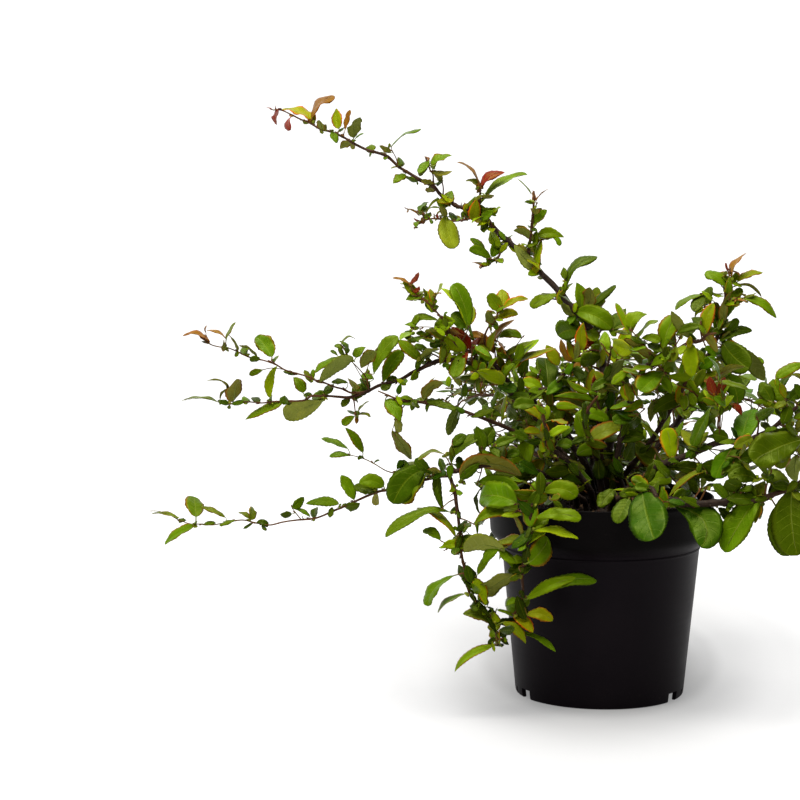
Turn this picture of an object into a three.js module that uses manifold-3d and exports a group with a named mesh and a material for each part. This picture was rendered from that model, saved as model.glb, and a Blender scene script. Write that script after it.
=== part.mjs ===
// A leafy quince shrub in a black nursery pot, in millimetres, +Z up.
// The origin is the centre of the pot's underside. The pot stands on its foot skirt and a pad at the middle.
// The shrub is a bundle of canes that rise from the soil. Each cane is one solid with its side shoots and leaves.
import * as THREE from "three";
import { mergeVertices } from "three/addons/utils/BufferGeometryUtils.js";
import Module from "manifold-3d";

// ---- driving dimensions ----
const POT_HEIGHT = 168; // rim above the ground
const RIM_RADIUS = 95; // outside of the rim
const COLLAR_LOW_Z = 139; // where the upright collar ends
const COLLAR_LOW_RADIUS = 93.2;
const STEP_LOW_Z = 124.5; // where the sloping step meets the tapered wall
const STEP_LOW_RADIUS = 83.2;
const WALL_LOW_Z = 10.5; // lower end of the tapered wall
const WALL_LOW_RADIUS = 72;
const WALL = 1.5; // thickness of the pot's wall
const FLOOR_Z = 12.5; // top of the pot's floor
const FOOT_RADIUS = 69.8; // outside of the foot where it meets the ground
const FOOT_INNER = 67.2;
const PAD_RADIUS = 14; // round pad under the middle of the floor, level with the foot
const NOTCH_ANGLES = [-31, 211, 90]; // degrees from +X, centres of the drainage gaps in the foot
const NOTCH_WIDTH = 10.5; // degrees
const NOTCH_HEIGHT = 7.8;
const SLIT_ANGLES = [-15, 195]; // narrow slits beside the front notches
const SLIT_WIDTH = 2.6;
const SLIT_HEIGHT = 6.5;
const DRAIN_HOLES = 5;
const DRAIN_RADIUS = 5;
const DRAIN_RING = 44;
const SOIL_RIM_Z = 157.6; // soil level at the wall
const SOIL_CROWN_Z = 160.2; // soil level round the canes
const SOIL_GAP = 0.4; // clearance between soil and wall, and between soil and canes
const ROOT_DEPTH = 22; // how far each cane goes down into the soil
const LEAF_HALF_THICKNESS = 0.5;
const LEAF_FOLD = 0.16; // how far the leaf's edges rise over its midrib, as a share of its width
const ROUND_STEPS = 36;
const LEAF_TWO_SECTIONS = 15; // leaves wider than this get a second bend

// Each cane: [name, stem, side shoots, leaves].
// A stem or shoot is a list of centre points [x, y, z, radius].
// A leaf is [where it leaves the stem x3, start of the blade x3, middle of the midrib x3, tip x3, width, upper side's normal x3].
const CANES = [
  ["cane_tall",
    [[6,14,137,5.15],[6,14,161.4,5.15],[4.2,8,188,4.4],[8.1,10,221.8,4.2],[7.8,12,247.1,4],[4.3,14.2,265.6,3.9],[-3.7,20.8,288.8,3.7],[-8.8,23,303.8,3.5],[-14.7,24.2,312.2,3.3],[-39.7,36,340.3,2.9],[-64.9,44,367.2,2.5],[-110.2,55,404.4,1.9],[-127.7,58,410.4,1.7],[-140,60,418.9,1.6],[-146.1,61,425.8,1.5],[-176.8,64,443,1.35],[-186.4,65,451.6,1.3],[-204.8,66,457.7,1.2],[-224.2,68,468,1],[-235.6,68,473.2,1],[-246.2,69,475.9,0.9],[-280.6,71,492.4,0.6],[-287.8,72,492.4,0.4]],
    [
      [[-177.2,64,443.4,0.6],[-183.5,61.8,461.1,0.55]],
      [[-146.8,61.1,426.2,0.8],[-146.8,59,436.1,0.65],[-153.5,54.9,451.6,0.55]],
      [[-105.6,53.9,400.7,1],[-130.1,56.3,396.6,0.79],[-149.3,58.3,398.3,0.6],[-158.1,59.2,394.8,0.55],[-163.3,59.9,390.4,0.55]],
      [[-110.6,55.1,404.6,1.1],[-105.8,52.4,414.8,0.84],[-105.6,48.8,426.8,0.55]],
      [[-81.6,48.1,381,0.9],[-90.8,48.9,364.3,0.67],[-105.4,49.3,356.5,0.55]],
      [[-64.4,43.8,366.6,1.3],[-61.5,42.2,385.2,1.07],[-59,38.7,422.7,0.59]],
      [[-33.3,32.9,333.1,0.8],[-32,28.7,345.8,0.55]],
      [[-5.9,21.8,295.3,0.9],[1.2,15.2,310.4,0.55]],
      [[-148.5,58.2,398.2,0.55],[-158.6,60.4,404.3,0.55],[-169.5,61.1,406.8,0.55]],
      [[-0.9,17.2,305.9,0.55],[8.1,16.2,305.3,0.55]],
      [[-62.9,43,376.1,0.71],[-51.9,44.1,381,0.57],[-43.6,45.1,382.6,0.55]],
    ],
    [
      [-252.5,69.4,478.9,-250.9,71.8,482,-264.4,75.9,491.2,-281.9,80.2,494.3,16.1,0.22,-0.45,0.86],
      [-255.5,69.5,480.3,-253.4,71.2,484.5,-247.8,74,498.5,-233.9,77.2,505.4,19.7,-0.64,-0.34,0.69],
      [-183.2,61.9,460.3,-183.5,61.9,460.2,-173.4,64.4,470.4,-157.9,67.2,477.4,14,-0.53,-0.17,0.83],
      [-134.7,56.8,397,-135.9,56.9,400.8,-133.5,50,388.5,-127.2,41.8,373.2,18.7,0.32,-0.79,0.53],
      [-105.6,48.9,426.6,-106.5,48.8,428.5,-113.8,51.2,440.8,-125.8,54,448.1,9.8,0.69,-0.12,0.71],
      [-105.6,49.1,425.9,-104.8,49.1,425.9,-98.1,51,435.5,-84.5,53.3,439.6,11.7,-0.38,-0.55,0.74],
      [-107,53,412.3,-106.2,52.7,410.6,-87.7,57.9,429.4,-65.4,63.2,436,13.6,-0.33,-0.56,0.76],
      [-98.2,49.1,360.3,-97.9,49.2,361,-103.8,51.6,372.7,-113.9,55,382.7,9.4,0.59,-0.56,0.58],
      [-53.7,43.9,380.2,-55.6,44.6,384.3,-44.7,46.2,386.7,-32.6,48,383.4,10.7,0.14,-0.83,0.54],
      [-54.9,40.8,356.5,-56.1,40.9,355.4,-55.7,42.9,368.1,-53,45.2,380.9,8.8,-0.59,-0.78,0.2],
      [-53.6,40.4,355.2,-53.5,40.7,354.4,-65.1,38.3,363.5,-75.6,35.7,377.1,12.9,-0.47,0.84,-0.27],
      [-32.5,30.4,340.8,-30.7,30.3,339.7,-25.4,34.7,358.2,-4.8,39.8,369.1,13.4,-0.45,-0.66,0.61],
      [-35.7,34.1,335.9,-36.4,33.4,335.5,-49.4,30.9,331.4,-62,28.9,325.4,11.5,-0.14,-0.72,0.68],
      [-22.6,27.9,321.1,-23.3,25.1,320.6,-7.4,13.6,318.6,8.1,12.4,307.3,18.5,-0.07,-0.93,0.37],
      [-23.2,28.2,321.8,-18.5,29,322.7,-18.4,30.8,334.4,-22.5,33.2,345.4,13.3,0.44,-0.86,0.24],
      [-19.7,26.5,317.8,-14.8,27.4,322.2,-10.3,21.1,333.3,-10.7,13.8,342.5,14.4,0.72,0.64,0.28],
      [-19,26.2,317,-13.1,23.7,322.4,-0.8,25.4,333.6,11.2,27.3,343.6,8.2,-0.33,-0.79,0.51],
      [7.9,16.3,305.3,8.1,15.9,305.3,13.2,20.9,314.9,19.8,26.7,324.1,13.9,-0.2,-0.79,0.58],
      [-12.5,23.7,309.1,-18.9,24.3,304.5,-29.4,13.3,305.6,-37.9,0.7,301.9,19.7,0.55,-0.51,0.66],
      [5.4,11.9,170.8,9.4,11.7,171.3,10,9.4,186.1,11.6,6.8,201,15.8,-0.43,0.89,0.18],
    ],
  ],
  ["cane_right_up",
    [[24,22,137,4.37],[24,22,161.4,4.37],[24.2,24.7,169.4,4.03],[24.8,31,176.5,3.7],[45.8,33,200.6,3.4],[62.6,36,222.8,3.2],[78.5,40,253.5,2.8],[97.7,48,297.6,2.2],[102.5,48,323.3,1.7],[107.1,46,347.3,1],[107,46,355,0.6]],
    [
      [[101.8,48,319.4,0.79],[97.4,45,323.7,0.63],[92,42,326.1,0.55]],
      [[103.3,47.6,327.8,0.9],[110.8,45.9,331.3,0.72],[119,43.8,332.1,0.55]],
      [[101.8,48,319.4,0.55],[94.1,41.8,329.5,0.55],[84.9,37.9,335.7,0.55]],
      [[93.9,46.4,288.7,1.09],[104.8,46.6,290.3,0.87],[119,46.7,287.5,0.6]],
      [[31.4,31.6,184.3,0.9],[41.5,29.5,188.6,0.63]],
      [[86.5,43.3,272.2,0.78],[98,48.7,276.8,0.55]],
    ],
    [
      [107,46,352.4,109.2,45.1,350.2,113.1,47.2,362.5,123,49.7,370.2,12.4,-0.76,-0.29,0.59],
      [105.7,46.6,340.4,105.5,46.8,340.4,96.7,48.3,350.1,86.1,50.1,352.1,13.3,0.22,-0.78,0.59],
      [107,46,346.8,114,48.4,345.5,123.9,50.5,352.2,136.1,53,353,9.5,-0.13,-0.63,0.76],
      [105.6,46.6,339.7,108.1,45.3,340.1,123.5,48.1,343.1,135.3,50.9,332.7,5,0.1,0.58,0.81],
      [99.9,48,309.4,103.5,46.9,308.8,103.3,43.7,323.8,107.7,40.1,339.1,11,-0.62,0.74,0.25],
      [101,48,315.4,105.7,48.8,314.5,110.5,51.4,329.2,119.7,54,338.6,9.8,-0.14,-0.96,0.23],
      [118.8,43.8,332.1,119,43.8,332.1,133.9,40.9,328.5,147.4,37.5,315.7,9.7,0.14,-0.83,0.55],
      [85.1,37.9,335.6,85.1,37.9,335.5,69.2,34.2,330.6,60.8,31.1,322.9,11.8,-0.36,-0.34,0.87],
      [98.1,48,299.8,91.7,47.3,301,102.6,49,307.5,114.6,51.1,312,10.1,-0.33,-0.43,0.84],
      [103.4,46.6,290.1,99.9,44.7,294.7,111.6,47.7,302.9,127.9,50.8,303.7,11.7,-0.09,-0.67,0.74],
      [97.8,48,298.1,102,47.6,295.9,110.3,36,284.3,124.5,22.6,273.4,23.9,-0.64,-0.74,0.18],
      [118.7,46.7,287.6,116.2,46.4,287.7,128.3,49.7,276.6,139,54.4,261.5,16.9,0.3,0.81,0.51],
      [83.7,42.2,265.4,81.8,41.9,266.2,87,43.8,277.4,95.2,45.8,287.4,9.3,-0.34,-0.87,0.37],
      [80.4,40.8,257.9,81,40.7,257.7,90.1,42.7,265.2,103.1,45,267,7.8,-0.22,-0.56,0.79],
      [41.3,29.5,188.5,42.6,28.3,188.6,53.9,14.9,192.6,66.6,2.8,188.2,15.3,-0.01,0.02,1],
      [40.1,29.8,187.9,43.8,28.3,186.3,60.2,20.8,181.7,75.3,16.3,171.2,21.8,0.3,-0.24,0.92],
      [97.8,48.6,276.7,99.2,50.6,277.1,108.2,63.7,280.9,116.5,77.8,281.4,17.9,0.29,-0.33,0.9],
    ],
  ],
  ["cane_right_mid",
    [[20,-2,137,4.03],[20,-2,161.4,4.03],[17.7,-5.6,175.6,3.67],[12.4,-14,195.2,3.3],[25,-24,255.2,2.7],[31.3,-28,273.1,2.4],[41,-32,283.4,2.2],[50.6,-36,287.2,2],[71.3,-44,301.1,1.6],[79.2,-48,302.3,1.4],[84.7,-50,307.4,1.1],[91.9,-52,309.2,0.7]],
    [
      [[41.2,-32.1,283.5,1],[37.6,-31.9,293.3,0.81],[24.3,-31.8,308.9,0.55]],
      [[22.2,-21.7,241.7,0.77],[26.2,-22.5,243.9,0.61],[31.7,-22.5,244.3,0.55]],
      [[25.9,-24.6,257.8,0.77],[19.1,-27.4,265.4,0.55]],
      [[35.7,-31.9,295.5,0.55],[29.7,-33.4,295.4,0.55],[25.3,-33.6,293.4,0.55]],
      [[29.4,-26.8,267.6,0.8],[21.4,-28.3,276.3,0.55]],
      [[80.9,-48.6,303.8,0.79],[78.9,-52,316.4,0.55]],
      [[42.2,-32.5,283.9,0.82],[51,-28.8,275,0.55]],
      [[22.2,-21.7,241.7,0.55],[34.2,-27.2,234.8,0.55]],
    ],
    [
      [84.6,-50,307.3,83.9,-50,308.2,84.1,-48.4,320.9,90.2,-46.6,333.2,12.5,-0.34,-0.91,0.21],
      [71.5,-44.1,301.1,71.1,-43.8,304,62.5,-47.2,315.4,55.7,-50,327.1,9,0.17,0.92,0.36],
      [79.2,-51.5,314.6,81.3,-51.6,314.8,70.2,-50.1,313.4,60.6,-48.5,308.7,7.8,-0.27,-0.81,0.51],
      [72.8,-44.8,301.3,72.9,-44.8,300.3,71.9,-47.7,286.7,73.1,-51,273.1,14.5,-0.21,-0.95,0.22],
      [24.6,-31.8,308.6,22.3,-31.6,306.5,16.6,-29.7,321.4,10.4,-27.6,331.5,7.6,0.46,-0.82,0.35],
      [24.6,-31.8,308.6,23.2,-31.8,311.6,26.3,-30.2,319.2,36.2,-27.8,321.8,13.9,-0.23,-0.77,0.59],
      [24.6,-31.8,308.5,24.4,-30.7,307.6,28.8,-28.1,318.4,36.9,-26,322.5,5.9,-0.47,-0.65,0.6],
      [29.9,-31.9,302.3,28.8,-32.3,301.3,34.9,-30.1,311.4,45.8,-27.2,318.1,11,-0.64,-0.24,0.73],
      [53.5,-37.1,289.1,50.5,-36.2,293.8,52.6,-33,307.8,59.4,-29.3,322.1,16.5,-0.21,-0.93,0.29],
      [48.1,-30,277.9,48.4,-29.8,278.4,35.4,-32.1,291.7,18.6,-34.7,302.5,9.2,0.24,0.85,0.47],
      [16.6,-17.3,215,13,-16.7,215.8,23.4,-19.2,220.3,36.1,-22,219.2,13,-0.26,-0.82,0.5],
      [50.8,-28.9,275.1,51,-28.8,275,39.9,-38.9,268.3,31.1,-50.6,260.4,19.1,0.25,-0.68,0.69],
      [50.8,-28.9,275.1,54.3,-28.8,272.5,63.3,-30.2,271.1,73.8,-31.9,273.8,9.7,-0.11,-0.9,-0.43],
      [34,-27.1,234.9,32.6,-27.6,232.9,39.8,-29.5,227,53.2,-31.4,216.6,4.6,0.44,-0.57,0.69],
    ],
  ],
  ["cane_left_long",
    [[-16,4,137,4.26],[-16,4,161.4,4.26],[-15.2,-0.2,169.9,3.88],[-13.3,-10,181.7,3.5],[-75.7,-33.9,257.7,2.9],[-96.4,-40.6,272.8,2.7],[-112.3,-47.7,284,2.5],[-130.1,-52,285.5,2.4],[-140.4,-56,282.5,2.2],[-164.6,-62,269.7,1.9],[-182.1,-68,265.2,1.7],[-202.8,-74,256.5,1.4],[-235.1,-85,258.2,1],[-239.9,-86,255,1],[-246.2,-88,254.3,0.9],[-274.1,-93,253,0.65],[-291.8,-95,253.8,0.55],[-299.8,-96,252.2,0.5],[-307,-97,253.9,0.45]],
    [
      [[-191.6,-70.8,261.2,1],[-202.8,-74.3,259.9,0.95],[-255,-93.6,280,0.73],[-265,-97.6,286,0.68],[-280.4,-103.3,290.4,0.61],[-298.7,-110.3,298.9,0.55],[-310.8,-114.8,301.5,0.55],[-316.1,-117,304.9,0.55]],
      [[-255.6,-93.8,280.3,0.55],[-265.5,-94.3,281.6,0.55],[-273.6,-94.7,280,0.55]],
      [[-189.3,-70.1,262.2,0.7],[-191.5,-72.3,272,0.6],[-195.4,-74.5,277.9,0.55],[-207.8,-79.9,289.7,0.55]],
      [[-202.4,-73.9,256.7,0.8],[-199.1,-78.7,241.5,0.55]],
      [[-151.6,-58.8,276.6,0.8],[-147.6,-59.4,287.6,0.55]],
      [[-144.3,-56.9,280.4,0.6],[-142.1,-55.8,284.9,0.55],[-143.8,-54.8,288.9,0.55]],
      [[-58,-27.1,236.1,0.78],[-67.4,-29.5,234,0.55]],
      [[-189.3,-70.1,262.4,0.55],[-210.1,-88.5,300.2,0.55]],
      [[-296.9,-95.6,252.8,0.55],[-300.9,-93.4,265,0.55]],
      [[-192.7,-73,273.9,0.55],[-187.8,-74.9,286,0.55],[-182.8,-77.5,294.6,0.55]],
      [[-68.2,-31.1,248.5,0.64],[-75.4,-24.3,255.2,0.55]],
    ],
    [
      [-312.9,-115.7,302.9,-312.3,-115.7,304,-322.7,-118.4,310.7,-333.8,-121.6,309.9,9.8,0.31,-0.21,0.93],
      [-301,-111.2,299.4,-300.1,-111.1,306.1,-307.4,-109.3,311.9,-316.9,-107.2,313,6.1,0.33,-0.19,0.92],
      [-276.8,-101.9,289.3,-276.5,-101.9,290.3,-281.7,-103.9,297.9,-290.4,-106.2,301.8,7.4,0.48,0.46,0.75],
      [-266.3,-98.1,286.3,-264.9,-98.1,290.8,-271.6,-91.5,299.7,-280,-84,306.6,14.7,0.01,-0.74,0.67],
      [-267.5,-91.8,253.3,-267.7,-91.6,256.9,-267.6,-88.9,271.8,-262.7,-85.8,283.3,8.3,-0.27,-0.93,0.26],
      [-228.4,-83.7,269.7,-228.7,-83.7,268.7,-216.2,-87.2,281,-200,-91.2,291.6,12.5,-0.08,0.91,0.4],
      [-233.9,-85.8,271.9,-231.8,-84.9,277,-224.3,-82.3,285,-213.6,-79.3,290.5,9.2,-0.34,-0.61,0.71],
      [-209.6,-88.1,299.4,-210.1,-88.5,300.2,-204.7,-86.8,306.5,-198.3,-84.9,304.8,6.1,-0.28,-0.27,0.92],
      [-191.1,-73.6,277.9,-184.7,-74.9,275.6,-178.6,-70.8,292.7,-165.9,-66.2,306.1,14.6,-0.29,-0.86,0.43],
      [-177.8,-66.5,266.3,-178.2,-66.4,267.5,-172,-63.9,281.9,-162.2,-61,293.4,13.1,-0.11,-0.96,0.26],
      [-148.2,-59.3,286,-148.4,-59.3,286,-156.9,-57.3,294.7,-166.9,-55,301.9,13.3,0.35,-0.72,0.6],
      [-225.7,-81.8,257.7,-225.5,-83.1,254,-241.7,-80.7,247.7,-258.3,-77.8,242.5,16.5,0.07,0.97,0.25],
      [-257.4,-90,253.8,-257.3,-90.3,253.6,-273.3,-92.6,247.5,-287.7,-95.3,239.2,9.9,-0.19,-0.73,0.66],
      [-300.9,-93.5,264.7,-300.9,-93.4,265,-308.4,-94.9,271.4,-319.2,-96.6,270.8,7.4,0.2,0.45,0.87],
      [-306.8,-97,253.8,-309.6,-96.3,253.8,-325,-93.7,256.7,-341,-90.6,252.9,9.8,-0.04,-0.06,1],
      [-74.8,-25,254.6,-76,-21.8,253.5,-81.4,-9.4,251.3,-85.3,2.3,245.2,13.9,-0.63,0.01,0.78],
    ],
  ],
  ["cane_left_mid",
    [[-24,-8,137,4.03],[-24,-8,161.4,4.03],[-22,-12.8,170.7,3.67],[-17.4,-24,183.6,3.3],[-38.1,-36,203.4,3],[-58.5,-46,219.4,2.7],[-78.8,-54,230.9,2.4],[-119.1,-67,247.6,1.8],[-160.7,-78,254.1,1.2],[-180.6,-83,262.6,0.6]],
    [
      [[-24,-8,160,0.77],[-28.5,-7.9,166,0.61],[-34.2,-7,167,0.55]],
      [[-156.4,-76.9,253.4,0.77],[-160.7,-80.5,248.7,0.61],[-165.1,-84.1,240.8,0.55]],
      [[-156.5,-76.9,253.3,0.55],[-164.9,-73.3,243.5,0.55],[-170.3,-71.7,228.7,0.55]],
      [[-45.9,-39.8,209.5,0.87],[-49.6,-35.3,217.3,0.61]],
      [[-20.9,-15.6,173.9,0.77],[-27.4,-18,179.3,0.55]],
    ],
    [
      [-145.5,-73.6,251.7,-144,-72.6,254.5,-138.4,-74.5,265.5,-127.3,-77.3,269.6,12.8,-0.36,0.69,0.62],
      [-143.1,-73.3,251.3,-143.7,-72.1,253.4,-132.7,-74.7,252.1,-117,-77.3,247.9,7.2,-0.02,-0.76,0.64],
      [-173.3,-81.2,259.4,-175.2,-80.3,255,-167.3,-85.4,248.7,-162,-91.3,239.2,14.3,0.14,-0.75,0.64],
      [-170.2,-71.7,229,-170.3,-71.7,228.7,-162.2,-68.8,216.3,-155.2,-65.6,204.2,14.3,0.37,0.82,0.43],
      [-58.9,-46.2,219.6,-55.3,-45.1,224.3,-62.9,-48.8,208.2,-67.2,-53.1,191.2,18.2,-0.16,-0.94,0.29],
      [-82.6,-55.2,232.5,-81.2,-56.4,236.1,-80.4,-54.3,246.6,-78.2,-51.9,257.1,6.5,-0.7,-0.67,0.24],
      [-49.5,-35.3,217.1,-50.6,-33.9,216.6,-57.7,-22.2,212,-66.2,-12.2,205.9,11.6,-0.21,0.3,0.93],
      [-27.3,-17.9,179.2,-28.6,-18.2,179.1,-44.5,-21,178.7,-59.3,-23.9,172.8,15.4,-0.06,-0.51,0.86],
    ],
  ],
  ["cane_left_up",
    [[-6,22,137,3.58],[-6,22,161.4,3.58],[-7.5,16,172.8,3.24],[-11,2,188.6,2.9],[-29.5,-8,216.8,2.6],[-71,-26,258.7,2.2],[-94.2,-39.4,286.7,1.8],[-101.6,-42.9,291.3,1.6],[-109.7,-46.3,292.3,1.4],[-117.9,-50,297,1.2],[-124.3,-53,306.2,1.1],[-128.3,-55,317,0.9],[-137.2,-57,327.7,0.7],[-150.1,-59,338.4,0.5],[-158.2,-60,348.2,0.4]],
    [
      [[-94.4,-39.4,286.8,1.1],[-96.5,-43.9,303.6,0.88],[-93.2,-46.2,312.1,0.76],[-89,-47.8,316.3,0.69],[-82.3,-51.8,329.7,0.55]],
      [[-79.7,-31,269.2,0.8],[-75,-33,282.9,0.55],[-77.4,-34.4,289.6,0.55]],
      [[-101.7,-43,291.3,0.7],[-104.9,-42.4,286.3,0.58],[-101.6,-41.9,281.3,0.55],[-95,-41.2,278,0.55]],
      [[-138.7,-57.2,329,0.55],[-135.2,-61,338.6,0.55]],
      [[-124.5,-53.1,306.8,0.65],[-129.3,-55.4,308.3,0.55],[-134.7,-56.6,308,0.55]],
      [[-96.1,-43,300.5,0.55],[-86.9,-42.4,301.5,0.55]],
      [[-101.7,-43,291.3,0.55],[-98.5,-44.8,281.8,0.55],[-97.9,-48.8,268.7,0.55]],
      [[-128.7,-55.1,308.1,0.55],[-132.4,-53.7,299.6,0.55]],
      [[-67.7,-24.6,255.4,0.88],[-67.1,-24.6,264.1,0.7],[-64.5,-23.3,270.2,0.55]],
      [[-117.1,-49.7,296.6,0.73],[-109.6,-51.4,311.2,0.55]],
      [[-98.2,-46.8,275.1,0.55],[-110.8,-54.5,268.7,0.55]],
      [[-124.5,-53.1,306.8,0.55],[-133,-55.1,307.6,0.55],[-141.9,-58.3,305.6,0.55]],
      [[-79.6,-31,269.4,0.55],[-75.3,-31.4,288.9,0.55],[-66.1,-30.7,302.7,0.55]],
      [[-124.5,-53.1,306.8,0.55],[-137.4,-59.9,312.7,0.55],[-153.5,-67.3,313.6,0.55]],
      [[-10.9,2.3,188.3,0.81],[-15.6,3.7,194.1,0.56]],
    ],
    [
      [-109.7,-51.4,310.9,-109.6,-51.4,311.1,-113.3,-47.4,331.2,-122.6,-42.8,348.3,15.6,0.4,-0.85,0.34],
      [-109.7,-51.4,310.9,-110.6,-51.8,313.6,-118.5,-48,332.9,-132.5,-44.3,346,9.2,0.66,-0.5,0.56],
      [-109.8,-51.4,310.8,-110.3,-51.3,310.7,-115.8,-49.1,318.3,-124.2,-46.3,322.5,14,0.14,-0.84,0.52],
      [-108.5,-45.8,292.2,-108.1,-45.8,294.1,-115.2,-43.3,303.9,-124.2,-40.4,312.5,11.5,0.18,-0.89,0.42],
      [-134.6,-56.6,308,-134.7,-56.6,308,-129.1,-54.7,315.1,-119.4,-52.5,317.7,13,-0.07,-0.87,0.49],
      [-111,-46.9,293.1,-110.6,-46.9,293.9,-121.5,-45.6,298.9,-131.4,-44.2,304.3,12.2,-0.17,-0.98,-0.09],
      [-112.1,-47.4,293.7,-113,-47.4,292.2,-117.5,-54.4,282.4,-119.4,-62.7,272.1,14.8,-0.06,-0.78,0.62],
      [-131.7,-55.8,321.2,-133.3,-57.2,318,-147.8,-59.6,319.6,-155.1,-62.3,310.6,9.7,-0.17,-0.49,0.85],
      [-83.3,-51.2,327.7,-81.1,-50.4,327.6,-71.7,-48.1,334.4,-60,-45.4,336.4,7.2,-0.08,-0.77,0.63],
      [-87,-49,320.3,-84.4,-48.2,319.2,-77,-46.4,324.4,-68.2,-44.3,323.2,9.7,0.05,-0.81,0.59],
      [-95.3,-41.4,294.3,-91.8,-41.1,294.7,-84.3,-38,308.8,-72.4,-34.6,319.1,11.9,-0.66,-0.41,0.63],
      [-66.3,-30.7,302.4,-66.1,-30.5,302.4,-76.1,-32.2,306.6,-85,-34.1,302.6,9.7,0.16,-0.8,0.57],
      [-77.1,-34.2,288.7,-80.3,-34.6,287.4,-70.4,-31.8,294.6,-56.6,-28.3,300.8,7.3,-0.22,-0.67,0.71],
      [-78.2,-31.1,275.8,-74.1,-32.4,274.7,-66.7,-28.9,289.4,-52.2,-24.9,301.6,13.5,-0.61,-0.48,0.63],
      [-77.9,-31.2,276.8,-72.6,-32.7,276.4,-62,-29.7,286.9,-37.7,-25.1,294.9,10.8,-0.37,-0.37,0.85],
      [-77.3,-29.6,266.3,-80.1,-27.4,263.9,-100,-30.7,270.5,-121.3,-34.9,270.1,14.7,0.19,-0.22,0.96],
      [-15.1,3.6,193.5,-17.7,3.4,192.6,-33.9,2.8,190.2,-47.7,1,181.5,15.7,-0.33,-0.07,0.94],
    ],
  ],
  ["cane_centre_back",
    [[2,32,137,3.58],[2,32,161.4,3.58],[-0.4,30.2,169.4,3.29],[-5.9,26,178.5,3],[-19.8,26,202.5,2.9],[-36.9,24,224.9,2.6],[-52.3,22,238.7,2.4],[-60,20,249.1,2.3],[-52.3,18,254.5,1.9],[-42.1,16,256.5,1.7],[-23.6,9.7,279.3,1.1],[-9.2,11.7,289.4,0.8],[-2.5,13.2,288.5,0.7]],
    [
      [[-29.6,24.9,215.3,0.77],[-25.1,26.9,224.7,0.55]],
      [[-38.5,23.8,226.3,0.82],[-36.4,21.5,233.8,0.65],[-35.2,18,239.3,0.55]],
      [[-5.8,26.1,178.3,1.8],[-1.4,7.8,245.9,1.44],[8.1,-21.8,294.8,0.99]],
      [[-56,19,251.9,0.93],[-55.2,21.2,262.1,0.75],[-52.5,21.7,269.5,0.55]],
      [[-13.4,26,191.4,0.72],[-19,31.6,195.1,0.55]],
      [[-19.5,26,202,0.7],[-18.5,35.4,222,0.55]],
      [[-2.6,28.5,173,0.68],[-17.8,31.9,177.4,0.55]],
      [[-46.2,22.8,233.2,0.72],[-47.4,26,239.3,0.55]],
      [[-41.5,23.4,229,0.66],[-43.2,28.9,237.8,0.55]],
    ],
    [
      [-13.9,11,286.1,-16,10.2,289.5,-17.8,10.6,300.5,-15.4,11.5,313.1,11.4,0.04,-0.99,0.12],
      [-45.9,16.8,255.7,-45.5,16.2,253,-46.5,26.3,267.9,-48.7,38,281.8,20.6,0.22,-0.77,0.61],
      [-0.7,5.6,249.4,-8.2,4.8,251.1,-9.3,6.5,262.8,-6.7,8.4,274.5,8.2,-0.54,-0.82,0.16],
      [2.2,-3.5,264.5,6,-4.2,264,10.6,-6.4,274.8,19.1,-9.1,283.8,13.6,-0.3,0.86,0.41],
      [-1.2,7.2,246.8,-4.8,6.7,247.6,-21.9,3.4,251.7,-40.8,-0.3,251.3,7.8,0.21,-0.79,0.58],
      [-1.9,9.9,238.3,-7.2,8.4,238.9,-23.3,10.9,245.2,-39.4,13.8,247.4,7.7,0.27,0.82,0.5],
      [-45.7,22.9,232.8,-42.1,24.8,236.8,-46.4,26.5,247.3,-51.8,28.5,258.6,8.7,0.47,-0.81,0.34],
      [-51.5,17.8,254.7,-51.4,17.8,254.5,-60.5,19.6,260.5,-70.3,21.7,260,12.1,-0.01,-0.84,0.55],
      [-2.4,12,230.4,3.8,18.1,229.4,10.7,23.7,238.4,18.1,28.1,246.4,12.1,-0.15,-0.79,0.59],
      [-2.3,11.5,232.1,2.9,12,231.8,-9.3,14.3,235.4,-20.8,17,234.4,13.1,-0.15,-0.91,0.39],
      [-2.7,12.9,226.8,3.8,14.9,226.3,-7.5,13.8,228.8,-18.1,12.4,229.8,8.9,0.17,-0.89,0.43],
      [-18.9,31.4,195,-23,30.9,196.9,-35.9,29.1,203.5,-49.6,26.4,207.9,14.6,0.32,0.42,0.85],
      [-18.6,35.2,221.6,-20.1,36.2,222.2,-33.8,44.3,226.2,-49.1,50.3,225.3,14.2,0.09,-0.05,0.99],
      [-15.7,31.5,176.8,-16.5,29.5,179.2,-23.1,21.3,191.2,-24.2,9.4,202,13.4,-0.79,0.57,0.22],
      [-47.4,25.8,238.9,-45,28.4,241.1,-34.7,36.2,251.6,-26.7,49.4,258,13.2,0.26,-0.75,0.61],
      [-43,28.1,236.6,-44.9,29.8,235.9,-57.7,38,235,-66.8,48.5,228.7,17,-0.3,0.02,0.95],
    ],
  ],
  ["cane_front_left",
    [[-20,-22,137,4.7],[-20,-22,161.4,4.7],[-20.4,-26.2,169.4,4.3],[-21.3,-36,176.9,3.9],[-43.4,-52,190.5,3.6],[-66,-64,198.5,3.3],[-82,-72,201.8,3.1],[-92.4,-76,202.2,3],[-122.5,-87,196.8,2.6],[-117.4,-90,180.9,2.3],[-112,-97,133.9,1.6],[-106.1,-100,104.3,1.3],[-102,-101,97.2,1.2],[-88.1,-103,82.2,0.9],[-81.5,-103,61.9,0.6]],
    [
      [[-108.7,-81.9,199.3,0.77],[-111.2,-86.9,190.4,0.55]],
      [[-116.9,-90.7,176.4,0.83],[-121.7,-93.9,174.4,0.66],[-126.7,-95.9,170.3,0.55]],
      [[-113,-95.7,142.4,0.85],[-119.1,-94.8,139.7,0.68],[-124.4,-93.8,134.8,0.55]],
      [[-96.2,-77.4,201.5,0.85],[-99.3,-81.6,189,0.55]],
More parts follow.
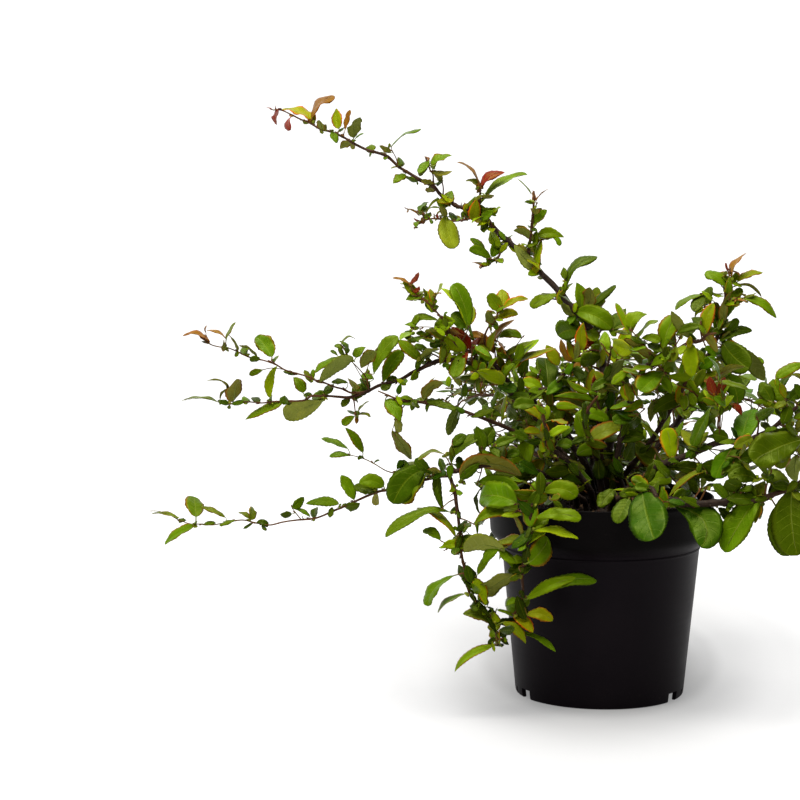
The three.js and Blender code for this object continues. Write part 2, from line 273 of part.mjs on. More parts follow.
      [[-115.1,-93,160.7,0.85],[-108.8,-97.4,160.3,0.68],[-101.4,-100.1,157.4,0.55]],
      [[-88.7,-74.6,202.1,0.89],[-92.5,-76.6,210,0.71],[-96.3,-80.1,215.8,0.55]],
      [[-120.1,-94.6,138.8,0.55],[-126.8,-94.6,141.5,0.55]],
      [[-91.4,-76,207.7,0.55],[-86.6,-79.5,218.3,0.55]],
      [[-120.3,-86.2,197.2,2.2],[-150.6,-82,188.4,1.8],[-182.2,-76,178.9,1.5],[-233.8,-66,155.1,1.1],[-273.2,-59,147.6,0.8],[-296.4,-55,150.8,0.7],[-322.6,-50,145.5,0.6],[-341.1,-46,145.4,0.55],[-348.2,-44,146.7,0.55],[-367.5,-41,154.4,0.55],[-377.9,-40,155,0.55]],
      [[-140.1,-83.5,191.4,0.9],[-174.4,-72,195.7,0.65],[-195.7,-64.6,205.3,0.55],[-206,-61.3,207.2,0.55]],
      [[-246.4,-63.8,152.7,0.61],[-253.7,-65.9,163.2,0.55]],
      [[-120.9,-86.1,197,0.87],[-121.7,-89.1,204.3,0.7],[-124.6,-92.2,210.5,0.55]],
      [[-120.9,-86.1,197,0.55],[-120.6,-80.8,220.5,0.55]],
      [[-50.3,-55.7,192.9,0.75],[-54.4,-58.9,190.6,0.55]],
      [[-82.3,-103,64.1,0.55],[-81,-99.4,65.7,0.55]],
      [[-148.5,-82.3,189,0.68],[-150.6,-74.7,187.7,0.55]],
      [[-21,-32.7,174.4,0.7],[-28.5,-37.4,177,0.55]],
    ],
    [
      [-117.9,-85.3,197.6,-120.6,-84.4,204.1,-116,-81.9,216.4,-98.9,-78.8,225.6,13.1,-0.36,-0.74,0.56],
      [-106,-81,199.8,-106.3,-77.6,205.8,-96.5,-77.2,209.6,-86.8,-77.6,209.6,8,-0.06,-0.95,0.29],
      [-111,-86.6,190.9,-113.8,-86.6,193.5,-92.9,-81.3,204.9,-64,-76,192.9,18.9,-0.14,0.71,0.68],
      [-115.8,-92.1,166.6,-121.3,-92.4,165.7,-146.7,-98.3,164.1,-172.1,-105.1,145.8,13.1,-0.18,-0.56,0.81],
      [-115.1,-95.4,141.5,-116.5,-95.5,145.7,-129.7,-91.7,162.1,-149.3,-87.8,169.2,10.2,0.44,-0.46,0.77],
      [-101.6,-100,157.5,-101.8,-98.7,156.9,-85,-94.4,168.1,-65.7,-90.8,169.8,16.1,-0.02,-0.82,0.57],
      [-99.3,-81.5,189.2,-99.5,-78.6,188.5,-82.3,-79.1,187.3,-66.1,-80.6,177,15.9,0.1,-0.89,0.44],
      [-126.6,-94.6,141.4,-128.9,-94.7,142.8,-135.5,-92.6,148.8,-144.2,-90.1,150.4,9.3,0.15,-0.67,0.73],
      [-108.8,-98.6,117.8,-117.1,-101.4,115.5,-132.9,-104,104.5,-137.4,-106.1,90.8,14.6,-0.64,-0.46,0.61],
      [-107.3,-99.4,110.6,-102.1,-98.9,112.1,-95.6,-102.1,105.2,-91.2,-105.4,92,10.3,0.4,-0.79,0.47],
      [-107.8,-99.1,112.8,-98.3,-99.2,116,-91.3,-97.1,129.1,-80.6,-94.5,140.7,8.1,-0.46,-0.75,0.47],
      [-104.3,-100.4,101.3,-108.7,-100.6,100.4,-120.9,-102.6,94.9,-131.3,-104.6,85.9,12.4,-0.47,-0.33,0.82],
      [-86.1,-103,76.2,-86.5,-102.8,76.8,-96.4,-104.7,84.4,-109.9,-107,85.8,12.1,0.37,-0.63,0.68],
      [-81.7,-103,62.3,-85.3,-103.3,59,-105.5,-107.2,50.8,-117.1,-110.4,38.3,9.9,-0.32,-0.63,0.71],
      [-85.1,-103,73,-78.1,-103.7,78.2,-66.5,-106.6,73,-58.7,-109.8,62.3,10.3,0.27,-0.75,0.61],
      [-132.5,-84.5,193.6,-131.6,-83.5,196.5,-131.5,-86.6,182,-125.9,-90.3,164.5,8.1,-0.26,-0.95,0.16],
      [-137,-83.9,192.3,-139.2,-81,199,-156.1,-85.9,191.3,-167.7,-91.5,171.5,23.5,-0.03,-0.92,0.39],
      [-138.9,-83.6,191.8,-139.8,-83.7,195.3,-153.7,-86.3,184.8,-163.8,-89.3,172.9,19.8,-0.36,-0.73,0.57],
      [-124.6,-92.2,210.4,-125.8,-92.1,212.6,-137.3,-94.3,214.7,-147.1,-96.7,207.9,10.6,-0.18,-0.17,0.97],
      [-195.9,-64.5,205.3,-194.8,-65.4,209.5,-200.9,-63.6,220.5,-210.1,-61.4,229.6,8.7,0.43,-0.77,0.48],
      [-205.8,-61.4,207.2,-207.8,-59.5,211.9,-219.1,-57.6,217.1,-230.7,-55.5,220.3,7.8,0.22,-0.51,0.83],
      [-353.9,-43.1,149,-353.5,-43.1,149.9,-365.9,-40.5,153.5,-378.4,-37.6,152.9,6.7,0.04,-0.34,0.94],
      [-337.5,-46.8,145.4,-337.6,-46.8,144.7,-351.7,-48.8,138.3,-363.2,-51.2,128.1,9.9,-0.28,-0.73,0.62],
      [-310.6,-52.3,147.9,-311.3,-51.5,151.8,-322.2,-49.6,158.1,-333.9,-47.4,161.8,6.5,0.28,-0.49,0.83],
      [-212.9,-70,164.7,-214.1,-71.3,167.8,-227.5,-68.7,169.5,-242.1,-65.6,166.6,9.3,-0.19,-0.81,0.56],
      [-200.9,-72.4,170.3,-201.5,-72.5,171.5,-206.2,-70.1,182,-212.8,-67.4,191.4,10.9,0.36,-0.83,0.42],
      [-175.8,-77.2,180.8,-176.2,-78.4,183.4,-186.1,-80,188.6,-196.4,-81.8,186.1,13.3,0.2,-0.88,0.43],
      [-54.4,-58.8,190.6,-55.6,-58.8,190.7,-71.1,-60.3,192,-86.3,-57.4,194.5,18.5,0.03,-0.91,0.4],
      [-81.1,-99.7,65.6,-79.3,-98.2,65.6,-69.3,-88.8,67.7,-58.2,-80.8,65,13.9,-0.04,0.07,1],
      [-150.3,-75.7,187.9,-151.6,-71.9,189.8,-157.5,-60.2,196,-160.2,-46.8,200.9,16.1,-0.23,-0.49,0.84],
      [-27.8,-37,176.8,-29.4,-39.7,176,-36.7,-52.1,173.7,-43.5,-64,169.1,16.6,-0.23,-0.14,0.96],
    ],
  ],
  ["cane_centre_front",
    [[-6,-30,137,3.58],[-6,-30,161.4,3.58],[-6.9,-34.2,169.4,3.29],[-8.9,-44,178.2,3],[-21.3,-54,196,2.8],[-40.8,-64,215.2,2.2],[-44.8,-67,222.1,1.8],[-44,-69,228.9,1.5],[-48.9,-73,252.2,0.6]],
    [
    ],
    [
      [-41.8,-64.7,216.9,-45.6,-65.2,214.5,-45.8,-63.7,225.9,-47.5,-62,236.3,8.1,0.37,-0.91,0.17],
      [-44.6,-67.6,224.1,-42.4,-67.6,223.8,-35.7,-65.5,229.8,-24.7,-63.1,232.5,7.8,-0.09,-0.8,0.6],
      [-18.7,-51.9,192.3,-13.1,-53.2,196.8,-27,-56.9,201.5,-40.8,-61.3,202.5,9.9,-0.12,0.8,0.58],
      [-12.3,-46.7,183,-7.3,-46.5,186.8,-20.4,-50.1,191,-33.5,-54.2,195.9,16.1,0.38,-0.84,0.38],
      [-24.2,-55.5,198.9,-25.3,-55.4,197.8,-34.6,-56.5,194.7,-45.7,-58.1,194.6,12.5,0.16,-0.96,-0.22],
    ],
  ],
  ["cane_centre_up",
    [[2,-10,137,3.81],[2,-10,161.4,3.81],[-0.8,-6,181.3,3.1],[-3.4,-12,199,2.8],[-6,-18,209.8,2.5],[-12.7,-28,226.1,1.9],[-14.4,-31,234.7,1.6],[-11.2,-33,243.3,1.3],[-3.1,-35,255.2,0.7]],
    [
      [[-0.8,-6.1,181.7,1.86],[0.5,-7.4,228.6,1.49],[-8.2,-1.1,261.9,1.02]],
      [[-0.5,-6.7,232.5,0.67],[-11.7,-2.3,233.9,0.55]],
    ],
    [
      [-9.5,-23.2,218.2,-13.5,-24.2,216.4,-16.6,-22.5,228.3,-20.4,-20.5,239.4,13.3,0.3,-0.92,0.24],
      [-8.8,-22.2,216.6,-9.4,-22.4,216.2,3.8,-17.6,225,19.6,-11.8,229.6,17.4,-0.06,-0.72,0.7],
      [0.2,-7.2,229.8,6.3,-8.4,231.6,-8.2,-10.2,237.5,-22.9,-12.2,236.7,11.5,0.19,-0.9,0.39],
      [-0.1,-6.8,205.1,1.5,-6.7,205.1,-9.8,-9.1,208,-20.2,-12,203,12.5,0.16,-0.86,0.48],
      [-11.5,-2.4,233.9,-14.4,-1.9,231.5,-27.6,-0.7,223,-36.4,2.1,210,13.5,-0.65,0.11,0.75],
    ],
  ],
  ["cane_right_front",
    [[14,-20,137,4.26],[14,-20,161.4,4.26],[14.1,-24.6,169.9,3.88],[15.9,-35.6,171.5,3.5],[31.8,-48,187.6,3.2],[47.1,-56,200.4,3],[93,-70,221.5,2.6],[117.5,-75,224.8,2.3],[126.8,-77,229.2,2.2],[141.5,-80,239.4,1.9],[147.5,-82,246.9,1.7],[171.1,-88,265.4,0.8]],
    [
      [[94.6,-70.3,221.7,1.1],[93.6,-69.5,236.9,0.87],[95.1,-69,246.6,0.72],[91.8,-68.1,261.1,0.55]],
      [[148.2,-82.2,247.4,0.78],[146.4,-83.6,257.5,0.55]],
      [[139.9,-79.7,238.3,0.79],[149.9,-84.6,236,0.55]],
      [[110,-73.5,223.8,0.79],[115.3,-73.9,214.9,0.55]],
      [[71.6,-63.5,211.7,0.79],[75.6,-67.1,209.1,0.63],[79.7,-68.5,204.9,0.55]],
      [[56,-58.7,204.5,0.8],[56.6,-56,215.3,0.55]],
      [[94.6,-70.3,221.7,0.66],[95.2,-78.7,250.8,0.55],[95.3,-89,272,0.55]],
      [[124.5,-76.5,228.1,0.86],[124.7,-81.2,242.6,0.55]],
      [[94.6,-70.3,221.7,0.55],[97.7,-66.9,252.9,0.55],[92.6,-62.9,275.2,0.55]],
      [[46.8,-55.8,200.1,0.92],[59.3,-57.6,189.2,0.55]],
      [[97,-67.7,245.4,0.55],[101.8,-66,250.2,0.55],[108.9,-64.8,252.8,0.55]],
      [[139.9,-79.7,238.3,0.55],[148.4,-77,237.2,0.55],[158.6,-75.8,233.4,0.55]],
      [[148.2,-82.2,247.4,0.55],[142.4,-83.6,253.8,0.55],[134.5,-84.8,257.5,0.55]],
      [[72,-63.8,211.4,0.55],[77.5,-69.7,206.8,0.55],[84.4,-74.1,199.2,0.55]],
      [[139.9,-79.7,238.3,0.55],[149.5,-76.4,228,0.55],[157.8,-70.8,212.6,0.55]],
      [[110.1,-73.5,223.6,0.55],[105.4,-81.5,206.9,0.55]],
      [[139.9,-79.7,238.3,0.55],[150.7,-84.5,234.5,0.55],[159.3,-87.1,226.8,0.55]],
      [[110.1,-73.5,223.6,0.55],[102,-80,214.4,0.55],[96.6,-84.4,199.9,0.55]],
      [[148.2,-82.2,247.4,0.55],[144.8,-86.5,264,0.55],[137.8,-89.6,275.6,0.55]],
      [[80.2,-71.5,203.8,0.55],[78.7,-71.3,197.6,0.55]],
    ],
    [
      [92.7,-63,274.7,92.6,-62.9,275.2,103.7,-61.3,281.1,115.9,-59.4,282.3,10.5,-0.31,0.69,0.65],
      [108.7,-64.9,252.7,108.9,-64.8,252.8,107.4,-62.8,264.7,100,-60.5,275,15.6,0.15,-0.96,0.25],
      [95.3,-88.8,271.6,93.5,-89,273.3,103.9,-91.1,271.2,117,-92.8,268.1,7.7,0.11,-0.5,0.86],
      [114.3,-74.4,224.4,114.3,-74.5,223.9,116.1,-62.5,236.2,122.8,-48.6,247.9,22.1,-0.25,-0.61,0.75],
      [94.2,-68.7,250.6,88.1,-70.5,251.3,79.8,-73.7,235.2,72.7,-76.9,219.9,14.4,-0.66,-0.6,0.45],
      [94.4,-69.3,241.6,92.8,-69.1,244.2,84.7,-69.2,239.1,77.6,-69.4,229.3,10.8,-0.49,-0.7,0.52],
      [56.1,-58.4,205.6,57.4,-58.8,206,56,-56.8,219.2,53.1,-54.8,231.8,16.2,0.39,-0.9,0.21],
      [56.6,-56.1,215.1,56.7,-54.5,215.1,61.2,-51.2,225.5,66.3,-47.7,237.4,7.8,-0.64,-0.61,0.47],
      [81,-66.3,216,80.4,-66.9,216.9,72.1,-60.5,224.2,64.6,-53.2,229.8,14.6,0.06,-0.65,0.76],
      [112.7,-73.7,219.3,112.1,-73.6,218.9,99.1,-76.1,208.7,92.2,-79.1,193.4,17.3,-0.18,-0.92,0.34],
      [159.1,-87.1,226.9,159.3,-87.1,226.8,139.4,-98.5,221.9,119.3,-111.6,212.6,28.6,0.28,-0.78,0.56],
      [146.5,-83.6,257.3,146.4,-83.6,257.5,139.6,-78.8,265.8,136.6,-73.2,274.1,13.9,-0.46,-0.85,0.26],
      [143.2,-83.4,253,142.4,-83.8,250.2,132.3,-82.3,256.5,120.7,-80.9,255,5,-0.11,-0.99,0.1],
      [148.9,-84.1,236.2,149.1,-84.1,236.7,146.4,-80.8,251.8,138.2,-77,259.2,8.9,0.39,-0.81,0.44],
      [137.9,-89.5,275.4,137.8,-89.6,275.6,148,-87.7,283.5,162.3,-85.6,287.4,10.9,-0.17,-0.78,0.6],
      [157.6,-70.9,212.9,157.8,-70.8,212.6,155.2,-67,201.1,158,-62.7,190.4,14.6,-0.5,0.81,0.29],
      [79.6,-68.5,205,80,-68.7,202.9,89.8,-70,202.3,98.5,-71.5,197,13.6,-0.05,-0.95,0.32],
      [50,-56.3,197.3,51.1,-56.5,198.9,71.6,-59.5,199.5,93.8,-62.9,192,13.4,-0.05,-0.88,0.47],
      [59.1,-57.6,189.4,59.4,-56.1,189,71,-56.9,195.4,85.9,-58.4,197.1,8.8,-0.1,0.83,0.55],
      [26.5,-43.9,182.3,31.6,-42.1,177.1,20.1,-40.6,178.3,8.7,-38.8,177.9,6.7,-0.02,-0.39,0.92],
      [115.2,-73.9,215.1,115.3,-73.9,214.9,125,-75.5,215.1,135,-77.3,212.4,11.1,-0.08,-0.84,0.54],
      [27.9,-44.9,183.6,32.5,-45.4,179.1,43,-42.8,187.6,58.7,-39.9,188.6,15.9,0.01,-0.88,0.47],
      [84.2,-74,199.3,84.4,-74.1,199.2,68.7,-77.3,194.6,53.9,-81,179.4,8.4,-0.42,-0.43,0.8],
      [78.8,-71.3,198.1,78.5,-68.5,195.4,75.3,-59.4,185.3,76.8,-48.6,176.7,11,-0.45,-0.65,-0.62],
    ],
  ],
  ["cane_right_leafy",
    [[33,8,137,3.36],[33,8,161.4,3.36],[29.2,8,170.5,3.03],[20.2,8,183,2.7],[39.2,2,209.5,2.4],[52.1,-4,232.4,2.1],[65.7,-13,255.3,1.5],[71.1,-18,269.2,0.9]],
    [
      [[68.4,-15.5,262.3,0.9],[74.6,-16.6,258.2,0.72],[83.7,-17.6,247.6,0.55]],
      [[34.4,3.5,202.8,0.8],[29.2,6.5,213.1,0.55]],
      [[52.7,-4.4,233.3,0.9],[49.2,-9.4,242.3,0.72],[44.3,-12.6,248.3,0.55]],
      [[52.7,-4.4,233.3,0.55],[49.5,-6.2,246.7,0.55],[46,-6.1,256.1,0.55]],
      [[45.5,-11.8,246.8,0.55],[46.9,-8.1,257.6,0.55]],
    ],
    [
      [31.2,5.4,209.2,30.9,8.1,208.2,29.8,10.8,218.7,29.2,13.4,230.4,12.6,-0.23,-0.95,0.21],
      [29.3,6.5,212.9,26.9,6.2,212.3,39.3,-0.5,201.8,52.8,-7.4,191.5,18.2,0.06,-0.8,0.6],
      [64.3,-12.1,253,66.5,-12.1,251.3,55.8,-14,248.8,42.6,-16.6,240,13.7,0.06,-0.97,0.25],
      [46.8,-8.5,256.6,45.1,-6.9,257.1,35.8,3.1,262.3,24.1,11.8,263.1,12.7,0.05,-0.27,0.96],
    ],
  ],
  ["cane_front_pot",
    [[-12,-42,137,3.81],[-12,-42,161.4,3.81],[-13.5,-48,169.4,3.45],[-16.9,-62,174.9,3.1],[-33,-76,184.9,2.9],[-44.9,-86,187.8,2.7],[-52.7,-94,179.9,2.6],[-55.7,-100,169.4,2.5],[-56.3,-103,158.5,2.4],[-57.8,-104,147.3,2.2],[-62.5,-103,117,1.8],[-61.6,-102,103,1.6],[-65.7,-100,89.4,1],[-68.9,-100,84.5,0.7]],
    [
      [[-64.3,-100.7,94.1,0.72],[-60.3,-102.6,90.3,0.58],[-58.3,-103.7,84.6,0.55]],
      [[-53.7,-96.1,176.2,0.85],[-61.1,-100.2,176.6,0.68],[-66.8,-103.1,174.6,0.55]],
      [[-53.7,-96.1,176.2,0.55],[-62,-100,173,0.55],[-70.8,-103.1,166.4,0.55]],
      [[-64.3,-100.7,94.1,0.55],[-62.1,-99.8,84.1,0.55],[-62.5,-96.3,69.9,0.55]],
      [[-58.3,-103.9,144.2,1],[-68.3,-104.2,143.2,0.8],[-77.8,-105,139.1,0.55]],
    ],
    [
      [-66.7,-103.1,174.6,-66.8,-103.1,174.6,-82.5,-92.4,179.5,-99.4,-80,176.4,24.4,-0.48,-0.71,0.51],
      [-77.6,-105,139.1,-76.3,-105.2,136.5,-92.6,-108.2,142,-110,-111.9,140.1,19.3,-0.12,0.88,0.46],
      [-62.5,-96.3,70.1,-64.2,-96.5,68.8,-48,-99.6,64.6,-34.7,-103.4,54.9,6.5,0.24,-0.57,0.78],
      [-62.2,-103.1,118.6,-66.4,-101.9,117.8,-81.2,-99.3,109.8,-95.2,-95.9,98.5,20.5,-0.29,0.7,0.65],
      [-60.9,-103.3,127.4,-57.4,-112.6,128.5,-48.1,-102,135.2,-41.3,-89.8,146,20.8,0.6,-0.71,0.38],
      [-59.1,-103.7,139.1,-59.9,-103.9,140.7,-51,-101.6,149.4,-43.8,-99.5,150.8,8.2,-0.22,-0.71,0.66],
      [-62.3,-101.7,100.6,-57.8,-100.2,99.2,-30.6,-94.1,111,-1.9,-86.9,111.9,15.3,-0.02,-0.65,0.76],
      [-63.2,-101.2,97.9,-58.3,-100.4,96.8,-39.2,-94,107.7,-17.6,-87.2,113.3,10.5,0.08,-0.87,0.49],
      [-58.3,-103.6,84.7,-58.3,-103.7,84.6,-47.1,-105.1,85.9,-37.3,-106.8,80.7,11.4,0,-0.77,0.64],
      [-68.8,-100,84.5,-69.7,-100,82.8,-60.4,-102.5,78.9,-53.3,-105.3,70.3,11.3,0.29,-0.68,0.67],
      [-62.3,-103,118.4,-62.9,-102.9,120.1,-72.7,-101.5,129.6,-83.5,-100,140.2,8,0.16,-0.94,0.3],
      [-52.8,-94.1,179.7,-55.9,-93.7,181.5,-50.9,-91,188.7,-44.1,-87.9,185.7,8.3,0.14,-0.76,0.64],
      [-49.8,-91,182.8,-48,-90.8,181.1,-33.2,-93,186.1,-19,-95.6,179.8,16.1,-0.12,-0.87,0.48],
      [-48.5,-89.7,184.2,-42.3,-90.6,178.7,-56.7,-93.4,179.2,-71.1,-96.5,184.1,13.4,0.15,-0.96,-0.24],
      [-54.6,-97.7,173.4,-51,-97.7,172.4,-55.7,-101.7,165.7,-55.4,-106.3,156.6,13.3,-0.2,-0.83,0.51],
      [-70.6,-103,166.6,-70.8,-103.1,166.4,-65.5,-101.2,158.2,-62,-99,147.2,5.5,0.46,0.81,0.38],
      [-56,-101.6,163.6,-53.3,-102.7,162.8,-34.7,-106.2,167.7,-15.2,-109.8,164.7,12.3,-0.17,-0.73,0.66],
      [-57.1,-103.5,152.9,-53.9,-103.9,153.8,-35,-107.7,153.5,-17.4,-111.5,148.2,11.7,0.03,-0.49,0.87],
    ],
  ],
  ["cane_right_low",
    [[26,-28,137,4.26],[26,-28,161.4,4.26],[26.7,-33.4,168.9,3.93],[25.1,-46.5,169.8,3.6],[40,-64.1,175.8,3.4],[54.1,-78,176.5,3.2],[65.1,-84,174.3,3.1],[88.7,-90,175.5,2.9],[126.6,-92,178.7,2.4],[146.2,-92,186.3,2],[157.7,-94,193.9,1.6],[174.3,-98,210.7,0.9]],
    [
      [[109.9,-91.1,177.3,0.9],[111.7,-91.2,185.3,0.72],[115.5,-89.2,191.1,0.55]],
      [[109.9,-91.1,177.5,0.55],[115.7,-89.5,187.3,0.55],[124.2,-88.2,194.3,0.55]],
    ],
    [
      [61.6,-82.1,175,58.9,-81.7,171.9,82.4,-93.7,161.4,80.3,-111.1,144.1,27,-0.09,-0.84,0.54],
      [64.2,-83.5,174.5,62.8,-83.4,169.3,72.6,-86,159.9,78.8,-89,147.7,6.7,0.69,-0.39,0.61],
      [125.8,-92,178.7,127.1,-91.6,181.3,113.1,-96,164.7,98.2,-101.7,137.9,24,-0.24,-0.89,0.4],
      [124.3,-91.9,178.5,124.2,-92,178.7,112.6,-94.4,180.1,100.2,-97.1,180.8,13,0.22,-0.81,0.54],
      [150.6,-92.8,189.1,151.7,-92.8,187.2,151,-102.2,162.8,154.8,-112.9,138.3,32.7,-0.3,-0.89,0.35],
      [134.3,-92,181.7,139.1,-91.3,174,142.7,-93.3,157.7,149.3,-96.8,134.4,22.8,-0.11,-0.99,0.11],
      [166.4,-96.1,202.7,166.8,-96,202.3,176.5,-91.3,197.6,188.3,-85.8,196.4,14.5,0.3,-0.86,-0.41],
      [161.7,-95,198,162.3,-94.9,197.3,171,-97.2,189.4,180.9,-99.8,183.8,13.4,-0.32,-0.94,-0.11],
      [149.7,-92.6,188.6,150.1,-92.7,188,139.2,-87,195.4,129.4,-80.5,200.6,16.5,0,-0.72,0.7],
      [124.1,-88.2,194.2,124.2,-88.2,194.3,112.6,-89.9,198.4,101.9,-91.9,194.5,15.4,0.15,-0.85,0.5],
    ],
  ],
  ["cane_front_pot2",
    [[8,-40,137,3.36],[8,-40,161.4,3.36],[10.8,-45.4,169.4,3.08],[17.3,-58,173.9,2.8],[29.9,-78,183.6,2.6],[39.2,-92,187.3,2.4],[43.1,-100,183.7,2.2],[44.6,-103,178.5,1.6]],
    [
    ],
    [
      [40,-93.7,186.5,32.8,-94.3,184.3,36.6,-112.6,168.6,42.7,-134,151.4,32.5,-0.33,-0.63,0.7],
      [21.4,-64.5,177,22.6,-88.8,177.7,17.5,-96,170.1,13.1,-104.3,160.5,15.2,-0.14,-0.7,0.71],
    ],
  ],
  ["cane_back_left",
    [[-22,34,137,3.19],[-22,34,161.4,3.19],[-42.7,66.7,195.5,2.45],[-64,94.1,218.5,2.11],[-69.1,103.4,224.9,2],[-76.5,114.3,229.1,1.88],[-90.8,132.4,235,1.66],[-101.1,150.8,236.2,1.43],[-112.9,170.5,234,1.2],[-122.8,185.7,230,0.98],[-133.2,206.3,221.5,0.64]],
    [
      [[-43.1,67.3,195.9,1.22],[-34.6,79.4,209.9,0.98],[-26.5,92,221.1,0.55]],
      [[-64.1,94.2,218.7,1.05],[-78.8,92,229.4,0.84],[-93.5,90,237.3,0.55]],
      [[-83.6,123.4,232.1,0.88],[-77.4,141,239.3,0.71],[-70.9,158.7,244.1,0.55]],
      [[-100.9,150.4,236.1,0.71],[-121.9,150.2,240.8,0.57],[-142.6,149.6,242.1,0.55]],
      [[-118,178.3,232,0.55],[-111.5,190.5,234.1,0.55],[-105.4,202.4,234,0.55]],
      [[-126,150.1,241.1,0.55],[-127.5,151.9,249.5,0.55]],
      [[-106.4,200.4,234,0.55],[-110.7,207.5,237,0.55]],
      [[-70.6,93.3,223.4,0.62],[-71.3,91,227.1,0.55]],
      [[-39.1,60.9,189.5,0.71],[-44.8,60.4,193.6,0.55]],
      [[-81.8,128.5,234.2,0.59],[-79.8,129,237.6,0.55]],
    ],
    [
      [-28.3,43.9,171.7,-25.2,48.1,173.4,-19.1,56.7,177.3,-12,66.7,174,8.5,-0.14,-0.2,0.97],
      [-32.1,49.9,178,-37,53.4,178.6,-49.4,54.3,182.2,-62.9,53.3,178.4,12.1,0.14,-0.18,0.97],
      [-36.9,57.5,185.9,-35.4,74,189.3,-33.7,78.4,201.5,-26.6,79.5,212.6,9.7,-0.91,-0.3,0.3],
      [-46.2,71.2,199.2,-48.6,67.7,202.7,-55.6,63.7,211.7,-66.6,59.3,216.5,9.3,0.56,0.13,0.82],
      [-51.9,78.5,205.4,-49.7,81.6,209,-45.2,89.1,219.6,-39,100.7,225.5,13.6,-0.25,-0.64,0.73],
      [-62.4,92,216.8,-62.8,91,222.5,-63.2,89.6,236.5,-67.7,80.4,248.8,12.1,0.46,0.87,0.18],
      [-67.9,101.2,223.4,-65.2,105.5,223.2,-56.3,119.8,224.7,-47,133.5,217.3,16.4,-0.04,0.08,1],
      [-72.3,108.2,226.8,-76,108,227.9,-89.4,107.4,233.5,-104.8,106.6,232.7,11.6,0.3,0.02,0.95],
      [-86,126.4,233.1,-88,129.5,230.1,-94.2,139.7,223.9,-97.2,147,211.5,10.5,-0.43,0.4,0.81],
      [-98.1,145.5,235.8,-96.2,148.1,237.5,-88,159.1,243.8,-78,173.1,238.7,14.6,-0.16,-0.25,0.95],
      [-102.9,153.7,235.8,-107.5,154.2,233.6,-122.7,155.5,229.3,-132.9,157.7,214.2,14.7,-0.42,-0.07,0.91],
      [-122.6,185.4,230.1,-126.5,185.9,231,-139.9,186.8,236.6,-154.9,188.9,235,11.7,0.22,-0.17,0.96],
      [-128.4,196.8,225.4,-127.3,200.4,228.6,-124.3,208,236.2,-119,219.5,237.2,8.6,-0.29,-0.49,0.82],
      [-132.9,205.7,221.8,-134.3,205.8,218.2,-139.4,206.9,205.4,-143.6,204.2,192.2,11.3,-0.21,0.97,0.09],
      [-39.6,72.2,201.7,-41.6,68.9,206.9,-45.5,68,219.2,-54.2,66.1,229.2,9.8,0.92,0.01,0.39],
      [-33,81.8,212.1,-35.4,83.5,214.1,-41.8,95.5,216.3,-48.9,107.5,215,11,0.18,0,0.98],
      [-78.2,92.1,229,-78.4,89.7,231.3,-78.9,81.8,241,-80,69.3,245.8,10.5,0.1,0.67,0.74],
      [-74.7,148.4,241.3,-71.1,149.7,241.2,-60.6,153.3,242.4,-50.3,157.2,238.9,11,0.06,-0.07,1],
      [-71.9,156.1,243.4,-74.8,158.8,244.4,-83.5,167,249.2,-93.1,176,249.5,10.3,0.2,-0.16,0.97],
      [-109.9,150.3,238.2,-111,151.9,241.2,-113.9,155.5,252.3,-120.7,162.6,260.4,10.5,0.64,-0.58,0.49],
      [-113.6,186.5,233.4,-114.3,188.6,232.8,-118.4,200.4,231,-123.4,209.3,220.5,10.9,0.11,0.32,0.94],
      [-110.1,193.1,234.1,-109.5,194.2,236.6,-107.8,197.6,247.1,-101.9,206,254.3,9.9,-0.57,-0.69,0.44],
      [-105.9,201.4,234,-103.4,201.3,232.6,-92.3,200.6,226.6,-83.5,199.4,216.8,11.6,0.51,0.11,0.85],
      [-127.4,151.8,248.7,-127.7,153.5,248.8,-128.9,167.1,252.1,-132.2,180.6,249.4,13.1,-0.05,-0.05,1],
      [-110.6,207.3,237,-110.3,207.4,239.2,-107.3,209.2,254.3,-103.9,206.2,269.2,12.5,-0.44,0.89,0.1],
      [-71.2,91.3,226.6,-68.7,88.9,227.2,-60.2,79.1,232.5,-49.6,69.8,232,14.9,-0.33,-0.08,0.94],
      [-44.1,60.4,193.1,-45,58.2,192,-51.1,40.9,188,-56.4,25.5,178.7,19,0.03,-0.42,0.91],
      [-80.1,128.9,237,-76,129.3,236.9,-61.6,129.1,237.8,-47.5,132.1,235.9,13.5,0.06,-0.33,0.94],
    ],
  ],
  ["cane_back_middle",
    [[-6,44,137,3.08],[-6,44,161.4,3.08],[-8.5,68.5,195.2,2.39],[-7.6,77.4,206.9,2.25],[-8.4,87,214.7,2.12],[-6.2,97.4,224.4,1.98],[-4.6,117.9,239.6,1.71],[-2.8,128.8,247,1.57],[6.3,157,261.9,1.16],[19.1,191.3,270.4,0.62]],
    [
      [[-7.6,77.6,207.1,1.13],[7,83.2,219.6,0.9],[21.7,88.9,228.9,0.55]],
      [[-5.4,108.1,232.4,0.92],[-20.1,117.4,247.4,0.74],[-34.2,126.6,258.9,0.55]],
      [[0.6,139.1,252.5,0.72],[13.9,143.4,267.6,0.57],[27.2,147.7,279.5,0.55]],
      [[9.8,166.4,264.2,0.55],[1,176.9,268.6,0.55],[-7.2,187.1,270.9,0.55]],
      [[7.3,83.3,219.7,0.63],[11.7,84,220.2,0.55]],
    ],
    [
      [-6.9,53.1,174,-12.1,53.1,177.2,-25.3,53.2,187.3,-41.8,52.4,191.8,15.8,0.5,0.14,0.85],
      [-8.5,68.8,195.6,-8.6,74.1,195.6,-9.2,85.5,196.5,-8.4,96.8,190.9,9.4,-0.21,-0.01,0.98],
      [-7.7,76.7,206,-9.8,75.1,209.4,-16.4,70.2,223.9,-27.5,61.2,233.6,13.8,0.58,0.53,0.62],
      [-8.2,83.9,212.2,-4,85.9,214.6,8.1,91.8,223.5,24.9,99.8,222.6,15.3,-0.43,-0.19,0.88],
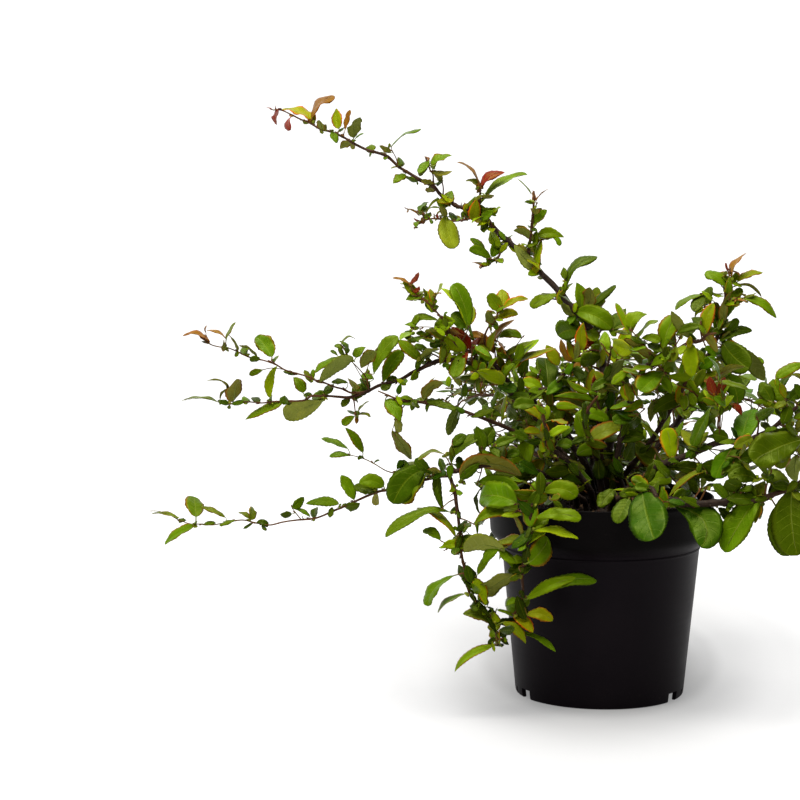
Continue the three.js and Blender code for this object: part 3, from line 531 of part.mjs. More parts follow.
      [-7.5,91.5,218.9,-10.8,95.1,218.9,-20.2,105.6,220.9,-29.8,115.9,215.1,13,0.01,0.02,1],
      [-5.2,110.6,234.2,-2.5,113.5,233.7,8,123.2,233.4,17.4,132.5,224.4,12.7,0.14,0.04,0.99],
      [-4.4,119.1,240.5,-7.4,120.7,243,-17.3,125.8,252.8,-30.4,133.5,257.1,11.4,0.48,-0.37,0.8],
      [-2.2,130.6,248,0,130.8,251,5.6,131.1,262,18.5,132.5,267.8,10.7,-0.8,-0.12,0.58],
      [5.3,153.7,260.2,3.3,154.3,264.2,-0.3,155.4,278.3,-13.1,159.4,288,12.1,0.87,-0.28,0.41],
      [9.3,165,263.9,12,165.4,264.3,26.1,166.4,268,41.1,167.4,266.7,11.4,-0.19,0,0.98],
      [16.1,183.2,268.4,16.9,183.9,271.2,20.7,184.6,285.4,25.2,191.5,298.3,12.2,-0.11,-0.97,0.19],
      [-1.1,80.1,212.6,1.6,78.9,212.8,12.1,74.6,214,22.7,70.3,212.5,10.6,-0.06,0.03,1],
      [6.2,82.8,218.8,6,85.2,220.2,5.2,96.9,228.6,4.4,110.7,233.6,14.4,0.02,-0.52,0.85],
      [12.4,85.3,223,13.1,83.3,226,15.2,78,237.2,18.9,68.3,245.1,11.7,-0.29,0.76,0.58],
      [-11.4,111.9,238.5,-11.5,111.4,242.6,-11,111.8,256.3,-11.3,106.1,269.4,12.1,0.12,0.99,0.1],
      [-22.4,118.9,249.3,-24,117.7,250.3,-34.3,110.7,257.5,-46.7,101,258.3,12.1,0.3,0.36,0.88],
      [-29,123.2,254.6,-28.1,124,256.4,-22.7,128.7,268.6,-15.8,135.3,279.1,13.5,-0.52,-0.66,0.55],
      [6.4,141,259.1,10.2,139.7,258.3,21.7,135.5,258,32.5,132.5,251.3,11.3,0.12,-0.2,0.97],
      [11.5,142.6,264.9,10.8,145.1,266.9,8,153.9,275.8,3.6,168,277.7,9.8,0.19,-0.6,0.78],
      [4.1,173.3,267.1,3.8,173.9,269,2.5,176.2,282.1,2.4,187.8,292.2,12.3,-0.12,-0.95,0.3],
      [-1.2,179.7,269.2,-1.2,183.4,267.3,-1.1,195.3,263.2,-1.6,205.2,254.8,9.6,0.12,0.44,0.89],
      [-6,185.6,270.5,-8,185.5,271.9,-16.4,184.8,279.3,-28.6,183.7,280.6,9.9,0.54,0.07,0.84],
      [11.5,84,220.2,12.7,85.1,219.2,23.8,93.5,213,30.9,102.2,202.6,14.1,0.72,-0.12,0.68],
    ],
  ],
  ["cane_back_right",
    [[24,38,137,3.19],[24,38,161.4,3.19],[34.4,54.6,181.5,2.67],[46.1,72.2,200,2.45],[61,91,215.4,2.22],[85,122,230.3,1.88],[93.7,130.9,232.2,1.77],[100.5,141.2,235,1.66],[115.8,158.4,235.1,1.43],[134.8,184.7,230.3,1.09],[150.8,206.2,220.1,0.64]],
    [
      [[45.8,71.9,199.7,1.22],[59.8,68.7,210.1,0.98],[73.5,65.2,217.4,0.55]],
      [[69.9,102.5,220.9,1.05],[65.4,112.8,230.1,0.84],[60.6,123.4,237,0.55]],
      [[93.5,130.7,232.1,0.88],[109.8,131.9,248.2,0.71],[125.8,132.9,260.6,0.55]],
      [[115.5,158.1,235.1,0.71],[109.9,176.9,241.8,0.57],[103.9,195.4,245.1,0.55]],
      [[135.1,185.1,230.1,0.55],[152.3,182.2,233.2,0.55],[169.8,179.8,233.2,0.55]],
      [[53.8,82,208,0.72],[61,83.7,209.2,0.55]],
      [[161.1,181,233.2,0.55],[162.5,178.7,234.9,0.55]],
    ],
    [
      [29.8,47.2,172.6,35.3,47.3,172.9,47.3,47.3,174.3,59.5,47,172,9.6,-0.07,0.06,1],
      [33.3,52.9,179.4,29.3,56.9,181.5,21.3,64.5,186.4,12.3,73.6,186.4,10,0.21,-0.27,0.94],
      [38.5,60.8,188,40,58.3,193.3,42.7,54.5,205,46.6,44.4,213.3,10.1,-0.15,0.87,0.46],
      [42.4,66.7,194.2,46.2,70.9,191.6,56.1,81.8,187.4,63.1,88.2,171.5,11.6,0.23,0.35,0.91],
      [46.9,73.3,200.9,44,75.8,205.7,38.6,80.5,218,27.1,90.2,223.8,12.3,0.6,-0.5,0.63],
      [54,82,208,58.6,79.8,210.7,69.6,74.3,219.5,82.5,67.9,225.1,12,-0.49,0.22,0.85],
      [59.7,89.4,214.1,59,95.5,213.4,57.6,108,212.9,55.4,120,207.9,10.9,0.17,0.11,0.98],
      [70.8,103.6,221.5,74.8,103.5,221,89.8,103.8,220.9,103.9,105.6,212.8,13,0.12,-0.17,0.98],
      [76.7,111.3,225.1,75.6,115.5,228.4,71.1,128.4,236.7,65,144.4,238.6,12.5,0.23,-0.42,0.88],
      [90.5,127.5,231.5,92.5,130.2,226.8,97.3,136.9,217.4,100.3,140,205,9.8,0.37,0.73,0.58],
      [97.9,137.2,233.9,97.2,138.7,236.9,95.5,143,248.8,91.7,150.8,258.5,9.7,0.46,-0.75,0.47],
      [104.7,145.9,235.1,109.1,145.5,236.3,124.2,144.3,240.1,141.3,144.9,234.2,15,-0.21,-0.18,0.96],
      [112,154.1,235.1,110.3,158.6,234.3,106,169.9,232.2,102.7,179.6,222,11.7,-0.11,0.21,0.97],
      [119.8,163.9,234.1,122,166.5,238.2,128.8,172.2,249.5,137.5,183.6,255.9,13.8,-0.26,-0.74,0.63],
      [134.4,184.1,230.4,134.1,189.2,232.1,132.5,203.1,238.8,129.5,220.8,234.9,14.4,0.12,-0.33,0.93],
      [145.5,199.1,223.5,143.8,201,221,139.4,206,211.8,138.5,207.6,199.4,8.8,-0.6,0.59,0.54],
      [53.2,70.2,205.2,53.5,72.7,209,54.5,78.8,221,56.6,89.1,230.3,11.8,-0.23,-0.82,0.52],
      [67.6,66.7,214.3,69.2,68.3,214,77.7,76.2,214,85.5,84,208.2,11.1,0.11,0.02,0.99],
      [62,120.3,235,60.9,120.1,237.8,56.8,119.1,251.5,43.3,120.2,261.6,11.4,0.91,-0.21,0.35],
      [100,131.2,238.6,100,129.4,240.5,99.4,121.4,251.7,98.3,105.2,254.9,12.3,0.04,0.72,0.69],
      [112.2,132,250.1,111.8,133,254,111.2,134.1,265.7,108.6,141.7,275.6,9.2,0.29,-0.93,0.25],
      [119.7,132.5,255.8,120.8,130.3,256.1,127.1,118.3,259.1,134.4,106.2,256.1,11.7,-0.17,0.02,0.99],
      [108,182.6,242.8,106.1,183.7,241.2,97.2,188.8,235,92.8,192.5,222.4,10.9,-0.57,0.17,0.8],
      [105.3,191.1,244.3,104.1,192.7,247.9,102,196.2,258.6,92.5,203.7,265,10.5,0.79,-0.42,0.45],
      [143.6,183.7,231.6,144.1,180.9,232.9,146.6,169.1,240.1,149.6,154,239.5,10.9,-0.06,0.39,0.92],
      [152.7,182.1,233.2,155.1,184.2,232,165.8,193.2,228.5,172.5,201.2,215.3,14.3,0.38,0.09,0.92],
      [160.8,181,233.2,162.3,180.7,237,165.9,179.1,249.1,175,180,259.2,12.2,-0.88,-0.37,0.31],
      [60.5,83.6,209.1,61.4,83.1,208.3,73.5,77.2,202.4,81.9,72.5,191.2,16.4,0.61,-0.05,0.79],
      [162.3,179,234.7,162,175.8,235.4,162.6,162.8,240,159.5,149.3,240.7,12,0.28,0.18,0.94],
    ],
  ],
  ["cane_back_droop",
    [[10,52,137,2.97],[10,52,161.4,2.97],[16.3,73.7,181.3,2.44],[18.8,82.7,185.2,2.35],[18.9,89.1,188.9,2.26],[23.8,112.5,186.4,2],[25,119.3,182.2,1.91],[27.3,132,169.8,1.73],[28.1,140.6,154.2,1.56],[30,142.4,144.2,1.47],[29.3,144.4,133,1.38],[31.2,148.8,96.1,1.03],[29.8,148,76.6,0.77],[27.7,147.9,70.3,0.68],[28.3,148.7,66.1,0.59]],
    [
      [[18.8,82.9,185.3,1.17],[30.1,87,195,0.94],[41.4,91.2,202.3,0.55]],
      [[22.2,104.9,187.3,1.04],[10,118.4,196.7,0.83],[-1.9,131.7,202.6,0.55]],
      [[26.1,125.2,176.4,0.91],[42.7,129.6,178.1,0.73],[58.5,134.5,177.4,0.55]],
      [[28.2,140.7,154,0.78],[13.9,149.1,155.8,0.62],[-0.3,157.5,154.7,0.55]],
      [[29.8,145.5,123.2,0.65],[44.8,134.3,126.1,0.55],[59.7,123.1,125.9,0.55]],
      [[54.7,126.8,126,0.55],[58.1,129.4,129.7,0.55]],
      [[28.9,141.4,150.2,0.75],[33.7,153.4,153.3,0.55]],
      [[48.1,131.8,126,0.55],[55.5,136,127.7,0.55]],
      [[18.8,87,187.7,0.67],[9.6,94.2,192.2,0.55]],
      [[1.5,156.5,154.8,0.55],[-0.6,155.4,156.5,0.55]],
      [[-0.6,130.3,202,0.55],[-11,129.4,204.8,0.55]],
      [[8.6,152.2,155.4,0.55],[9.4,157.2,155.9,0.6],[10.9,161.9,158,0.55]],
      [[29.7,142.1,146.2,0.66],[27,147.8,146.7,0.55]],
    ],
    [
      [13.3,63.2,171.7,9.5,66.6,172.5,-2.3,77.4,175.8,-14.5,90,170,15.8,0.03,-0.2,0.98],
      [16.2,73.1,180.8,17.1,75.2,185.7,18.7,75.3,196.7,22.3,73.4,207.2,10.4,-0.81,0.54,0.24],
      [19.5,92.1,188.6,15.8,95.8,191.2,7.5,104.1,198,-2.2,114.4,199.9,13.2,0.27,-0.36,0.89],
      [22.1,104.2,187.3,24.5,105.8,189.6,36.1,112,198.5,49.9,121.2,201.9,13,-0.33,-0.45,0.83],
      [24.2,114.8,185,22.8,115.4,181.9,14.4,118.7,168.7,17,117.9,149.6,12.4,-0.83,0.32,0.45],
      [25.5,122,179.5,26.4,127.1,179.8,28.1,139.8,182.6,27.9,153.5,176.2,10.6,0.19,-0.1,0.98],
      [27,129.9,171.8,31,130.9,169.2,43.8,134.5,161.7,52.9,137.7,148.5,14,0.54,0.07,0.84],
      [27.7,136.2,162.3,25.3,136.6,160.1,11.3,143.3,153.2,1,148.5,139.7,13.9,-0.47,0.19,0.86],
      [28.9,141.4,150,32.2,142.8,149,45.7,149.3,146.9,58.5,153.8,139.5,14.8,0.13,0.34,0.93],
      [29.6,143.4,138.3,29,140.7,136.3,26.6,130.8,130.8,25.1,123.3,121.6,10,-0.21,-0.54,0.81],
      [29.6,145.2,125.9,28.8,148.5,124.7,25.8,159.8,121.1,23.6,169.2,111.7,9.6,-0.13,0.31,0.94],
      [30.3,146.7,113.7,34.4,144.7,111.6,48.6,138,105.5,58.3,133.3,90.4,15.3,0.44,-0.2,0.87],
      [30.7,147.8,104.7,26.3,146,102.1,12.6,143.2,96.7,3.7,140.9,82.6,14.8,-0.48,-0.05,0.87],
      [30.9,148.7,92.5,32.2,150.2,90.6,38.3,158.3,83.8,42.7,162.5,72.4,9.3,0.28,0.62,0.73],
      [30.3,148.3,83.4,30.3,146.3,82.2,31.9,134,77.4,33.5,125.1,66.7,12.6,0.01,-0.5,0.87],
      [25.3,85.2,190.9,25.5,83.5,195.4,25.9,79.9,208.3,27.3,68.6,218.4,11.9,-0.12,0.93,0.35],
      [31.5,87.5,195.9,35.1,87.9,194.5,46.7,89,191.5,56.1,90.6,183.2,10.9,0.38,-0.11,0.92],
      [35.3,127.7,177.3,35.7,130.2,178.4,36.7,141.2,185.5,37.4,154.9,186.6,10.1,0.04,-0.41,0.91],
      [52.5,132.7,177.6,53.6,133.5,175.7,60.8,138.3,166.4,60.1,142,152,12.4,0.84,0.12,0.54],
      [12.8,149.7,155.7,12.3,153.7,154.4,10.9,167.4,152.2,9.1,178.4,141.9,12.9,0.05,0.31,0.95],
      [4.8,154.4,155.1,2.9,153.3,155.6,-8.1,147.2,159.6,-20.2,139.8,156.4,10.1,0.15,0.16,0.98],
      [36.9,140.2,124.6,37.4,139.6,126.6,39.8,137.8,138.9,44,129.6,149,11.2,-0.27,0.91,0.31],
      [58.1,129.3,129.6,61.9,129.1,129.3,80.8,127.8,128.4,99.3,126.7,123.4,16,0.11,0.01,0.99],
      [33.6,153.2,153.3,33.3,154,154.7,32,159.2,167.6,26.2,165.6,178.6,12.5,0.84,-0.38,0.39],
      [54.8,135.6,127.6,57.1,137.7,125.8,68,149.6,120,78.5,157.2,108.8,15.1,0.48,0.21,0.85],
      [9.8,94.1,192.1,6.2,94,193.9,-10.7,95.1,204.4,-29.3,91.2,210.8,18.3,0.39,0.37,0.84],
      [-0.3,155.5,156.3,-3.8,156.7,155,-16.5,159.7,150.8,-28,165.1,145.6,14.5,-0.42,-0.38,0.82],
      [-9.5,129.5,204.4,-10.9,131,203.4,-21.5,141.4,196.8,-30.8,152.8,189.6,13.8,-0.77,-0.4,0.5],
      [10.4,160.3,157.3,10.6,161.3,158.8,12.3,173.2,173.7,13,189.1,184.7,19.7,-0.09,-0.71,0.7],
      [27.2,147.4,146.7,28.2,150,145.8,32.6,162.5,142.4,38,174,137.3,15.5,-0.5,0.44,0.74],
    ],
  ],
  ["cane_back_droop_left",
    [[-30,22,137,2.86],[-30,22,161.4,2.86],[-52,54.3,191.1,2.19],[-58.8,63.8,194.7,2.09],[-66.5,83.6,192.4,1.89],[-70.1,92,189.6,1.79],[-74.1,107,180.9,1.59],[-76.3,119,165.4,1.38],[-74,130.3,138.2,1.08],[-73,134.8,113.6,0.77],[-69.8,138.4,100.3,0.57]],
    [
      [[-52.1,54.5,191.1,1.1],[-43.9,69.2,203.4,0.88],[-35.8,84,212.4,0.55]],
      [[-66.5,83.8,192.4,0.95],[-83.3,87.2,203.7,0.76],[-100.2,90.9,211.7,0.55]],
      [[-74,106.7,181.1,0.79],[-56.6,118.9,187.7,0.63],[-39.1,130.8,191,0.55]],
      [[-75.7,122,158.2,0.64],[-94.5,130.5,158.2,0.55],[-113.6,139.4,154.9,0.55]],
      [[-73.6,131.8,129.9,0.55],[-52.2,132.6,122.2,0.55],[-30.5,134.1,110.9,0.55]],
      [[-73.1,103.4,183,0.87],[-80.2,103.2,179.2,0.61]],
      [[-34.1,133.9,112.8,0.55],[-32.1,130.5,116.8,0.55]],
      [[-73.3,133.2,122.3,0.67],[-84.3,130.7,123.4,0.55]],
      [[-45,133.1,118.4,0.55],[-44.6,135.7,119.6,0.55]],
      [[-51.3,122.4,188.7,0.55],[-52.2,130.3,190.4,0.55]],
      [[-74.6,109.6,177.5,0.85],[-75.4,118.4,182.9,0.74],[-76.9,126.2,190,0.59]],
      [[-46.1,126,189.7,0.55],[-43.7,126.2,196.8,0.55]],
      [[-62.1,132.3,125.7,0.55],[-60.3,140.5,130.5,0.55]],
      [[-74.9,126,148.5,0.55],[-79.8,126,148,0.55]],
      [[-75.4,123.6,154.3,0.55],[-86.1,120.8,152.5,0.55]],
      [[-48.6,132.8,120.3,0.55],[-46.5,139.1,125.2,0.55]],
    ],
    [
      [-37,32.3,170.8,-38.4,30.5,175.9,-40.8,27.7,187.8,-48.5,19.9,196.3,10.3,0.64,0.63,0.43],
      [-42.3,40.1,178,-40.2,37,180.9,-34.5,41.9,188.4,-27.9,47.8,189.3,11.7,-0.19,-0.46,0.87],
      [-52.1,54.5,191.1,-51,54.2,195.1,-48.9,54,207.9,-41.6,55.3,219.7,11.6,-0.94,-0.28,0.2],
      [-58,62.7,194.3,-57.3,66.6,192.2,-54.3,81.5,185.6,-51.9,93.6,173.6,15,0.09,0.47,0.88],
      [-66.3,83.2,192.5,-64.6,85.4,194.6,-59.2,92.4,201.9,-53.1,101.3,206.6,9.6,-0.22,-0.57,0.79],
      [-75.1,124.9,151.1,-72.6,128.8,151.5,-63.8,142.5,153.6,-54.2,156,151.8,13.2,-0.2,0.06,0.98],
      [-73.7,131.6,131,-75.6,134.5,129.5,-80.4,145.4,127,-84.4,153.1,115.7,12,-0.1,0.34,0.94],
      [-73.3,133.3,121.7,-70.7,132.8,120.1,-57.5,129.4,115.4,-47.8,128.1,103.3,11,0.41,-0.25,0.88],
      [-72.3,135.6,110.8,-73.6,135.4,109.1,-85,134.9,100.6,-91.1,136.3,86.8,13.3,-0.69,-0.24,0.68],
      [-69.8,138.3,100.6,-68.9,141.5,99.6,-64.4,156.1,95.7,-62.1,168.9,84.4,12,0.27,0.23,0.94],
      [-48.6,60.7,196.3,-44.2,61.5,196.4,-30.4,64.2,198.2,-16.9,67.1,189.4,12.4,0.03,-0.02,1],
      [-44.7,67.8,202.2,-46.3,69.7,203.1,-53.9,75.4,209.8,-63,82.3,212.5,11.9,0.28,-0.3,0.91],
      [-41.2,74.2,206.4,-38.9,73.5,209.2,-33.4,70.7,220.6,-23.8,66,229.4,13,-0.78,0.36,0.52],
      [-96.8,90.1,210.1,-97.4,91.1,213.1,-99.2,92.6,224.3,-104.2,100.6,233.6,9.2,0.42,-0.87,0.25],
      [-61.3,115.6,185.9,-61.6,119.1,187.8,-62.4,129,193.9,-63.8,140.3,197.5,10.9,0.18,-0.46,0.87],
      [-83.5,125.5,158.2,-83.2,129.8,157.2,-82.1,143.5,155.3,-81.1,156.1,147.4,11.7,0.02,0.18,0.98],
      [-90.3,128.6,158.2,-93.5,125.6,158.8,-102.1,117.4,162,-111.1,108.5,160,11.8,0.05,0.16,0.99],
      [-107,136.3,156,-107.9,137.1,153,-112.9,140.7,141.7,-108.8,143.2,127.2,10.2,-0.94,0.11,0.33],
      [-65.4,132.1,126.9,-63.2,134.5,127.6,-54.7,144.6,132.8,-46.1,158,127.5,12.1,0,-0.29,0.96],
      [-80.1,103.2,179.3,-82.1,99.6,180.3,-90.1,87.3,184.9,-95.8,73.3,187.9,18.3,-0.71,0.52,0.47],
      [-32.2,130.6,116.7,-30.6,130.4,119.4,-23.9,127.3,134.4,-12.9,130.2,147.2,18.2,-0.53,-0.8,0.28],
      [-84.1,130.7,123.4,-86.2,129.8,121,-95.8,125.6,111.4,-102.8,122.4,99.2,11.7,-0.67,-0.32,0.67],
      [-44.7,135.4,119.5,-42.2,137.5,118.6,-31.9,149.3,115.4,-19.2,157.5,110,19.3,-0.01,0.39,0.92],
      [-52.1,129.4,190.2,-53.7,130.6,189.3,-66.3,137.7,185.5,-75.1,146.6,177,17.3,-0.34,0.21,0.92],
      [-52.1,129,190.1,-52,131.9,192.4,-50.2,142.5,203,-51.5,155.4,210.9,18.2,0.94,-0.24,0.26],
      [-76.4,123.4,187.4,-77.5,124.6,190.8,-78.9,130,204,-85.4,136.2,215.3,15.7,0.89,-0.25,0.38],
      [-43.9,126.2,196.1,-42.8,126.1,196.8,-29.6,123.2,206.2,-14.9,122.8,213.4,17.8,-0.51,0.01,0.86],
      [-60.4,139.7,130,-61.2,141.3,129.9,-68.6,155.4,130.8,-74.8,169.5,126.6,18.2,0.41,0.28,0.87],
      [-79.7,126,148,-83.1,125.7,145,-97.9,125.2,135.3,-108.2,123.4,120.6,21,-0.65,-0.16,0.74],
      [-85.9,120.9,152.5,-88.8,120,149.3,-100.9,116.6,137.3,-108.8,113.7,121.8,15.3,-0.75,-0.16,0.64],
      [-85.4,121,152.6,-86,119.9,153.5,-93.3,110,160.9,-96.8,99,169.7,17,-0.62,0.68,0.39],
      [-46.5,139,125.1,-43.3,138.9,127.7,-29.3,140.2,142.1,-11.1,135.9,150.4,17.8,-0.55,0.36,0.75],
      [-46.8,138.1,124.4,-45.4,139,124.7,-32.7,145.7,130,-20.7,155.2,130,18.1,-0.22,0,0.98],
    ],
  ],
];

const wasm = await Module();
wasm.setup();
const { Manifold, Mesh } = wasm;

// A closed geometry as a solid, with its corners merged and its faces pointing outwards.
function solidOf(geometry) {
  geometry.deleteAttribute("normal");
  geometry.deleteAttribute("uv");
  const merged = mergeVertices(geometry, 1e-4),
    index = merged.index.array,
    make = (turned) => {
      const t = [];
      for (let i = 0; i < index.length; i += 3) {
        const [a, b, c] = index.subarray(i, i + 3);
        if (a !== b && b !== c && c !== a) t.push(a, turned ? c : b, turned ? b : c);
      }
      return new Manifold(
        new Mesh({
          numProp: 3,
          vertProperties: merged.attributes.position.array,
          triVerts: new Uint32Array(t),
        }),
      );
    };
  const made = make(false);
  return made.volume() < 0 ? make(true) : made;
}

// A closed solid from corner points and triangles.
function faceted(points, triangles) {
  const geometry = new THREE.BufferGeometry();
  geometry.setAttribute("position", new THREE.Float32BufferAttribute(points.flat(), 3));
  geometry.setIndex(triangles.flat());
  return solidOf(geometry);
}

// A solid of revolution about Z from an outline [radius, z].
function turned(outline) {
  const profile = outline.map(([r, z]) => new THREE.Vector2(r, z));
  return solidOf(new THREE.LatheGeometry(profile, ROUND_STEPS).rotateX(Math.PI / 2));
}

// An upright cylinder whose flats lie at the stated radius.
function post(x, y, low, high, radius, sides) {
  const geometry = new THREE.CylinderGeometry(radius, radius, high - low, sides)
    .rotateX(Math.PI / 2)
    .translate(x, y, (low + high) / 2);
  return solidOf(geometry);
}

// Joins a list of solids pairwise, so that no single body grows slowly.
function join(list) {
  while (list.length > 1) {
    const next = [];
    for (let i = 0; i < list.length; i += 2)
      next.push(i + 1 < list.length ? list[i].add(list[i + 1]) : list[i]);
    list = next;
  }
  return list[0];
}

// A stem: a tube through its centre points with a radius at each.
function stem(line) {
  const P = line.map(([x, y, z]) => new THREE.Vector3(x, y, z));
  const thick = Math.max(...line.map((p) => p[3]));
  const k = thick > 2.4 ? 6 : thick > 1.4 ? 5 : thick > 0.95 ? 4 : 3;
  const points = [],
    triangles = [];
  let last = null;
  for (let i = 0; i < P.length; i++) {
    const t = new THREE.Vector3();
    if (i > 0) t.add(P[i].clone().sub(P[i - 1]).normalize());
    if (i < P.length - 1) t.add(P[i + 1].clone().sub(P[i]).normalize());
    t.normalize();
    const u = last
      ? last.clone()
      : Math.abs(t.z) < 0.9
        ? new THREE.Vector3(0, 0, 1)
        : new THREE.Vector3(1, 0, 0);
    u.addScaledVector(t, -u.dot(t)).normalize();
    last = u;
    const v = t.clone().cross(u);
    for (let j = 0; j < k; j++) {
      const a = (j / k) * 2 * Math.PI,
        r = line[i][3];
      const q = P[i]
        .clone()
        .addScaledVector(u, Math.cos(a) * r)
        .addScaledVector(v, Math.sin(a) * r);
      points.push([q.x, q.y, q.z]);
    }
  }
  for (let i = 0; i < P.length - 1; i++)
    for (let j = 0; j < k; j++) {
      const a = i * k + j,
        b = i * k + ((j + 1) % k);
      triangles.push([a, b, a + k], [b, b + k, a + k]);
    }
  const o = (P.length - 1) * k;
  for (let j = 1; j < k - 1; j++) triangles.push([0, j + 1, j], [o, o + j, o + j + 1]);
  return faceted(points, triangles);
}

// A leaf: a thin folded blade that starts as a point inside its stem.
function leaf(v) {
  const at3 = (i) => new THREE.Vector3(v[i], v[i + 1], v[i + 2]);
  const S = at3(0),
    Q = at3(3),
    M = at3(6),
    T = at3(9),
    width = v[12],
    N = at3(13);
  const C = M.clone().multiplyScalar(2).addScaledVector(Q, -0.5).addScaledVector(T, -0.5);
  const at = (s) =>
    Q.clone()
      .multiplyScalar((1 - s) ** 2)
      .addScaledVector(C, 2 * s * (1 - s))
      .addScaledVector(T, s * s);
  const along = (s) =>
    C.clone()
      .sub(Q)
      .multiplyScalar(2 * (1 - s))
      .addScaledVector(T.clone().sub(C), 2 * s)
      .normalize();
  const sections =
    width > LEAF_TWO_SECTIONS
      ? [
          [0.34, 0.8],
          [0.7, 0.9],
        ]
      : [[0.55, 1]];
  const points = [[S.x, S.y, S.z]],
    triangles = [];
  for (const [s, w] of sections) {
    const p = at(s),
      t = along(s),
      n = N.clone().addScaledVector(t, -N.dot(t)).normalize(),
      e = t.clone().cross(n);
    const half = (width * w) / 2,
      rise = LEAF_FOLD * width * w;
    for (const [a, b] of [
      [-half, rise],
      [0, -LEAF_HALF_THICKNESS],
      [half, rise],
      [0, LEAF_HALF_THICKNESS],
    ]) {
      const q = p.clone().addScaledVector(e, a).addScaledVector(n, b);
      points.push([q.x, q.y, q.z]);
    }
  }
  points.push([T.x, T.y, T.z]);
  const k = sections.length,
    end = points.length - 1;
  for (let j = 0; j < 4; j++) {
    const a = 1 + j,
      b = 1 + ((j + 1) % 4);
    triangles.push([0, b, a]);
    for (let i = 0; i < k - 1; i++) {
      const o = 4 * i;
      triangles.push([a + o, b + o, a + o + 4], [b + o, b + o + 4, a + o + 4]);
    }
    const o = 4 * (k - 1);
    triangles.push([end, a + o, b + o]);
  }
  return faceted(points, triangles);
}

// ---- the pot: collar, sloping step, tapered wall, floor, and a foot skirt with gaps ----
const taper = (WALL_LOW_RADIUS - STEP_LOW_RADIUS) / (WALL_LOW_Z - STEP_LOW_Z);
const outside = [
  [RIM_RADIUS - 0.5, POT_HEIGHT],
  [RIM_RADIUS, POT_HEIGHT - 1],
  [COLLAR_LOW_RADIUS, COLLAR_LOW_Z],
  [COLLAR_LOW_RADIUS - 1.6, COLLAR_LOW_Z - 3.4],
  [COLLAR_LOW_RADIUS - 5, COLLAR_LOW_Z - 7.4],
  [STEP_LOW_RADIUS + 1.4, STEP_LOW_Z + 3.2],
  [STEP_LOW_RADIUS, STEP_LOW_Z],
  [WALL_LOW_RADIUS, WALL_LOW_Z],
];
const inside = [
  [WALL_LOW_RADIUS + taper * (FLOOR_Z - WALL_LOW_Z) - WALL, FLOOR_Z],
  [STEP_LOW_RADIUS - WALL, STEP_LOW_Z],
  [STEP_LOW_RADIUS + 1.4 - WALL * 0.9, STEP_LOW_Z + 4.2],
  [COLLAR_LOW_RADIUS - 5 - WALL * 0.8, COLLAR_LOW_Z - 6.4],
  [COLLAR_LOW_RADIUS - WALL, COLLAR_LOW_Z],
  [RIM_RADIUS - WALL, POT_HEIGHT],
];
const shell = turned([[0, FLOOR_Z], ...inside, ...outside, [0, WALL_LOW_Z]]);
const ring = [
  [FOOT_RADIUS, 0],
  [WALL_LOW_RADIUS - 0.9, 1.6],
  [WALL_LOW_RADIUS - 0.2, WALL_LOW_Z + 0.8],
  [WALL_LOW_RADIUS - WALL - 1.4, WALL_LOW_Z + 0.8],
  [FOOT_INNER, 0],
];
let foot = turned([...ring, ring[0]]);
const gaps = [
  ...NOTCH_ANGLES.map((centre) => [centre, NOTCH_WIDTH, NOTCH_HEIGHT]),
  ...SLIT_ANGLES.map((centre) => [centre, SLIT_WIDTH, SLIT_HEIGHT]),
];
for (const [centre, width, height] of gaps) {
  const a = THREE.MathUtils.degToRad(centre - width / 2),
    b = THREE.MathUtils.degToRad(centre + width / 2);
  const sector = new THREE.Shape([
    new THREE.Vector2(Math.cos(a) * 55, Math.sin(a) * 55),
    new THREE.Vector2(Math.cos(a) * 90, Math.sin(a) * 90),
    new THREE.Vector2(Math.cos(b) * 90, Math.sin(b) * 90),
    new THREE.Vector2(Math.cos(b) * 55, Math.sin(b) * 55),
  ]);
  const notch = new THREE.ExtrudeGeometry(sector, {
    depth: height + 1,
    bevelEnabled: false,
  }).translate(0, 0, -1);
  foot = foot.subtract(solidOf(notch));
}
const pad = turned([
  [0, 0],
  [PAD_RADIUS, 0],
  [PAD_RADIUS + 1.5, WALL_LOW_Z + 0.8],
  [0, WALL_LOW_Z + 0.8],
]);
let pot = shell.add(foot).add(pad);
for (let i = 0; i < DRAIN_HOLES; i++) {
  const a = ((i + 0.5) / DRAIN_HOLES) * 2 * Math.PI;
  pot = pot.subtract(
    post(Math.cos(a) * DRAIN_RING, Math.sin(a) * DRAIN_RING, 8, 15, DRAIN_RADIUS, 10),
  );
}

// ---- the soil: fills the pot to a little under its rim, with a socket round each cane ----
const collar = (z) =>
  COLLAR_LOW_RADIUS +
  ((RIM_RADIUS - COLLAR_LOW_RADIUS) * (z - COLLAR_LOW_Z)) / (POT_HEIGHT - COLLAR_LOW_Z) -
  WALL;
let soil = turned([
  [0, SOIL_CROWN_Z],
  [48, SOIL_CROWN_Z - 0.5],
  [collar(SOIL_RIM_Z) - SOIL_GAP, SOIL_RIM_Z],
  [COLLAR_LOW_RADIUS - WALL - SOIL_GAP, COLLAR_LOW_Z + 0.4],
  [COLLAR_LOW_RADIUS - 5 - WALL * 0.8 - SOIL_GAP, COLLAR_LOW_Z - 5.6],
  [STEP_LOW_RADIUS - WALL - SOIL_GAP, STEP_LOW_Z + 2.4],
  [WALL_LOW_RADIUS + taper * 2 - WALL - SOIL_GAP, FLOOR_Z + SOIL_GAP],
  [0, FLOOR_Z + SOIL_GAP],
]);
for (const [, line] of CANES) {
  const [x, y, low, radius] = line[0];
  soil = soil.subtract(
    post(x, y, low - SOIL_GAP, POT_HEIGHT, (radius + SOIL_GAP) / Math.cos(Math.PI / 6), 6),
  );
}

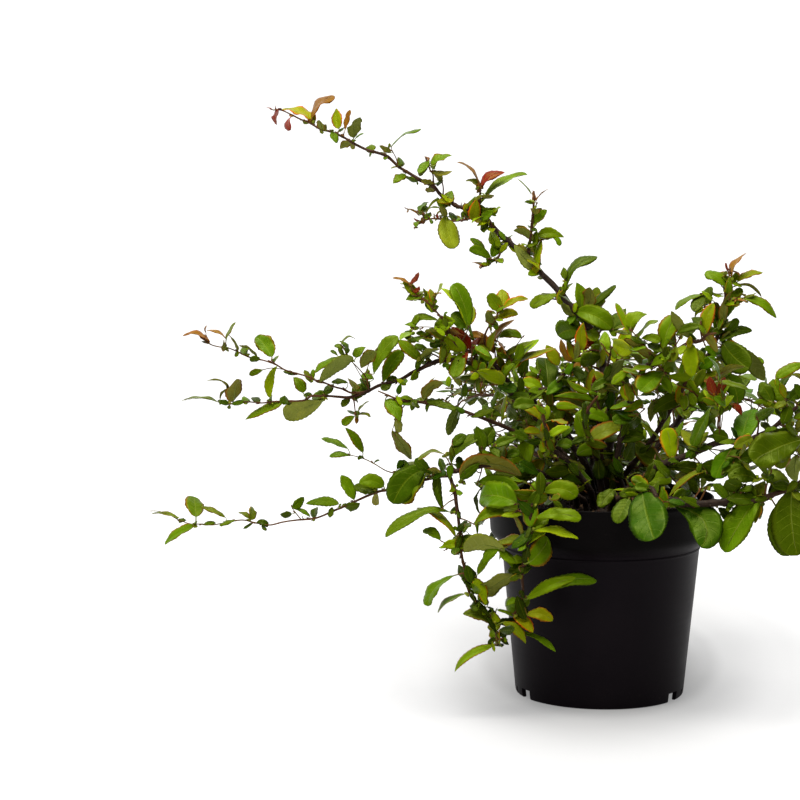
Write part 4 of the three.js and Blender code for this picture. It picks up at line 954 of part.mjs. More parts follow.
// ---- the group ----
const group = new THREE.Group();
group.name = "potted_quince";
function addNode(name, body, colour, roughness, metalness = 0) {
  const m = body.getMesh(),
    n = m.numProp,
    flat = new Float32Array(m.numVert * 3);
  for (let i = 0; i < m.numVert; i++)
    for (let j = 0; j < 3; j++) flat[i * 3 + j] = m.vertProperties[i * n + j];
  const geometry = new THREE.BufferGeometry();
  geometry.setAttribute("position", new THREE.BufferAttribute(flat, 3));
  geometry.setIndex(new THREE.BufferAttribute(new Uint32Array(m.triVerts), 1));
  geometry.computeVertexNormals();
  const mesh = new THREE.Mesh(
    geometry,
    new THREE.MeshStandardMaterial({ color: colour, roughness, metalness }),
  );
  mesh.name = name;
  group.add(mesh);
}
addNode("nursery_pot", pot, 0x141315, 0.42);
addNode("potting_soil", soil, 0x3a2a20, 0.95);
for (const [name, line, shoots, leaves] of CANES)
  addNode(name, join([stem(line), ...shoots.map(stem), ...leaves.map(leaf)]), 0x4d7a1e, 0.5);

export default group;
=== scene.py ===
# A leafy quince shrub in a black nursery pot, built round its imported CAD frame.
# Lengths in the tables are millimetres, in the frame's axes: +Z up, the camera on the -Y side.
import bpy, bmesh, math, random
import numpy as np
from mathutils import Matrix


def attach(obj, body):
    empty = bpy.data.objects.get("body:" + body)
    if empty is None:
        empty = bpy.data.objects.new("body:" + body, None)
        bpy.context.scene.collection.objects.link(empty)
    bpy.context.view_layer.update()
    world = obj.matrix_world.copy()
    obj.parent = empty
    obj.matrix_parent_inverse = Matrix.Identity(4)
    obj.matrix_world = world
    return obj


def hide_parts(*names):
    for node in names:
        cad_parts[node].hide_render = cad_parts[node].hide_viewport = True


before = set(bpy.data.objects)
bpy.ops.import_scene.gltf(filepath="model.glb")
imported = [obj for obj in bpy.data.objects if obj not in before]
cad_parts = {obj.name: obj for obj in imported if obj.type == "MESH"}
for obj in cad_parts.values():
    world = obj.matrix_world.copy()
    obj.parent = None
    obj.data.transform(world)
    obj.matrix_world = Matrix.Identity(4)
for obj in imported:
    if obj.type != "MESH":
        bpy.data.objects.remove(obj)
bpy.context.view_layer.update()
MM = 0.001
WORLD = 0.06
# painted shadow: stops of the floor's emission, lowest round the pot and rising to plain white further out
FLOOR_PAINTED_SHADOW = ((0.35, 0.57, 0.40, 0.50), (0.57, 0.68, 0.0, 0.10), (0.68, 1.0, 0.0, 0.10), (1.0, 1.25, 0.0, 0.08), (1.25, 1.7, 0.0, 0.30))
LIGHTS = [  # name, place, target, size, power, colour, second size
    ("top", (-0.3, -0.4, 2.3), (0.0, 0.05, 0.1), 1.5, 94.0, (1.0, 0.98, 0.93), 1.5),
    ("key", (-1.5, -1.6, 1.9), (0.0, 0.0, 0.25), 0.8, 22.0, (1.0, 0.97, 0.92), 0.8),
    ("right", (2.1, 0.5, 0.9), (0.0, 0.0, 0.2), 1.0, 8.0, (1.0, 0.93, 0.89), 1.4),
    ("left", (-2.1, 0.7, 0.9), (0.0, 0.0, 0.2), 1.0, 6.5, (0.96, 0.94, 1.0), 1.4),
]
# Each cane: name, stem, side shoots, leaves. A stem is a list of centre points (x, y, z, radius).
# A leaf is (leaves the stem x3, start of the blade x3, middle of the midrib x3, tip x3, width, upper side's normal x3, kind).
CANES = [
("cane_tall", [(6,14,137,5.15),(6,14,161.4,5.15),(5.5,12.2,172.6,4.78),(4.2,8,188,4.4),(8.1,10,221.8,4.2),(7.8,12,247.1,4),(4.3,14.2,265.6,3.9),(-0.1,17.8,278.8,3.8),(-3.7,20.8,288.8,3.7),(-8.8,23,303.8,3.5),(-14.7,24.2,312.2,3.3),(-22.4,28,320.4,3.2),(-27.6,30,326.2,3.1),(-34.5,33,333.7,3),(-39.7,36,340.3,2.9),(-46.6,38,347,2.8),(-52.7,40,352.9,2.7),(-58.8,42,359.6,2.6),(-64.9,44,367.2,2.5),(-73.5,46,373.9,2.4),(-79.6,48,378.1,2.3),(-88.3,50,385.7,2.2),(-96.2,52,393.4,2.1),(-101.4,53,396.8,2),(-110.2,55,404.4,1.9),(-118,56,407,1.8),(-127.7,58,410.4,1.7),(-140,60,418.9,1.6),(-146.1,61,425.8,1.5),(-158.3,62,431.8,1.45),(-168,63,437.8,1.4),(-176.8,64,443,1.35),(-186.4,65,451.6,1.3),(-197.8,66,455.9,1.2),(-204.8,66,457.7,1.2),(-217.1,67,463.7,1.1),(-224.2,68,468,1),(-235.6,68,473.2,1),(-246.2,69,475.9,0.9),(-255.1,70,481.1,0.8),(-263.8,70,484.5,0.7),(-272.7,71,488.9,0.6),(-280.6,71,492.4,0.6),(-287.8,72,492.4,0.4)],
[[(-177.2,64,443.4,0.6),(-179.3,63.2,450.7,0.47),(-182.7,62.2,457.6,0.33),(-183.5,61.8,461.1,0.27)],
[(-146.8,61.1,426.1,0.8),(-146.8,59,436.1,0.65),(-149.3,57.8,440.4,0.57),(-151.8,56,447.3,0.44),(-153.5,54.9,451.6,0.36)],
[(-105.7,54,400.5,1),(-121.4,55.4,397.5,0.87),(-130.1,56.3,396.6,0.79),(-140.6,57.4,398.3,0.69),(-149.3,58.3,398.3,0.6),(-158.1,59.2,394.8,0.51),(-163.3,59.9,390.4,0.45)],
[(-110.1,55,404.4,1.1),(-105.8,52.4,414.8,0.84),(-105.7,49.8,423.4,0.59),(-105.6,48.8,426.8,0.49)],
[(-82.1,48.6,380.3,0.9),(-87.4,48.7,370.3,0.78),(-90.8,48.9,364.3,0.67),(-98.5,49.1,360,0.53),(-105.4,49.3,356.5,0.4)],
[(-64.5,43.9,366.8,1.3),(-63.2,43.3,374.1,1.21),(-61.5,42.2,385.2,1.07),(-60.7,41.2,396.3,0.93),(-59.8,40.2,406.5,0.79),(-59,39.4,415,0.68),(-59,38.7,422.7,0.58)],
[(-33.7,32.6,332.8,0.8),(-32,30.3,340.7,0.53),(-32,28.7,345.8,0.36)],
[(-5.9,22,295.2,0.9),(-2,18.2,304.2,0.72),(1.2,15.2,310.4,0.49)],
[(-148.5,58.2,398.3,0.37),(-158.6,60.4,404.3,0.29),(-169.5,61.1,406.8,0.2)],
[(-1.2,16.1,305.6,0.4),(3.1,16,306.2,0.32),(8.1,16.2,305.3,0.22)],
[(-62.9,43.1,376.1,0.71),(-51.9,44.1,381,0.57),(-43.6,45.1,382.6,0.39)],
[(-111.6,54.5,399.4,0.61),(-112.9,57.1,400.2,0.53),(-115,60.4,401.3,0.42)],
[(-73.5,46,373.9,0.75),(-77.9,54.7,378.5,0.65),(-80.7,64.5,382.9,0.52)],
[(-19.3,26.4,317.1,0.66),(-18.9,28.6,320.7,0.58),(-19,31,324,0.46)],
[(4.7,13.9,263.5,0.91),(5.6,17.1,267.6,0.79),(6.9,20.7,271.2,0.63)],
[(-141.5,60.2,420.6,0.72),(-144,65,422.8,0.63),(-146.8,70,424.9,0.5)],
[(-123.8,57.2,409,0.85),(-125.5,58.9,408.9,0.74),(-127,60.4,408.8,0.59)],
[(-1.6,19.2,282.8,0.69),(-6.5,26.8,289.3,0.6),(-11.7,34,293.8,0.48)],
[(7.9,11.5,240.8,0.83),(14.7,15.7,249.6,0.72),(21.2,20.3,256.6,0.58)],
[(4.2,8,188,0.73),(-2.7,12.1,196,0.63),(-7.2,15,202.8,0.51)],
[(-16.3,24.9,313.9,0.74),(-16.3,27.1,315.9,0.64),(-16.2,29.3,318.4,0.51)],
[(8,10.3,226.1,0.68),(8.5,3.8,230.7,0.59),(7.8,-2.7,236.7,0.47)],
[(-138.2,59.7,417.7,0.73),(-138.3,64,425.1,0.64),(-140.4,69.8,433.4,0.51)],
[(-145,57.8,398.3,0.52),(-145.4,58.5,399.4,0.53),(-146,59.1,400.8,0.43)],
[(-89.6,48.9,366.3,0.57),(-89.5,50.7,366.6,0.58),(-89.6,52.4,367.1,0.46)],
[(-105.8,51.7,416.9,0.62),(-106,52.6,419.2,0.57),(-106.1,53.9,421.2,0.45)],
[(7.1,12.5,251.2,0.91),(9.3,16.8,256.7,0.79),(11.3,20.6,261.8,0.63)],
[(-68.3,44.8,369.9,0.68),(-71.4,45.7,370.5,0.59),(-74.3,46.6,371.4,0.47)],
[(-53.7,43.9,380.2,0.47),(-53.6,47.1,381.2,0.58),(-53.2,50.4,382.1,0.46)],
[(7.6,9.8,217.9,0.79),(7.9,3.6,223.5,0.68),(9.3,-3.4,231.2,0.55)],
[(-11.1,23.4,307.2,0.72),(-11.2,30.4,313.3,0.62),(-10.5,36.7,319.3,0.5)],
[(-4.3,21.3,290.6,0.79),(-14,25.7,294.6,0.69),(-22.7,30,299.1,0.55)],
[(-61.3,42,387.4,0.55),(-61.3,43.1,388.4,0.48),(-61.3,44.2,389.4,0.38)],
[(-154.6,59.5,401.9,0.26),(-155.5,59,401.8,0.47),(-156.5,58.6,401.9,0.37)],
[(-8.8,23,303.8,0.71),(-14.6,22.9,305,0.62),(-20.6,21.7,306.8,0.5)],
[(-22.4,28,320.4,0.67),(-22.5,26,324.5,0.58),(-23.2,24.2,327.8,0.47)],
[(5.5,13.4,259.4,0.9),(4.2,9.7,262,0.78),(3.1,6,264.9,0.63)],
[(-44.9,37.5,345.3,0.8),(-48.2,45.9,348.9,0.69),(-52.5,56,351.1,0.55)],
[(-114.1,55.5,405.7,0.75),(-115.5,59.1,406.6,0.65),(-116.7,62.9,407.1,0.52)],
[(-138.5,57.2,398,0.53),(-139.2,58.5,398.6,0.46),(-140,59.7,399.2,0.37)],
[(2.4,15.6,271.3,0.74),(-4.5,15.7,274.1,0.64),(-11.5,14.9,276.6,0.52)],
[(-128,56.1,396.9,0.64),(-129,61,399,0.56),(-130.6,66.1,401.5,0.45)],
[(-108.4,53.9,408.5,0.65),(-110.5,55.3,410.7,0.56),(-111.9,56.2,413.4,0.45)],
[(-153.7,58.7,396.5,0.45),(-155.2,61.3,399.9,0.45),(-156.6,64.4,402.2,0.36)],
[(5.6,15.9,305.8,0.22),(6.1,14.5,306.2,0.54),(6.6,13.3,306.5,0.43)],
[(-148.1,58.4,438.3,0.49),(-147.5,58.2,439.5,0.47),(-147,58.1,440.8,0.37)],
[(-96.2,52,393.4,0.88),(-97.9,49,398.5,0.76),(-100.5,45.6,404.1,0.61)],
[(-168,63,437.8,0.68),(-170.3,60,439.5,0.59),(-172.6,57.3,442,0.47)],
[(-30.4,31.2,329.2,0.91),(-37,33.5,330.3,0.79),(-43.1,35.7,331.2,0.63)],
[(-93.1,51.2,390.3,0.8),(-95.2,47.3,394.5,0.7),(-97.3,43.9,398.7,0.56)],
[(-117.5,55,398.3,0.68),(-118.3,53.9,399.3,0.59),(-119.2,52.4,400.3,0.47)],
[(-32,30.3,340.7,0.43),(-33.1,27.4,342.6,0.61),(-33.6,23.9,344.1,0.49)],
[(-106.6,52.9,412.7,0.69),(-107,51,414,0.6),(-107.7,49.3,415.2,0.48)],
[(7.9,11.8,245,0.69),(4.2,9.2,248.6,0.6),(0.9,7.8,251.3,0.48)],
[(-132.9,58.9,414,0.74),(-133.5,57.6,415.6,0.64),(-133.9,56.2,417,0.51)],
[(-59.8,40.2,406.5,0.56),(-57.5,36.4,410.1,0.49),(-55.8,32.3,413,0.39)],
[(-118,56,407,0.84),(-119.4,63.5,409,0.73),(-120,71.8,411.7,0.59)],
[(-57.4,43.6,378.6,0.51),(-56.7,47.8,378.3,0.5),(-55.6,51.3,377.8,0.4)],
[(-134.3,56.7,397.3,0.58),(-134.5,58.4,399,0.51),(-135.2,60.4,400.5,0.41)],
[(-92.7,49,363.2,0.51),(-94.2,47.2,364.2,0.5),(-96.1,45.7,364.1,0.4)],
[(-2.7,18,302.5,0.6),(-2,18.9,303.7,0.59),(-0.7,19.6,305.4,0.47)]],
[(-280.7,71,492.4,-280.6,71,494.1,-284.3,65.9,488,-283.5,60,479.2,11.8,-0.78,-0.43,0.47,"r"),
(-287.6,72,492.4,-287.8,72,492.4,-290.7,72.6,493.9,-294.1,73.4,495.1,2.5,0.29,-0.37,0.88,"r"),
(-284.2,71.5,492.4,-284.2,71.5,492.4,-285.7,73.2,494.4,-286.5,75.2,496.8,3.4,-0.9,-0.43,-0.1,"r"),
(-252.5,69.4,478.9,-250.9,71.8,482,-264.4,75.9,491.2,-281.9,80.2,494.3,16.1,0.22,-0.45,0.86,"y"),
(-271.1,70.4,487.8,-271.8,70.8,486.3,-274,66.1,481.2,-270.5,60.8,474.9,10.5,-0.8,-0.49,0.34,"r"),
(-255.7,69.6,480.4,-255.1,70,481.9,-258.8,71.7,481.8,-262.6,73.7,482.9,4.5,-0.45,-0.83,-0.33,"m"),
(-255.5,69.5,480.3,-253.4,71.2,484.5,-247.8,74,498.5,-233.9,77.2,505.4,19.7,-0.64,-0.34,0.69,"b"),
(-244.1,68.8,475.3,-244.4,68.8,474.1,-244.8,63.4,479,-245.5,57.1,483.4,8.7,0.43,0.54,0.73,"o"),
(-242.4,68.6,474.9,-242.7,68.6,474.1,-241,65.8,476.9,-240.1,62.6,480,4.9,0.7,0.63,0.35,"o"),
(-235.2,68,473.1,-234.7,68,474.1,-233,63.2,468.9,-230.9,57.7,463.6,8.1,0.37,-0.59,0.72,"m"),
(-231.6,68,471.4,-230.5,69.1,474.1,-227.4,70.7,475.5,-224.7,72.2,477.6,3.9,0.62,-0.57,-0.54,"m"),
(-231.5,68,471.4,-229.3,67.1,475.8,-231.6,70.6,485.1,-232.8,74.6,494.1,10.7,-0.32,-0.9,0.31,"y"),
(-226.9,68,469.3,-224.1,67.3,474.9,-222.6,69.1,484.6,-221,71.2,493.1,6.6,-0.54,-0.8,0.26,"b"),
(-218.3,67.4,464.9,-216.3,67.5,468,-214.9,60.1,477.8,-211,51.4,486.6,13.9,-0.47,0.6,0.65,"o"),
(-217.2,67.3,464.3,-215.5,68.3,467.2,-211.8,69,470.5,-207.8,69.8,472.4,5,-0.42,-0.48,0.77,"m"),
(-218,67.4,464.7,-218,67.1,464.6,-224.2,71.7,462.6,-229.7,76.9,458.6,8.7,0.11,0.61,0.79,"o"),
(-217.3,67.3,464.3,-217.1,67.1,464.6,-217.8,70.9,461.8,-218.9,75.4,458.6,6.8,0.73,0.49,0.47,"o"),
(-201,65.8,456.4,-201.3,66,455.1,-202.2,70.6,459.2,-202.3,76,462.9,9.4,-0.21,-0.62,0.76,"m"),
(-200.4,65.8,456.2,-200.5,66,455.9,-201.5,63.6,454,-201.7,60.8,451.6,3.9,-0.65,-0.39,0.65,"d"),
(-198.6,65.7,455.6,-198.7,66,455.1,-197.2,68.8,455.9,-195.8,72.1,456.8,3.9,-0.11,-0.23,0.97,"d"),
(-181.7,62.5,456,-183.6,62.5,455,-188.3,61.5,458.2,-193.8,60.4,461.1,6.6,0.17,0.8,0.57,"o"),
(-186.2,65,451.4,-186.4,65,451.6,-187.7,62.3,451.3,-188.5,59.1,449,4.4,-0.27,-0.31,0.91,"m"),
(-187.8,65.1,452.1,-187.3,65.1,453.3,-190.8,68,455.2,-194,71.4,456,5,0.18,-0.21,0.96,"d"),
(-183.2,61.9,460.3,-183.5,61.9,460.2,-173.4,64.4,470.4,-157.9,67.2,477.4,14,-0.53,-0.17,0.83,"m"),
(-176.1,63.9,442.6,-175.9,63.9,443,-175.5,68.8,447.1,-176.8,74.4,450.8,8.1,0.56,-0.46,0.69,"m"),
(-176.9,64,443.2,-176.8,64,443,-180.4,62,442.9,-183.3,59.7,441.3,4.9,-0.11,-0.21,0.97,"o"),
(-170.1,63.3,439.2,-171.5,63.2,437,-175.8,57.6,434.1,-180.8,51.2,429.3,9.7,0.09,-0.58,0.81,"m"),
(-158.8,62.2,432.9,-160.1,62.1,430.9,-166.2,62.9,432.5,-172.4,63.7,435.2,5.5,-0.29,-0.8,-0.53,"d"),
(-159.9,62.3,433.5,-161,62.2,431.8,-160.6,61.4,429.5,-159.9,60.4,427.5,2.6,-0.76,-0.64,0.09,"d"),
(-152,55.8,448.1,-149.9,56.1,449,-154.8,51.6,442.5,-158.8,46.8,437.8,8.6,-0.2,-0.67,0.71,"m"),
(-150.2,57,443.9,-149.1,57.3,446.1,-155.1,58,440.6,-158.7,59.2,435.1,6.9,-0.48,0.69,0.54,"o"),
(-152.4,55.6,449.1,-150.4,55.7,448.6,-152.1,59.2,450.9,-154.2,63.1,452.5,4.9,0.38,-0.26,0.88,"b"),
(-150.2,56.9,444.1,-148.4,56.9,444.7,-140.8,58.5,450.3,-130.5,60.3,452.4,11.8,-0.21,-0.61,0.76,"m"),
(-148.6,57.9,440.1,-148.5,58.3,439.6,-139.4,56.9,437.4,-129.6,55.4,439.3,6.6,0.1,0.71,-0.69,"o"),
(-147.9,58.3,438.7,-145,57.8,440.4,-142.4,62.6,435,-140.6,68.1,429.2,8.8,0.42,0.58,0.7,"o"),
(-146.8,60.9,426.9,-144.4,60.9,428.4,-141.1,64,429.5,-137.9,67.4,430.9,6.6,0.68,-0.44,-0.59,"d"),
(-147.1,61.1,426.4,-147,61.1,426.7,-151.5,57.7,430,-156.8,53.8,431.9,7.7,-0.08,0.65,0.76,"o"),
(-145.7,60.9,425.3,-146.1,60.9,424.9,-149.3,65.2,423.5,-152.9,70.1,421.4,8.7,0.14,0.45,0.88,"o"),
(-132.2,58.7,413.5,-136.3,57.9,407.8,-134.4,65.2,415.2,-131.3,73.6,422.2,12.2,-0.03,-0.67,0.74,"m"),
(-133.8,59,414.6,-138.1,59.1,408.6,-141.6,60.2,412.5,-143.5,61.4,417.2,5.8,-0.47,-0.88,-0.06,"m"),
(-137.4,57,397.2,-137.1,57,399.2,-137.5,52.7,404.4,-139.1,47.8,409.7,7.8,0.41,0.65,0.64,"o"),
(-130.5,56.3,396.7,-130.1,56.3,396.6,-130.1,60.9,400.6,-130.8,66.3,404.2,8.9,0.54,-0.48,0.69,"d"),
(-134.7,56.8,397,-135.9,56.9,400.8,-133.5,50,388.5,-127.2,41.8,373.2,18.7,0.32,-0.79,0.53,"u"),
(-159.4,60.4,404.5,-159.9,60.4,402.5,-156.8,64.1,409.4,-151,68.3,413.6,10.1,-0.54,-0.42,0.73,"m"),
(-157.3,60.1,403.5,-159.1,60.8,400.8,-164.3,62.3,405.5,-170.7,64,406.7,3.4,0.34,-0.37,0.86,"b"),
(-169.3,61.1,406.7,-169.1,61.2,407.4,-168.6,60.7,404.5,-170.2,60.2,404.5,2.6,-0.76,-0.47,0.46,"b"),
(-153.7,59.3,401.3,-152.9,59.3,402.5,-148.7,61.1,410.4,-141.9,63.1,417.2,4.2,-0.62,-0.5,0.6,"o"),
(-154.6,59.5,401.9,-152.1,60,406,-146.8,57.5,408.5,-140.4,54.6,407.8,3.4,-0.31,-0.38,0.87,"o"),
(-148.5,58.2,398.2,-149.8,58,397.9,-151.7,61.7,400.3,-152.7,66.2,403.2,8.8,-0.34,-0.59,0.73,"m"),
(-148.5,58.2,398.2,-148.4,58.2,398.3,-147.8,55,396.4,-147.9,51.4,394.1,4.5,0.59,-0.39,0.71,"m"),
(-157,59.1,395.2,-154.6,59.2,394.7,-159.6,59.7,396.7,-164.2,60.3,399,4.1,-0.36,-0.69,-0.63,"r"),
(-159,59.3,394,-158,59.5,394.6,-160.1,55.5,395.5,-160.2,50.4,391,7.1,-0.39,-0.26,0.89,"m"),
(-161.9,59.7,391.6,-159.4,59.8,390.6,-162,59.4,390.7,-164.5,58.8,390.3,2.5,0.08,-0.55,0.83,"b"),
(-120.6,55.4,398.2,-120.6,55.3,396.7,-121,56,401.3,-120.7,56.9,405.2,4.4,-0.59,-0.8,0.14,"d"),
(-141.5,57.5,397.6,-141.5,57.5,398.3,-143.1,58,400.9,-143.3,58.5,403.4,3.3,-0.6,-0.8,-0.04,"r"),
(-112.3,55.4,405.1,-112.3,55.2,402.3,-113.4,58,409.6,-110.5,61.3,418.3,9.9,-0.53,-0.77,0.36,"m"),
(-108.4,54.6,402.9,-109.3,54.6,401.9,-114.9,58.2,402.6,-121,62.3,403.4,7.4,-0.38,-0.7,0.6,"d"),
(-107.8,53.5,410.5,-107.7,56.5,411.3,-103.6,56.9,404.4,-99.9,56.5,397.6,7.8,0.19,-0.94,0.29,"m"),
(-108.4,53.8,409.2,-107.1,53.5,408.1,-99.7,51.8,405.2,-89.9,50.1,406.4,8.3,-0.22,-0.91,-0.34,"m"),
(-103.3,53.3,398.7,-98,51.9,404.5,-94.6,52.6,402.8,-91.2,53.4,401.1,3.9,0.41,-0.79,0.46,"m"),
(-98.9,52.2,395.1,-98.8,52.5,395.1,-101.4,47.1,391.6,-101.6,40.8,387.7,8.3,-0.29,-0.46,0.84,"d"),
(-114.6,55.8,405.9,-114.6,55.6,406.1,-118.2,56.3,408.5,-120.7,57.1,410.4,3.9,-0.41,-0.88,-0.26,"d"),
(-105.6,48.9,426.6,-106.5,48.8,428.5,-113.8,51.2,440.8,-125.8,54,448.1,9.8,0.69,-0.12,0.71,"b"),
(-105.7,49.3,425.1,-105.7,49.3,425.1,-111.2,50.9,430.2,-118.8,52.7,431,9.2,0.23,-0.54,0.81,"y"),
(-105.6,49.1,425.9,-104.8,49.1,425.9,-98.1,51,435.5,-84.5,53.3,439.6,11.7,-0.38,-0.55,0.74,"r"),
(-105.7,50.1,422.5,-106,49.9,423,-100.9,51.7,431,-94.2,53.7,436.2,6.4,-0.5,-0.6,0.62,"b"),
(-107,53,412.3,-106.2,52.7,410.6,-87.7,57.9,429.4,-65.4,63.2,436,13.6,-0.33,-0.56,0.76,"m"),
(-105.8,52.1,415.6,-102.4,52.7,415.6,-97.8,47.5,417.8,-93.2,41.5,419.2,8.8,0.13,0.4,0.91,"o"),
(-105.7,50.3,421.7,-104.4,50.6,422.6,-106,51.8,423.8,-108.3,53.2,425.1,2.5,0.27,-0.43,0.86,"b"),
(-83.9,48.3,376.8,-87.4,48.6,375.5,-93.7,53.2,381.2,-97.4,58.5,388,10.7,-0.56,-0.81,0.19,"l"),
(-85.4,49,384,-88.3,49.2,380.6,-86.7,54,384.1,-87.9,59.5,388,7.8,0.77,-0.39,0.51,"d"),
(-82.1,48.1,380.1,-81.5,48.5,380.5,-80.9,48.8,382.4,-76.8,49.6,385.4,3.4,-0.63,-0.37,0.68,"d"),
(-84.3,48.3,376,-82.2,47.8,373,-88.6,50.5,376.1,-95.4,53.7,376.1,7.7,-0.1,-0.64,0.77,"d"),
(-98.2,49.1,360.3,-97.9,49.2,361,-103.8,51.6,372.7,-113.9,55,382.7,9.4,0.59,-0.56,0.58,"m"),
(-97.5,49.1,360.7,-95.5,46.4,363.2,-105.7,45.7,371.5,-114.7,45.2,371.2,9.1,0.18,-0.94,0.29,"m"),
(-93.5,49,362.9,-92.2,49.2,363.2,-96.4,46,363,-100.3,42.7,363.9,5,0.46,-0.5,0.73,"d"),
(-91.1,48.9,364.2,-92.6,48.5,362.3,-88.8,44.2,364.5,-85.6,39,361.2,6.7,-0.18,-0.25,0.95,"m"),
(-103.7,49.3,357.4,-101.8,49.4,357.4,-108,50.6,360.8,-113.8,52.1,360.9,3.4,0.17,-0.43,0.89,"b"),
(-98.9,49.1,360,-100,48.8,357.6,-102.5,52.8,359,-108.9,57.3,361.3,5,-0.21,-0.57,0.8,"o"),
(-102,49.2,358.3,-101.9,49.5,360.6,-104.6,47.7,359.4,-106,45.4,356,2.3,-0.28,-0.59,0.76,"b"),
(-89.3,48.8,367,-89.1,50.3,366.8,-90.6,50,364.2,-91.6,49.1,360,4.4,-0.56,-0.76,0.34,"m"),
(-59.2,39,420.2,-61.4,38.9,420.2,-66.9,40.2,427.4,-74.3,41.9,433.8,5.2,0.69,-0.2,0.7,"m"),
(-59.6,39.5,414.4,-57.4,39.4,413.5,-54.1,40.2,419.2,-46.2,41.6,425.1,4.6,-0.7,-0.12,0.7,"b"),
(-59.6,39.4,415,-59.7,39.2,412.1,-58.9,43.4,416.1,-61.2,48.1,421.8,7,-0.82,-0.48,0.31,"b"),
(-59.8,39.8,411.6,-59.9,39.8,411.6,-63.5,39.1,413.3,-67.5,38.4,413.4,4.4,0.27,-0.71,0.65,"d"),
(-60.4,40.6,402.4,-58.5,40.7,402.5,-58.1,36.2,407.2,-62.5,30.3,408.4,8.1,0.08,0.47,0.88,"o"),
(-60.3,40.5,404.2,-59.9,41.6,402.1,-56.4,39.4,405.2,-52.5,36.4,408.5,6.5,-0.35,0.49,0.8,"o"),
(-60.9,41.3,394.8,-60.1,41.1,394,-55.2,42.3,401.2,-47.7,43.6,406.5,8.7,-0.02,-0.98,0.22,"m"),
(-60.7,41.1,397.2,-58,41.3,397,-61.7,41.6,397,-63.5,42.3,397.6,3.3,0.12,0.06,0.99,"o"),
(-62.2,42.6,380.9,-59.6,42.7,379.8,-67.2,41.6,387.9,-76.8,39.5,388.9,8.1,0.11,0.86,0.51,"o"),
(-61.4,42.1,385.9,-63.2,42.1,386,-68.6,42.3,390.6,-74.4,42.7,392.8,6.6,0.34,0.8,0.49,"o"),
(-61.1,41.6,391.3,-61.5,41.4,390.1,-58.8,38.5,389.8,-55.9,35.1,388.7,4.2,-0.47,-0.57,0.68,"d"),
(-61.2,41.7,390.4,-60.7,41.7,390.3,-62.5,44.7,391.9,-64.3,48.1,393.6,4.4,0.28,-0.3,0.91,"d"),
(-53.7,43.9,380.2,-55.6,44.6,384.3,-44.7,46.2,386.7,-32.6,48,383.4,10.7,0.14,-0.83,0.54,"m"),
(-43.8,45.1,382.6,-44.8,45.2,384,-38.8,44.6,381,-37.5,43.5,375.6,5.3,0.34,-0.82,0.46,"m"),
(-54.9,40.8,356.5,-56.1,40.9,355.4,-55.7,42.9,368.1,-53,45.2,380.9,8.8,-0.59,-0.78,0.2,"l"),
(-63.9,43.6,369.3,-58,41.7,369,-57.8,43.3,379.7,-57.3,45.2,388.5,5.8,-0.46,-0.87,0.17,"m"),
(-55,40.9,356.6,-55,42.3,355.7,-54.9,44.4,364.4,-55.6,46.5,372.6,4.2,0.2,-0.97,0.17,"m"),
(-64,43.7,368.6,-63.2,43.7,368.9,-60.7,47.3,369.2,-58.3,51.5,368.6,5.4,0.7,-0.42,0.57,"d"),
(-53.6,40.4,355.2,-53.5,40.7,354.4,-65.1,38.3,363.5,-75.6,35.7,377.1,12.9,-0.47,0.84,-0.27,"u"),
(-63.8,43.5,370.4,-63.5,43.4,369,-69.2,42.5,372.1,-75.1,41.7,375.9,9.3,-0.01,0.98,0.22,"o"),
(-53.7,40.4,355.2,-54.4,40.5,354.5,-58.8,35.5,353.4,-63.4,29.8,351.6,8.1,0.45,-0.57,0.69,"m"),
(-32.5,30.4,340.8,-30.7,30.3,339.7,-25.4,34.7,358.2,-4.8,39.8,369.1,13.4,-0.45,-0.66,0.61,"d"),
(-32.8,31.6,337.2,-32.8,31.3,337.2,-29.6,33,341.8,-25.3,34.9,345.6,6.7,-0.56,-0.46,0.69,"l"),
(-35.7,34.1,335.9,-36.4,33.4,335.5,-49.4,30.9,331.4,-62,28.9,325.4,11.5,-0.14,-0.72,0.68,"m"),
(-33.3,32.9,333.1,-31.6,32.9,333.3,-36.7,38,333.8,-37.4,43.8,328.4,9,-0.12,0.35,0.93,"o"),
(-36.1,34.3,336.2,-34.7,34.1,335,-36.6,37.6,338.7,-38.3,41.3,340.2,5.8,-0.67,-0.63,0.39,"d"),
(-22.6,27.9,321.1,-23.3,25.1,320.6,-7.4,13.6,318.6,8.1,12.4,307.3,18.5,-0.07,-0.93,0.37,"m"),
(-21,27.2,319.3,-21.6,27.4,318.8,-29.1,24.1,322.4,-35.1,20.4,327.6,9.9,-0.63,0.61,-0.48,"o"),
(-23.2,28.2,321.8,-18.5,29,322.7,-18.4,30.8,334.4,-22.5,33.2,345.4,13.3,0.44,-0.86,0.24,"m"),
(-19.7,26.5,317.8,-14.8,27.4,322.2,-10.3,21.1,333.3,-10.7,13.8,342.5,14.4,0.72,0.64,0.28,"o"),
(-19,26.2,317,-13.1,23.7,322.4,-0.8,25.4,333.6,11.2,27.3,343.6,8.2,-0.33,-0.79,0.51,"d"),
(7.9,16.3,305.3,8.1,15.9,305.3,13.2,20.9,314.9,19.8,26.7,324.1,13.9,-0.2,-0.79,0.58,"d"),
(-12.5,23.7,309.1,-18.9,24.3,304.5,-29.4,13.3,305.6,-37.9,0.7,301.9,19.7,0.55,-0.51,0.66,"d"),
(-20.5,26.9,318.7,-24.1,27,315.4,-19.2,22.7,316,-14.7,17.8,314.3,7.8,-0.41,-0.51,0.76,"d"),
(-10.7,23.4,306.5,-13.6,23.1,304.8,-9.7,16.4,303.3,-4.7,8.3,297.2,12.2,-0.08,-0.49,0.87,"m"),
(1.1,15.4,310.1,1.3,14.8,310.4,-3.1,11.2,309.1,-7.8,6.7,306.7,7.8,0.18,-0.57,0.8,"d"),
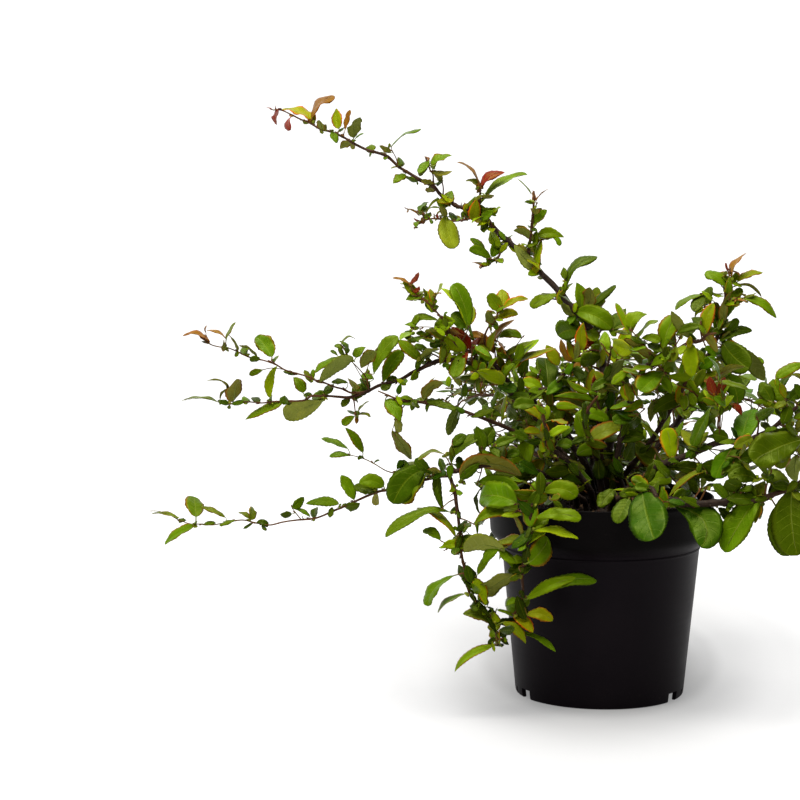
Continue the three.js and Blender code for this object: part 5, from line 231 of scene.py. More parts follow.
(7.6,12.1,248.2,11.2,12.9,248.8,5.2,11.8,245,0.3,10.6,240.4,6.7,-0.48,-0.45,0.75,"d"),
(5.4,11.9,170.8,9.4,11.7,171.3,10,9.4,186.1,11.6,6.8,201,15.8,-0.43,0.89,0.18,"u"),
(-114.9,60.2,401.3,-112.5,63.5,399.7,-108.1,68.5,398,-104.5,73.2,394.5,8.3,-0.37,0.64,0.67,"l"),
(-114.2,59,400.9,-113.6,61.2,401.4,-113.1,64,402.4,-112,66.8,402.7,3.3,-0.43,-0.1,0.89,"b"),
(-79.5,61.4,381.4,-82.2,63.3,379.5,-86.6,66.3,377.9,-89.8,68.9,374.2,4.5,-0.24,0.47,0.85,"l"),
(-19,30.7,323.6,-18.4,31.9,324.4,-17.4,34.9,327.2,-15.2,38.3,328.5,3.4,-0.32,-0.39,0.86,"m"),
(-19.1,29.9,322.5,-19.3,34.1,323.8,-19.1,37.3,325,-19.5,40.5,325.9,3.9,0.1,-0.31,0.95,"m"),
(6.9,20.5,271.1,8.8,21.6,271.3,19,24.7,273.9,29.5,27.6,271.6,12.2,-0.09,0.11,0.99,"o"),
(6.6,19.8,270.3,6,21.6,270.9,3.4,27.8,274.8,1.3,34.8,277.4,7.2,0.35,-0.32,0.88,"d"),
(-146.7,69.8,424.8,-148,71.9,424.3,-150.4,77,423.4,-153.5,81.2,421,6.1,0.06,0.35,0.94,"m"),
(-146.1,68.7,424.3,-148.2,68.4,427.1,-150.1,68.3,429.7,-152.3,67.7,432,3.5,0.65,0.51,0.56,"b"),
(-126.6,60,408.8,-126.1,62.8,408.3,-125.9,66.9,407.8,-124.5,70.6,406.6,3.4,-0.6,0.25,0.76,"l"),
(-11.2,33.3,293.3,-12.6,32.9,293.3,-19.5,35.3,289.8,-25.6,37.7,284.9,7.6,-0.16,0.71,0.69,"o"),
(-10.6,32.3,292.6,-11.7,32.1,296,-14.2,33,303.6,-15.4,34.5,311.5,7.3,-0.87,0.39,-0.3,"m"),
(-10,31.4,291.9,-10.7,33,292.7,-11.2,38.3,293.8,-12.9,43.4,294.2,5.4,-0.04,-0.17,0.99,"h"),
(-9.3,30.4,291.2,-13.1,29.1,291.8,-16.9,28.9,292.6,-20.4,27.2,292.1,4,-0.04,0.4,0.91,"p"),
(20.9,20.1,256.2,24.2,18.3,256.2,29.4,15.3,256.7,34.1,11.8,254.9,6.5,0.19,0.12,0.97,"d"),
(20.3,19.7,255.5,19.9,23.2,254.9,19.9,28.2,255.1,18.9,32.9,253.1,4.4,0.05,0.17,0.99,"g"),
(19.3,19.1,254.4,19.2,17.9,256.2,18.7,15.2,263,18,10.3,268.5,8.6,0.06,0.85,0.52,"g"),
(18.4,18.4,253.3,21.5,19.3,252.1,26.8,20.4,251.3,31.2,22,248.1,5.5,0.28,0.23,0.93,"u"),
(-6.9,14.9,202.5,-10.2,13.5,203.4,-16.7,10.2,205.8,-23.8,7,205.3,9,0.13,0.09,0.99,"p"),
(-5.1,13.7,200,-6.4,14.9,200,-10.4,18.6,200.4,-14.6,22,198.9,4.4,-0.21,-0.17,0.96,"p"),
(-16.2,29.2,318.3,-18.1,32.6,319.7,-20.9,38.4,323.4,-25.5,44.4,323.9,7,0.55,-0.01,0.83,"o"),
(-16.2,28.7,317.7,-14.7,31.1,316,-10.1,40.5,312.5,-5.5,46.9,304.9,9.2,0.3,0.42,0.86,"m"),
(-140.2,69.1,432.3,-142.3,69.3,433.8,-146.4,69.1,437.3,-151.4,69.8,439.6,6.4,0.57,0.19,0.8,"b"),
(-139.9,67.7,430.1,-141.7,71.7,430.6,-143.3,75.9,431.6,-145.4,79.8,431.2,3.7,0.09,-0.08,0.99,"l"),
(-146,59.1,400.7,-143.6,60.6,402,-139.6,63.4,405.5,-134.5,66.6,406.6,5.9,-0.36,-0.24,0.9,"y"),
(-89.6,52.3,367.1,-89.1,53.5,368.2,-87.6,57.3,373,-85.6,62.3,376.6,5.4,0.2,-0.73,0.65,"m"),
(-89.6,51.6,367,-91.1,54.7,365.3,-92.3,58.3,363.7,-94.3,61.2,361.6,4.8,0.18,0.52,0.84,"y"),
(-106,53.4,420.2,-106.4,56.6,421.4,-106.5,59.5,422.7,-107.3,62.7,423.4,2.6,0.12,-0.32,0.94,"l"),
(11.3,20.4,261.5,9.9,20.7,262.7,0.4,21.4,269.6,-10.2,21.2,274.9,11.1,0.55,0.18,0.82,"m"),
(10.7,19.5,260.3,10.3,21.3,260.1,9.6,28.2,260.4,7.2,34.4,258,7.5,0.18,0.16,0.97,"g"),
(-72.9,46.2,371,-72.8,47.4,371.6,-73.3,52.9,374.5,-71.7,58.7,376.6,6.2,-0.91,-0.14,0.39,"l"),
(-53.3,49.2,381.8,-51.8,50.1,382.3,-47.8,53.1,383.5,-43.3,55.1,385.1,4.6,-0.52,0.46,0.72,"b"),
(9.1,-2.2,229.9,13.1,-3.7,230,19.5,-6.6,230.5,26.4,-8.1,229.6,8.4,-0.22,-0.56,0.8,"d"),
(-10.5,36.4,319.1,-11.3,37.3,321.6,-12.4,42.5,332,-18.4,47.7,340.6,14,0.71,-0.48,0.51,"y"),
(-10.6,35.2,317.9,-9,36.3,319.1,-4.7,40.2,322.4,0,44.4,324.5,6.8,-0.41,-0.15,0.9,"m"),
(-10.7,33.9,316.8,-12.5,35.4,316.5,-15.6,39.3,316.5,-19.4,41.7,314.3,4.2,-0.06,0.24,0.97,"d"),
(-20.9,29.1,298.2,-21,29.5,300.2,-19.4,37.2,306.8,-16.5,46.4,310.3,10.4,-0.76,-0.2,0.62,"m"),
(-19.9,28.6,297.8,-21.9,26.8,297.1,-26.6,27.7,294.2,-30,27.4,289.6,4.6,-0.65,0.06,0.76,"m"),
(-61.3,44.2,389.3,-60.3,45.2,390.4,-55.9,49.2,396.9,-50.1,54.9,400.2,7.2,-0.57,-0.22,0.79,"l"),
(-156.1,58.8,401.9,-156.5,56.6,402.3,-157.4,51.2,404.1,-158.2,45.5,404.4,5.9,-0.65,0.27,0.71,"l"),
(-19,21.9,306.4,-21.2,22.2,303.4,-24.1,22.9,300.5,-26,24.3,297,4.2,-0.8,0.03,0.6,"d"),
(-23,24.9,326.4,-24.8,23.8,327.6,-30.4,19.4,331.7,-36.9,16.2,335.5,9.4,0.61,-0.14,0.78,"p"),
(3.1,6.1,264.7,5,4.6,264.6,11.4,0.2,264.5,17.6,-4.2,262.7,9.5,-0.33,-0.58,0.75,"d"),
(-51,52.5,350,-50.6,55.4,348.8,-49.7,59.5,347.5,-49.1,63.3,345.4,3.6,-0.44,0.41,0.8,"l"),
(-116.6,62.6,407.1,-116.8,63.8,406.1,-117.3,69.9,401.8,-118.1,74.7,395.9,6.2,-0.25,0.6,0.76,"y"),
(-116.4,61.9,406.9,-115.8,62.9,407.1,-113,68.3,408.5,-110.2,73.9,409.1,5.7,-0.24,-0.05,0.97,"l"),
(-140,59.6,399.1,-141,61.7,398.7,-143.4,66.8,398.4,-145.9,71.2,395.8,4.7,-0.2,0.15,0.97,"l"),
(-139.8,59.2,398.9,-139.6,61,399.5,-139.9,65.3,401.4,-138.9,69.9,401.8,4.7,-0.13,-0.27,0.95,"l"),
(-10.2,15,276.1,-11.1,16.7,277.3,-14.5,19.7,281.7,-16.4,24.7,285.1,6.4,-0.46,-0.77,0.45,"d"),
(-8.9,15.1,275.6,-12.8,15,274.4,-18.4,14.3,273.2,-23.7,13.4,271.1,6.3,-0.27,-0.08,0.96,"d"),
(-130.5,65.9,401.4,-129.9,68.2,400.8,-127.4,74.8,399.6,-126,80.7,395.9,7.6,0.12,0.31,0.94,"l"),
(-111.2,55.7,412.4,-111,59.4,412.1,-110.5,64.8,412.1,-110.5,70,410.8,6.1,-0.23,0.1,0.97,"l"),
(-156.3,63.9,401.6,-156,65.3,402.2,-155,70.6,405.5,-153,76.7,406,6.9,-0.36,-0.26,0.9,"l"),
(-155.9,63.1,400.9,-156,64.7,399.8,-155.8,69.7,397,-156.2,74,393.3,5.4,-0.28,0.51,0.81,"b"),
(6.5,13.5,306.4,10.2,11.4,307.4,14.2,8.9,308.8,18.7,6.8,309.2,6,-0.39,-0.29,0.87,"o"),
(-147.2,58.2,440.2,-147.1,56.4,440.9,-146.5,52.5,443,-146.4,48.1,444.1,4.9,0.43,0.36,0.83,"m"),
(-100,46.5,402.5,-103.2,44.2,400.9,-108.4,41.2,398.9,-112.5,37.5,395.9,5,-0.26,-0.31,0.91,"l"),
(-42.9,35.6,331.2,-44.3,37.5,331.8,-48.7,43,334.1,-51.6,49.7,335.4,8.3,-0.11,-0.36,0.93,"o"),
(-96.6,45.1,397.3,-98,44.8,396.9,-103.2,43.5,395.4,-108.3,43.2,393.3,6.2,-0.11,-0.64,0.76,"l"),
(-119.2,52.5,400.3,-120.8,49.4,399.6,-122.9,44.7,399.1,-125.5,40.8,396.8,5.5,-0.13,-0.19,0.97,"m"),
(-107.5,49.9,414.8,-106.9,48.5,415.3,-104.8,40.5,418.2,-100.2,33.2,420,10.6,-0.42,0.14,0.9,"l"),
(2.4,8.6,250,3.3,8.5,253.8,4.6,7.2,260.9,6.7,8.1,267.9,7.9,-0.56,-0.82,0.1,"d"),
(-56.2,33,412.4,-57.4,31.6,412.9,-59.6,27.9,414.1,-62.8,24.9,414.8,4.6,0.53,-0.15,0.83,"l"),
(-56.8,34.1,411.5,-57.1,31.5,410.6,-57.4,28.3,409.7,-57.9,25.3,408.2,2.7,0.19,-0.35,0.92,"l"),
(-119.9,71.5,411.6,-119.8,75,409.3,-119.2,80.5,406,-119.2,85.3,401.6,5.6,-0.36,0.56,0.75,"y"),
(-119.6,68.8,410.8,-118.2,70.2,411.2,-115.6,74.1,412.5,-111.5,76.7,413,5.9,-0.54,0.34,0.77,"b"),
(-55.8,50.4,377.9,-56.8,52,379,-59.8,58.5,384.2,-64.9,64.9,387.7,8.6,0.82,0.1,0.57,"y"),
(-56,49.6,377.9,-57.2,50.8,376.6,-61.1,56.3,372.6,-65.8,59.2,366.9,7.6,0.44,0.83,0.34,"o"),
(-135.1,60.3,400.3,-134.3,62.3,399.9,-132.7,67.6,399.9,-130.4,72.3,397.6,5.1,0.04,0.19,0.98,"l"),
(-135,59.6,399.7,-135.8,58.7,401.1,-137.2,57.2,403.7,-138.7,55.3,405.9,3.8,0.2,0.76,0.62,"l"),
(-0.7,19.5,305.3,1.1,21.6,305.3,6.4,27.7,305.2,10,35,303.9,7.7,0.19,-0.07,0.98,"o"),
(-1.1,19.3,304.7,-1.6,20.3,304.7,-4.2,26.7,305.9,-6,33.1,303.8,8.3,0.17,0.1,0.98,"m"),
(-0.8,18.5,280.4,-2,15.1,275.1,0.6,12,284.2,3.1,10.8,293.2,8.6,-0.77,-0.64,0.07,"o"),
(4.4,8.1,189.9,4.5,2.3,193.6,5.7,0.3,186.6,6.8,-0.4,179.4,7,-0.24,-0.96,0.14,"d"),
(7.3,12.4,250.2,8.2,8.7,256.5,7.6,6.2,248.5,6.7,5.2,240.2,8.6,0.09,-0.98,0.2,"g"),
(-62.9,43,376.1,-66.6,40,374.6,-60.4,40.6,377.4,-54.3,42.5,380,5.8,-0.26,-0.5,0.82,"m"),
(-110.6,55.1,404.6,-111.7,54.2,396.5,-109.9,50.8,406.4,-108.4,49.4,416.2,11.3,-0.04,-0.97,-0.23,"y"),
(-87.9,49.6,386.1,-89.1,46.7,388.4,-85.9,45.1,384.4,-82.7,44.6,380.3,5.4,0.37,-0.79,0.49,"m"),
(-118.1,57.3,407.4,-118.7,55.5,403.1,-117.8,53.9,407.8,-116.9,53.3,412.3,5.7,0.07,-0.97,-0.24,"y"),
(-55.3,41,357,-52.4,37.2,355.5,-58.7,35.6,360.3,-65.2,35.6,365,8,0.59,-0.3,0.75,"l"),
(-32.3,29.7,342.9,-31.1,28.1,346.9,-32.2,27.5,342.5,-33.4,27.8,338.1,4.7,-0.04,-1,0.03,"m"),
(-36.1,33.4,330.3,-35.4,31.8,325.8,-36,29.8,332.4,-36.6,29.1,338.9,7,-0.17,-0.96,-0.21,"l"),
(-23,24.7,326.8,-22.6,23.6,328.8,-23.2,21.2,324.6,-23.8,19.8,320.3,4.7,0.16,-0.91,0.38,"l"),
(-132.9,58.9,414,-128.7,56.6,414.5,-136,55.2,414.2,-143.4,55.2,413.7,6.4,0.04,-0.8,0.6,"y"),
(-137.5,59.6,417.2,-139.3,55.8,419.4,-134.7,55.4,415.7,-130.2,56.3,411.8,5.6,0.48,-0.71,0.52,"l"),
(8,11,235,9.1,7.9,242.1,8.4,3.5,233.6,7.4,0.9,224.8,10.7,0.17,-0.92,0.35,"d"),
(-53.2,50.4,382.1,-45.8,49.2,381.7,-54.2,47.9,382.5,-62.8,48.3,383.1,10,0.09,-0.44,0.89,"l"),
(-99.6,47,401.6,-104.6,45.3,397.9,-99,43.7,402.1,-93.5,43.5,406.3,8.2,-0.36,-0.89,0.28,"m"),
(-4.9,21.4,292.5,-3.7,17.7,298.1,-5,14.3,289.3,-6.4,12.7,280.3,8.3,0.36,-0.91,0.2,"m"),
(-99,49.1,359.9,-96.1,48.3,360,-100.1,45.6,360.3,-104.1,43.7,360.5,4.5,0.46,-0.73,0.51,"l"),
(5.6,8.7,199.9,-2.5,6,201.2,6.8,2.1,200.5,15.8,0.1,199.7,10.3,-0.2,-0.77,0.6,"n"),
(7.1,16.3,305.4,4.3,16,309.1,7.9,12.9,305.1,11.4,10.9,300.9,5.8,0.32,-0.66,0.68,"m"),
(-86.5,48.5,372.2,-88.3,46.1,369.8,-84.8,45.1,374.3,-81.4,45.3,378.6,5.3,-0.21,-0.97,0.09,"l"),
(-32.8,31.3,338,-30.7,29,340.1,-33.9,27.7,336.9,-37.1,27.3,333.6,4.4,0.26,-0.97,-0.02,"o"),
(-56.7,41.4,358.5,-55.7,38.4,361.4,-57.1,36.6,356.3,-58.6,35.9,351.2,6.5,-0.05,-0.97,0.25,"y"),
(8.1,16.2,305.3,10,15.4,305,17.4,11.4,304.2,24.8,9.1,303.2,7.9,-0.08,-0.45,0.89,"o"),
(-96.1,45.7,364.1,-95.3,46.9,365.9,-92.3,50.9,373.4,-89.4,56.8,380.6,9.5,0.38,-0.83,0.41,"m"),
(-47.4,44,347.5,-49.1,46.2,347.9,-52.5,49.8,348.6,-55.9,54.6,349.2,6.2,-0.41,-0.46,0.78,"o"),
(-146.8,60.4,429.2,-146,58.5,429.2,-144.1,53.8,429.2,-142.3,50,429.2,4.1,-0.31,-0.13,0.94,"m"),
(-158.6,60.4,404.3,-157.8,61.4,404.9,-154.8,64.3,407.1,-152,68.3,409.1,5.5,0.4,-0.7,0.59,"m"),
(-10.5,36.7,319.3,-9.9,37.2,321.7,-7.3,38.3,331.7,-4.8,41.4,341.4,11.8,-0.16,-0.96,0.25,"o"),
(-22.3,27.7,320.7,-22.4,27.8,319.4,-23.1,27.3,311.2,-23.9,28.5,302.9,9.9,-0.37,-0.93,0,"m"),
(-22.3,27.7,320.7,-23.7,26,318.7,-27,21.2,314,-30.5,17.8,309.1,7.9,-0.1,-0.72,0.69,"h"),
(-83.6,48.2,377.5,-81.2,48,376.1,-75.9,46.9,373.1,-70.6,47,370,7,0.26,-0.76,0.59,"m"),
(-62.8,42.9,376.9,-64.6,39.9,377,-66.9,35.4,377.1,-69.2,31.9,377.2,5.2,0.26,-0.13,0.96,"l"),
(-147,58.1,440.8,-146.9,59.1,441.4,-146.6,63.1,444.2,-146.3,68,446.8,5.3,-0.15,-0.5,0.85,"l"),
(-10.5,36.7,319.3,-8.8,37.3,321.7,-3.5,38.5,328.8,1.6,41.4,335.8,10.5,0.39,-0.92,-0.03,"m"),
(-99.3,47.5,400.7,-97.5,47.5,402.1,-92.7,46.8,405.9,-87.9,47.3,409.6,6.5,-0.56,-0.41,0.72,"l"),
(-94.8,51.3,391.8,-94.9,47.1,390.8,-94.9,40.7,389.4,-95,35.5,387.9,5.8,0.02,-0.24,0.97,"l"),
(-105.7,50.9,419.8,-105.2,53.8,420,-104.4,57.9,420.4,-103.7,63,420.7,4.4,0.36,-0.13,0.92,"l"),
(-32,28.7,345.8,-32.2,29.8,347.9,-32.7,31.8,353.1,-33.4,35,358.1,6.3,-0.25,-0.87,0.42,"d")]),
("cane_right_up", [(24,22,137,4.37),(24,22,161.4,4.37),(24.2,24.7,169.4,4.03),(24.8,31,176.5,3.7),(45.8,33,200.6,3.4),(62.6,36,222.8,3.2),(70.2,38,236.4,3),(78.5,40,253.5,2.8),(86,43,272.1,2.6),(92.7,46,287.4,2.4),(97.7,48,297.6,2.2),(100.1,48,311.3,2),(102.5,48,323.3,1.7),(105.6,47,338.7,1.3),(107.1,46,347.3,1),(107,46,355,0.6)],
[[(101.7,48,319.5,0.79),(97.4,45,323.7,0.63),(92,42,326.1,0.43)],
[(103.4,47.7,327.8,0.9),(110.8,45.9,331.3,0.72),(119,43.8,332.1,0.49)],
[(101.7,48,319.5,0.47),(94.1,41.8,329.5,0.38),(84.9,37.9,335.7,0.26)],
[(93.4,46.3,288.9,1.09),(104.8,46.6,290.3,0.87),(119,46.7,287.5,0.6)],
[(63.7,36.3,224.8,0.86),(60.9,43.2,232.8,0.75),(60.3,49.9,240.5,0.6)],
[(84.5,42.4,268.4,0.74),(81.6,40.6,274.7,0.64),(78.8,39.7,280.6,0.52)],
[(92.3,41,330.7,0.28),(90.1,43.2,330.5,0.52),(88.3,45,330.8,0.42)],
[(47,33.2,202.2,0.91),(54.9,27,207.6,0.79),(63.4,20.7,212.4,0.63)],
[(31.4,31.6,184,0.9),(36,30.2,186.5,0.79),(41.5,29.5,188.6,0.63)],
[(91,45.2,283.6,0.64),(89,51.4,288.9,0.56),(86.1,55.2,295.2,0.45)],
[(82.2,41.5,262.8,0.76),(84.4,44.2,264,0.66),(86.8,46.8,266.1,0.53)],
[(66.9,37.1,230.6,0.66),(68.7,43.9,233.5,0.58),(70.9,50,235.5,0.46)],
[(99.7,48,309,0.85),(101.6,51.3,312.7,0.74),(103.2,54.5,316.8,0.59)],
[(88.5,44.1,277.9,0.72),(89.9,48.1,279.3,0.63),(91.3,52.4,281.3,0.5)],
[(105.1,47.1,336.5,0.53),(104.6,48.4,338.6,0.46),(103.9,50.3,340.5,0.37)],
[(107.1,46.8,329.6,0.6),(108.9,49,332.1,0.53),(111.2,51.8,334.8,0.42)],
[(77.6,39.8,251.6,0.72),(75.9,43.6,257.2,0.63),(73.6,47.6,262.5,0.5)],
[(100.2,46.5,289.7,0.63),(101.6,48.3,289.7,0.55),(103.6,49.6,290,0.44)],
[(110.9,46.6,289.1,0.61),(112.1,48,289.3,0.6),(113.1,49.8,289.5,0.48)],
[(95.7,47.2,293.5,0.71),(94.7,52,298.1,0.61),(92.2,55.5,302.2,0.49)],
[(72.9,38.7,242.1,0.79),(71.4,40.4,245.8,0.69),(70.1,41.8,249.2,0.55)],
[(97.7,48,297.6,0.78),(101.5,51.1,301.2,0.67),(105.2,54.9,304.8,0.54)],
[(93.8,43,325.3,0.4),(89.9,44.8,324.7,0.59),(86.2,46.9,324.2,0.48)],
[(80,40.6,257.2,0.66),(80.6,42.4,258.2,0.58),(81.2,44.2,259.4,0.46)],
[(57.8,35.1,216.5,0.89),(61.5,33.9,217,0.77),(65.2,32.8,217.6,0.62)],
[(86,43,272.1,0.78),(92.1,46.4,273.8,0.68),(98,48.7,276.8,0.54)],
[(49.4,33.6,205.4,0.64),(58.7,37.2,206,0.56),(69.7,39.2,207.9,0.45)],
[(100.9,48,315.3,0.7),(103.6,55.2,320.6,0.61),(109.1,62.7,328.1,0.49)],
[(71.1,38.2,238.3,0.71),(70.9,35.7,242.2,0.62),(70.1,33.8,245.9,0.49)],
[(102.5,48,323.3,0.89),(108.2,42.2,328.5,0.77),(114.2,37.6,332.6,0.62)]],
[(107,46,354.8,105.9,45.9,354.2,104.4,46.7,359.4,104.9,47.5,362.1,2.9,0.65,-0.72,0.24,"r"),
(107,46,352.4,109.2,45.1,350.2,113.1,47.2,362.5,123,49.7,370.2,12.4,-0.76,-0.29,0.59,"b"),
(105.7,46.6,340.4,105.5,46.8,340.4,96.7,48.3,350.1,86.1,50.1,352.1,13.3,0.22,-0.78,0.59,"m"),
(107,46,346.8,114,48.4,345.5,123.9,50.5,352.2,136.1,53,353,9.5,-0.13,-0.63,0.76,"y"),
(107,46,354.1,107.8,46,354.1,112.6,45.2,354.4,117,44.3,350.8,3.4,0.24,-0.4,0.88,"b"),
(106.5,46.2,344.5,109.8,48.4,343.8,112,50.9,349.2,115,53.3,353.8,6.6,-0.26,-0.86,0.44,"l"),
(105.6,46.6,339.7,108.1,45.3,340.1,123.5,48.1,343.1,135.3,50.9,332.7,5,0.1,0.58,0.81,"o"),
(99.9,48,309.4,103.5,46.9,308.8,103.3,43.7,323.8,107.7,40.1,339.1,11,-0.62,0.74,0.25,"o"),
(104.2,47.4,328.2,104.9,47.5,326.7,112.6,48.5,334.8,119.2,49.7,339.5,8.7,-0.3,-0.82,0.48,"m"),
(101,48,315.4,105.7,48.8,314.5,110.5,51.4,329.2,119.7,54,338.6,9.8,-0.14,-0.96,0.23,"m"),
(118.8,43.8,332.1,119,43.8,332.1,133.9,40.9,328.5,147.4,37.5,315.7,9.7,0.14,-0.83,0.55,"m"),
(118.8,43.8,332.1,120.6,43.8,333,125.6,42.8,334.4,130.6,41.7,336.6,3.9,0.38,0.57,-0.73,"o"),
(85.1,37.9,335.6,85.1,37.9,335.5,69.2,34.2,330.6,60.8,31.1,322.9,11.8,-0.36,-0.34,0.87,"m"),
(85.9,38.3,335,85.8,38.3,334.8,81,31.3,328.8,76.9,23.3,322.1,12.1,-0.17,-0.58,0.8,"d"),
(92.1,42,326.1,92,42,326.1,89.7,43.7,333.6,91.9,45.7,342.1,9.7,-0.52,-0.83,0.19,"d"),
(104.6,47.1,334.3,103,47.1,333.7,97.1,48.2,333.8,89.7,49.8,338.4,5.4,0.2,-0.47,0.86,"l"),
(98.6,48,302.2,96,48.3,302.7,96.9,49.2,311.6,96.7,50.3,319.7,6.8,0.49,-0.87,0.08,"m"),
(100.5,48,312.7,99.2,48,313,97.6,49,321,94.9,50.1,328.2,6.8,0.45,-0.86,0.25,"d"),
(98.1,48,299.8,91.7,47.3,301,102.6,49,307.5,114.6,51.1,312,10.1,-0.33,-0.43,0.84,"l"),
(99.5,48,306.9,102.5,45.8,303.9,110.4,46,307.8,114.2,46.6,315.1,8.1,0.31,-0.91,-0.26,"d"),
(103.4,46.6,290.1,99.9,44.7,294.7,111.6,47.7,302.9,127.9,50.8,303.7,11.7,-0.09,-0.67,0.74,"d"),
(103.4,46.6,290.1,102.8,47,295.1,105,45.2,300.1,108.4,43.1,304.8,6.5,-0.56,0.61,0.56,"o"),
(104.6,46.6,290.2,103.6,45,293.3,111.5,43.4,291.6,118.5,42,289.7,7.3,0.26,0.91,0.33,"o"),
(97.8,48,298.1,102,47.6,295.9,110.3,36,284.3,124.5,22.6,273.4,23.9,-0.64,-0.74,0.18,"d"),
(118.7,46.7,287.6,116.2,46.4,287.7,128.3,49.7,276.6,139,54.4,261.5,16.9,0.3,0.81,0.51,"o"),
(106.4,46.3,344,107.1,46.4,343.9,104.9,47.9,348,103,49.6,352.2,5.5,0.5,-0.69,0.52,"m"),
(83.7,42.2,265.4,81.8,41.9,266.2,87,43.8,277.4,95.2,45.8,287.4,9.3,-0.34,-0.87,0.37,"m"),
(32.7,31.8,185.5,33.2,31.8,185.1,28.9,38.5,192.3,23,46.3,198.7,13,0.13,-0.62,0.77,"d"),
(80.4,40.8,257.9,81,40.7,257.7,90.1,42.7,265.2,103.1,45,267,7.8,-0.22,-0.56,0.79,"y"),
(69.4,37.7,236,68.8,37.8,235.8,72.1,32.2,234.7,73.4,25.6,230.9,8.3,-0.19,-0.42,0.89,"o"),
(82.1,41.5,261.8,81.8,41.4,262,86.8,36.4,257.7,91.6,30.6,255.4,8.3,-0.73,-0.68,0.02,"m"),
(60.3,49.8,240.4,59.1,48.8,243.3,56.8,46.7,249.3,53.5,43.7,254.6,7.2,0.79,0.36,0.49,"m"),
(60.4,49.3,239.8,63.3,51.5,239.6,70.1,57.2,240.4,77.1,62.2,238,8.5,-0.05,0.15,0.99,"p"),
(60.5,48,238.3,61.5,47.8,240.2,64.3,47.6,247.9,68.1,46.3,255.1,9.8,-0.9,0.22,0.38,"o"),
(60.5,47.3,237.6,60.8,50.7,238.1,61.3,56.2,239.3,60.4,61.8,239.4,6.7,0.21,-0.13,0.97,"p"),
(60.6,46.7,236.8,58.1,45.9,239.1,54.9,45.8,242.2,51.2,44.1,244,4.3,0.47,0.43,0.78,"m"),
(79.7,40.1,278.9,79.2,37.1,282,78.7,33,287,77.8,28,291.1,5.6,-0.16,0.73,0.67,"h"),
(80.1,40.3,278.1,80.4,43.3,279.7,80.9,49.3,284.2,82,56.5,286.5,6.6,-0.09,-0.48,0.87,"d"),
(88.4,44.9,330.8,87.7,46.5,330.1,84.3,57.4,327.6,81,66.3,320.7,9.3,-0.33,0.31,0.89,"l"),
(89,44.2,330.8,88.9,46.4,332,87.5,52.9,336,88.6,59.9,339.2,6.3,-0.79,-0.33,0.51,"y"),
(62.6,21.3,211.9,64,19.5,211.7,70.7,11.1,211.7,76.7,2.3,209.4,10.3,0.26,0.12,0.96,"n"),
(61.9,21.9,211.4,65.3,21.6,213.2,75.6,20.7,219.2,86.4,20.3,224,14.4,-0.46,-0.03,0.89,"o"),
(60.3,23,210.5,62.7,22.1,209.5,70.9,19.5,208.2,77.3,16.6,202.9,10.2,0.26,-0.33,0.91,"d"),
(41.3,29.5,188.5,42.6,28.3,188.6,53.9,14.9,192.6,66.6,2.8,188.2,15.3,-0.01,0.02,1,"n"),
(41.1,29.6,188.4,42.3,30,188.6,53.1,32.9,192.6,64.2,37.2,191.4,11.2,0.03,-0.52,0.85,"u"),
(40.1,29.8,187.9,43.8,28.3,186.3,60.2,20.8,181.7,75.3,16.3,171.2,21.8,0.3,-0.24,0.92,"n"),
(86.1,55.1,295.1,87.3,58.1,297.1,90.4,65.6,303.4,94.1,74.5,307,9.4,-0.21,-0.47,0.86,"h"),
(86.9,54.1,293.4,87.6,52.9,297.3,88.6,52.4,302.5,90.1,50.3,307.3,4.3,-0.61,0.73,0.31,"m"),
(86.7,46.7,266.1,86.3,50,267.6,85.6,57.9,273,83.4,67.2,274.9,11.3,0.62,-0.23,0.75,"m"),
(86.2,46.1,265.7,87.1,47.8,265.1,92,55.4,264.3,95.4,62.8,260.3,8.7,0.18,0.2,0.96,"m"),
(69.9,47.2,234.5,70.5,46.8,235.5,75.6,45.7,244,79.2,41.3,252.2,9.5,-0.04,0.95,0.32,"m"),
(103.2,54.4,316.6,101.8,55.4,317.9,98.5,58.3,322,93.5,60.6,324.5,5.7,0.5,-0.25,0.83,"m"),
(103,54.1,316.3,105.9,53.8,318.4,111,54.1,323.9,118.3,55,326.5,7,-0.53,0.37,0.76,"l"),
(102.8,53.8,315.9,102.7,55,315.2,102.9,63.8,311,101,71.5,305.2,10.5,0.36,0.47,0.8,"g"),
(91.2,52.2,281.2,94.6,54.6,282.4,105,60.8,287.4,115.4,68.7,288.5,15,-0.12,-0.3,0.95,"h"),
(90.9,51.2,280.8,90.2,53.8,280,88,61.4,278.3,86.1,68.4,274.6,7.6,0.01,0.32,0.95,"h"),
(104.1,49.8,339.9,101.5,51.6,341.6,98.1,54.5,345.4,93,57.2,346.9,6.1,0.46,-0.16,0.87,"l"),
(111.1,51.7,334.7,112,53,334.6,116.9,60,335.2,121.3,66.7,332,10.2,0.21,0.01,0.98,"y"),
(110.8,51.3,334.3,109.8,52.2,336.8,107.3,55.9,345.5,102.1,58.4,353.4,11,0.92,-0.03,0.4,"l"),
(73.6,47.4,262.2,74,48.8,262.8,76.7,55.4,264.9,79.6,62.3,265.8,6.6,-0.35,-0.11,0.93,"d"),
(73.8,47,261.7,70.6,48.2,263.2,65,50.6,267.4,58.2,52.7,269.2,6.3,0.38,-0.17,0.91,"m"),
(74.4,45.9,260.2,73.8,49.2,258.3,72.4,53.9,256,71.9,58.5,252.9,6.3,-0.09,0.48,0.87,"u"),
(103.5,49.5,289.9,105.2,48.7,292.1,107.7,49.3,295,110.2,49.5,297.6,4.8,-0.24,0.97,0.07,"m"),
(103.2,49.2,289.9,102.2,51.5,291.9,100.6,55.2,296.1,98.7,59.8,299,5.7,0.76,-0.21,0.61,"l"),
(113.1,49.7,289.5,115,51.5,286.5,120.1,55.3,281.3,122.3,58.3,273.8,6.5,0.79,0.16,0.59,"o"),
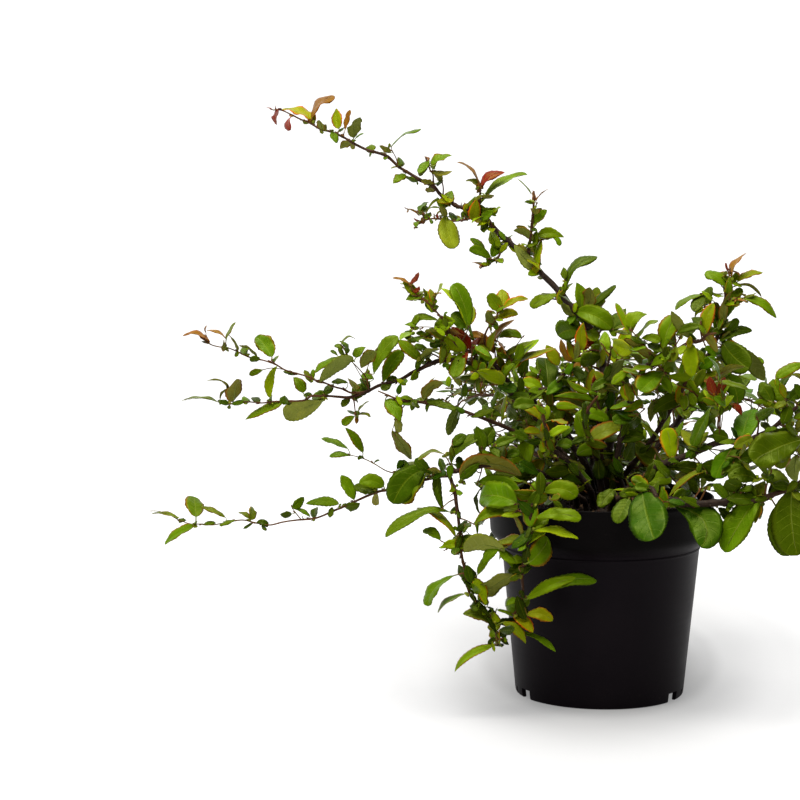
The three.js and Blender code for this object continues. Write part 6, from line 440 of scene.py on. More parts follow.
(113,49.6,289.5,111.4,51.8,291.3,109.1,57,296.7,103.9,62.2,299.6,8.2,0.69,-0.11,0.72,"l"),
(112.7,49.1,289.4,112,50.3,288,110.8,53.8,284.8,108.7,56,281.1,4.1,0.53,0.76,0.37,"g"),
(92.7,54.4,301,90.1,56.1,301.9,81.2,60.6,305.8,73,67.7,306.8,8.8,0.2,-0.19,0.96,"l"),
(93.1,53.6,300.2,93.5,56.8,298.1,94.5,63.5,294.3,95.2,69.2,288.9,7,-0.02,0.55,0.83,"o"),
(70.1,41.8,249,68.1,40.6,251.4,65.5,38.8,256.3,61.1,35.9,259.1,5.6,0.41,0.6,0.69,"o"),
(104.8,54.5,304.4,105.3,56.6,304.1,107.2,62.7,303.8,108.4,68.8,302.3,7.4,0.36,0.03,0.93,"l"),
(86.4,46.8,324.2,85,46.4,322.7,80.7,45.9,318.5,77.7,43.7,313.7,5.3,-0.77,0.31,0.56,"m"),
(87.6,46.1,324.4,88.2,48.8,321.6,87.8,54.1,316.8,90.6,58,311.2,6.6,-0.7,0.58,0.42,"l"),
(81.1,43.7,259,81.4,45.3,259,83.5,53.6,259.9,85.2,61.9,258.4,10.1,0.15,0,0.99,"m"),
(65.1,32.9,217.6,67.3,35.1,216.8,72.6,39.3,215,76.1,45.2,212.8,7.5,0.62,-0.32,0.72,"d"),
(64.2,33.1,217.5,67.6,31.6,215.3,73.6,28.8,212.9,78.1,26.5,207.8,6.8,0.52,-0.06,0.85,"d"),
(63.7,33.3,217.4,64.5,34.1,218.1,67.1,36.7,221.1,70.2,39.5,223.2,4.1,0.12,-0.75,0.65,"m"),
(97.8,48.6,276.7,99.2,50.6,277.1,108.2,63.7,280.9,116.5,77.8,281.4,17.9,0.29,-0.33,0.9,"o"),
(69.4,39.2,207.9,71.3,38.7,205.5,76,36.6,199.2,80,36.1,192.2,8.1,0.82,-0.08,0.56,"d"),
(68.5,39,207.7,69.8,41.1,208.8,75.9,48.9,213.6,79.7,58.9,216.4,9.8,0.41,-0.55,0.72,"d"),
(109,62.6,327.9,108.7,65.3,329.2,107.7,76.5,336.4,104.9,89.5,339,13.4,0.36,-0.34,0.87,"m"),
(108,61.2,326.6,110,64.3,326.9,115.7,75.8,329.6,123,86.6,328.1,14.2,-0.12,-0.01,0.99,"m"),
(107.5,60.5,325.8,107.5,60.9,326.9,107.6,65.6,334.8,104.6,71.7,341,8.5,0.4,-0.7,0.59,"l"),
(106.9,59.7,325.1,108.9,59.4,325.5,116.6,59,328.8,125,58.6,328.4,8.7,-0.2,0.17,0.96,"m"),
(70.1,34.1,245.5,67.4,34,247.4,60.7,32.3,253.5,52.5,34,257.4,7.9,0.5,-0.46,0.73,"p"),
(70.2,34.3,245.1,70.9,31.9,245.6,72.9,23.9,248.1,75.4,15.4,248.2,10.3,-0.19,0.15,0.97,"m"),
(70.2,34.5,244.7,70.7,35.5,246.1,72.1,38.4,251,73.5,42.1,255.4,5.2,-0.5,-0.63,0.59,"d"),
(112.2,39.3,331.1,113.5,38.4,330.8,117.6,35.1,330.8,121.9,32.6,329.1,6.3,0,-0.24,0.97,"b"),
(107.1,46,347.3,107.4,44.9,350.5,107,42,342.9,106.4,40.7,335.1,6.9,0.13,-0.96,0.25,"m"),
(107.3,43.7,327.4,103.6,42.4,326.4,111.4,39.5,328.9,119,38.2,331.2,9.4,-0.38,-0.62,0.68,"l"),
(82.5,41.7,262.7,79.2,39.6,255.9,83.4,36.2,264.1,87.5,34.7,272,9,-0.29,-0.95,-0.14,"o"),
(30.7,31.6,183.3,28,27.5,183.9,37.1,23.8,183.7,45.9,21.9,183.4,10.6,-0.22,-0.74,0.64,"n"),
(100.5,48,312.4,101.7,46.1,315.6,99.8,43.6,310.1,97.8,42.4,304.4,6.5,-0.47,-0.78,0.42,"m"),
(92.5,45.8,285.6,97.9,41.6,281.4,92.8,41,286.2,87.6,41.7,290.9,6.7,0.38,-0.82,0.42,"h"),
(98.8,48,303.5,103.7,45.8,304.2,95.8,43.2,303.6,87.7,42.2,302.9,8.5,0.17,-0.9,0.41,"d"),
(67.8,37.3,232.7,69.9,32.7,230.5,65.3,30.3,238.2,60.6,29.6,245.7,7.9,0.7,-0.65,0.29,"m"),
(90.8,40.3,331.8,93,38.4,330.2,88.3,36.5,334.5,83.4,35.8,338.7,6,0.61,-0.63,0.49,"l"),
(88.1,44,275.5,83,42.2,271.1,89.5,39.2,276.8,95.8,37.9,282.3,10.3,-0.38,-0.92,0.08,"h"),
(107,46,352.8,105.9,47.1,352.5,101.7,51,351.4,97.4,56.1,350.2,6.7,-0.67,-0.49,0.56,"o"),
(90.9,45.4,273.8,89.4,44.1,275.8,83.9,38.6,283.2,78.2,35,290.4,9.3,0.75,-0.64,0.18,"l"),
(90.9,45.4,273.8,91.1,45.5,272.3,91.7,45.3,267.3,92.2,46.1,262.2,5.4,0.1,-0.99,-0.05,"m"),
(87.2,46.4,324.3,87.2,49.2,324.8,87.4,58.2,326.6,87.5,69.2,328.3,11.1,-0.14,-0.17,0.98,"m"),
(106.9,46.1,346.3,108.8,46.1,345.5,113.7,45.7,343.7,118.6,46.2,341.8,5.3,0.3,-0.59,0.75,"l"),
(88.6,51.9,289.8,88.2,52.8,288.7,86.5,55.9,284.4,84.7,60.2,279.9,7.2,-0.73,-0.64,-0.25,"g"),
(104.8,47,335.3,102.2,49.6,335.1,98.9,52.5,335,95.5,56.4,334.7,4.8,-0.28,-0.22,0.93,"m"),
(86.2,46.9,324.2,85.3,45.9,323.6,81.8,41.9,321.4,78.2,39,319.2,5.1,0.19,-0.66,0.73,"l")]),
("cane_right_mid", [(20,-2,137,4.03),(20,-2,161.4,4.03),(17.7,-5.6,175.6,3.67),(12.4,-14,195.2,3.3),(20.3,-20,233.8,3),(25,-24,255.2,2.7),(31.3,-28,273.1,2.4),(41,-32,283.4,2.2),(50.6,-36,287.2,2),(63.4,-40,295.8,1.8),(71.3,-44,301.1,1.6),(79.2,-48,302.3,1.4),(84.7,-50,307.4,1.1),(91.9,-52,309.2,0.7)],
[[(41,-32,283.4,1),(37.6,-31.9,293.3,0.81),(30.9,-31.9,301.5,0.63),(24.3,-31.8,308.9,0.45)],
[(22,-21.5,241.8,0.77),(26.2,-22.5,243.9,0.61),(31.7,-22.5,244.3,0.42)],
[(25.9,-24.6,257.8,0.77),(22.7,-26.2,262.5,0.61),(19.1,-27.4,265.4,0.42)],
[(35.8,-31.9,295.6,0.46),(29.7,-33.4,295.4,0.37),(25.3,-33.6,293.4,0.25)],
[(29.4,-26.8,267.6,0.8),(25.1,-27.4,272.9,0.64),(21.4,-28.3,276.3,0.44)],
[(80.9,-48.6,303.8,0.79),(79.4,-50.7,311.1,0.63),(78.9,-52,316.4,0.43)],
[(42.2,-32.5,283.9,0.82),(45.7,-30.6,280.4,0.65),(51,-28.8,275,0.45)],
[(22,-21.5,241.8,0.46),(27.3,-24.4,239.4,0.37),(34.2,-27.2,234.8,0.25)],
[(48.7,-35.2,286.4,0.76),(49.6,-37.3,285.9,0.66),(50.8,-39.6,285.5,0.53)],
[(22.8,-22.2,245.5,0.7),(22.2,-21.4,248.9,0.61),(22.2,-20.6,252.3,0.49)],
[(36.8,-30.3,279,0.66),(45.5,-27.5,280.5,0.57),(52.7,-25.6,283.9,0.46)],
[(79.9,-50,308.7,0.55),(80,-48.9,310.4,0.54),(80.4,-47.9,312.2,0.43)],
[(33.6,-31.9,298.2,0.56),(33.6,-30.3,299.1,0.49),(33.9,-28.7,300.2,0.4)],
[(45.7,-30.6,280.4,0.52),(44,-33.5,279.5,0.58),(42.5,-35.8,278.4,0.47)],
[(52.5,-36.6,288.4,0.66),(59.3,-34.3,287,0.57),(67.3,-32.8,285.5,0.46)],
[(27.8,-25.8,263.1,0.78),(31.2,-21.7,270.6,0.68),(32.9,-18.1,278.4,0.55)],
[(38.3,-32,291.3,0.65),(34.8,-28.3,294.9,0.56),(32.1,-27.2,298.9,0.45)],
[(66.6,-41.6,297.9,0.85),(67.4,-48.2,298.7,0.74),(68.2,-54.5,300.2,0.59)],
[(16.7,-7.3,179.5,0.73),(13,-14.6,181.3,0.64),(10.3,-26,184.8,0.51)],
[(56.1,-37.7,290.9,0.8),(60.4,-32.5,298,0.69),(64.9,-25.6,304.7,0.56)],
[(59.8,-38.9,293.3,0.78),(59.8,-38.8,296.6,0.68),(60.3,-38.4,299.5,0.54)],
[(29,-25.1,238.3,0.27),(32.4,-22.6,240.8,0.49),(36,-20.1,243.4,0.39)],
[(22.7,-26.2,262.5,0.49),(22.5,-27.1,262.8,0.57),(22.3,-28,263.2,0.46)],
[(18.1,-5.1,173.6,0.9),(11.1,-2.9,178.9,0.78),(4.4,-1.8,183.1,0.62)],
[(69.8,-43.2,300,0.69),(78.9,-39.7,300.5,0.6),(86.9,-36.6,304,0.48)]],
[(78.9,-51.9,316.2,79.4,-51.9,317,76.6,-46.3,318.6,71.8,-39.7,320.9,8.7,-0.64,-0.57,0.52,"d"),
(84.6,-50,307.3,83.9,-50,308.2,84.1,-48.4,320.9,90.2,-46.6,333.2,12.5,-0.34,-0.91,0.21,"y"),
(71.5,-44.1,301.1,71.1,-43.8,304,62.5,-47.2,315.4,55.7,-50,327.1,9,0.17,0.92,0.36,"o"),
(79.2,-51.5,314.6,81.3,-51.6,314.8,70.2,-50.1,313.4,60.6,-48.5,308.7,7.8,-0.27,-0.81,0.51,"d"),
(72.8,-44.8,301.3,72.9,-44.8,300.3,71.9,-47.7,286.7,73.1,-51,273.1,14.5,-0.21,-0.95,0.22,"l"),
(77,-46.9,302,76.8,-46.9,303.8,73.1,-43.2,305.4,69.8,-38.9,307.3,6.5,-0.77,-0.63,-0.13,"d"),
(79.8,-50.5,310.8,78.7,-50.5,311.4,86.6,-47.2,305.1,93.6,-43.9,292.3,8.3,0.17,0.88,0.44,"o"),
(24.6,-31.8,308.6,22.3,-31.6,306.5,16.6,-29.7,321.4,10.4,-27.6,331.5,7.6,0.46,-0.82,0.35,"l"),
(24.6,-31.8,308.6,23.2,-31.8,311.6,26.3,-30.2,319.2,36.2,-27.8,321.8,13.9,-0.23,-0.77,0.59,"m"),
(24.6,-31.8,308.5,24.4,-30.7,307.6,28.8,-28.1,318.4,36.9,-26,322.5,5.9,-0.47,-0.65,0.6,"l"),
(29.9,-31.9,302.3,28.8,-32.3,301.3,34.9,-30.1,311.4,45.8,-27.2,318.1,11,-0.64,-0.24,0.73,"m"),
(53.5,-37.1,289.1,50.5,-36.2,293.8,52.6,-33,307.8,59.4,-29.3,322.1,16.5,-0.21,-0.93,0.29,"m"),
(30.7,-31.9,301.4,31.8,-31.9,302.4,39.5,-33.8,303.4,48,-36.1,300.3,8.7,-0.13,-0.79,0.6,"m"),
(51.6,-36.4,287.8,48.9,-37.3,292.2,43,-32.9,296.1,36.8,-27.8,298.8,9.7,-0.09,-0.64,0.76,"d"),
(64.3,-41.3,296.4,65.9,-39.9,294.2,71.5,-40.8,295.3,77.2,-41.8,295.2,5.8,-0.19,-0.8,0.56,"d"),
(21.6,-28.3,276.2,21.4,-28.3,276.3,14.7,-29.9,270.6,7.5,-31.8,264.9,8.3,-0.18,-0.86,0.48,"m"),
(19.4,-27.2,265.1,19.1,-27.2,264.6,14.3,-26.3,266,8.4,-25.2,264.3,5.8,-0.17,-0.79,0.59,"m"),
(25.4,-33.6,293.4,25.3,-33.6,293.4,17.1,-24.6,294.2,8.9,-14.2,297.5,14.8,-0.77,-0.63,-0.07,"l"),
(48.1,-30,277.9,48.4,-29.8,278.4,35.4,-32.1,291.7,18.6,-34.7,302.5,9.2,0.24,0.85,0.47,"o"),
(19.2,-27.3,265.3,19.1,-27.4,265.4,22.1,-29,258.7,23.3,-30.8,250,9.7,0.47,-0.83,0.31,"o"),
(19.4,-27.2,265.1,19.1,-25.7,264.5,18.7,-26.2,257.6,21.7,-27.2,250.5,7.8,-0.23,-0.96,0.15,"l"),
(19.2,-19.4,227.7,16.6,-19.4,225.9,23,-10.7,231.6,33.7,-0.2,236.8,15.8,0.59,-0.73,0.35,"d"),
(16.6,-17.3,215,13,-16.7,215.8,23.4,-19.2,220.3,36.1,-22,219.2,13,-0.26,-0.82,0.5,"d"),
(29,-24.7,238,26,-23.3,233.4,17.4,-28,235,9.5,-33.4,234.4,11.1,0.45,-0.69,0.57,"d"),
(13.6,-15,200.9,19.8,-16.7,199.9,24.5,-11.3,208.4,27.3,-5.1,215.4,12.1,0.59,-0.75,0.28,"d"),
(12.8,-14.3,197,9.1,-14.1,197.7,14.3,-10.1,205.7,17.3,-5.4,213.6,11.6,0.6,-0.79,0.12,"d"),
(50.8,-28.9,275.1,51,-28.8,275,39.9,-38.9,268.3,31.1,-50.6,260.4,19.1,0.25,-0.68,0.69,"m"),
(50.5,-29,275.4,50.9,-28.9,275.8,56.9,-24.8,279.2,61.9,-20,275.1,12.1,0.6,-0.7,0.38,"m"),
(50.8,-28.9,275.1,54.3,-28.8,272.5,63.3,-30.2,271.1,73.8,-31.9,273.8,9.7,-0.11,-0.9,-0.43,"m"),
(50.6,-28.9,275.4,47.7,-28.7,272.5,53.2,-29,264.8,56.9,-29.7,256.9,8.3,0.09,-0.98,0.2,"m"),
(25.5,-24.3,256.7,31.6,-23.7,254.4,37.8,-22.4,256.3,44.8,-20.9,255.9,5.2,0.02,-0.54,0.84,"d"),
(34,-27.1,234.9,32.6,-27.6,232.9,39.8,-29.5,227,53.2,-31.4,216.6,4.6,0.44,-0.57,0.69,"o"),
(31.6,-22.5,244.2,31.7,-21,244.1,26.3,-20.9,246.7,20.2,-21.3,245.7,5.2,0.19,-0.76,0.62,"d"),
(31.6,-22.5,244.2,32.9,-22.5,251,27.6,-23.9,246.4,17.6,-25.7,241.9,7.5,0.09,-0.98,0.2,"m"),
(50.7,-39.5,285.5,51.3,-41.2,287.9,51.7,-45.3,292.5,53.5,-47.8,298,6.4,-0.15,-0.83,-0.54,"p"),
(50.4,-38.8,285.7,52.7,-38.8,285.7,59.3,-39.2,286.9,66.1,-38.7,285.6,7.7,-0.02,-0.61,0.79,"o"),
(22.3,-20.9,251.4,23.4,-19.2,252.3,26.2,-15.9,255.1,28.8,-11.7,256.5,5.7,-0.25,-0.34,0.91,"d"),
(52.5,-25.6,283.8,52.7,-25.2,285.3,53.2,-23.3,293,52.3,-20.3,300.3,7.4,0.99,-0.17,0.04,"l"),
(51.8,-25.8,283.5,54.3,-26.7,283.1,62.9,-30.1,283.1,71.1,-32.5,279.5,8.6,0.19,0.01,0.98,"o"),
(51,-26.1,283.1,52.5,-22.1,283.1,57.2,-13,282.5,59.8,-3,281.9,11.9,0.57,-0.18,0.81,"d"),
(80.4,-48.2,311.7,79.2,-45.7,311.1,75,-36.7,311.1,71.2,-28.4,306.9,10.5,0.02,0.22,0.98,"m"),
(33.9,-28.9,300,33.8,-26.3,299.2,34.1,-19.8,298.1,33.5,-14,294.5,6.7,0.27,0.31,0.91,"o"),
(33.8,-29.3,299.8,37.1,-26.7,300.4,42.3,-21.8,302.3,48.4,-17.7,302.3,8.4,-0.35,0.2,0.92,"y"),
(43.1,-34.9,278.8,40.8,-35.5,278.6,32.5,-37.7,278.7,24.4,-40.1,277,10.4,0.05,-0.46,0.88,"m"),
(67,-32.9,285.6,67.8,-30.9,286,70.7,-21.4,290,72.1,-10.8,291.3,12.5,0.82,-0.33,0.47,"p"),
(32.2,-19.2,276.3,34.1,-15.9,278.1,39.9,-7.1,283.6,45,2.9,287.4,13.2,-0.17,-0.39,0.91,"g"),
(32.4,-27.4,298.4,31.7,-24.8,296.9,29.6,-19.4,294.3,28.9,-14.2,290.6,6.7,-0.44,0.34,0.83,"l"),
(67.9,-52.1,299.7,67.3,-53.5,298.9,64.5,-58.9,296.3,62.7,-63.8,292.3,6.8,-0.01,-0.52,0.85,"l"),
(64.7,-25.9,304.4,63.5,-23.7,304.7,58.4,-17.5,305.1,54.3,-10.6,303.7,7.6,0.14,0.12,0.98,"m"),
(64.4,-26.3,303.9,65.7,-27.6,306.9,67.4,-28.9,311.1,69.3,-31.3,314.8,5.8,-0.13,0.88,0.45,"m"),
(63.4,-27.7,302.4,62.1,-27,303.7,58.9,-25.4,307.5,55.1,-23.8,310.6,6,0.69,-0.06,0.72,"o"),
(60.2,-38.5,299,59.3,-39.2,299.5,55.9,-41.7,301.7,52.1,-44.4,303,5.1,0.45,0.03,0.89,"h"),
(35,-20.8,242.7,34.1,-19.4,244.4,32,-15.3,249.8,28.5,-10.7,254.1,7,0.73,-0.29,0.62,"o"),
(22.3,-27.6,263,23.9,-29.6,263.8,26.7,-34.6,266.3,30.9,-39.3,267.1,6.8,-0.58,-0.11,0.81,"m"),
(86.2,-36.9,303.7,87.9,-34.2,302.9,90.2,-30.7,302.2,92.3,-27.5,300.5,5,0.51,-0.05,0.86,"h"),
(85.4,-37.2,303.3,87.7,-36.9,306.3,90.4,-36.4,310.3,94.3,-36,313.2,4.2,-0.74,0.06,0.67,"o"),
(84.7,-37.4,303,87.7,-37.3,302,92.6,-36.4,300.9,96.6,-36.9,297.9,4,0.39,0.14,0.91,"d"),
(83.9,-37.7,302.7,83.4,-34,304.5,83.2,-28,307.6,81.9,-21.4,308.3,8.1,0.58,-0.21,0.79,"d"),
(83.2,-38,302.4,85.8,-39.9,304.5,90.1,-42.5,307.7,94.9,-46,308.8,5.5,0.15,0.75,0.64,"d"),
(27,-25.3,260.8,25.8,-27.7,266,27.8,-30.6,260.3,29.6,-32.2,254.6,5.7,0.63,-0.63,0.46,"o"),
(12.6,-14.2,196.2,10.2,-18.2,202.5,13.5,-19.4,196,16.6,-19.1,189.3,7.8,0.14,-0.98,0.14,"g"),
(70.5,-43.7,300.6,70.2,-48.3,296,70.9,-47.7,301.3,71.6,-46.1,306.4,5.6,-0.12,-0.97,0.22,"y"),
(18.7,-19,225.2,16.4,-20.8,219.5,19.2,-23.8,225.8,21.8,-25.3,232,6.5,-0.57,-0.82,-0.06,"d"),
(21.3,-21.1,237.8,26.5,-25.6,236.5,17.8,-26.1,239.8,8.9,-24.8,242.8,9.5,0.21,-0.72,0.67,"g"),
(22.6,-21.6,248.4,26.2,-23,249.4,16.4,-26.4,247.1,6.4,-27.8,244.7,9.4,-0.07,-0.55,0.83,"m"),
(33.8,-29.8,299.5,37.1,-31.8,298.4,30.3,-34,301.5,23.4,-34.7,304.5,8.1,0.43,-0.56,0.71,"d"),
(28.6,-33.5,294.9,22.1,-34.4,293.6,29.3,-36.6,295.3,36.4,-37.4,296.8,8.5,-0.28,-0.38,0.88,"m"),
(10.4,-3.2,179,9.2,-6.2,172.6,11,-5.7,181,12.6,-3.5,189.3,7.7,0.13,-0.98,0.14,"p"),
(47.1,-34.5,285.8,39.8,-36.1,280.8,48.2,-39,286.7,56.4,-39.8,292.5,11.3,-0.52,-0.67,0.53,"m"),
(27.3,-24.1,238.7,29.7,-25.6,238.8,25.2,-26.1,239.1,20.7,-25.8,239.3,4.8,0.06,-0.49,0.87,"p"),
(22.1,-28.2,275.6,16.7,-30.4,277.6,25.5,-31.4,274.9,34.2,-30.7,272.1,9.3,0.25,-0.51,0.83,"o"),
(79.3,-51.2,313.5,77.7,-51.7,316.6,80,-54,313,82.3,-55.3,309.3,5.4,0.41,-0.69,0.6,"m"),
(14.4,-10.8,187.8,19.4,-16.7,184.1,13.1,-17,190.2,6.7,-15.5,196.2,8.7,0.16,-0.95,0.25,"n"),
(59.7,-39.3,294.3,60.6,-39.6,297.2,59.1,-43.4,290.9,57.4,-45.7,284.5,6.8,0,-0.9,0.43,"o"),
(39.7,-29.4,279.5,39.7,-31.5,277.6,40.4,-32.7,283.8,41,-32.8,289.8,6.1,0.37,-0.92,-0.14,"p"),
(24.6,-23.7,253.3,25.2,-26.5,249.8,24.9,-28.2,254.2,24.6,-29.1,258.6,5.3,-0.26,-0.92,-0.29,"o"),
(34.1,-29.1,276,35.6,-32.4,277.9,32.7,-34.8,274.3,29.7,-36.2,270.6,4.2,0.17,-0.93,0.33,"m"),
(65.3,-33.3,285.9,65.3,-33.6,283.6,65.2,-34.8,278.9,65,-34.9,274,5.1,0.16,-0.98,0.13,"m"),
(59.1,-33.7,295.7,58.8,-32.6,296.4,56.9,-26.7,301,54.8,-19.3,305.5,9.2,-0.41,-0.59,0.69,"o"),
(58.7,-34.3,295,58.2,-35.7,294.7,55.9,-42.9,293.8,53.5,-48.6,292.6,7.9,0.63,-0.34,0.7,"m"),
(39,-32,289.4,41.9,-32.6,290.8,46.1,-34,292.9,50.2,-34.4,294.9,5.5,-0.42,-0.74,0.52,"m"),
(49.1,-26.6,282.2,49.6,-26.6,280.9,52.2,-27.3,274.6,54.7,-26.6,268.1,7.6,0.46,-0.87,0.19,"d")]),
("cane_left_long", [(-16,4,137,4.26),(-16,4,161.4,4.26),(-15.2,-0.2,169.9,3.88),(-13.3,-10,181.7,3.5),(-34.3,-18,207.8,3.3),(-55.1,-26,233.8,3.1),(-75.7,-33.9,257.7,2.9),(-96.4,-40.6,272.8,2.7),(-112.3,-47.7,284,2.5),(-130.1,-52,285.5,2.4),(-140.4,-56,282.5,2.2),(-148.5,-58,278.5,2.1),(-156.6,-60,274.5,2),(-164.6,-62,269.7,1.9),(-174.2,-65,267.4,1.8),(-182.1,-68,265.2,1.7),(-190.1,-70,261.2,1.6),(-202.8,-74,256.5,1.4),(-212.3,-77,256.8,1.3),(-221,-80,257.8,1.2),(-229.6,-83,258,1.1),(-235.1,-85,258.2,1),(-239.9,-86,255,1),(-246.2,-88,254.3,0.9),(-255.7,-90,254.4,0.8),(-267.7,-92,253.7,0.7),(-274.1,-93,253,0.65),(-283.7,-94,253.8,0.6),(-291.8,-95,253.8,0.55),(-299.8,-96,252.2,0.5),(-307,-97,253.9,0.45)],
[[(-191.5,-70.4,260.7,1),(-202.8,-74.3,259.9,0.95),(-209.9,-77,263.3,0.92),(-216.1,-79.2,265.1,0.9),(-224,-82.1,268.6,0.86),(-231.8,-85,271.3,0.83),(-238.8,-87.7,274.7,0.8),(-247.3,-90.8,277.4,0.76),(-255,-93.6,280,0.73),(-261.2,-96.2,284.2,0.7),(-265,-97.6,286,0.68),(-272.7,-100.5,288.6,0.64),(-280.4,-103.3,290.4,0.61),(-286.5,-105.6,292.9,0.58),(-292.6,-108,296.3,0.56),(-298.7,-110.3,298.9,0.53),(-304.8,-112.5,299.8,0.5),(-310.8,-114.8,301.5,0.48),(-316.1,-117,304.9,0.45)],
[(-255.6,-93.8,280.4,0.4),(-265.5,-94.3,281.6,0.28),(-273.6,-94.7,280,0.18)],
[(-189.2,-69.8,261.7,0.7),(-191.5,-72.3,272,0.6),(-195.4,-74.5,277.9,0.52),(-202.3,-77.7,285.5,0.4),(-207.8,-79.9,289.7,0.31)],
[(-202.8,-74,256.5,0.8),(-201.1,-75.1,253.4,0.7),(-200,-77.3,246.3,0.5),(-199.1,-78.7,241.5,0.36)],
[(-151.7,-58.8,276.9,0.8),(-148.4,-59.2,283.5,0.52),(-147.6,-59.4,287.6,0.36)],
[(-144.3,-57,280.6,0.6),(-142.1,-55.8,284.9,0.43),(-143.8,-54.8,288.9,0.27)],
[(-57.5,-26.9,236.6,0.78),(-62.4,-28.5,236.2,0.62),(-67.4,-29.5,234,0.43)],
[(-189.2,-69.8,261.7,0.42),(-200.9,-80.6,284.6,0.34),(-210.1,-88.5,300.2,0.23)],
[(-296.9,-95.6,252.8,0.31),(-299.5,-94.4,259.9,0.25),(-300.9,-93.4,265,0.17)],
[(-192.7,-73,273.9,0.35),(-187.8,-74.9,286,0.28),(-182.8,-77.5,294.6,0.19)],
[(-51.4,-24.6,229.2,0.73),(-50.9,-23.3,234,0.64),(-50.4,-22.6,238.2,0.51)],
[(-41.6,-20.8,217,0.73),(-40.2,-22.6,220.8,0.63),(-38.3,-25.4,225,0.51)],
[(-90.1,-38.5,268.1,0.66),(-94.7,-47,269.5,0.57),(-98.3,-54.8,270.2,0.46)],
[(-110.5,-46.9,282.8,0.92),(-120.3,-41.8,283.5,0.8),(-129.3,-36.5,284.6,0.64)],
[(-130.1,-52,285.5,0.91),(-136.9,-45.3,288.8,0.79),(-143.9,-39.3,291,0.63)],
[(-116.2,-48.7,284.5,0.8),(-122.5,-46,288.3,0.7),(-131.3,-43,292.4,0.56)],
[(-65.4,-30,245.8,0.91),(-69.7,-38,249,0.79),(-73.6,-44.8,251.9,0.63)],
[(-122.1,-50.2,285,0.86),(-126.3,-46.5,286.1,0.75),(-129.7,-43.8,287.7,0.6)],
[(-83.7,-36.6,263.7,0.8),(-90.3,-42.8,264.4,0.7),(-96.4,-50.5,264.6,0.56)],
[(-33.1,-17.5,206.3,0.9),(-36.8,-20,206.4,0.78),(-40.1,-22.6,207.3,0.62)],
[(-80.5,-35.6,261.4,0.91),(-81.5,-42.2,266.3,0.79),(-82.3,-50.2,273.1,0.63)],
[(-143,-55.3,286.9,0.28),(-144.4,-51.9,289.1,0.61),(-145.6,-46.6,290.9,0.49)],
[(-107,-45.3,280.2,0.73),(-106.6,-50.8,289.5,0.64),(-105.5,-57.9,298.5,0.51)],
[(-71.8,-32.5,253.3,0.83),(-71,-33.6,255.4,0.72),(-70.5,-34.8,257.4,0.57)],
[(-64.9,-29,235.1,0.42),(-65.9,-28.3,235.6,0.5),(-66.7,-27.4,236.2,0.4)],
[(-53.9,-25.5,232.2,0.71),(-55.3,-27.2,232.9,0.61),(-56.6,-28.9,233.7,0.49)],
[(-68,-31,248.8,0.64),(-71.5,-27.7,252,0.56),(-75.4,-24.3,255.2,0.45)]],
[(-312.9,-115.7,302.9,-312.3,-115.7,304,-322.7,-118.4,310.7,-333.8,-121.6,309.9,9.8,0.31,-0.21,0.93,"b"),
(-313.2,-115.8,303,-313.3,-114.3,303.1,-319.9,-112.2,309.1,-326.1,-110.2,312.3,7.4,0.45,-0.47,0.76,"b"),
(-316,-116.9,304.8,-315.3,-116.4,311.2,-316.3,-115.6,314.7,-314.8,-114.7,317.5,3.4,-0.8,-0.56,0.22,"b"),
(-301,-111.2,299.4,-300.1,-111.1,306.1,-307.4,-109.3,311.9,-316.9,-107.2,313,6.1,0.33,-0.19,0.92,"b"),
(-300.8,-111.1,299.3,-299.7,-113.6,304.7,-297.1,-113,312.5,-291.8,-111.9,319.9,7.4,-0.8,-0.38,0.46,"o"),
(-291.4,-107.5,295.5,-291,-107.5,296.3,-293.7,-108.9,304.5,-298.6,-110.4,310.1,8.6,0.74,0.46,0.5,"o"),
(-299.3,-110.6,299,-299.4,-110.6,298.1,-300.5,-116.9,301.4,-299.5,-124.2,305.6,8.8,-0.98,0.09,0.16,"o"),
(-313.4,-115.9,303.2,-313.9,-115.9,302.4,-316.8,-113.3,303.6,-319.7,-110.3,304.3,4.4,0,-0.33,0.94,"d"),
(-291.4,-107.5,295.5,-291,-107.5,296.3,-292.2,-109.3,294.6,-290.5,-111.3,292.6,4.9,-0.53,-0.63,0.57,"m"),
(-284.2,-104.7,292.1,-284.2,-104.7,292.1,-287,-99.5,296,-289.2,-93.5,299.2,8.7,-0.55,-0.61,0.57,"m"),
(-276.8,-101.9,289.3,-276.5,-101.9,290.3,-281.7,-103.9,297.9,-290.4,-106.2,301.8,7.4,0.48,0.46,0.75,"o"),
(-274.4,-101.1,288.6,-274.2,-101.1,289.4,-277.7,-105.1,289.6,-281,-109.7,290.9,6.8,0.56,-0.55,-0.62,"d"),
(-266.3,-98.1,286.3,-264.9,-98.1,290.8,-271.6,-91.5,299.7,-280,-84,306.6,14.7,0.01,-0.74,0.67,"m"),
(-263.8,-97.1,285.2,-263.5,-97.1,285.9,-262.4,-92.8,289.2,-261.5,-87.9,291.6,6.6,-0.46,-0.39,0.8,"m"),
(-267.5,-91.8,253.3,-267.7,-91.6,256.9,-267.6,-88.9,271.8,-262.7,-85.8,283.3,8.3,-0.27,-0.93,0.26,"l"),
(-272.9,-94.7,280.1,-272.8,-94.7,280,-278.4,-95.7,278.5,-284,-96.8,276,5.6,-0.01,-0.87,0.49,"m"),
(-245.6,-90.1,276.4,-245.8,-90.1,275.7,-251.3,-91.1,277.4,-256.9,-92.2,279,4.4,0.33,-0.67,0.67,"d"),
(-238.4,-85.7,256,-241.3,-87.5,260.8,-244.5,-85.5,268.2,-250,-83.1,273.4,9.8,0.28,-0.83,0.49,"m"),
(-233.6,-85.7,271.7,-235,-85.4,268.8,-237.6,-82.7,274,-241.4,-79.6,278.8,7.7,0.52,-0.55,0.66,"o"),
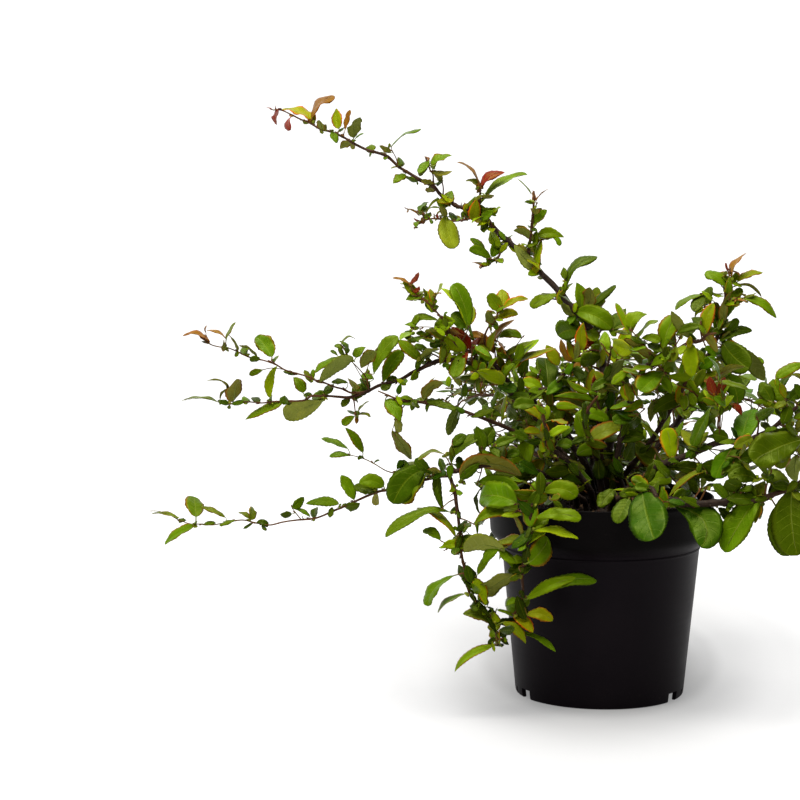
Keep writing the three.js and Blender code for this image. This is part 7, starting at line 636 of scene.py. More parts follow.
(-233.3,-85.6,271.6,-234.1,-85.8,269.7,-234,-84.8,275.1,-233.5,-83.7,280.1,5.5,-0.55,-0.81,0.2,"m"),
(-228.4,-83.7,269.7,-228.7,-83.7,268.7,-216.2,-87.2,281,-200,-91.2,291.6,12.5,-0.08,0.91,0.4,"u"),
(-233.9,-85.8,271.9,-231.8,-84.9,277,-224.3,-82.3,285,-213.6,-79.3,290.5,9.2,-0.34,-0.61,0.71,"m"),
(-207.6,-79.8,289.5,-213.5,-79.8,290.5,-216.8,-77.6,293.1,-219.8,-75,295,4.4,0.19,-0.52,0.83,"d"),
(-207.6,-79.8,289.5,-207.8,-79.9,289.7,-210.9,-79.4,294,-213.6,-78.7,298.6,5.5,-0.5,-0.84,-0.21,"m"),
(-205.8,-84.7,292.4,-205.6,-84.7,292.6,-206.8,-83.4,299.6,-212.4,-81.9,303.7,7.6,0.75,-0.36,0.55,"m"),
(-209.6,-88.1,299.4,-210.1,-88.5,300.2,-204.7,-86.8,306.5,-198.3,-84.9,304.8,6.1,-0.28,-0.27,0.92,"o"),
(-207.9,-86.6,296.2,-207,-86.5,296.8,-211.8,-86,299.1,-216.1,-85.3,299.9,5.5,0.16,-0.67,0.73,"m"),
(-202.6,-81.8,286.5,-198.6,-82.3,289.2,-196.5,-80.7,294.5,-190.8,-78.8,297.9,8.7,-0.2,-0.84,0.51,"m"),
(-182.9,-77.5,294.4,-182.6,-79,294.7,-190.3,-76.6,288.8,-195.5,-73.5,280.3,12.1,-0.14,0.84,0.52,"o"),
(-191.1,-73.6,277.9,-184.7,-74.9,275.6,-178.6,-70.8,292.7,-165.9,-66.2,306.1,14.6,-0.29,-0.86,0.43,"m"),
(-177.8,-66.5,266.3,-178.2,-66.4,267.5,-172,-63.9,281.9,-162.2,-61,293.4,13.1,-0.11,-0.96,0.26,"m"),
(-148.2,-59.3,286,-148.4,-59.3,286,-156.9,-57.3,294.7,-166.9,-55,301.9,13.3,0.35,-0.72,0.6,"m"),
(-190.9,-71.7,269.4,-184.9,-72.4,271.3,-190.4,-69.5,273.4,-196.3,-66.1,273.9,7.4,-0.24,-0.7,0.67,"m"),
(-189.3,-70.1,262.2,-189.3,-69.9,262,-193.5,-67,267.4,-197.3,-63.7,271.2,7.8,0.28,-0.67,0.69,"d"),
(-201.9,-74.6,254.6,-201.1,-74.6,255,-197.6,-68.2,261.3,-192.7,-60.7,266.8,12.2,0.16,-0.69,0.7,"d"),
(-200.1,-73.4,260.2,-200.4,-73.4,262.2,-201.4,-79.7,268.1,-203.8,-87.1,273.3,12.1,0.47,0.48,0.74,"o"),
(-208.5,-76.4,262.1,-205.6,-78.4,268.4,-212.2,-79.5,270.2,-219.2,-80.7,269.3,6.6,0.17,-0.68,0.71,"d"),
(-222.5,-80.7,257.6,-222.5,-80.5,258.7,-221,-76.8,264,-217.8,-72.5,267.7,8.3,-0.11,-0.71,0.69,"d"),
(-225.6,-82.7,268.6,-225.5,-82.7,268.7,-228.8,-81.2,269.7,-231.7,-79.4,269.9,3.9,-0.19,-0.65,0.73,"m"),
(-222.5,-80.7,257.6,-222.6,-80.5,257,-230,-76.8,257.6,-236.7,-72.3,254.4,9.3,-0.51,-0.72,0.47,"m"),
(-233.5,-84.5,258.1,-233.7,-82.9,258,-237.8,-82.7,259.8,-241.9,-82.9,257.9,5.5,-0.01,-0.69,0.72,"m"),
(-225.7,-81.8,257.7,-225.5,-83.1,254,-241.7,-80.7,247.7,-258.3,-77.8,242.5,16.5,0.07,0.97,0.25,"u"),
(-257.4,-90,253.8,-257.3,-90.3,253.6,-273.3,-92.6,247.5,-287.7,-95.3,239.2,9.9,-0.19,-0.73,0.66,"m"),
(-285.3,-94.3,253.5,-285.3,-94.2,253,-287.6,-90,255.6,-290,-85.1,257.7,7.2,0.18,-0.38,0.91,"m"),
(-276.4,-93.3,253.1,-276.5,-93.2,252.1,-279.4,-88.8,254.7,-282,-83.7,256.8,8.1,0.09,-0.4,0.91,"d"),
(-250.9,-88.9,254.1,-251.1,-88.1,251.8,-254.7,-92.6,254.9,-258.7,-97.8,254.4,8.7,0.71,-0.41,0.57,"d"),
(-266.1,-91.6,253.3,-266.1,-91.7,252.9,-267.8,-87.8,255.5,-268.9,-83.2,257.7,5.8,-0.78,-0.49,0.4,"m"),
(-297.3,-95.5,253.8,-297.4,-95.5,253.8,-294.3,-105.3,264.9,-291.3,-116.8,275.4,16.5,-0.66,0.43,0.61,"o"),
(-300.9,-93.5,264.7,-300.9,-93.4,265,-308.4,-94.9,271.4,-319.2,-96.6,270.8,7.4,0.2,0.45,0.87,"o"),
(-300.9,-93.5,264.7,-300.9,-93.4,265,-306.2,-92.1,261,-308.9,-90.6,254.8,4.9,-0.71,0.29,0.64,"o"),
(-300.5,-96.1,252.4,-300.6,-96.1,252.2,-304.9,-98.3,253.6,-308.8,-100.7,254.2,5.8,0.51,-0.67,0.54,"d"),
(-299,-95.9,252.4,-299,-95.9,252.2,-293.3,-97,253.4,-288,-98.3,255,4.9,-0.06,-0.87,-0.5,"m"),
(-306.8,-97,253.8,-309.6,-96.3,253.8,-325,-93.7,256.7,-341,-90.6,252.9,9.8,-0.04,-0.06,1,"o"),
(-199.8,-77.7,244.7,-200,-77.7,244.7,-203.6,-74.5,244.2,-207.3,-70.9,244.7,5.5,-0.5,-0.54,-0.68,"d"),
(-199.1,-78.6,241.8,-199.9,-78.7,241.5,-205.3,-79.6,238.1,-210.3,-80.7,234.3,7.4,-0.14,-0.88,0.45,"m"),
(-199.1,-78.6,241.8,-199.1,-78.7,241.5,-198.6,-79.3,238.3,-198.9,-80.1,235.1,3.9,0.59,-0.79,0.18,"b"),
(-199.2,-78.6,242,-197.4,-78.6,242.3,-192,-77.9,243,-187,-77.1,240.6,6.1,0.19,-0.23,0.96,"o"),
(-199.7,-77.8,244.3,-197.5,-77.9,244.7,-193.4,-76.8,250.4,-187.9,-75.6,253.6,6.1,-0.6,-0.32,0.73,"o"),
(-204.4,-74.5,256.6,-204.4,-74.5,254.9,-207.7,-78,252.4,-210.1,-82,249.1,6.8,-0.01,-0.6,0.8,"d"),
(-171.1,-64.2,268,-171,-64.1,267.3,-175.1,-68,265,-178.4,-72.7,262.4,7.4,0.19,-0.61,0.77,"d"),
(-165.5,-62.3,269.4,-165.4,-62.3,268.9,-161.7,-66.5,269.1,-158,-71.4,269,6.5,-0.52,-0.41,0.75,"m"),
(-150.3,-58.4,277.2,-150.1,-58.5,276.9,-152.7,-62.5,273.3,-155.9,-67.2,270.2,7.4,0.78,-0.61,0.12,"m"),
(-166.3,-62.6,269.2,-166.2,-62.5,268.9,-170.7,-63.5,270.4,-175.9,-64.7,269,6.8,0.19,-0.79,0.58,"d"),
(-148.1,-59.3,286.1,-145.7,-59,288,-149.5,-60.2,283.3,-150.8,-61.5,277.8,5.8,-0.31,-0.88,0.37,"d"),
(-142.4,-56,284.3,-142.2,-54.5,284,-143.3,-49.7,286,-145.5,-44.5,288.1,6.6,0.55,-0.15,0.82,"o"),
(-147.9,-59.4,286.9,-147.6,-59.4,286.8,-141,-60.4,292.4,-131.9,-61.6,296.1,9.2,-0.31,0.66,0.68,"o"),
(-143.8,-54.8,288.8,-141.4,-54.3,293,-147.9,-53.3,295.9,-153.9,-52.2,296.9,6.6,0.11,-0.67,0.73,"m"),
(-135.1,-53.9,284,-136.2,-54.2,281.9,-142.6,-53.2,286.3,-147,-51.6,294.6,5.7,-0.56,-0.76,-0.32,"d"),
(-130.5,-52.2,285.4,-130,-52.2,283.9,-123.2,-51.1,286.5,-117,-49.8,289.5,5.5,0.36,-0.79,-0.5,"m"),
(-87,-37.6,266,-88.9,-38.4,263.6,-96.2,-37.2,266.8,-103.1,-35.8,267.4,5.5,0.08,-0.67,0.74,"m"),
(-67.2,-29.4,234.1,-67.4,-29.5,234,-74,-23.2,239.1,-78.8,-16.1,244.2,11.6,-0.66,-0.72,0.2,"d"),
(-50.4,-22.6,238,-50.3,-24.1,239.1,-49.3,-28.2,241.4,-49.7,-32.7,243.5,5.1,0.31,0.48,0.82,"p"),
(-50.6,-22.9,237,-49.4,-21.3,238.7,-47.6,-19,242.2,-45.1,-15.8,244.5,4.2,-0.57,-0.39,0.72,"d"),
(-96.6,-51.5,269.8,-94.5,-51.9,273.2,-90.8,-56.8,280.6,-84.6,-59,288.1,10.9,-0.87,-0.39,0.31,"m"),
(-125.6,-38.5,284.3,-125.2,-34.7,285,-125.2,-27.2,286.4,-123.3,-19.8,285.5,8.4,-0.64,0.05,0.77,"l"),
(-141.6,-41.4,290,-142.2,-37.7,288.4,-143.5,-32.4,286.4,-143.5,-27.2,283.5,5.9,-0.68,0.21,0.7,"l"),
(-140.9,-42.1,289.7,-141.9,-42.9,289.8,-145.6,-44.2,290,-149.5,-44.8,289.6,5,-0.14,0.46,0.88,"l"),
(-129.2,-43.8,291.3,-130.1,-42.8,293,-133.1,-38.6,299,-136.6,-33.2,303.8,6.9,-0.23,-0.82,0.52,"h"),
(-72.5,-42.7,250.9,-71.2,-44.8,250.3,-67.6,-51.1,249.3,-63.8,-56.8,246.4,6.7,-0.26,-0.42,0.87,"m"),
(-129.4,-44.1,287.6,-132.1,-44,288.5,-139.4,-42.6,291.9,-147.7,-43.1,292.8,9.1,0.3,0.12,0.95,"m"),
(-129,-44.4,287.4,-128.3,-42,289,-127.3,-35.3,293.5,-124.1,-28.5,296.8,8.9,-0.43,-0.36,0.83,"m"),
(-128,-45.3,287,-128.6,-43.7,287.1,-131.4,-36.1,288,-134.2,-28.7,285.9,8.7,-0.39,-0.11,0.91,"o"),
(-96.2,-50.2,264.6,-96.4,-51.9,267.9,-97.4,-55.1,276.1,-96,-57.2,284.4,9.6,-0.55,-0.8,-0.25,"m"),
(-39.9,-22.5,207.3,-41.3,-21.8,207.1,-46.7,-19.6,206.5,-50.9,-15.7,205.3,5.4,-0.44,-0.48,0.76,"p"),
(-38.6,-21.5,207,-40.5,-22,205.9,-47,-23.2,202.4,-52.5,-25,197.5,8.1,-0.44,-0.35,0.83,"p"),
(-82.1,-47.7,271.2,-80.4,-47.3,273.2,-76.4,-47,278.6,-71.8,-44.5,283.1,7.8,-0.48,-0.68,0.55,"m"),
(-145.2,-47.8,290.4,-146.8,-47.7,290.9,-153.3,-47.3,294.6,-160.8,-47.3,295.1,7.6,0.31,0.46,0.83,"m"),
(-145,-48.6,290,-145.8,-47.7,288.6,-147.7,-45,286,-149.7,-43.7,282.5,4.4,0.13,0.86,0.49,"h"),
(-105.5,-57.6,298.1,-102.5,-61.5,298,-97,-69.2,295.2,-89.8,-74.5,290.8,9,0,-0.46,0.89,"m"),
(-66.6,-27.6,236.1,-66.8,-27,239.8,-67.6,-24.6,246,-67.6,-21.8,252.2,6.3,-0.92,-0.38,0.1,"o"),
(-66.4,-27.7,235.9,-67.6,-24.8,235,-70.5,-19.3,233.8,-71.9,-13.9,230.8,5.8,-0.36,0.17,0.91,"o"),
(-56.3,-28.4,233.4,-57.2,-31.4,236.5,-59.2,-34.5,239.6,-59,-38,243,4.7,-0.9,0.42,0.13,"h"),
(-74.8,-25,254.6,-76,-21.8,253.5,-81.4,-9.4,251.3,-85.3,2.3,245.2,13.9,-0.63,0.01,0.78,"m"),
(-74.4,-25.3,254.3,-77.2,-25,256,-87,-22.3,263.9,-99.1,-23.4,268.6,11.1,0.53,0.29,0.8,"o"),
(-127.1,-44.6,290.2,-125,-44.8,286.6,-129.2,-49.2,295,-133.7,-51.6,303.3,9,0.73,-0.67,0.11,"l"),
(-126.1,-51,285.2,-126.8,-54.2,282.5,-125,-56.6,287.6,-123.3,-57.9,292.6,5.1,-0.67,-0.74,-0.04,"y"),
(-65.8,-28.1,235.4,-69.5,-29.3,237,-61.1,-31,234,-52.9,-30.9,230.9,8.1,0.13,-0.82,0.56,"p"),
(-82.1,-36,262.3,-86,-38.9,263.7,-77.8,-43.3,262.2,-69.7,-45.9,260.5,10.6,-0.2,-0.76,0.62,"g"),
(-71.7,-33,254,-78.8,-32.9,254.2,-68.9,-37.3,254.4,-59.3,-39.7,254.4,10.1,-0.25,-0.71,0.66,"d"),
(-165.5,-62.3,269.4,-167.1,-65.6,271,-163,-66.9,268.5,-158.9,-67.2,265.9,4.8,0.14,-0.86,0.49,"l"),
(-103.5,-43.8,277.9,-102.7,-48.1,275.6,-103.6,-48.2,280.9,-104.5,-47.3,286.1,5.4,0.05,-1,0.08,"m"),
(-143.3,-54.4,287.4,-147.4,-54.6,285.4,-142.5,-56.7,287.9,-137.6,-57.7,290.3,5.3,-0.5,-0.26,0.83,"m"),
(-41.3,-21.9,218.3,-39.8,-23.9,221,-43.6,-26.6,213.4,-47.5,-27.6,205.6,10,-0.07,-0.96,0.27,"p"),
(-130.3,-52.1,285.4,-128.4,-52.8,283.3,-124.8,-54.6,279.5,-121.4,-55.3,275.5,5.8,0.25,-0.83,0.5,"h"),
(-143.4,-56.5,282.2,-143.9,-55.2,282.5,-146,-50.9,283.4,-148.2,-45.4,284.3,4.6,-0.4,-0.33,0.86,"m"),
(-130.3,-52.1,285.4,-129.8,-49.6,283.6,-129,-46.5,280.9,-128.3,-42.5,278.2,5,0.7,-0.52,-0.49,"h")]),
("cane_left_mid", [(-24,-8,137,4.03),(-24,-8,161.4,4.03),(-22,-12.8,170.7,3.67),(-17.4,-24,183.6,3.3),(-38.1,-36,203.4,3),(-58.5,-46,219.4,2.7),(-78.8,-54,230.9,2.4),(-95,-60,238,2.1),(-110.3,-64,244.1,1.9),(-119.1,-67,247.6,1.8),(-131.2,-70,249.4,1.6),(-139.2,-72,251.2,1.5),(-147.2,-74,253,1.4),(-155.2,-76,253.9,1.3),(-160.7,-78,254.1,1.2),(-169.5,-80,257.5,1),(-175,-82,260.1,0.8),(-180.6,-83,262.6,0.6)],
[[(-24,-8,160,0.77),(-28.5,-7.9,166,0.61),(-34.2,-7,167,0.42)],
[(-156.5,-76.5,254,0.77),(-160.7,-80.5,248.7,0.61),(-165.1,-84.1,240.8,0.42)],
[(-156.5,-76.5,254,0.46),(-164.9,-73.3,243.5,0.37),(-170.3,-71.7,228.7,0.25)],
[(-67,-49.3,224.2,0.79),(-73.8,-58.9,223.2,0.68),(-79.9,-66.4,221.2,0.55)],
[(-145.2,-73.5,252.5,0.53),(-147.4,-70.4,252,0.46),(-150.1,-67.5,251.6,0.37)],
[(-56.9,-45.2,218.2,0.69),(-59.5,-41.8,226.6,0.6),(-62.2,-39.5,235.2,0.48)],
[(-119.1,-67,247.6,0.86),(-123.2,-64.2,250.5,0.75),(-127.8,-62.2,253.4,0.6)],
[(-77.1,-53.3,229.9,0.65),(-82.8,-55.4,227.5,0.57),(-88.7,-57.2,226.5,0.45)],
[(-139.2,-72,251.2,0.53),(-141.2,-68.1,253.7,0.46),(-143.9,-64.7,257.3,0.37)],
[(-45.9,-39.8,209.5,0.87),(-47.7,-37.5,213.6,0.76),(-49.6,-35.3,217.3,0.61)],
[(-35.3,-34.4,200.8,0.9),(-40.7,-32,202,0.78),(-45,-30.1,203.6,0.62)],
[(-20.9,-15.6,173.9,0.77),(-24.2,-16.7,176.8,0.67),(-27.4,-18,179.3,0.53)],
[(-82.4,-55.3,232.5,0.78),(-86.8,-56.3,232.2,0.68),(-90.7,-57,231.7,0.54)],
[(-159.3,-75.4,250.5,0.34),(-163,-73.9,253.4,0.48),(-166,-72.7,256,0.39)],
[(-123.1,-68,248.2,0.64),(-125.6,-71.8,248.7,0.56),(-127.5,-74.7,249.6,0.45)],
[(-38.1,-36,203.4,0.71),(-40.9,-32.8,206.8,0.62),(-44,-30.3,211,0.5)]],
[(-145.5,-73.6,251.7,-144,-72.6,254.5,-138.4,-74.5,265.5,-127.3,-77.3,269.6,12.8,-0.36,0.69,0.62,"o"),
(-143.1,-73.3,251.3,-143.7,-72.1,253.4,-132.7,-74.7,252.1,-117,-77.3,247.9,7.2,-0.02,-0.76,0.64,"d"),
(-152,-75.7,252.7,-152,-75.2,253.9,-157.6,-76.5,256.5,-163.2,-78,256.5,5.2,0.32,-0.52,0.79,"m"),
(-151.2,-75.5,252.6,-150,-74.6,255.4,-152.1,-79.3,251.9,-153.2,-84.8,246.8,5.6,0.02,-0.65,0.76,"d"),
(-140.7,-72.7,251,-138.5,-72.1,252,-140.9,-73.8,250,-141.5,-76.1,244.3,5.1,-0.6,-0.59,0.54,"d"),
(-173.3,-81.2,259.4,-175.2,-80.3,255,-167.3,-85.4,248.7,-162,-91.3,239.2,14.3,0.14,-0.75,0.64,"m"),
(-165,-84,241,-165.1,-84.1,240.8,-164.8,-77.5,234,-167.2,-69.9,227.7,10.7,0.69,0.54,0.48,"o"),
(-107,-63.1,242.6,-106.5,-63.3,239.9,-96.9,-64.4,243.4,-86.5,-65.5,246.3,7.2,-0.28,-0.74,0.62,"d"),
(-127.1,-69.1,248.8,-126.2,-68.8,249.5,-123.6,-73.1,249.6,-118.4,-78.2,245.4,5.8,-0.14,-0.5,0.86,"d"),
(-170.2,-71.7,229,-170.3,-71.7,228.7,-162.2,-68.8,216.3,-155.2,-65.6,204.2,14.3,0.37,0.82,0.43,"o"),
(-44,-38.9,208,-47.1,-38.1,203.6,-50,-37.6,206.7,-52.1,-37,210.9,4.9,-0.4,-0.91,-0.14,"l"),
(-58.9,-46.2,219.6,-55.3,-45.1,224.3,-62.9,-48.8,208.2,-67.2,-53.1,191.2,18.2,-0.16,-0.94,0.29,"m"),
(-43.2,-38.5,207.4,-47.1,-36.6,201.7,-53.7,-41.7,195.3,-59.1,-47.7,187.2,13,0.06,-0.81,0.58,"y"),
(-83.8,-55.6,233,-81.3,-55.2,239.3,-88.3,-54.3,243.4,-94.5,-53.2,243.9,8.3,0.06,-0.84,0.54,"d"),
(-82.6,-55.2,232.5,-81.2,-56.4,236.1,-80.4,-54.3,246.6,-78.2,-51.9,257.1,6.5,-0.7,-0.67,0.24,"o"),
(-91.9,-58.2,236.3,-89,-56.2,244,-88.6,-55.8,252.2,-84.5,-55.3,261,7,-0.69,-0.69,0.22,"d"),
(-71,-50.9,226.4,-73.6,-52.1,217.5,-73,-48.7,224.2,-71.1,-44.8,231.2,8.1,-0.33,-0.81,0.49,"d"),
(-79.7,-66.1,221.3,-80.1,-68,218.6,-80.4,-73.6,211.3,-81.2,-77.4,203.1,9.8,-0.6,-0.66,0.45,"p"),
(-149.2,-68.6,251.6,-147.3,-65.4,254,-145.2,-60.2,257.5,-141.1,-55.8,260.4,6.6,-0.83,0.13,0.55,"m"),
(-61.9,-39.9,234,-64.5,-38.9,233.4,-73.9,-35,232,-83,-31.5,228.5,10.7,-0.24,-0.08,0.97,"d"),
(-61.5,-40.3,232.8,-61.1,-41.7,235.6,-59.6,-44.5,242.2,-59.4,-48.5,248.2,7.4,0.07,0.89,0.45,"g"),
(-127.4,-62.4,253.1,-128.5,-63.8,253.4,-132.1,-67,254.6,-134.7,-71.3,254.3,4.7,-0.08,0.23,0.97,"m"),
(-125.9,-63.4,252,-125.7,-61.6,252,-125.7,-57.8,252.2,-125.5,-54.1,251.3,4.2,-0.32,0.05,0.95,"m"),
(-87.1,-56.7,226.9,-87.5,-56.2,224.1,-88.7,-55.3,217.5,-88.8,-53.7,210.9,7.8,-0.66,-0.75,-0.03,"n"),
(-143.1,-65.9,256.2,-142.1,-66.6,258.4,-140.4,-69.1,266.5,-134.9,-71.1,273,8.6,-0.9,0.09,0.43,"l"),
(-142.9,-66.4,255.9,-142.8,-65.1,255.2,-143.3,-61.4,253.5,-142.5,-58.2,250.9,3.6,-0.38,0.46,0.8,"m"),
(-49.5,-35.3,217.1,-50.6,-33.9,216.6,-57.7,-22.2,212,-66.2,-12.2,205.9,11.6,-0.21,0.3,0.93,"d"),
(-49.1,-35.9,216.2,-51,-35.8,215.8,-58.9,-35.7,215.5,-66.1,-34.9,212,7,-0.19,0.21,0.96,"d"),
(-48.9,-36.1,215.8,-48.7,-35.8,220.1,-50.1,-33.8,229.3,-47.7,-34.8,238.5,8.6,-0.49,0.87,-0.04,"g"),
(-44.3,-30.4,203.4,-45,-28.6,204,-48.8,-17.8,209.3,-53.2,-5.7,210,12.5,-0.33,-0.4,0.86,"g"),
(-43.7,-30.7,203.2,-45.9,-31.3,201.3,-53.7,-33.2,195.6,-60.1,-35.6,188.6,7.9,-0.66,-0.02,0.75,"d"),
(-27.3,-17.9,179.2,-28.6,-18.2,179.1,-44.5,-21,178.7,-59.3,-23.9,172.8,15.4,-0.06,-0.51,0.86,"g"),
(-27.1,-17.9,179.1,-27.4,-19.1,180.4,-29.5,-24.5,187.5,-30,-31.4,193.6,8.9,-0.72,0.58,0.38,"g"),
(-26.5,-17.7,178.6,-29.6,-20.6,178.8,-38.9,-31,180.7,-48.4,-41.4,180.4,12.2,0.12,-0.03,0.99,"n"),
(-89,-56.6,231.8,-89.8,-57.1,229.7,-94.1,-59,221.9,-95.4,-60.3,212.9,7.2,-0.7,-0.6,0.39,"d"),
(-164.8,-73.3,255,-165.4,-72,254.8,-170.1,-65.4,254.7,-172.7,-58.1,251.9,8.2,-0.38,-0.06,0.92,"g"),
(-43.9,-30.4,210.8,-45.2,-31.7,212.2,-50.6,-38.4,218,-55.7,-47.1,222.4,8.7,0.21,0.44,0.87,"d"),
(-42.8,-31.6,209.4,-42.8,-32,212.9,-43.2,-31.7,217.9,-42.8,-33.5,222.6,4.1,-0.59,0.8,0.1,"n"),
(-68.2,-51,223.9,-75.8,-52.9,227.7,-67.4,-53.6,223.9,-59,-52.5,219.9,8.5,0.25,-0.84,0.49,"d"),
(-43.3,-30.8,203.1,-44.2,-33.8,202.4,-40.2,-33.1,205.6,-36.3,-31.5,208.7,5.6,-0.03,-0.93,0.38,"d"),
(-162.2,-74.4,252.8,-165.4,-77,253.4,-157.9,-77.6,252.7,-150.5,-76.8,252,8.5,0.07,-0.72,0.69,"h"),
(-115.5,-65.8,246.1,-118.8,-68.7,248.8,-114.8,-70.3,246.4,-111,-71,243.8,4.9,-0.02,-0.92,0.39,"g"),
(-164.3,-78.9,255.6,-165.7,-80,258.3,-163.3,-82,254.5,-161,-83.2,250.6,4.1,0.09,-0.9,0.42,"l"),
(-166,-72.7,256,-165.3,-72.9,258.7,-164,-73.8,263.6,-162.9,-73.7,268.4,4.7,-0.09,-0.99,-0.06,"g"),
(-149.1,-74.9,252.3,-147.9,-72.9,252,-142.5,-65.1,251.1,-137.3,-55.4,250,11.1,0.4,-0.13,0.91,"l"),
(-147.1,-71.5,251.6,-145.8,-70.8,251.9,-140.2,-68.1,253.2,-134.7,-64.1,254.4,5.8,0.26,-0.69,0.68,"d"),
(-149.5,-68.3,251.6,-149.2,-66,252.3,-148.4,-61.3,254.1,-147.8,-55.4,255.8,5,-0.1,-0.3,0.95,"m"),
(-148.9,-69.1,251.6,-149.2,-71.5,251.6,-150.2,-81.9,251.6,-151.3,-90.4,251.4,8,0.61,-0.08,0.79,"p")]),
("cane_left_up", [(-6,22,137,3.58),(-6,22,161.4,3.58),(-7.5,16,172.8,3.24),(-11,2,188.6,2.9),(-29.5,-8,216.8,2.6),(-51.2,-18,239.6,2.4),(-71,-26,258.7,2.2),(-80,-30.2,269.3,2.1),(-87.1,-34.9,279,1.9),(-94.2,-39.4,286.7,1.8),(-101.6,-42.9,291.3,1.6),(-109.7,-46.3,292.3,1.4),(-117.9,-50,297,1.2),(-124.3,-53,306.2,1.1),(-128.3,-55,317,0.9),(-132.3,-56,321.9,0.8),(-137.2,-57,327.7,0.7),(-142.8,-58,333.4,0.6),(-150.1,-59,338.4,0.5),(-155,-60,344.9,0.5),(-158.2,-60,348.2,0.4)],
[[(-94.2,-39.4,286.7,1.1),(-95,-41.6,295.2,0.99),(-96.5,-43.9,303.6,0.88),(-93.2,-46.2,312.1,0.76),(-89,-47.8,316.3,0.69),(-85.7,-49.8,323,0.59),(-82.3,-51.8,329.7,0.49)],
[(-80,-30.2,269.3,0.8),(-77.5,-31.9,277.8,0.62),(-75,-33,282.9,0.51),(-77.4,-34.4,289.6,0.36)],
[(-101.6,-42.9,291.3,0.7),(-104.9,-42.4,286.3,0.58),(-101.6,-41.9,281.3,0.46),(-95,-41.2,278,0.31)],
[(-138.6,-57.3,329.1,0.4),(-136.5,-58.5,334.6,0.32),(-135.2,-61,338.6,0.22)],
[(-124.5,-53.1,306.8,0.65),(-129.3,-55.4,308.3,0.52),(-134.7,-56.6,308,0.36)],
[(-96.4,-42.6,300.6,0.54),(-91.3,-42.1,301.8,0.43),(-86.9,-42.4,301.5,0.3)],
[(-101.6,-42.9,291.3,0.42),(-98.5,-44.8,281.8,0.34),(-97.9,-48.8,268.7,0.23)],
[(-128.7,-55.1,308.1,0.32),(-129.9,-54.4,304.6,0.26),(-132.4,-53.7,299.6,0.18)],
[(-67.6,-24.6,255.5,0.88),(-67.1,-24.6,264.1,0.7),(-64.5,-23.3,270.2,0.48)],
[(-117.2,-49.7,296.6,0.73),(-112.2,-50,305.2,0.58),(-109.6,-51.4,311.2,0.4)],
[(-98.3,-46.4,275,0.17),(-103.5,-50.1,273,0.14),(-110.8,-54.5,268.7,0.09)],
[(-124.5,-53.1,306.8,0.39),(-133,-55.1,307.6,0.31),(-141.9,-58.3,305.6,0.22)],
[(-80,-30.2,269.3,0.48),(-75.3,-31.4,288.9,0.38),(-66.1,-30.7,302.7,0.26)],
[(-124.5,-53.1,306.8,0.24),(-137.4,-59.9,312.7,0.19),(-153.5,-67.3,313.6,0.13)],
[(-92.1,-45.5,311.4,0.52),(-91.7,-43.5,314.4,0.45),(-91.5,-41.2,317.2,0.36)],
[(-84.3,-32.9,275,0.76),(-92.8,-30.2,277.6,0.66),(-103,-27.8,281.7,0.53)],
[(-91.4,-37.7,283.8,0.7),(-93.4,-37.1,284.3,0.61),(-95.3,-36.8,284.8,0.49)],
[(-131.1,-54,302.1,0.17),(-130.4,-54.1,301.6,0.59),(-129.4,-54.2,301,0.47)],
[(-66.2,-24.1,266.1,0.5),(-67.1,-20.3,270.2,0.52),(-68.5,-17.3,274.2,0.42)],
[(-103.8,-42.5,287.9,0.5),(-104.6,-42.9,288.4,0.6),(-105.6,-43.7,288.9,0.48)],
[(-43.1,-14.3,231.1,0.87),(-46.5,-15.6,232.2,0.76),(-49.5,-17.5,232.8,0.61)],
[(-87.1,-34.9,279,0.78),(-88.1,-32,287.2,0.67),(-88.9,-28.3,295.9,0.54)],
[(-11,2,188.6,0.81),(-13.3,2.9,191.6,0.7),(-15.6,3.7,194.1,0.56)],
[(-111.4,-47,293.2,0.62),(-113.7,-45.1,295.3,0.54),(-116.8,-43.4,297.4,0.43)],
[(-91.3,-42,301.7,0.35),(-90.8,-38.3,302.7,0.49),(-91,-34.9,305.1,0.39)],
[(-145.4,-63.6,313.1,0.13),(-145.8,-64,312.8,0.6),(-146.2,-64.3,312.4,0.48)],
[(-37.7,-11.8,225.4,0.74),(-43.1,-8.9,229.7,0.64),(-49.5,-5.6,233.5,0.51)],
[(-151.5,-66.4,313.5,0.11),(-154.7,-69.9,310.1,0.59),(-157,-71.8,307.1,0.47)],
[(-100,-47.5,274.1,0.13),(-100.8,-47.9,275.2,0.55),(-101.4,-48.2,276.2,0.44)],
[(-150.1,-59,338.4,0.4),(-152.1,-61.6,338.5,0.55),(-154,-64.2,339.2,0.44)],
[(-127.5,-54.6,314.8,0.54),(-128.7,-55.6,315.5,0.47),(-130,-56.4,316,0.38)],
[(-105.7,-44.6,291.8,0.71),(-109.5,-44.2,291,0.62),(-113.9,-44.9,290.1,0.49)],
[(-114.7,-49.8,300.9,0.53),(-117.4,-50.4,304.6,0.59),(-120.2,-51.5,307.8,0.47)],
[(-72.3,-26.6,260.2,0.81),(-74.8,-33.7,263.4,0.71),(-76.5,-41.4,265.5,0.57)],
[(-89.4,-46.5,314.2,0.54),(-90.6,-48.5,317.3,0.47),(-92.7,-51.3,320,0.38)],
[(-97.9,-41.3,289.2,0.76),(-101.8,-36.7,296.4,0.66),(-105.2,-33.4,304.1,0.53)],
[(-26.3,-6.2,211.8,0.67),(-29.5,-8.6,212.2,0.59),(-32.4,-10.6,212.5,0.47)],
[(-125.9,-53.8,310.5,0.67),(-126.7,-55.4,311.3,0.58),(-127.7,-57.5,311.9,0.46)],
[(-75.8,-33.6,285.3,0.37),(-76.5,-34.8,286.2,0.51),(-77.2,-36.2,287.1,0.4)],
[(-62.5,-22.6,250.5,0.7),(-62.6,-25.4,253.6,0.61),(-62.7,-28.4,258,0.49)]],
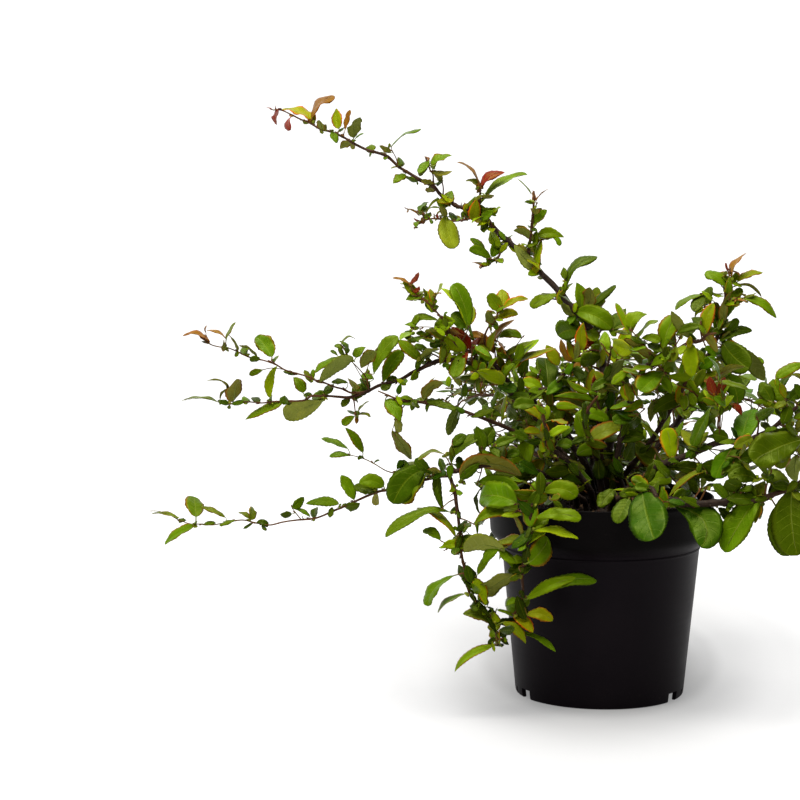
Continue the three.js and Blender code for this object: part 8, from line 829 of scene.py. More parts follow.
[(-157.5,-59.9,347.3,-156.6,-60,348.2,-164.1,-58.9,352,-171.6,-57.6,352.9,5.9,0.22,-0.38,0.9,"b"),
(-157.5,-59.9,347.3,-156.7,-60.1,348.4,-152.9,-58.9,351.9,-149.7,-57.5,357.9,6.8,-0.52,-0.64,0.56,"r"),
(-155.3,-59.6,344.7,-155,-60,344.9,-159.4,-53.9,347.3,-165.1,-46.8,347.5,10.1,0.11,-0.1,0.99,"o"),
(-153.3,-59.4,342.3,-154.2,-59.6,341.7,-159.1,-54.3,343.2,-163.4,-48.1,345.1,8.4,-0.65,-0.31,-0.7,"o"),
(-154.3,-59.5,343.4,-155,-60.1,342.4,-150.5,-60.7,343.2,-148.9,-61.2,346.8,4.2,-0.32,-0.92,0.21,"r"),
(-148.4,-58.7,336.9,-146.9,-58.5,337.7,-153.5,-59.8,337.4,-160.3,-61.2,335.4,9.6,-0.01,-0.62,0.78,"m"),
(-150.8,-59.1,339.3,-150.9,-59.1,339.2,-148,-54.9,341,-145.1,-50.1,342,6.5,-0.06,-0.26,0.96,"o"),
(-138,-57.1,328.4,-138.1,-57.4,325.7,-140.5,-56.1,333.9,-144.6,-54.3,343.3,8.8,0.35,-0.89,0.29,"l"),
(-136.6,-59.5,334.8,-137.9,-59.1,332.4,-139.1,-56.1,338.8,-140.3,-52.6,344.1,7.3,0.71,-0.54,0.45,"y"),
(-135.3,-60.9,338.4,-137,-61.3,337.3,-135.1,-58,340.5,-130.2,-54.2,340.8,6,-0.28,-0.2,0.94,"b"),
(-137,-57,327.5,-135.4,-57.1,325.3,-142.2,-56,329,-143.6,-54.1,334.8,5.6,0.52,-0.57,0.63,"m"),
(-136.8,-56.9,327.3,-135.9,-57.2,324.9,-136.3,-55,328,-133,-52.2,329.5,4.8,0.83,-0.56,0.08,"o"),
(-145.6,-58.3,334.7,-143.7,-57.7,337.5,-144.6,-58.6,341.4,-146,-59.7,345,3.8,0.76,-0.65,0.07,"o"),
(-143.4,-58,332.8,-142,-58,334.3,-144.1,-55.1,335.1,-146.6,-51.8,334.7,4.4,-0.25,-0.25,0.94,"b"),
(-109.7,-51.4,310.9,-109.6,-51.4,311.1,-113.3,-47.4,331.2,-122.6,-42.8,348.3,15.6,0.4,-0.85,0.34,"m"),
(-109.7,-51.4,310.9,-110.6,-51.8,313.6,-118.5,-48,332.9,-132.5,-44.3,346,9.2,0.66,-0.5,0.56,"l"),
(-109.8,-51.4,310.8,-110.3,-51.3,310.7,-115.8,-49.1,318.3,-124.2,-46.3,322.5,14,0.14,-0.84,0.52,"d"),
(-109.7,-51.4,310.9,-109.7,-51.3,311.9,-108.1,-52.5,310,-105,-53.5,304.5,3.5,0.51,-0.69,0.52,"d"),
(-108.5,-45.8,292.2,-108.1,-45.8,294.1,-115.2,-43.3,303.9,-124.2,-40.4,312.5,11.5,0.18,-0.89,0.42,"r"),
(-109.6,-46.3,292.3,-109.6,-49.3,291.8,-113.5,-52.3,283.9,-114.9,-54.8,274.9,5.8,-0.13,-0.97,0.21,"r"),
(-108.2,-45.7,292.1,-108.1,-45.7,292.4,-104,-44.2,299.3,-98.4,-42.5,305.5,8.8,-0.59,-0.57,0.57,"r"),
(-96.4,-43.6,302.8,-98.4,-43.1,303.7,-102.6,-47.7,306,-108.6,-53,306.1,8.8,0.56,-0.41,0.72,"b"),
(-95.2,-41.1,293.1,-95.1,-40.9,293.1,-98.2,-37,301.2,-102.2,-32.6,308.2,10.7,0.4,-0.7,0.58,"b"),
(-112.9,-50.7,304.9,-116.2,-50.5,307,-126.1,-51.7,308.9,-134.9,-53.1,308.7,7.8,-0.08,0.9,0.43,"b"),
(-134.6,-56.6,308,-134.7,-56.6,308,-129.1,-54.7,315.1,-119.4,-52.5,317.7,13,-0.07,-0.87,0.49,"l"),
(-111,-46.9,293.1,-110.6,-46.9,293.9,-121.5,-45.6,298.9,-131.4,-44.2,304.3,12.2,-0.17,-0.98,-0.09,"l"),
(-112.1,-47.4,293.7,-113,-47.4,292.2,-117.5,-54.4,282.4,-119.4,-62.7,272.1,14.8,-0.06,-0.78,0.62,"m"),
(-132.3,-53.7,300,-126.7,-53.2,297.1,-134.5,-54.6,299.2,-140.4,-56.3,296.5,9.2,0.14,-0.75,0.65,"d"),
(-131.7,-55.8,321.2,-133.3,-57.2,318,-147.8,-59.6,319.6,-155.1,-62.3,310.6,9.7,-0.17,-0.49,0.85,"m"),
(-153.2,-67.2,313.6,-151.8,-67.2,313,-155,-66.5,315.3,-161.3,-65.9,315.3,5.5,0.07,-0.71,0.7,"m"),
(-153.2,-67.2,313.6,-154.2,-68.3,310.4,-157,-71.8,309.5,-159.3,-75.8,306.8,6.2,0.03,-0.44,0.9,"d"),
(-135,-55.8,307.2,-135.6,-55.9,305.9,-139,-61.6,310,-139.1,-68,312.1,10.4,-0.22,0.5,0.84,"o"),
(-141.8,-58.2,305.7,-141.9,-58.3,305.6,-147.6,-59,308,-151.7,-59.7,307.3,6.6,0.22,-0.69,0.69,"m"),
(-138.5,-57.1,306.4,-138,-56.7,303.9,-142.1,-55.9,304.6,-148.8,-55,303.7,5.5,0.11,0.8,0.59,"o"),
(-132.4,-53.7,299.8,-132.4,-53.7,299.6,-130.4,-52.8,302.7,-131.8,-51.8,306.9,5.5,0.71,-0.69,0.11,"m"),
(-141.8,-58.2,305.7,-146.1,-58,304.3,-140.5,-61.3,302.4,-135.8,-65.2,302.9,6.7,-0.47,-0.54,-0.7,"o"),
(-129.5,-55.3,318.5,-127.5,-54.7,320.2,-128.2,-54.2,323.4,-125.9,-53.6,325.1,3.9,-0.66,-0.66,0.36,"m"),
(-128,-54.9,316.2,-121.7,-55.6,318.7,-125.9,-56.1,319.5,-129,-56.7,322.8,3.9,-0.28,-0.69,-0.67,"l"),
(-84.5,-50.5,325.3,-80.7,-49.5,324.5,-87.2,-47.9,331.5,-92.4,-46.2,340.3,11.6,-0.19,-0.98,0.06,"m"),
(-83.3,-51.2,327.7,-81.1,-50.4,327.6,-81.2,-44,335.8,-82.6,-36.7,343.2,12,0.26,-0.71,0.65,"y"),
(-83.3,-51.2,327.7,-81.1,-50.4,327.6,-71.7,-48.1,334.4,-60,-45.4,336.4,7.2,-0.08,-0.77,0.63,"y"),
(-87,-49,320.3,-84.4,-48.2,319.2,-77,-46.4,324.4,-68.2,-44.3,323.2,9.7,0.05,-0.81,0.59,"y"),
(-89.4,-47.7,315.9,-87.6,-46.6,316.4,-91.1,-53.4,320.8,-95.8,-61.9,323.7,11.2,-0.89,0.46,-0.03,"o"),
(-95.3,-41.4,294.3,-91.8,-41.1,294.7,-84.3,-38,308.8,-72.4,-34.6,319.1,11.9,-0.66,-0.41,0.63,"b"),
(-66.3,-30.7,302.4,-66.1,-30.5,302.4,-76.1,-32.2,306.6,-85,-34.1,302.6,9.7,0.16,-0.8,0.57,"m"),
(-92.4,-46.5,312.8,-89.3,-45.4,312.8,-90.9,-48.1,314.2,-92.8,-51.3,312.8,4.3,0.59,-0.36,0.72,"o"),
(-87.1,-42.4,301.5,-86.9,-42.3,301.3,-81.8,-43.7,296.7,-77.7,-45.3,288.4,9.8,0.77,-0.21,0.6,"b"),
(-95.2,-41,292.8,-92.2,-44,292.1,-90.8,-44.8,300,-86.8,-44.3,309.7,8.6,-0.54,-0.81,0.25,"o"),
(-96.1,-42.9,299.9,-98.7,-39.8,297.6,-94.9,-31.8,296.2,-89.2,-23.7,289.3,14.1,-0.04,0.52,0.86,"b"),
(-77.1,-34.2,288.7,-80.3,-34.6,287.4,-70.4,-31.8,294.6,-56.6,-28.3,300.8,7.3,-0.22,-0.67,0.71,"o"),
(-78.2,-31.1,275.8,-74.1,-32.4,274.7,-66.7,-28.9,289.4,-52.2,-24.9,301.6,13.5,-0.61,-0.48,0.63,"l"),
(-77.9,-31.2,276.8,-72.6,-32.7,276.4,-62,-29.7,286.9,-37.7,-25.1,294.9,10.8,-0.37,-0.37,0.85,"y"),
(-76.3,-31.3,284.3,-77.5,-31.2,284.6,-83.6,-29.6,290,-88.5,-27.8,295,8.7,0.28,-0.78,0.55,"l"),
(-82.1,-32.4,272.1,-81.6,-31.6,272.9,-84.2,-30.3,282.3,-86.8,-28.7,290.9,8.8,0.65,-0.7,0.3,"y"),
(-76.7,-31.3,282.5,-78.4,-29.6,282.8,-74.6,-24.4,286.6,-72.2,-18.9,291.9,8.8,0.86,-0.5,0.01,"m"),
(-64.6,-23.3,270.1,-65.6,-23.4,270.3,-64.5,-21.5,277.7,-60.5,-18.8,286,10.9,0.53,-0.84,0.07,"d"),
(-75.1,-33,283.1,-70.7,-37.1,285.1,-68,-36.3,291.3,-67.5,-34.5,298.1,8.7,0.35,-0.89,0.28,"m"),
(-77.4,-34.3,289.5,-79.2,-35.9,290.2,-76.4,-30.8,291.2,-74.9,-24.8,292.9,5.8,0.26,-0.32,0.91,"d"),
(-77.4,-34.3,289.5,-86.4,-35.2,293.1,-82.7,-33,292.9,-79.5,-30.5,295.5,7.5,0.59,-0.55,-0.59,"b"),
(-104.5,-42.5,287,-103.3,-42.4,286.2,-105.4,-38.8,290.8,-107.9,-34.7,293.8,6.8,0.34,-0.55,0.76,"m"),
(-98.4,-44.9,281.5,-98.1,-44.9,281.7,-98.8,-43.1,286.1,-95.1,-41.1,289.7,7.8,-0.34,-0.79,0.51,"d"),
(-103.6,-42.2,284.3,-108.3,-40.4,281.1,-108.3,-37.2,284.1,-105.4,-33.5,287.2,6.6,-0.43,-0.49,0.76,"b"),
(-101.6,-48.9,273.4,-103,-48.4,276.1,-108.5,-50.7,278.5,-112.6,-53.5,276.5,5.8,0.4,-0.7,0.59,"d"),
(-77.3,-29.6,266.3,-80.1,-27.4,263.9,-100,-30.7,270.5,-121.3,-34.9,270.1,14.7,0.19,-0.22,0.96,"y"),
(-77.3,-29.6,266.3,-80.1,-28,263.9,-86.9,-28.7,267.5,-94.1,-29.8,267.3,8.2,0.34,-0.5,0.8,"m"),
(-97.9,-48.7,269,-99.4,-47.9,270.2,-101.8,-49.2,265.7,-100.2,-50.6,258.2,6.6,-0.69,-0.69,0.2,"o"),
(-97.9,-48.5,269.7,-101.4,-46.7,269.3,-109.2,-45.3,268.5,-117.3,-43.7,269.7,9.2,-0.17,-0.85,-0.49,"d"),
(-110.5,-54.3,268.8,-111,-53.9,267.8,-112.1,-54.7,261.9,-112.5,-55.6,255.6,6.8,-0.43,-0.88,0.18,"d"),
(-91.9,-42.2,316.1,-90.8,-41.3,316.5,-84.6,-36.2,321.4,-77.5,-30.2,323.7,7.6,-0.2,-0.41,0.89,"o"),
(-101.7,-28.2,281.2,-102.3,-28.9,282.9,-105.2,-31,290.3,-109.3,-34.6,296.4,7.4,0.6,0.59,0.55,"p"),
(-100.4,-28.6,280.7,-101.8,-25,280.7,-104.4,-18.4,280.6,-106.8,-11.9,278.9,8.6,-0.45,-0.08,0.89,"m"),
(-95,-36.9,284.7,-96.4,-33.5,284.7,-100.2,-27.5,285.8,-103.9,-21.5,284.8,5.6,-0.53,-0.34,0.77,"m"),
(-94.4,-37,284.5,-96.5,-35.7,283.6,-100.7,-33.3,282.3,-104.3,-30.9,279.7,4.9,-0.44,-0.01,0.9,"m"),
(-129.4,-54.2,301,-129.6,-55.6,298.6,-129.4,-60.6,290.4,-131.2,-65.2,282.1,8.3,0.67,-0.67,0.33,"o"),
(-68.2,-18.2,273,-69.8,-16.3,273.6,-76.2,-8,276.8,-83.9,-0.1,277.8,12.6,0.23,-0.08,0.97,"m"),
(-68,-18.7,272.5,-68.2,-18.5,275.7,-68.2,-16.8,282.5,-69.2,-17.7,289.5,8,0.37,0.93,-0.03,"m"),
(-105.3,-43.5,288.7,-106.7,-43.5,287.6,-110.9,-42.5,285,-114.5,-41.4,281.5,4.4,-0.64,-0.23,0.73,"m"),
(-105.2,-43.4,288.7,-105.2,-47.1,290.7,-105.6,-50.5,293,-104.9,-54.2,294.8,4,-0.88,0.21,0.42,"m"),
(-48.4,-16.9,232.4,-50.3,-15.9,230,-55.7,-13.8,224.7,-59.2,-11.1,218.2,9,-0.8,-0.24,0.55,"d"),
(-88.9,-28.5,295.5,-87,-27.9,299.3,-84,-26.7,306.8,-79.3,-27.3,313.4,7.5,-0.88,0.13,0.45,"m"),
(-88.8,-29.1,294.1,-89.8,-25.9,295.2,-91.9,-20.9,298.4,-93.6,-14.8,299.6,5.7,0.17,-0.35,0.92,"m"),
(-15.1,3.6,193.5,-17.7,3.4,192.6,-33.9,2.8,190.2,-47.7,1,181.5,15.7,-0.33,-0.07,0.94,"n"),
(-14.7,3.5,193,-14.8,3.1,194.5,-15.9,1.9,200,-14.8,0.5,205.5,4.9,-0.9,0.43,0.06,"u"),
(-116.5,-43.6,297.2,-117.1,-41.6,299.5,-117.6,-37.9,306.9,-119.5,-31.8,312.2,9.4,0.03,-0.8,0.6,"h"),
(-115.6,-44.2,296.5,-115.8,-40.6,297.2,-115.5,-35.7,298.8,-116,-30.6,299.3,5.2,-0.02,-0.25,0.97,"o"),
(-91,-35.2,305,-91.7,-35.3,307.5,-92.2,-35.5,311.6,-93.6,-36,315.4,3.7,0.7,0.68,0.22,"y"),
(-91,-36.6,304.3,-90.7,-32.4,302.3,-90.5,-27.9,300.5,-89.9,-23.6,298.2,5.9,0,0.41,0.91,"p"),
(-146.1,-64.3,312.4,-148.6,-62.6,312.1,-152,-60.5,312.2,-155,-58,311.3,3.8,-0.56,-0.8,0.23,"l"),
(-49.3,-5.7,233.3,-50.9,-2.5,235.8,-52.4,1.2,239.6,-54.6,6.1,241.5,5.8,-0.2,-0.64,0.74,"h"),
(-47.8,-6.4,232.3,-49.8,-6.2,231.8,-55.1,-5,231,-60.2,-4.7,229,6,-0.22,0.16,0.96,"d"),
(-155.8,-70.6,308.4,-155.7,-71.6,306.6,-155.9,-73.5,303.7,-155.1,-74.7,300.6,2.8,-0.65,-0.69,0.31,"o"),
(-101.4,-48.2,276.1,-100.4,-49.5,280.4,-100.3,-51.7,286.7,-97.3,-53,292.6,6.8,-0.97,-0.01,0.23,"m"),
(-101.2,-48.2,275.9,-102.8,-50.1,276.3,-106.8,-49.7,277.3,-110.5,-48.2,277,5,-0.05,-0.02,1,"o"),
(-113.5,-44.9,290.1,-113.6,-43.5,288.3,-116,-38,283.1,-114.9,-32.3,277.3,6.8,-0.92,0.22,0.33,"m"),
(-112.3,-44.8,290.4,-115.5,-43.2,290.2,-119.7,-41.7,290.6,-123.8,-39.6,290.8,5.2,-0.14,-0.49,0.86,"m"),
(-75.9,-39.4,264.8,-79.2,-48.1,267.2,-89.4,-58.2,273.4,-101.4,-64.7,277.6,11.9,0.34,-0.91,-0.22,"l"),
(-104.9,-33.7,303.5,-106.9,-32.8,304.5,-110.8,-34,312.8,-117.7,-35.8,318.6,8.5,0.74,0.25,0.62,"h"),
(-103.6,-35.1,300.8,-103.6,-30.7,299.5,-102.3,-20.8,299.2,-100.6,-11.4,296,9,-0.14,0.16,0.98,"d"),
(-32.3,-10.5,212.5,-34.7,-12.5,209.5,-38.5,-13.5,205.8,-40.8,-14.3,200.8,5.3,-0.59,-0.6,0.54,"p"),
(-31.8,-10.2,212.5,-32,-11.4,213.6,-33.2,-16.1,216.9,-33,-20.1,221.3,5.4,-0.99,0.11,-0.06,"m"),
(-31.3,-9.8,212.4,-33.2,-9.8,212.3,-40.4,-10.9,212.4,-47.7,-10,211.1,7.4,-0.05,-0.45,0.89,"d"),
(-96.4,-29.8,279.2,-91.3,-31.4,276.3,-99.5,-34,281.7,-107.8,-34.5,287,9.9,0.48,-0.67,0.56,"h"),
(-44.5,-14.5,231.9,-44.4,-15.9,223.5,-44.1,-19.3,232.8,-43.9,-20.8,242,11.2,0.12,-0.96,-0.26,"p"),
(-93.6,-39,286,-89.6,-41.6,282.2,-96,-44.5,289.6,-102.6,-45.5,296.9,9.2,0.22,-0.97,-0.06,"m"),
(-32.3,-9.2,219.5,-35.4,-12.7,217,-30,-13.9,221.6,-24.6,-13.6,226,6.3,-0.33,-0.89,0.3,"d"),
(-113.8,-48.2,294.7,-112,-50.6,292.8,-116.4,-52.5,299.1,-120.9,-52.9,305.2,6.5,0.37,-0.93,0.09,"m"),
(-133.9,-58.1,311.1,-136.7,-59,314,-132.2,-61.3,310,-127.8,-62.4,305.8,6.9,0.45,-0.54,0.71,"l"),
(-127.9,-54.8,316,-126.1,-56.2,312.7,-127.7,-58.4,316.6,-129.5,-59.7,320.5,4.5,0.54,-0.83,-0.14,"o"),
(-102.9,-49.7,272.7,-100.1,-50.5,274.4,-103.8,-53.6,272.3,-107.6,-55.7,270.1,6,0.36,-0.84,0.41,"l"),
(-67.4,-24.6,259.7,-67.3,-26.5,255.2,-67.1,-27.4,262.6,-67,-26.8,269.9,7,0.44,-0.9,-0.02,"d"),
(-83.7,-51,327,-86.5,-53.9,325,-82.7,-54,327.9,-79.1,-53.2,330.6,4.1,-0.42,-0.66,0.63,"m"),
(-104.6,-44.2,291.7,-107.4,-47.1,288,-104.1,-47.5,292.4,-100.9,-46.7,296.7,5.6,-0.52,-0.74,0.42,"h"),
(-121.9,-51.9,302.9,-119.2,-53.4,301,-122.5,-56.1,304,-125.8,-57.8,306.9,4.8,0.66,-0.72,0.2,"m"),
(-68.2,-17.9,273.4,-69.7,-18.7,275.6,-66.9,-20.6,272.2,-64.2,-21.7,268.7,4.8,0.2,-0.83,0.52,"d"),
(-135,-55.8,307.2,-130.3,-57.6,304,-135.6,-59.1,308.2,-141.1,-59.2,312.2,7,0.39,-0.85,0.35,"o"),
(-76.6,-31.3,282.8,-75.4,-33.2,285.5,-78.8,-35.1,277.3,-82.3,-35.1,268.8,7.9,0.04,-0.99,0.1,"m"),
(-141.9,-58.3,305.6,-143.9,-59.5,305.2,-151,-64.8,303.7,-158.2,-68.4,302,8.2,0.08,-0.45,0.89,"m"),
(-146.1,-58.4,335,-147.2,-56.8,335,-150.6,-52.4,334.8,-154.2,-46.8,334.5,5.6,-0.27,-0.14,0.95,"l"),
(-155.2,-70,309.2,-155.5,-72.1,308.6,-156.4,-79.3,306.7,-157.4,-85.2,304.7,5.9,0.21,-0.31,0.93,"m"),
(-85.4,-49.9,323.5,-87.1,-49,323.7,-91.2,-47.4,324.4,-95.3,-44.8,324.9,5,-0.18,-0.58,0.79,"o"),
(-87.2,-48.9,319.9,-87.2,-47.9,318,-87,-46.2,313.9,-86.9,-43.6,309.7,4.8,-0.14,-0.88,-0.46,"m"),
(-148.5,-58.8,337,-149.6,-58.6,338.1,-156.2,-58.8,344.3,-163,-57.2,350.3,7.9,0.24,-0.9,0.36,"l"),
(-104.8,-33.8,303.3,-105.7,-33.2,302.8,-110.6,-30.7,300.1,-115.6,-26.9,297.3,6.6,-0.64,-0.46,0.62,"m"),
(-154.5,-69.4,309.9,-155,-70.6,309.7,-158.6,-80.8,307.9,-162.3,-89,305.9,8.9,-0.01,-0.2,0.98,"l"),
(-109.6,-51.4,311.2,-109.3,-49.8,313.6,-108.2,-45.2,321.9,-107.3,-38.6,330,9.5,-0.02,-0.82,0.57,"l"),
(-135.2,-61,338.6,-134.5,-62.2,340,-131.9,-66.8,344.7,-129.4,-70.1,349.4,7.7,-0.92,-0.2,0.33,"l"),
(-156.4,-71.2,307.8,-155.5,-70.8,307.1,-151.5,-70,304,-147.7,-68.2,300.8,4.6,0.66,-0.19,0.73,"m"),
(-153.5,-67.3,313.6,-152.8,-66.5,315.4,-151.1,-65,319.9,-149.5,-62.5,324.3,5.7,0.01,-0.91,0.41,"m"),
(-87.7,-48.6,319,-86.5,-50.3,319,-83.6,-55.2,318.9,-80.8,-59,318.8,4.7,-0.35,-0.25,0.9,"l")]),
("cane_centre_back", [(2,32,137,3.58),(2,32,161.4,3.58),(-0.4,30.2,169.4,3.29),(-5.9,26,178.5,3),(-19.8,26,202.5,2.9),(-36.9,24,224.9,2.6),(-52.3,22,238.7,2.4),(-60,20,249.1,2.3),(-52.3,18,254.5,1.9),(-42.1,16,256.5,1.7),(-35.3,14,265.3,1.5),(-29.4,11.9,271.5,1.3),(-23.6,9.7,279.3,1.1),(-16,10.7,285.2,1),(-9.2,11.7,289.4,0.8),(-2.5,13.2,288.5,0.7)],
[[(-29.6,24.9,215.3,0.77),(-27.4,25.3,220.9,0.62),(-25.1,26.9,224.7,0.43)],
[(-38.5,23.8,226.3,0.82),(-36.4,21.5,233.8,0.65),(-35.2,18,239.3,0.45)],
[(-5.9,26,178.5,1.8),(-1.4,7.8,245.9,1.44),(8.1,-21.8,294.8,0.99)],
[(-56,19,251.9,0.93),(-55.2,21.2,262.1,0.75),(-52.5,21.7,269.5,0.51)],
[(2,-2.8,263.3,0.7),(3.3,-1.1,268.1,0.61),(5,0.1,272.7,0.49)],
[(-42.1,16,256.5,0.77),(-34.5,17.9,254.8,0.67),(-26.3,20.2,256.1,0.53)],
[(-13.4,26,191.4,0.72),(-16.2,28.8,193.3,0.62),(-19,31.6,195.1,0.5)],
[(-4.9,21.7,194.4,0.68),(-10.1,25.8,200,0.59),(-13.7,30.6,205.2,0.47)],
[(0.6,1.4,256.3,0.56),(1.1,1.5,257.3,0.49),(1.6,1.6,258.2,0.39)],
[(-19.8,26,202.5,0.7),(-18.8,30.9,213.6,0.61),(-18.5,35.4,222,0.49)],
[(-2.6,28.5,173,0.68),(-10.1,29.9,175.5,0.6),(-17.8,31.9,177.4,0.48)],
[(-3.3,15.3,218.1,0.79),(-5.4,16,220.1,0.68),(-7.4,16.4,222.4,0.55)],
[(-46.2,22.8,233.2,0.72),(-46.9,24.4,236.2,0.62),(-47.4,26,239.3,0.5)],
[(-36.9,22.1,231.9,0.56),(-37.6,23,233.2,0.52),(-38.3,23.9,234.6,0.42)],
[(-27.4,25.3,220.9,0.49),(-29.2,24.8,223.7,0.61),(-30.2,24.3,226.4,0.49)],
[(-41.5,23.4,229,0.66),(-42.9,26.2,233,0.58),(-43.2,28.9,237.8,0.46)],
[(-0.4,4.6,251.1,0.69),(-1,2.9,251.4,0.6),(-1.3,1.2,251.7,0.48)],
[(-35.6,19.2,237.4,0.41),(-35.3,20,240.7,0.59),(-34.6,21,243.6,0.47)],
[(-33.3,24.4,220.1,0.84),(-31.9,20.2,228,0.73),(-31.5,14.6,233,0.58)],
[(-1.7,8.9,241.9,0.68),(-1.7,7.5,242.3,0.59),(-1.8,6.2,242.7,0.47)],
[(-39.4,15.2,260,0.9),(-33.5,16.4,260.3,0.78),(-27.6,18.1,259.6,0.63)],
[(-30.9,12.5,269.9,0.69),(-29,12.4,270.1,0.6),(-27.2,12.5,270.3,0.48)],
[(-24.7,25.4,208.9,0.7),(-30.5,29.8,210.7,0.61),(-34.6,35.3,213.4,0.49)],
[(-19.8,10.3,282.3,0.58),(-21.1,12,287.6,0.5),(-23.6,13.5,292,0.4)],
[(6.7,-17.6,287.8,0.7),(3,-18.8,291.7,0.61),(0.4,-20.1,296.6,0.49)]],
[(-13.9,11,286.1,-16,10.2,289.5,-17.8,10.6,300.5,-15.4,11.5,313.1,11.4,0.04,-0.99,0.12,"y"),
(-23.3,9.7,279.5,-24.4,9.7,281,-26.3,10.7,289.2,-29.6,11.8,296.9,8.7,0.49,-0.83,0.27,"y"),
(-23.3,9.7,279.5,-23.5,9.7,279.7,-30.6,11.3,286.4,-35.5,13.6,298.5,8.1,-0.55,-0.81,-0.18,"b"),
(-14.3,11,285.9,-16,11.8,288.5,-11.8,14.1,293.7,-6,16.8,296.7,5.8,-0.12,-0.78,0.62,"r"),
(-23.1,9.7,279.6,-23.6,9.8,280.2,-21.4,8,288.6,-21.1,6,298.2,7.7,0.65,0.76,0.07,"o"),
(-30.7,12.3,270,-36.3,14,275.5,-41.7,15.9,284.8,-47.5,18.1,292.9,11.5,0.22,-0.91,0.36,"y"),
(-45.9,16.8,255.7,-45.5,16.2,253,-46.5,26.3,267.9,-48.7,38,281.8,20.6,0.22,-0.77,0.61,"d"),
(-2.6,13.2,288.5,-0.7,14.3,283.3,-9.7,6.8,281.7,-18.3,-1.9,282,13.4,0.66,-0.69,-0.29,"d"),
(-27.3,11,274.7,-24.4,11.2,272.4,-18.4,4.4,270.2,-12.4,-3.4,268.8,12.5,-0.78,-0.61,-0.13,"d"),
(-27.6,11,274.4,-33.7,13.6,278.9,-30.2,18.8,281.4,-26.3,24.9,283.1,9.2,0.03,-0.36,0.93,"m"),
(-31.7,12.5,269.3,-34.5,12.4,272.2,-31.4,17.4,275.2,-27.1,23.2,278.1,8.2,-0.08,-0.44,0.9,"l"),
(-30.5,12.1,270.7,-30.3,10.7,270.7,-27.6,13.3,274.7,-24.5,16.7,277,6.6,-0.01,-0.65,0.76,"y"),
(-20.3,10.1,281.6,-18.5,10.2,279.3,-14.8,6.8,275.4,-10.8,3,271.6,7.4,0.63,-0.14,0.76,"b"),
(-0.7,5.6,249.4,-8.2,4.8,251.1,-9.3,6.5,262.8,-6.7,8.4,274.5,8.2,-0.54,-0.82,0.16,"y"),
(0.7,1.2,256.7,1.9,1.2,256.7,-0.9,2.9,265.4,-6.7,4.8,272.3,9.7,0.41,-0.81,0.41,"o"),
(0,3.4,253.2,1.1,3.4,253,3.3,1.8,251.1,-3.1,-0.1,248.3,5.5,0.73,-0.67,-0.15,"d"),
(2.2,-3.5,264.5,6,-4.2,264,10.6,-6.4,274.8,19.1,-9.1,283.8,13.6,-0.3,0.86,0.41,"u"),
(7.9,-21.2,293.8,8.1,-21.8,294.8,9.3,-22.9,289.7,12.3,-24.2,285.9,5.8,-0.5,-0.87,-0.01,"m"),
(-1.2,7.2,246.8,-4.8,6.7,247.6,-21.9,3.4,251.7,-40.8,-0.3,251.3,7.8,0.21,-0.79,0.58,"m"),
(-1.9,9.9,238.3,-7.2,8.4,238.9,-23.3,10.9,245.2,-39.4,13.8,247.4,7.7,0.27,0.82,0.5,"o"),
(-42.1,16.1,256.4,-42.1,16,256.5,-34.9,16.9,260.7,-26.9,17.9,265,8.7,-0.19,-0.82,0.53,"m"),
(-33.6,13.1,266.9,-30.2,11.8,263.8,-24.7,10.5,265.3,-18.4,9,263.3,7.8,-0.09,-0.53,0.84,"l"),
(-45.7,22.9,232.8,-42.1,24.8,236.8,-46.4,26.5,247.3,-51.8,28.5,258.6,8.7,0.47,-0.81,0.34,"y"),
(-47.2,22.7,234.1,-44.6,22.1,237,-44.2,22.5,247.3,-45.7,23,257.5,6.8,0.54,-0.84,0.06,"y"),
(-51.5,17.8,254.7,-51.4,17.8,254.5,-60.5,19.6,260.5,-70.3,21.7,260,12.1,-0.01,-0.84,0.55,"l"),
(-49.5,17.5,255,-48.9,16.9,251.2,-56,15.8,254.1,-62.4,14.4,253.1,8.3,0.22,-0.84,0.5,"m"),
(-59.6,19.9,249.4,-60,19.9,250,-67.4,18.4,253.5,-74.3,16.7,252.7,7.8,0.28,-0.78,0.56,"m"),
(-59.5,20.1,248.4,-60.8,20.1,247.4,-68.2,18.3,245.8,-75.1,16.3,244.2,8.3,0.1,-0.83,0.55,"d"),
(-52.6,21.7,269.4,-53.4,20,268.3,-57.4,21.4,270.4,-61.6,23.8,274.9,5.4,0.11,-0.79,0.6,"m"),
(-54.7,21.3,263.5,-52.5,22.8,262.6,-60,24.6,266.2,-67.1,26.2,269,7.7,0.09,-0.86,0.5,"m"),
(-2.4,12,230.4,3.8,18.1,229.4,10.7,23.7,238.4,18.1,28.1,246.4,12.1,-0.15,-0.79,0.59,"o"),
(-2.3,11.5,232.1,2.9,12,231.8,-9.3,14.3,235.4,-20.8,17,234.4,13.1,-0.15,-0.91,0.39,"m"),
(-2.7,12.9,226.8,3.8,14.9,226.3,-7.5,13.8,228.8,-18.1,12.4,229.8,8.9,0.17,-0.89,0.43,"d"),
(-25.2,26.8,224.5,-25.1,26.9,224.7,-29.8,24,231.8,-35.3,20.7,239,9.9,0.33,0.76,0.56,"o"),
(-35.2,18.1,239.2,-35.2,18,239.3,-40.3,19.1,239.4,-43.7,20.3,237.2,5.8,-0.34,-0.77,0.54,"m"),
(-25.5,26.7,223.8,-28.5,27.6,225.4,-31.1,21.6,233.1,-35.2,14.6,239.6,9.9,0.38,0.58,0.72,"o"),
(-23.5,25.6,207.4,-23.2,25.6,207.7,-26.2,26.2,212.9,-28.4,27,218.6,4.9,-0.43,-0.9,-0.09,"r"),
(4.9,0.1,272.5,6.2,0.7,273.1,16,6.3,278.3,25.2,14.8,279,14.6,-0.03,-0.36,0.93,"m"),
(4.3,-0.5,270.7,5,3.7,271,5.8,8.1,272.6,6.6,12.3,271.3,7,-0.04,-0.03,1,"d"),
